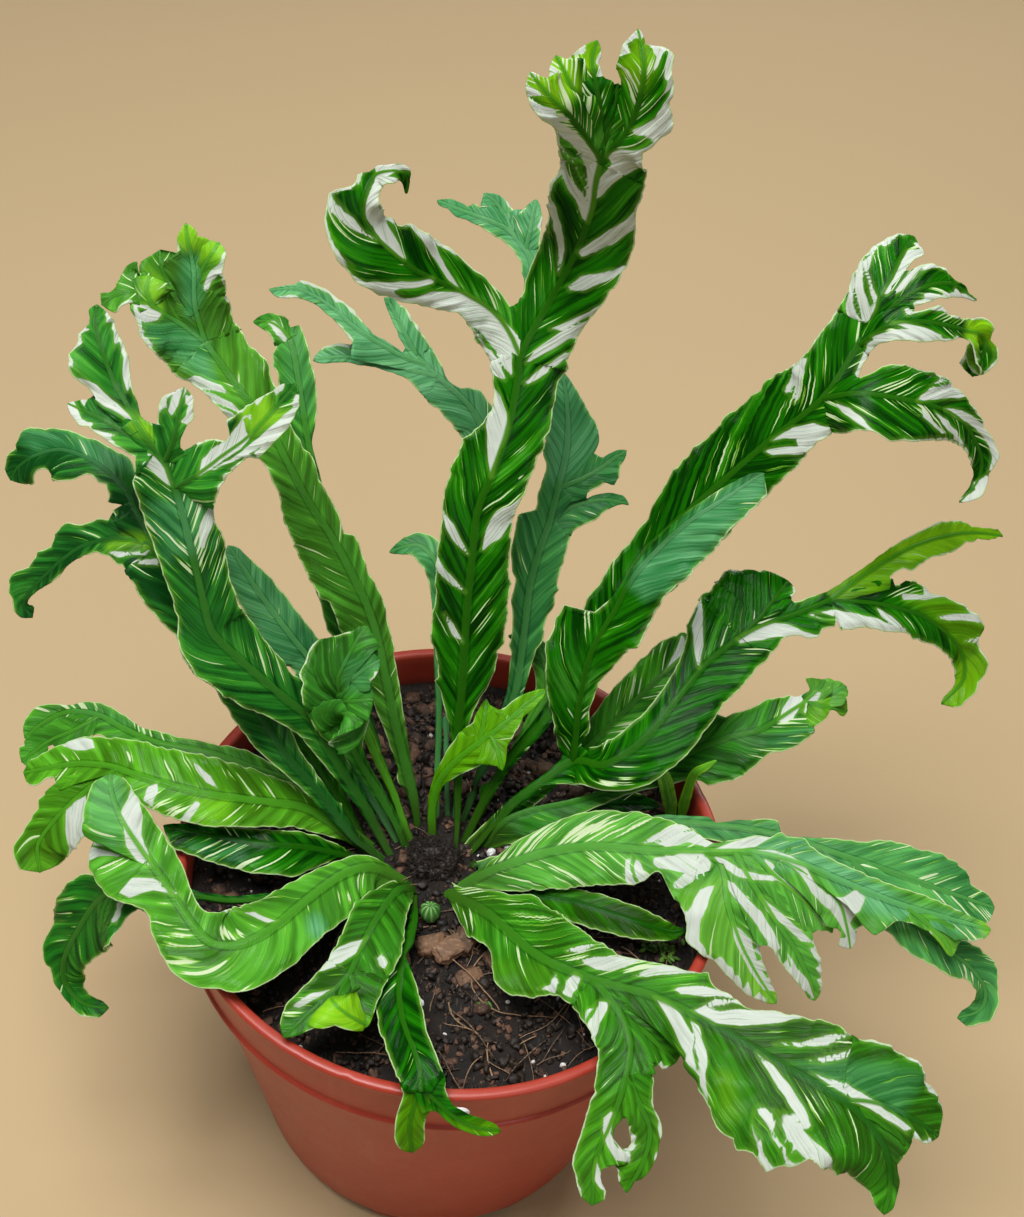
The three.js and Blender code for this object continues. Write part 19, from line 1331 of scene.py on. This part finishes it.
# ---------------------------------------------------------------- pot
POT = [(0, 0), (40, 0), (62.6, 0), (63.5, 0.2), (64.2, 0.8), (64.5, 1.6), (64.9, 4), (65.2, 6.4), (65.6, 7.3), (66.4, 8.3), (67.0, 9.2), (67.3, 11)]
POT += [(67.3 + (84.9 - 67.3) * i / 22, 11 + (120 - 11) * i / 22) for i in range(1, 22)]
POT += [(84.85, 119.6), (84.95, 120.5), (85.3, 121.0), (86.4, 121.1), (87.5, 121.1), (88.05, 121.4), (88.25, 121.9), (88.15, 122.5), (87.7, 123.0), (87.3, 123.3), (87.25, 124.2), (87.4, 128), (87.8, 134), (88.1, 139.6), (88.25, 141.2), (88.7, 141.9), (89.4, 142.2),
        (89.85, 142.6), (90.0, 143.1), (90.0, 143.9), (89.8, 144.5), (89.3, 144.9), (88.6, 145.0), (87.6, 145.0), (86.9, 144.8), (86.4, 144.3), (86.1, 143.4), (85.9, 140), (85.5, 132), (85.1, 124), (84.6, 120)]
POT += [(84.6 - (84.6 - 64.9) * i / 8, 120 - (120 - 10) * i / 8) for i in range(1, 9)]
POT += [(64.2, 7), (61.5, 5), (30, 5), (0, 5)]


def lathe(profile, seg, wobble=None):
    pr = np.array(profile, float)
    body = pr[1:-1]
    a = np.arange(seg) / seg * 2 * math.pi
    ring = np.stack([body[:, None, 0] * np.cos(a), body[:, None, 0] * np.sin(a), np.repeat(body[:, None, 1], seg, 1)], -1)
    if wobble is not None:
        ring = wobble(ring)
    n = len(body)
    v = np.concatenate([ring.reshape(-1, 3), [[0, 0, pr[0, 1]], [0, 0, pr[-1, 1]]]])
    i = np.arange(n - 1)[:, None] * seg
    j = np.arange(seg)[None]
    jn = (j + 1) % seg
    q = np.stack([i + j, i + jn, i + seg + jn, i + seg + j], -1).reshape(-1, 4)
    f = list(map(tuple, q.tolist()))
    f += [(n * seg, (k + 1) % seg, k) for k in range(seg)]
    f += [(n * seg + 1, (n - 1) * seg + k, (n - 1) * seg + (k + 1) % seg) for k in range(seg)]
    return v, f


def pot_wobble(r):
    a = np.arctan2(r[..., 1], r[..., 0])
    z = r[..., 2]
    rad = np.hypot(r[..., 0], r[..., 1])
    k = smooth(8, 110, z)
    d = 0.25 * k * np.cos(2 * a + 0.6) + 0.12 * k * np.cos(5 * a)
    # small knocks on the lip
    lip = smooth(141.5, 144.0, z)
    for at, w, dep in ((-1.86, 0.010, 0.5), (-2.05, 0.008, 0.4), (0.35, 0.012, 0.4), (1.9, 0.010, 0.4), (-0.55, 0.008, 0.35)):
        d = d - dep * lip * np.exp(-((a - at) / w) ** 2) * (rad > 88)
    out = r.copy()
    out[..., 0] *= (rad + d) / np.maximum(rad, 1e-6)
    out[..., 1] *= (rad + d) / np.maximum(rad, 1e-6)
    return out


v, f = lathe(POT, 240, pot_wobble)
pot = add_mesh("pot_body", v, f)
cut_v, cut_f = [], []
for i in range(8):
    a = (i + 0.5) / 8 * 2 * math.pi
    ca, sa = math.cos(a), math.sin(a)
    b = len(cut_v)
    for rr in (55.5, 70.5):
        for tt in (-6.5, 6.5):
            for zz in (-1.0, 4.2):
                cut_v.append((ca * rr - sa * tt, sa * rr + ca * tt, zz))
    cut_f += [tuple(b + k for k in q) for q in ((0, 1, 3, 2), (4, 6, 7, 5), (0, 4, 5, 1), (2, 3, 7, 6), (0, 2, 6, 4), (1, 5, 7, 3))]
cutter = add_mesh("drain_cutter", cut_v, cut_f, smooth_shade=False)
mod = pot.modifiers.new("drains", "BOOLEAN")
mod.operation = "DIFFERENCE"
mod.solver = "EXACT"
mod.object = cutter
bpy.context.view_layer.update()
dg = bpy.context.evaluated_depsgraph_get()
cutmesh = bpy.data.meshes.new_from_object(pot.evaluated_get(dg))
pot.modifiers.clear()
pot.data = cutmesh
cutmesh.name = "pot_body"
bpy.data.objects.remove(cutter)
co = np.zeros(len(cutmesh.vertices) * 3, np.float32)
cutmesh.vertices.foreach_get("co", co)
co = co.reshape(-1, 3) / MM
rad = np.hypot(co[:, 0], co[:, 1])
wall = np.interp(co[:, 2], [0, 9, 121, 122, 145], [62, 65.6, 84.6, 86.0, 86.4])
inn = ((rad < wall) & (co[:, 2] > 4.9)).astype(np.float32)
for key, val in (("pot_pos", co), ("pot_in", np.stack([inn, inn, inn], 1))):
    at = cutmesh.attributes.new(key, "FLOAT_VECTOR", "POINT")
    at.data.foreach_set("vector", val.astype(np.float32).ravel())
cutmesh.polygons.foreach_set("use_smooth", np.ones(len(cutmesh.polygons), bool))
bm_angle = math.radians(38)
cutmesh.update()
pot.data.materials.clear()
pot.data.materials.append(pot_material())
keep(pot, "pot_plastic", "pot")
for e in [pot]:
    bpy.context.view_layer.objects.active = e
    e.select_set(True)
    try:
        bpy.ops.object.shade_smooth_by_angle(angle=bm_angle)
    except Exception:
        pass
    e.select_set(False)
for m_ in list(pot.modifiers):
    pot.modifiers.remove(m_)


# ---------------------------------------------------------------- soil
def soil_height(x, y):
    x, y = np.asarray(x, float), np.asarray(y, float)
    r = np.hypot(x, y)
    z = np.interp(r, [0, 22, 40, 58, 76, 86], [131.9, 131.9, 131.7, 131.4, 131.1, 130.5])
    p = np.stack([x.ravel(), y.ravel(), np.zeros(x.size)], 1)
    n = 1.7 * noise(p / 17, 3) + 1.5 * noise(p / 7.5, 4) + 1.1 * np.abs(noise(p / 3.6, 5)) + 0.55 * noise(p / 1.7, 6) + 0.3 * noise(p / 0.9, 7)
    n = n.reshape(x.shape)
    return z + np.clip(n, -2.2, 2.4) * smooth(86.5, 83, r)


rings, seg = 120, 400
rr = np.linspace(0.5, 85.6, rings)
aa = np.arange(seg) / seg * 2 * math.pi
X, Y = rr[:, None] * np.cos(aa), rr[:, None] * np.sin(aa)
Z = soil_height(X, Y)
top = np.stack([X, Y, Z], -1).reshape(-1, 3)
lowr = []
for zz in (126.0, 118.0, 60.0, 6.2):
    r0 = np.interp(zz, [6, 10, 120, 131], [62.4, 64.5, 84.2, 85.0]) - 0.4
    lowr.append(np.stack([r0 * np.cos(aa), r0 * np.sin(aa), np.full(seg, zz)], -1))
v = np.concatenate([top] + lowr + [[[0, 0, float(soil_height(np.array([0.0]), np.array([0.0]))[0])], [0, 0, 6.2]]])
n = rings + 4
i = np.arange(n - 1)[:, None] * seg
j = np.arange(seg)[None]
jn = (j + 1) % seg
f = list(map(tuple, np.stack([i + j, i + seg + j, i + seg + jn, i + jn], -1).reshape(-1, 4).tolist()))
f += [(n * seg, k, (k + 1) % seg) for k in range(seg)]
f += [(n * seg + 1, (n - 1) * seg + (k + 1) % seg, (n - 1) * seg + k) for k in range(seg)]
soil = add_mesh("peat_bed", v, f)
soil.data.materials.append(soil_material("peat", (0.003, 0.0018, 0.0012), (0.015, 0.009, 0.006)))
keep(soil, "soil_mix", "soil")


# ---------------------------------------------------------------- loose pieces on the soil
def ico(level):
    t = (1 + 5 ** 0.5) / 2
    v = [(-1, t, 0), (1, t, 0), (-1, -t, 0), (1, -t, 0), (0, -1, t), (0, 1, t), (0, -1, -t), (0, 1, -t), (t, 0, -1), (t, 0, 1), (-t, 0, -1), (-t, 0, 1)]
    f = [(0, 11, 5), (0, 5, 1), (0, 1, 7), (0, 7, 10), (0, 10, 11), (1, 5, 9), (5, 11, 4), (11, 10, 2), (10, 7, 6), (7, 1, 8),
         (3, 9, 4), (3, 4, 2), (3, 2, 6), (3, 6, 8), (3, 8, 9), (4, 9, 5), (2, 4, 11), (6, 2, 10), (8, 6, 7), (9, 8, 1)]
    v = [tuple(unit(np.array(p, float))) for p in v]
    for _ in range(level):
        new, mids = [], {}
        def mid(a, b):
            key = (min(a, b), max(a, b))
            if key not in mids:
                v.append(tuple(unit(np.array(v[a]) + np.array(v[b]))))
                mids[key] = len(v) - 1
            return mids[key]
        for a, b, c in f:
            ab, bc, ca = mid(a, b), mid(b, c), mid(c, a)
            new += [(a, ab, ca), (b, bc, ab), (c, ca, bc), (ab, bc, ca)]
        f = new
    return np.array(v), np.array(f)


def turn(rg, tilt):
    """A random turn about z, then a small tilt."""
    a, b, c = rg.uniform(0, 2 * math.pi), rg.normal(0, tilt), rg.normal(0, tilt)
    rz = np.array([[math.cos(a), -math.sin(a), 0], [math.sin(a), math.cos(a), 0], [0, 0, 1]])
    rx = np.array([[1, 0, 0], [0, math.cos(b), -math.sin(b)], [0, math.sin(b), math.cos(b)]])
    ry = np.array([[math.cos(c), 0, math.sin(c)], [0, 1, 0], [-math.sin(c), 0, math.cos(c)]])
    return rz @ rx @ ry


STEMS = np.array([st[0][0][:2] for st in LEAVES.values()])


def gather(name, items, slot, mat, smooth_shade):
    vs, fs, at, o = [], [], [], 0
    for v, f, a in items:
        vs.append(v)
        fs.append(f + o)
        at.append(np.broadcast_to(np.array(a, float), (len(v), 3)) if np.ndim(a) == 1 else a)
        o += len(v)
    ob = add_mesh(name, np.concatenate(vs), np.concatenate(fs), smooth_shade, attrs={"grain": np.concatenate(at)})
    ob.data.materials.append(mat)
    return keep(ob, slot)


def chips(rg, count, sizes, flat, where, jag, level=1, box=0.45):
    base, faces = ico(level)
    out = []
    while len(out) < count:
        x, y = where(rg)
        if math.hypot(x, y) > 83:
            continue
        s = rg.uniform(*sizes) * rg.choice([0.7, 1.0, 1.0, 1.35])
        if (np.hypot(STEMS[:, 0] - x, STEMS[:, 1] - y) < s * 0.6 + 1.0).any() or math.hypot(x, y) > 84 - s:
            continue
        p = np.sign(base) * np.abs(base) ** (1 - box)
        p = p * (1 + jag * noise(base * 1.6 + rg.uniform(0, 90, 3))[:, None] * 1.6)
        p = p * np.array([s, s * rg.uniform(0.45, 0.85), s * flat * rg.uniform(0.7, 1.4)]) * 0.5
        p = p @ turn(rg, 0.28).T
        z = float(soil_height(np.array([x]), np.array([y]))[0])
        p = p + np.array([x, y, z + s * flat * rg.uniform(-0.05, 0.28)])
        out.append((p, faces, (rg.uniform(0, 1), rg.uniform(0, 1), 0)))
    return out


def disc(rg):
    r, a = 84 * math.sqrt(rg.uniform(0, 1)), rg.uniform(0, 2 * math.pi)
    return r * math.cos(a), r * math.sin(a)


def back(rg):
    while True:
        x, y = disc(rg)
        if y > rg.normal(2, 16):
            return x, y


def front(rg):
    while True:
        x, y = disc(rg)
        if y < rg.normal(-6, 14):
            return x, y


rg = np.random.default_rng(21)
bark = chips(rg, 520, (2.4, 6.0), 0.42, back, 0.38) + chips(rg, 170, (2.0, 5.2), 0.30, front, 0.42) + chips(rg, 900, (0.8, 2.4), 0.45, disc, 0.42)
gather("bark_chips", bark, "bark", grain_material("bark_chip", (0.008, 0.004, 0.003), (0.135, 0.064, 0.036), (0.280, 0.170, 0.110)), False)
crumbs = chips(rg, 2600, (0.7, 3.0), 0.8, disc, 0.50)
gather("peat_crumbs", crumbs, "soil_mix", grain_material("peat_crumb", (0.003, 0.002, 0.0014), (0.024, 0.014, 0.008), (0.070, 0.042, 0.026), 0.60), True)
perl = chips(rg, 85, (0.8, 2.1), 0.85, disc, 0.16, level=1, box=0.15)
gather("perlite", perl, "pebble", grain_material("perlite_white", (0.52, 0.50, 0.45), (0.86, 0.85, 0.82), (0.70, 0.66, 0.58), 0.8), True)


def tube(path, radii, sides=6):
    path = np.asarray(path, float)
    t = unit(np.gradient(path, axis=0))
    up = np.array([0, 0, 1.0])
    a = unit(np.cross(t, up) + 1e-6)
    b = np.cross(a, t)
    ang = np.arange(sides) / sides * 2 * math.pi
    ring = path[:, None] + (a[:, None] * np.cos(ang)[None, :, None] + b[:, None] * np.sin(ang)[None, :, None]) * np.asarray(radii)[:, None, None]
    n = len(path)
    v = np.concatenate([ring.reshape(-1, 3), path[:1] - t[:1] * radii[0], path[-1:] + t[-1:] * radii[-1]])
    i = np.arange(n - 1)[:, None] * sides
    j = np.arange(sides)[None]
    jn = (j + 1) % sides
    q = np.stack([i + j, i + jn, i + sides + jn, i + sides + j], -1).reshape(-1, 4)
    f = np.concatenate([q[:, [0, 2, 1]], q[:, [0, 3, 2]],
                        np.stack([np.full(sides, n * sides), np.arange(sides), (np.arange(sides) + 1) % sides], 1),
                        np.stack([np.full(sides, n * sides + 1), (n - 1) * sides + (np.arange(sides) + 1) % sides, (n - 1) * sides + np.arange(sides)], 1)])
    return v, f


def fibres(rg, count, length, radius, where, lift, curl):
    out = []
    while len(out) < count:
        x, y = where(rg)
        ln = rg.uniform(*length)
        n = max(8, int(ln / 1.4))
        a = rg.uniform(0, 2 * math.pi)
        pts = []
        da = rg.normal(0, curl)
        for k in range(n):
            pts.append((x, y))
            da = 0.75 * da + rg.normal(0, curl) * 0.5
            a += da
            x += math.cos(a) * ln / n
            y += math.sin(a) * ln / n
        pts = np.array(pts)
        if np.hypot(pts[:, 0], pts[:, 1]).max() > 82.5:
            continue
        r = rg.uniform(*radius)
        z = soil_height(pts[:, 0], pts[:, 1])
        z = np.maximum(z, np.convolve(np.pad(z, 3, mode="edge"), np.ones(7) / 7, "valid"))
        hump = np.sin(np.linspace(0, math.pi, n)) * rg.uniform(0, lift)
        path = np.c_[pts, z + r * 0.6 + hump + 0.25]
        rad_ = r * (1 - 0.5 * np.linspace(0, 1, n)) * (1 + 0.2 * noise(np.c_[np.linspace(0, 9, n), np.full(n, r * 99), np.zeros(n)]))
        v, f = tube(path, rad_)
        out.append((v, f, (rg.uniform(0, 1), rg.uniform(0, 1), 0)))
    return out


def front_right(rg):
    while True:
        x, y = front(rg)
        if x > rg.normal(2, 16) and y < -18:
            return x, y


roots = fibres(rg, 34, (12, 40), (0.14, 0.34), front_right, 2.4, 0.10) + fibres(rg, 34, (8, 30), (0.12, 0.30), front, 1.6, 0.10) + fibres(rg, 34, (8, 22), (0.12, 0.30), disc, 1.4, 0.12)
gather("root_fibres", roots, "bark", grain_material("root_fibre", (0.050, 0.026, 0.014), (0.360, 0.220, 0.120), (0.480, 0.330, 0.200), 0.65), True)

# bigger bark pieces in front of the crown, each with a pale broken face
big = []
for x, y, s, fl, az in ((-4.5, -31.5, 9.5, 0.55, 0.3), (6.5, -28.5, 10.5, 0.42, 1.2), (15.5, -35.0, 7.0, 0.5, 2.2), (8.5, -41.0, 8.0, 0.3, 0.4), (22.0, -30.0, 7.5, 0.4, 2.8),
                        (-13.0, -36.5, 6.5, 0.5, 1.9), (30.0, 44.0, 8.0, 0.5, 0.2), (2.0, 52.0, 9.0, 0.55, 1.1), (-30.0, 50.0, 8.0, 0.5, 2.0), (20.0, 62.0, 7.5, 0.6, 0.7)):
    base, faces = ico(3)
    p = np.sign(base) * np.abs(base) ** 0.55
    p = p * (1 + 0.42 * noise(base * 1.5 + s * 3.3)[:, None] + 0.18 * noise(base * 4.5 + s)[:, None])
    p = p * np.array([s, s * 0.68, s * fl]) * 0.5
    c_, s_ = math.cos(az), math.sin(az)
    p = p @ np.array([[c_, s_, 0], [-s_, c_, 0], [0, 0, 1]])
    z = float(soil_height(np.array([x]), np.array([y]))[0])
    g_ = np.tile([0.25 + 0.05 * s % 0.5, 0.3, 0.0], (len(p), 1))
    g_[:, 0] += 0.5 * smooth(0.1, 0.9, base @ unit(np.array([0.5, -0.6, 0.5])))
    big.append((p + np.array([x, y, z + s * fl * 0.22]), faces, g_))
gather("bark_pieces", big, "bark", grain_material("bark_piece", (0.014, 0.007, 0.005), (0.190, 0.100, 0.052), (0.300, 0.180, 0.105)), True)


def lump(node, name, centre, radii, rough, level, turn_z, mat, slot, box=0.25, seed=1):
    base, faces = ico(level)
    p = np.sign(base) * np.abs(base) ** (1 - box)
    p = p * (1 + rough * noise(base * 1.9 + seed * 7.7)[:, None] + rough * 0.5 * noise(base * 5.0 + seed)[:, None])
    p = p * np.array(radii)
    c_, s_ = math.cos(turn_z), math.sin(turn_z)
    p = p @ np.array([[c_, s_, 0], [-s_, c_, 0], [0, 0, 1]]) + np.array(centre)
    ob = add_mesh(name, p, faces, True, attrs={"grain": np.tile([0.6, 0.3, 0], (len(p), 1))})
    ob.data.materials.append(mat)
    return keep(ob, slot, node)


stone = grain_material("white_stone", (0.50, 0.50, 0.48), (0.88, 0.88, 0.87), (0.66, 0.65, 0.62), 0.45)
lump("pebble_white_a", "stone_a", (19.2, 9.4, 134.0), (2.2, 2.0, 1.7), 0.22, 3, 0.3, stone, "pebble", seed=2)
lump("pebble_white_b", "stone_b", (12.9, 6.2, 133.6), (1.5, 1.3, 1.2), 0.25, 3, 0.9, stone, "pebble", seed=3)
lump("pebble_rim", "stone_rim", (8.0, -91.5, 141.2), (3.0, 1.0, 1.9), 0.12, 3, 0.0, stone, "pebble", seed=4)
lump("bark_chunk", "bark_nugget", (1.6, -33.0, 134.3), (5.4, 3.8, 2.0), 0.30, 4, 0.7,
     grain_material("bark_nugget", (0.050, 0.026, 0.015), (0.260, 0.140, 0.075), (0.400, 0.250, 0.150), along=(0.3, 1, 1)), "bark", box=0.4, seed=5)

# a tuft of moss by the rim and a small one in front
moss = []
rg = np.random.default_rng(31)
base, faces = ico(1)
for cx, cy, spread, count in ((71.0, -26.6, 3.4, 40), (13.6, -52.2, 1.2, 7)):
    while count:
        x, y = cx + rg.normal(0, spread), cy + rg.normal(0, spread * 0.7)
        if math.hypot(x, y) > 80.5:
            continue
        count -= 1
        size = rg.uniform(0.9, 1.9)
        z = float(soil_height(np.array([x]), np.array([y]))[0])
        moss.append((base * np.array([size, size * 0.5, 0.25]) @ turn(rg, 0.45).T + np.array([x, y, z + rg.uniform(0.2, 1.5)]), faces, (rg.uniform(0, 1), 0.3, 0)))
gather("moss_tuft", moss, "leaf_green", grain_material("moss_green", (0.020, 0.085, 0.006), (0.130, 0.330, 0.020), (0.220, 0.430, 0.060), 0.6), True)

# ---------------------------------------------------------------- crown: a lump of old scales and dark hairs
base, faces = ico(5)
p = base * (1 + 0.20 * noise(base * 2.6)[:, None] + 0.16 * noise(base * 7.0, 2)[:, None] + 0.07 * noise(base * 16.0, 3)[:, None])
p = p * np.array([9.2, 8.2, 6.2]) + np.array([-6.5, 1.6, 132.2])
items = [(p, faces, np.c_[0.25 + 0.3 * (base[:, 2] > 0.3), np.full(len(p), 0.2), np.zeros(len(p))])]
rg = np.random.default_rng(5)
for _ in range(420):
    a, el = rg.uniform(0, 2 * math.pi), rg.uniform(0.05, 1.35)
    d = np.array([math.cos(a) * math.cos(el), math.sin(a) * math.cos(el), math.sin(el)])
    p0 = np.array([-6.5, 1.6, 132.2]) + d * np.array([9.0, 8.0, 6.0])
    ln = rg.uniform(2.0, 5.5)
    side = unit(np.cross(d, rg.normal(size=3)))
    n = 7
    tt = np.linspace(0, 1, n)[:, None]
    path = p0 + d * ln * 0.55 * tt + side * ln * 0.75 * tt ** 1.6 + np.array([0, 0, -0.8]) * tt ** 2
    v, f = tube(path, 0.20 * (1 - 0.75 * tt[:, 0]), 5)
    items.append((v, f, (rg.uniform(0, 1), 0, 0)))
crown = gather("crown_hairs", items, "soil_mix", grain_material("crown_scale", (0.003, 0.002, 0.0015), (0.022, 0.012, 0.007), (0.050, 0.028, 0.016), 0.55), True)
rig.replaces(crown, "crown")

# ---------------------------------------------------------------- unrolling bud
nu, nv = 96, 64
th = np.arange(nu) / nu * 2 * math.pi
ph = np.linspace(0, math.pi, nv)
vv, at = [], []
for k, f_ in enumerate(ph):
    zc = math.cos(f_)
    for a in th:
        rib = 1 + 0.075 * math.cos(9 * a + 1.6 * f_) * math.sin(f_) ** 0.7 + 0.04 * math.cos(3 * a - f_)
        r = math.sin(f_) * rib
        vv.append((3.35 * r * math.cos(a) - 5.8, 3.25 * r * math.sin(a) - 21.0, 136.2 + 3.85 * zc * (1 - 0.10 * math.exp(-(r / 0.35) ** 2))))
        at.append((a * 9 / 14, zc, 0))
vv = np.array(vv)
i = np.arange(nv - 1)[:, None] * nu
j = np.arange(nu)[None]
jn = (j + 1) % nu
f = np.stack([i + j, i + nu + j, i + nu + jn, i + jn], -1).reshape(-1, 4)
bud = add_mesh("bud_curl", vv, f, True, attrs={"bud": np.array(at)})
import bmesh
bm = bmesh.new()
bm.from_mesh(bud.data)
bmesh.ops.remove_doubles(bm, verts=bm.verts, dist=1e-6)
bm.to_mesh(bud.data)
bm.free()
bud.data.materials.append(bud_material())
keep(bud, "leaf_green", "crozier_bud")

# ---------------------------------------------------------------- floor, light, camera
fl = add_mesh("floor", [(-9000, -9000, 0), (9000, -9000, 0), (9000, 9000, 0), (-9000, 9000, 0)], [(0, 1, 2, 3)], False)
fl.data.materials.append(floor_material())
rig.stage(fl)


def softbox(name, at, to, size, power, colour=(1, 1, 1)):
    data = bpy.data.lights.new(name, "AREA")
    data.shape = "RECTANGLE"
    data.size, data.size_y = size
    data.energy = power
    data.color = colour
    ob = bpy.data.objects.new(name, data)
    at, to = np.array(at, float), np.array(to, float)
    z = unit(at - to)
    x = unit(np.cross(np.array([0, 0, 1.0]), z))
    y = np.cross(z, x)
    ob.matrix_world = Matrix([[x[0], y[0], z[0], at[0]], [x[1], y[1], z[1], at[1]], [x[2], y[2], z[2], at[2]], [0, 0, 0, 1]])
    bpy.context.scene.collection.objects.link(ob)
    return ob


softbox("light_key", (-0.30, -0.06, 1.78), (0, 0, 0.1), (0.9, 0.9), 34.0, (1.0, 1.0, 0.99))
softbox("light_back", (0.6, 1.5, 1.25), (0, 0, 0.25), (0.6, 0.5), 9.0, (0.97, 0.99, 1.0))
softbox("light_front", (0.9, -1.5, 1.2), (0, 0, 0.15), (1.2, 1.0), 6.0, (1.0, 0.99, 0.97))
world = bpy.data.worlds.new("studio")
bpy.context.scene.world = world
world.use_nodes = True
bgn = world.node_tree.nodes["Background"]
bgn.inputs[0].default_value = (0.95, 0.95, 0.92, 1)
bgn.inputs[1].default_value = 0.13

PITCH, YAW, ROLL = math.radians(44.498), math.radians(-2.0958), math.radians(6.1198)
cp, sp = math.cos(PITCH), math.sin(PITCH)
fwd, up, right = np.array([0, cp, -sp]), np.array([0, sp, cp]), np.array([1.0, 0, 0])
cy, sy = math.cos(YAW), math.sin(YAW)
yaw = np.array([[cy, -sy, 0], [sy, cy, 0], [0, 0, 1]])
fwd, up, right = yaw @ fwd, yaw @ up, yaw @ right
cr, sr = math.cos(ROLL), math.sin(ROLL)
ri, ud = cr * right + sr * up, -sr * right + cr * up
cam = bpy.data.cameras.new("camera")
cam.sensor_width = 36.0
cam.lens = 1504.8 * 36.0 / 1217.0
cam.clip_end = 50
cob = bpy.data.objects.new("camera", cam)
cob.matrix_world = Matrix([[ri[0], ud[0], -fwd[0], 0.0], [ri[1], ud[1], -fwd[1], -0.2984], [ri[2], ud[2], -fwd[2], 0.5492], [0, 0, 0, 1]])
bpy.context.scene.collection.objects.link(cob)
bpy.context.scene.camera = cob
bpy.context.scene.view_settings.view_transform = "Standard"
bpy.context.scene.view_settings.look = "None"

lo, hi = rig.bounds()
with open("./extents.json", "w") as fh:
    json.dump({"cad": CAD_BOX, "visual": [list(lo), list(hi)]}, fh)
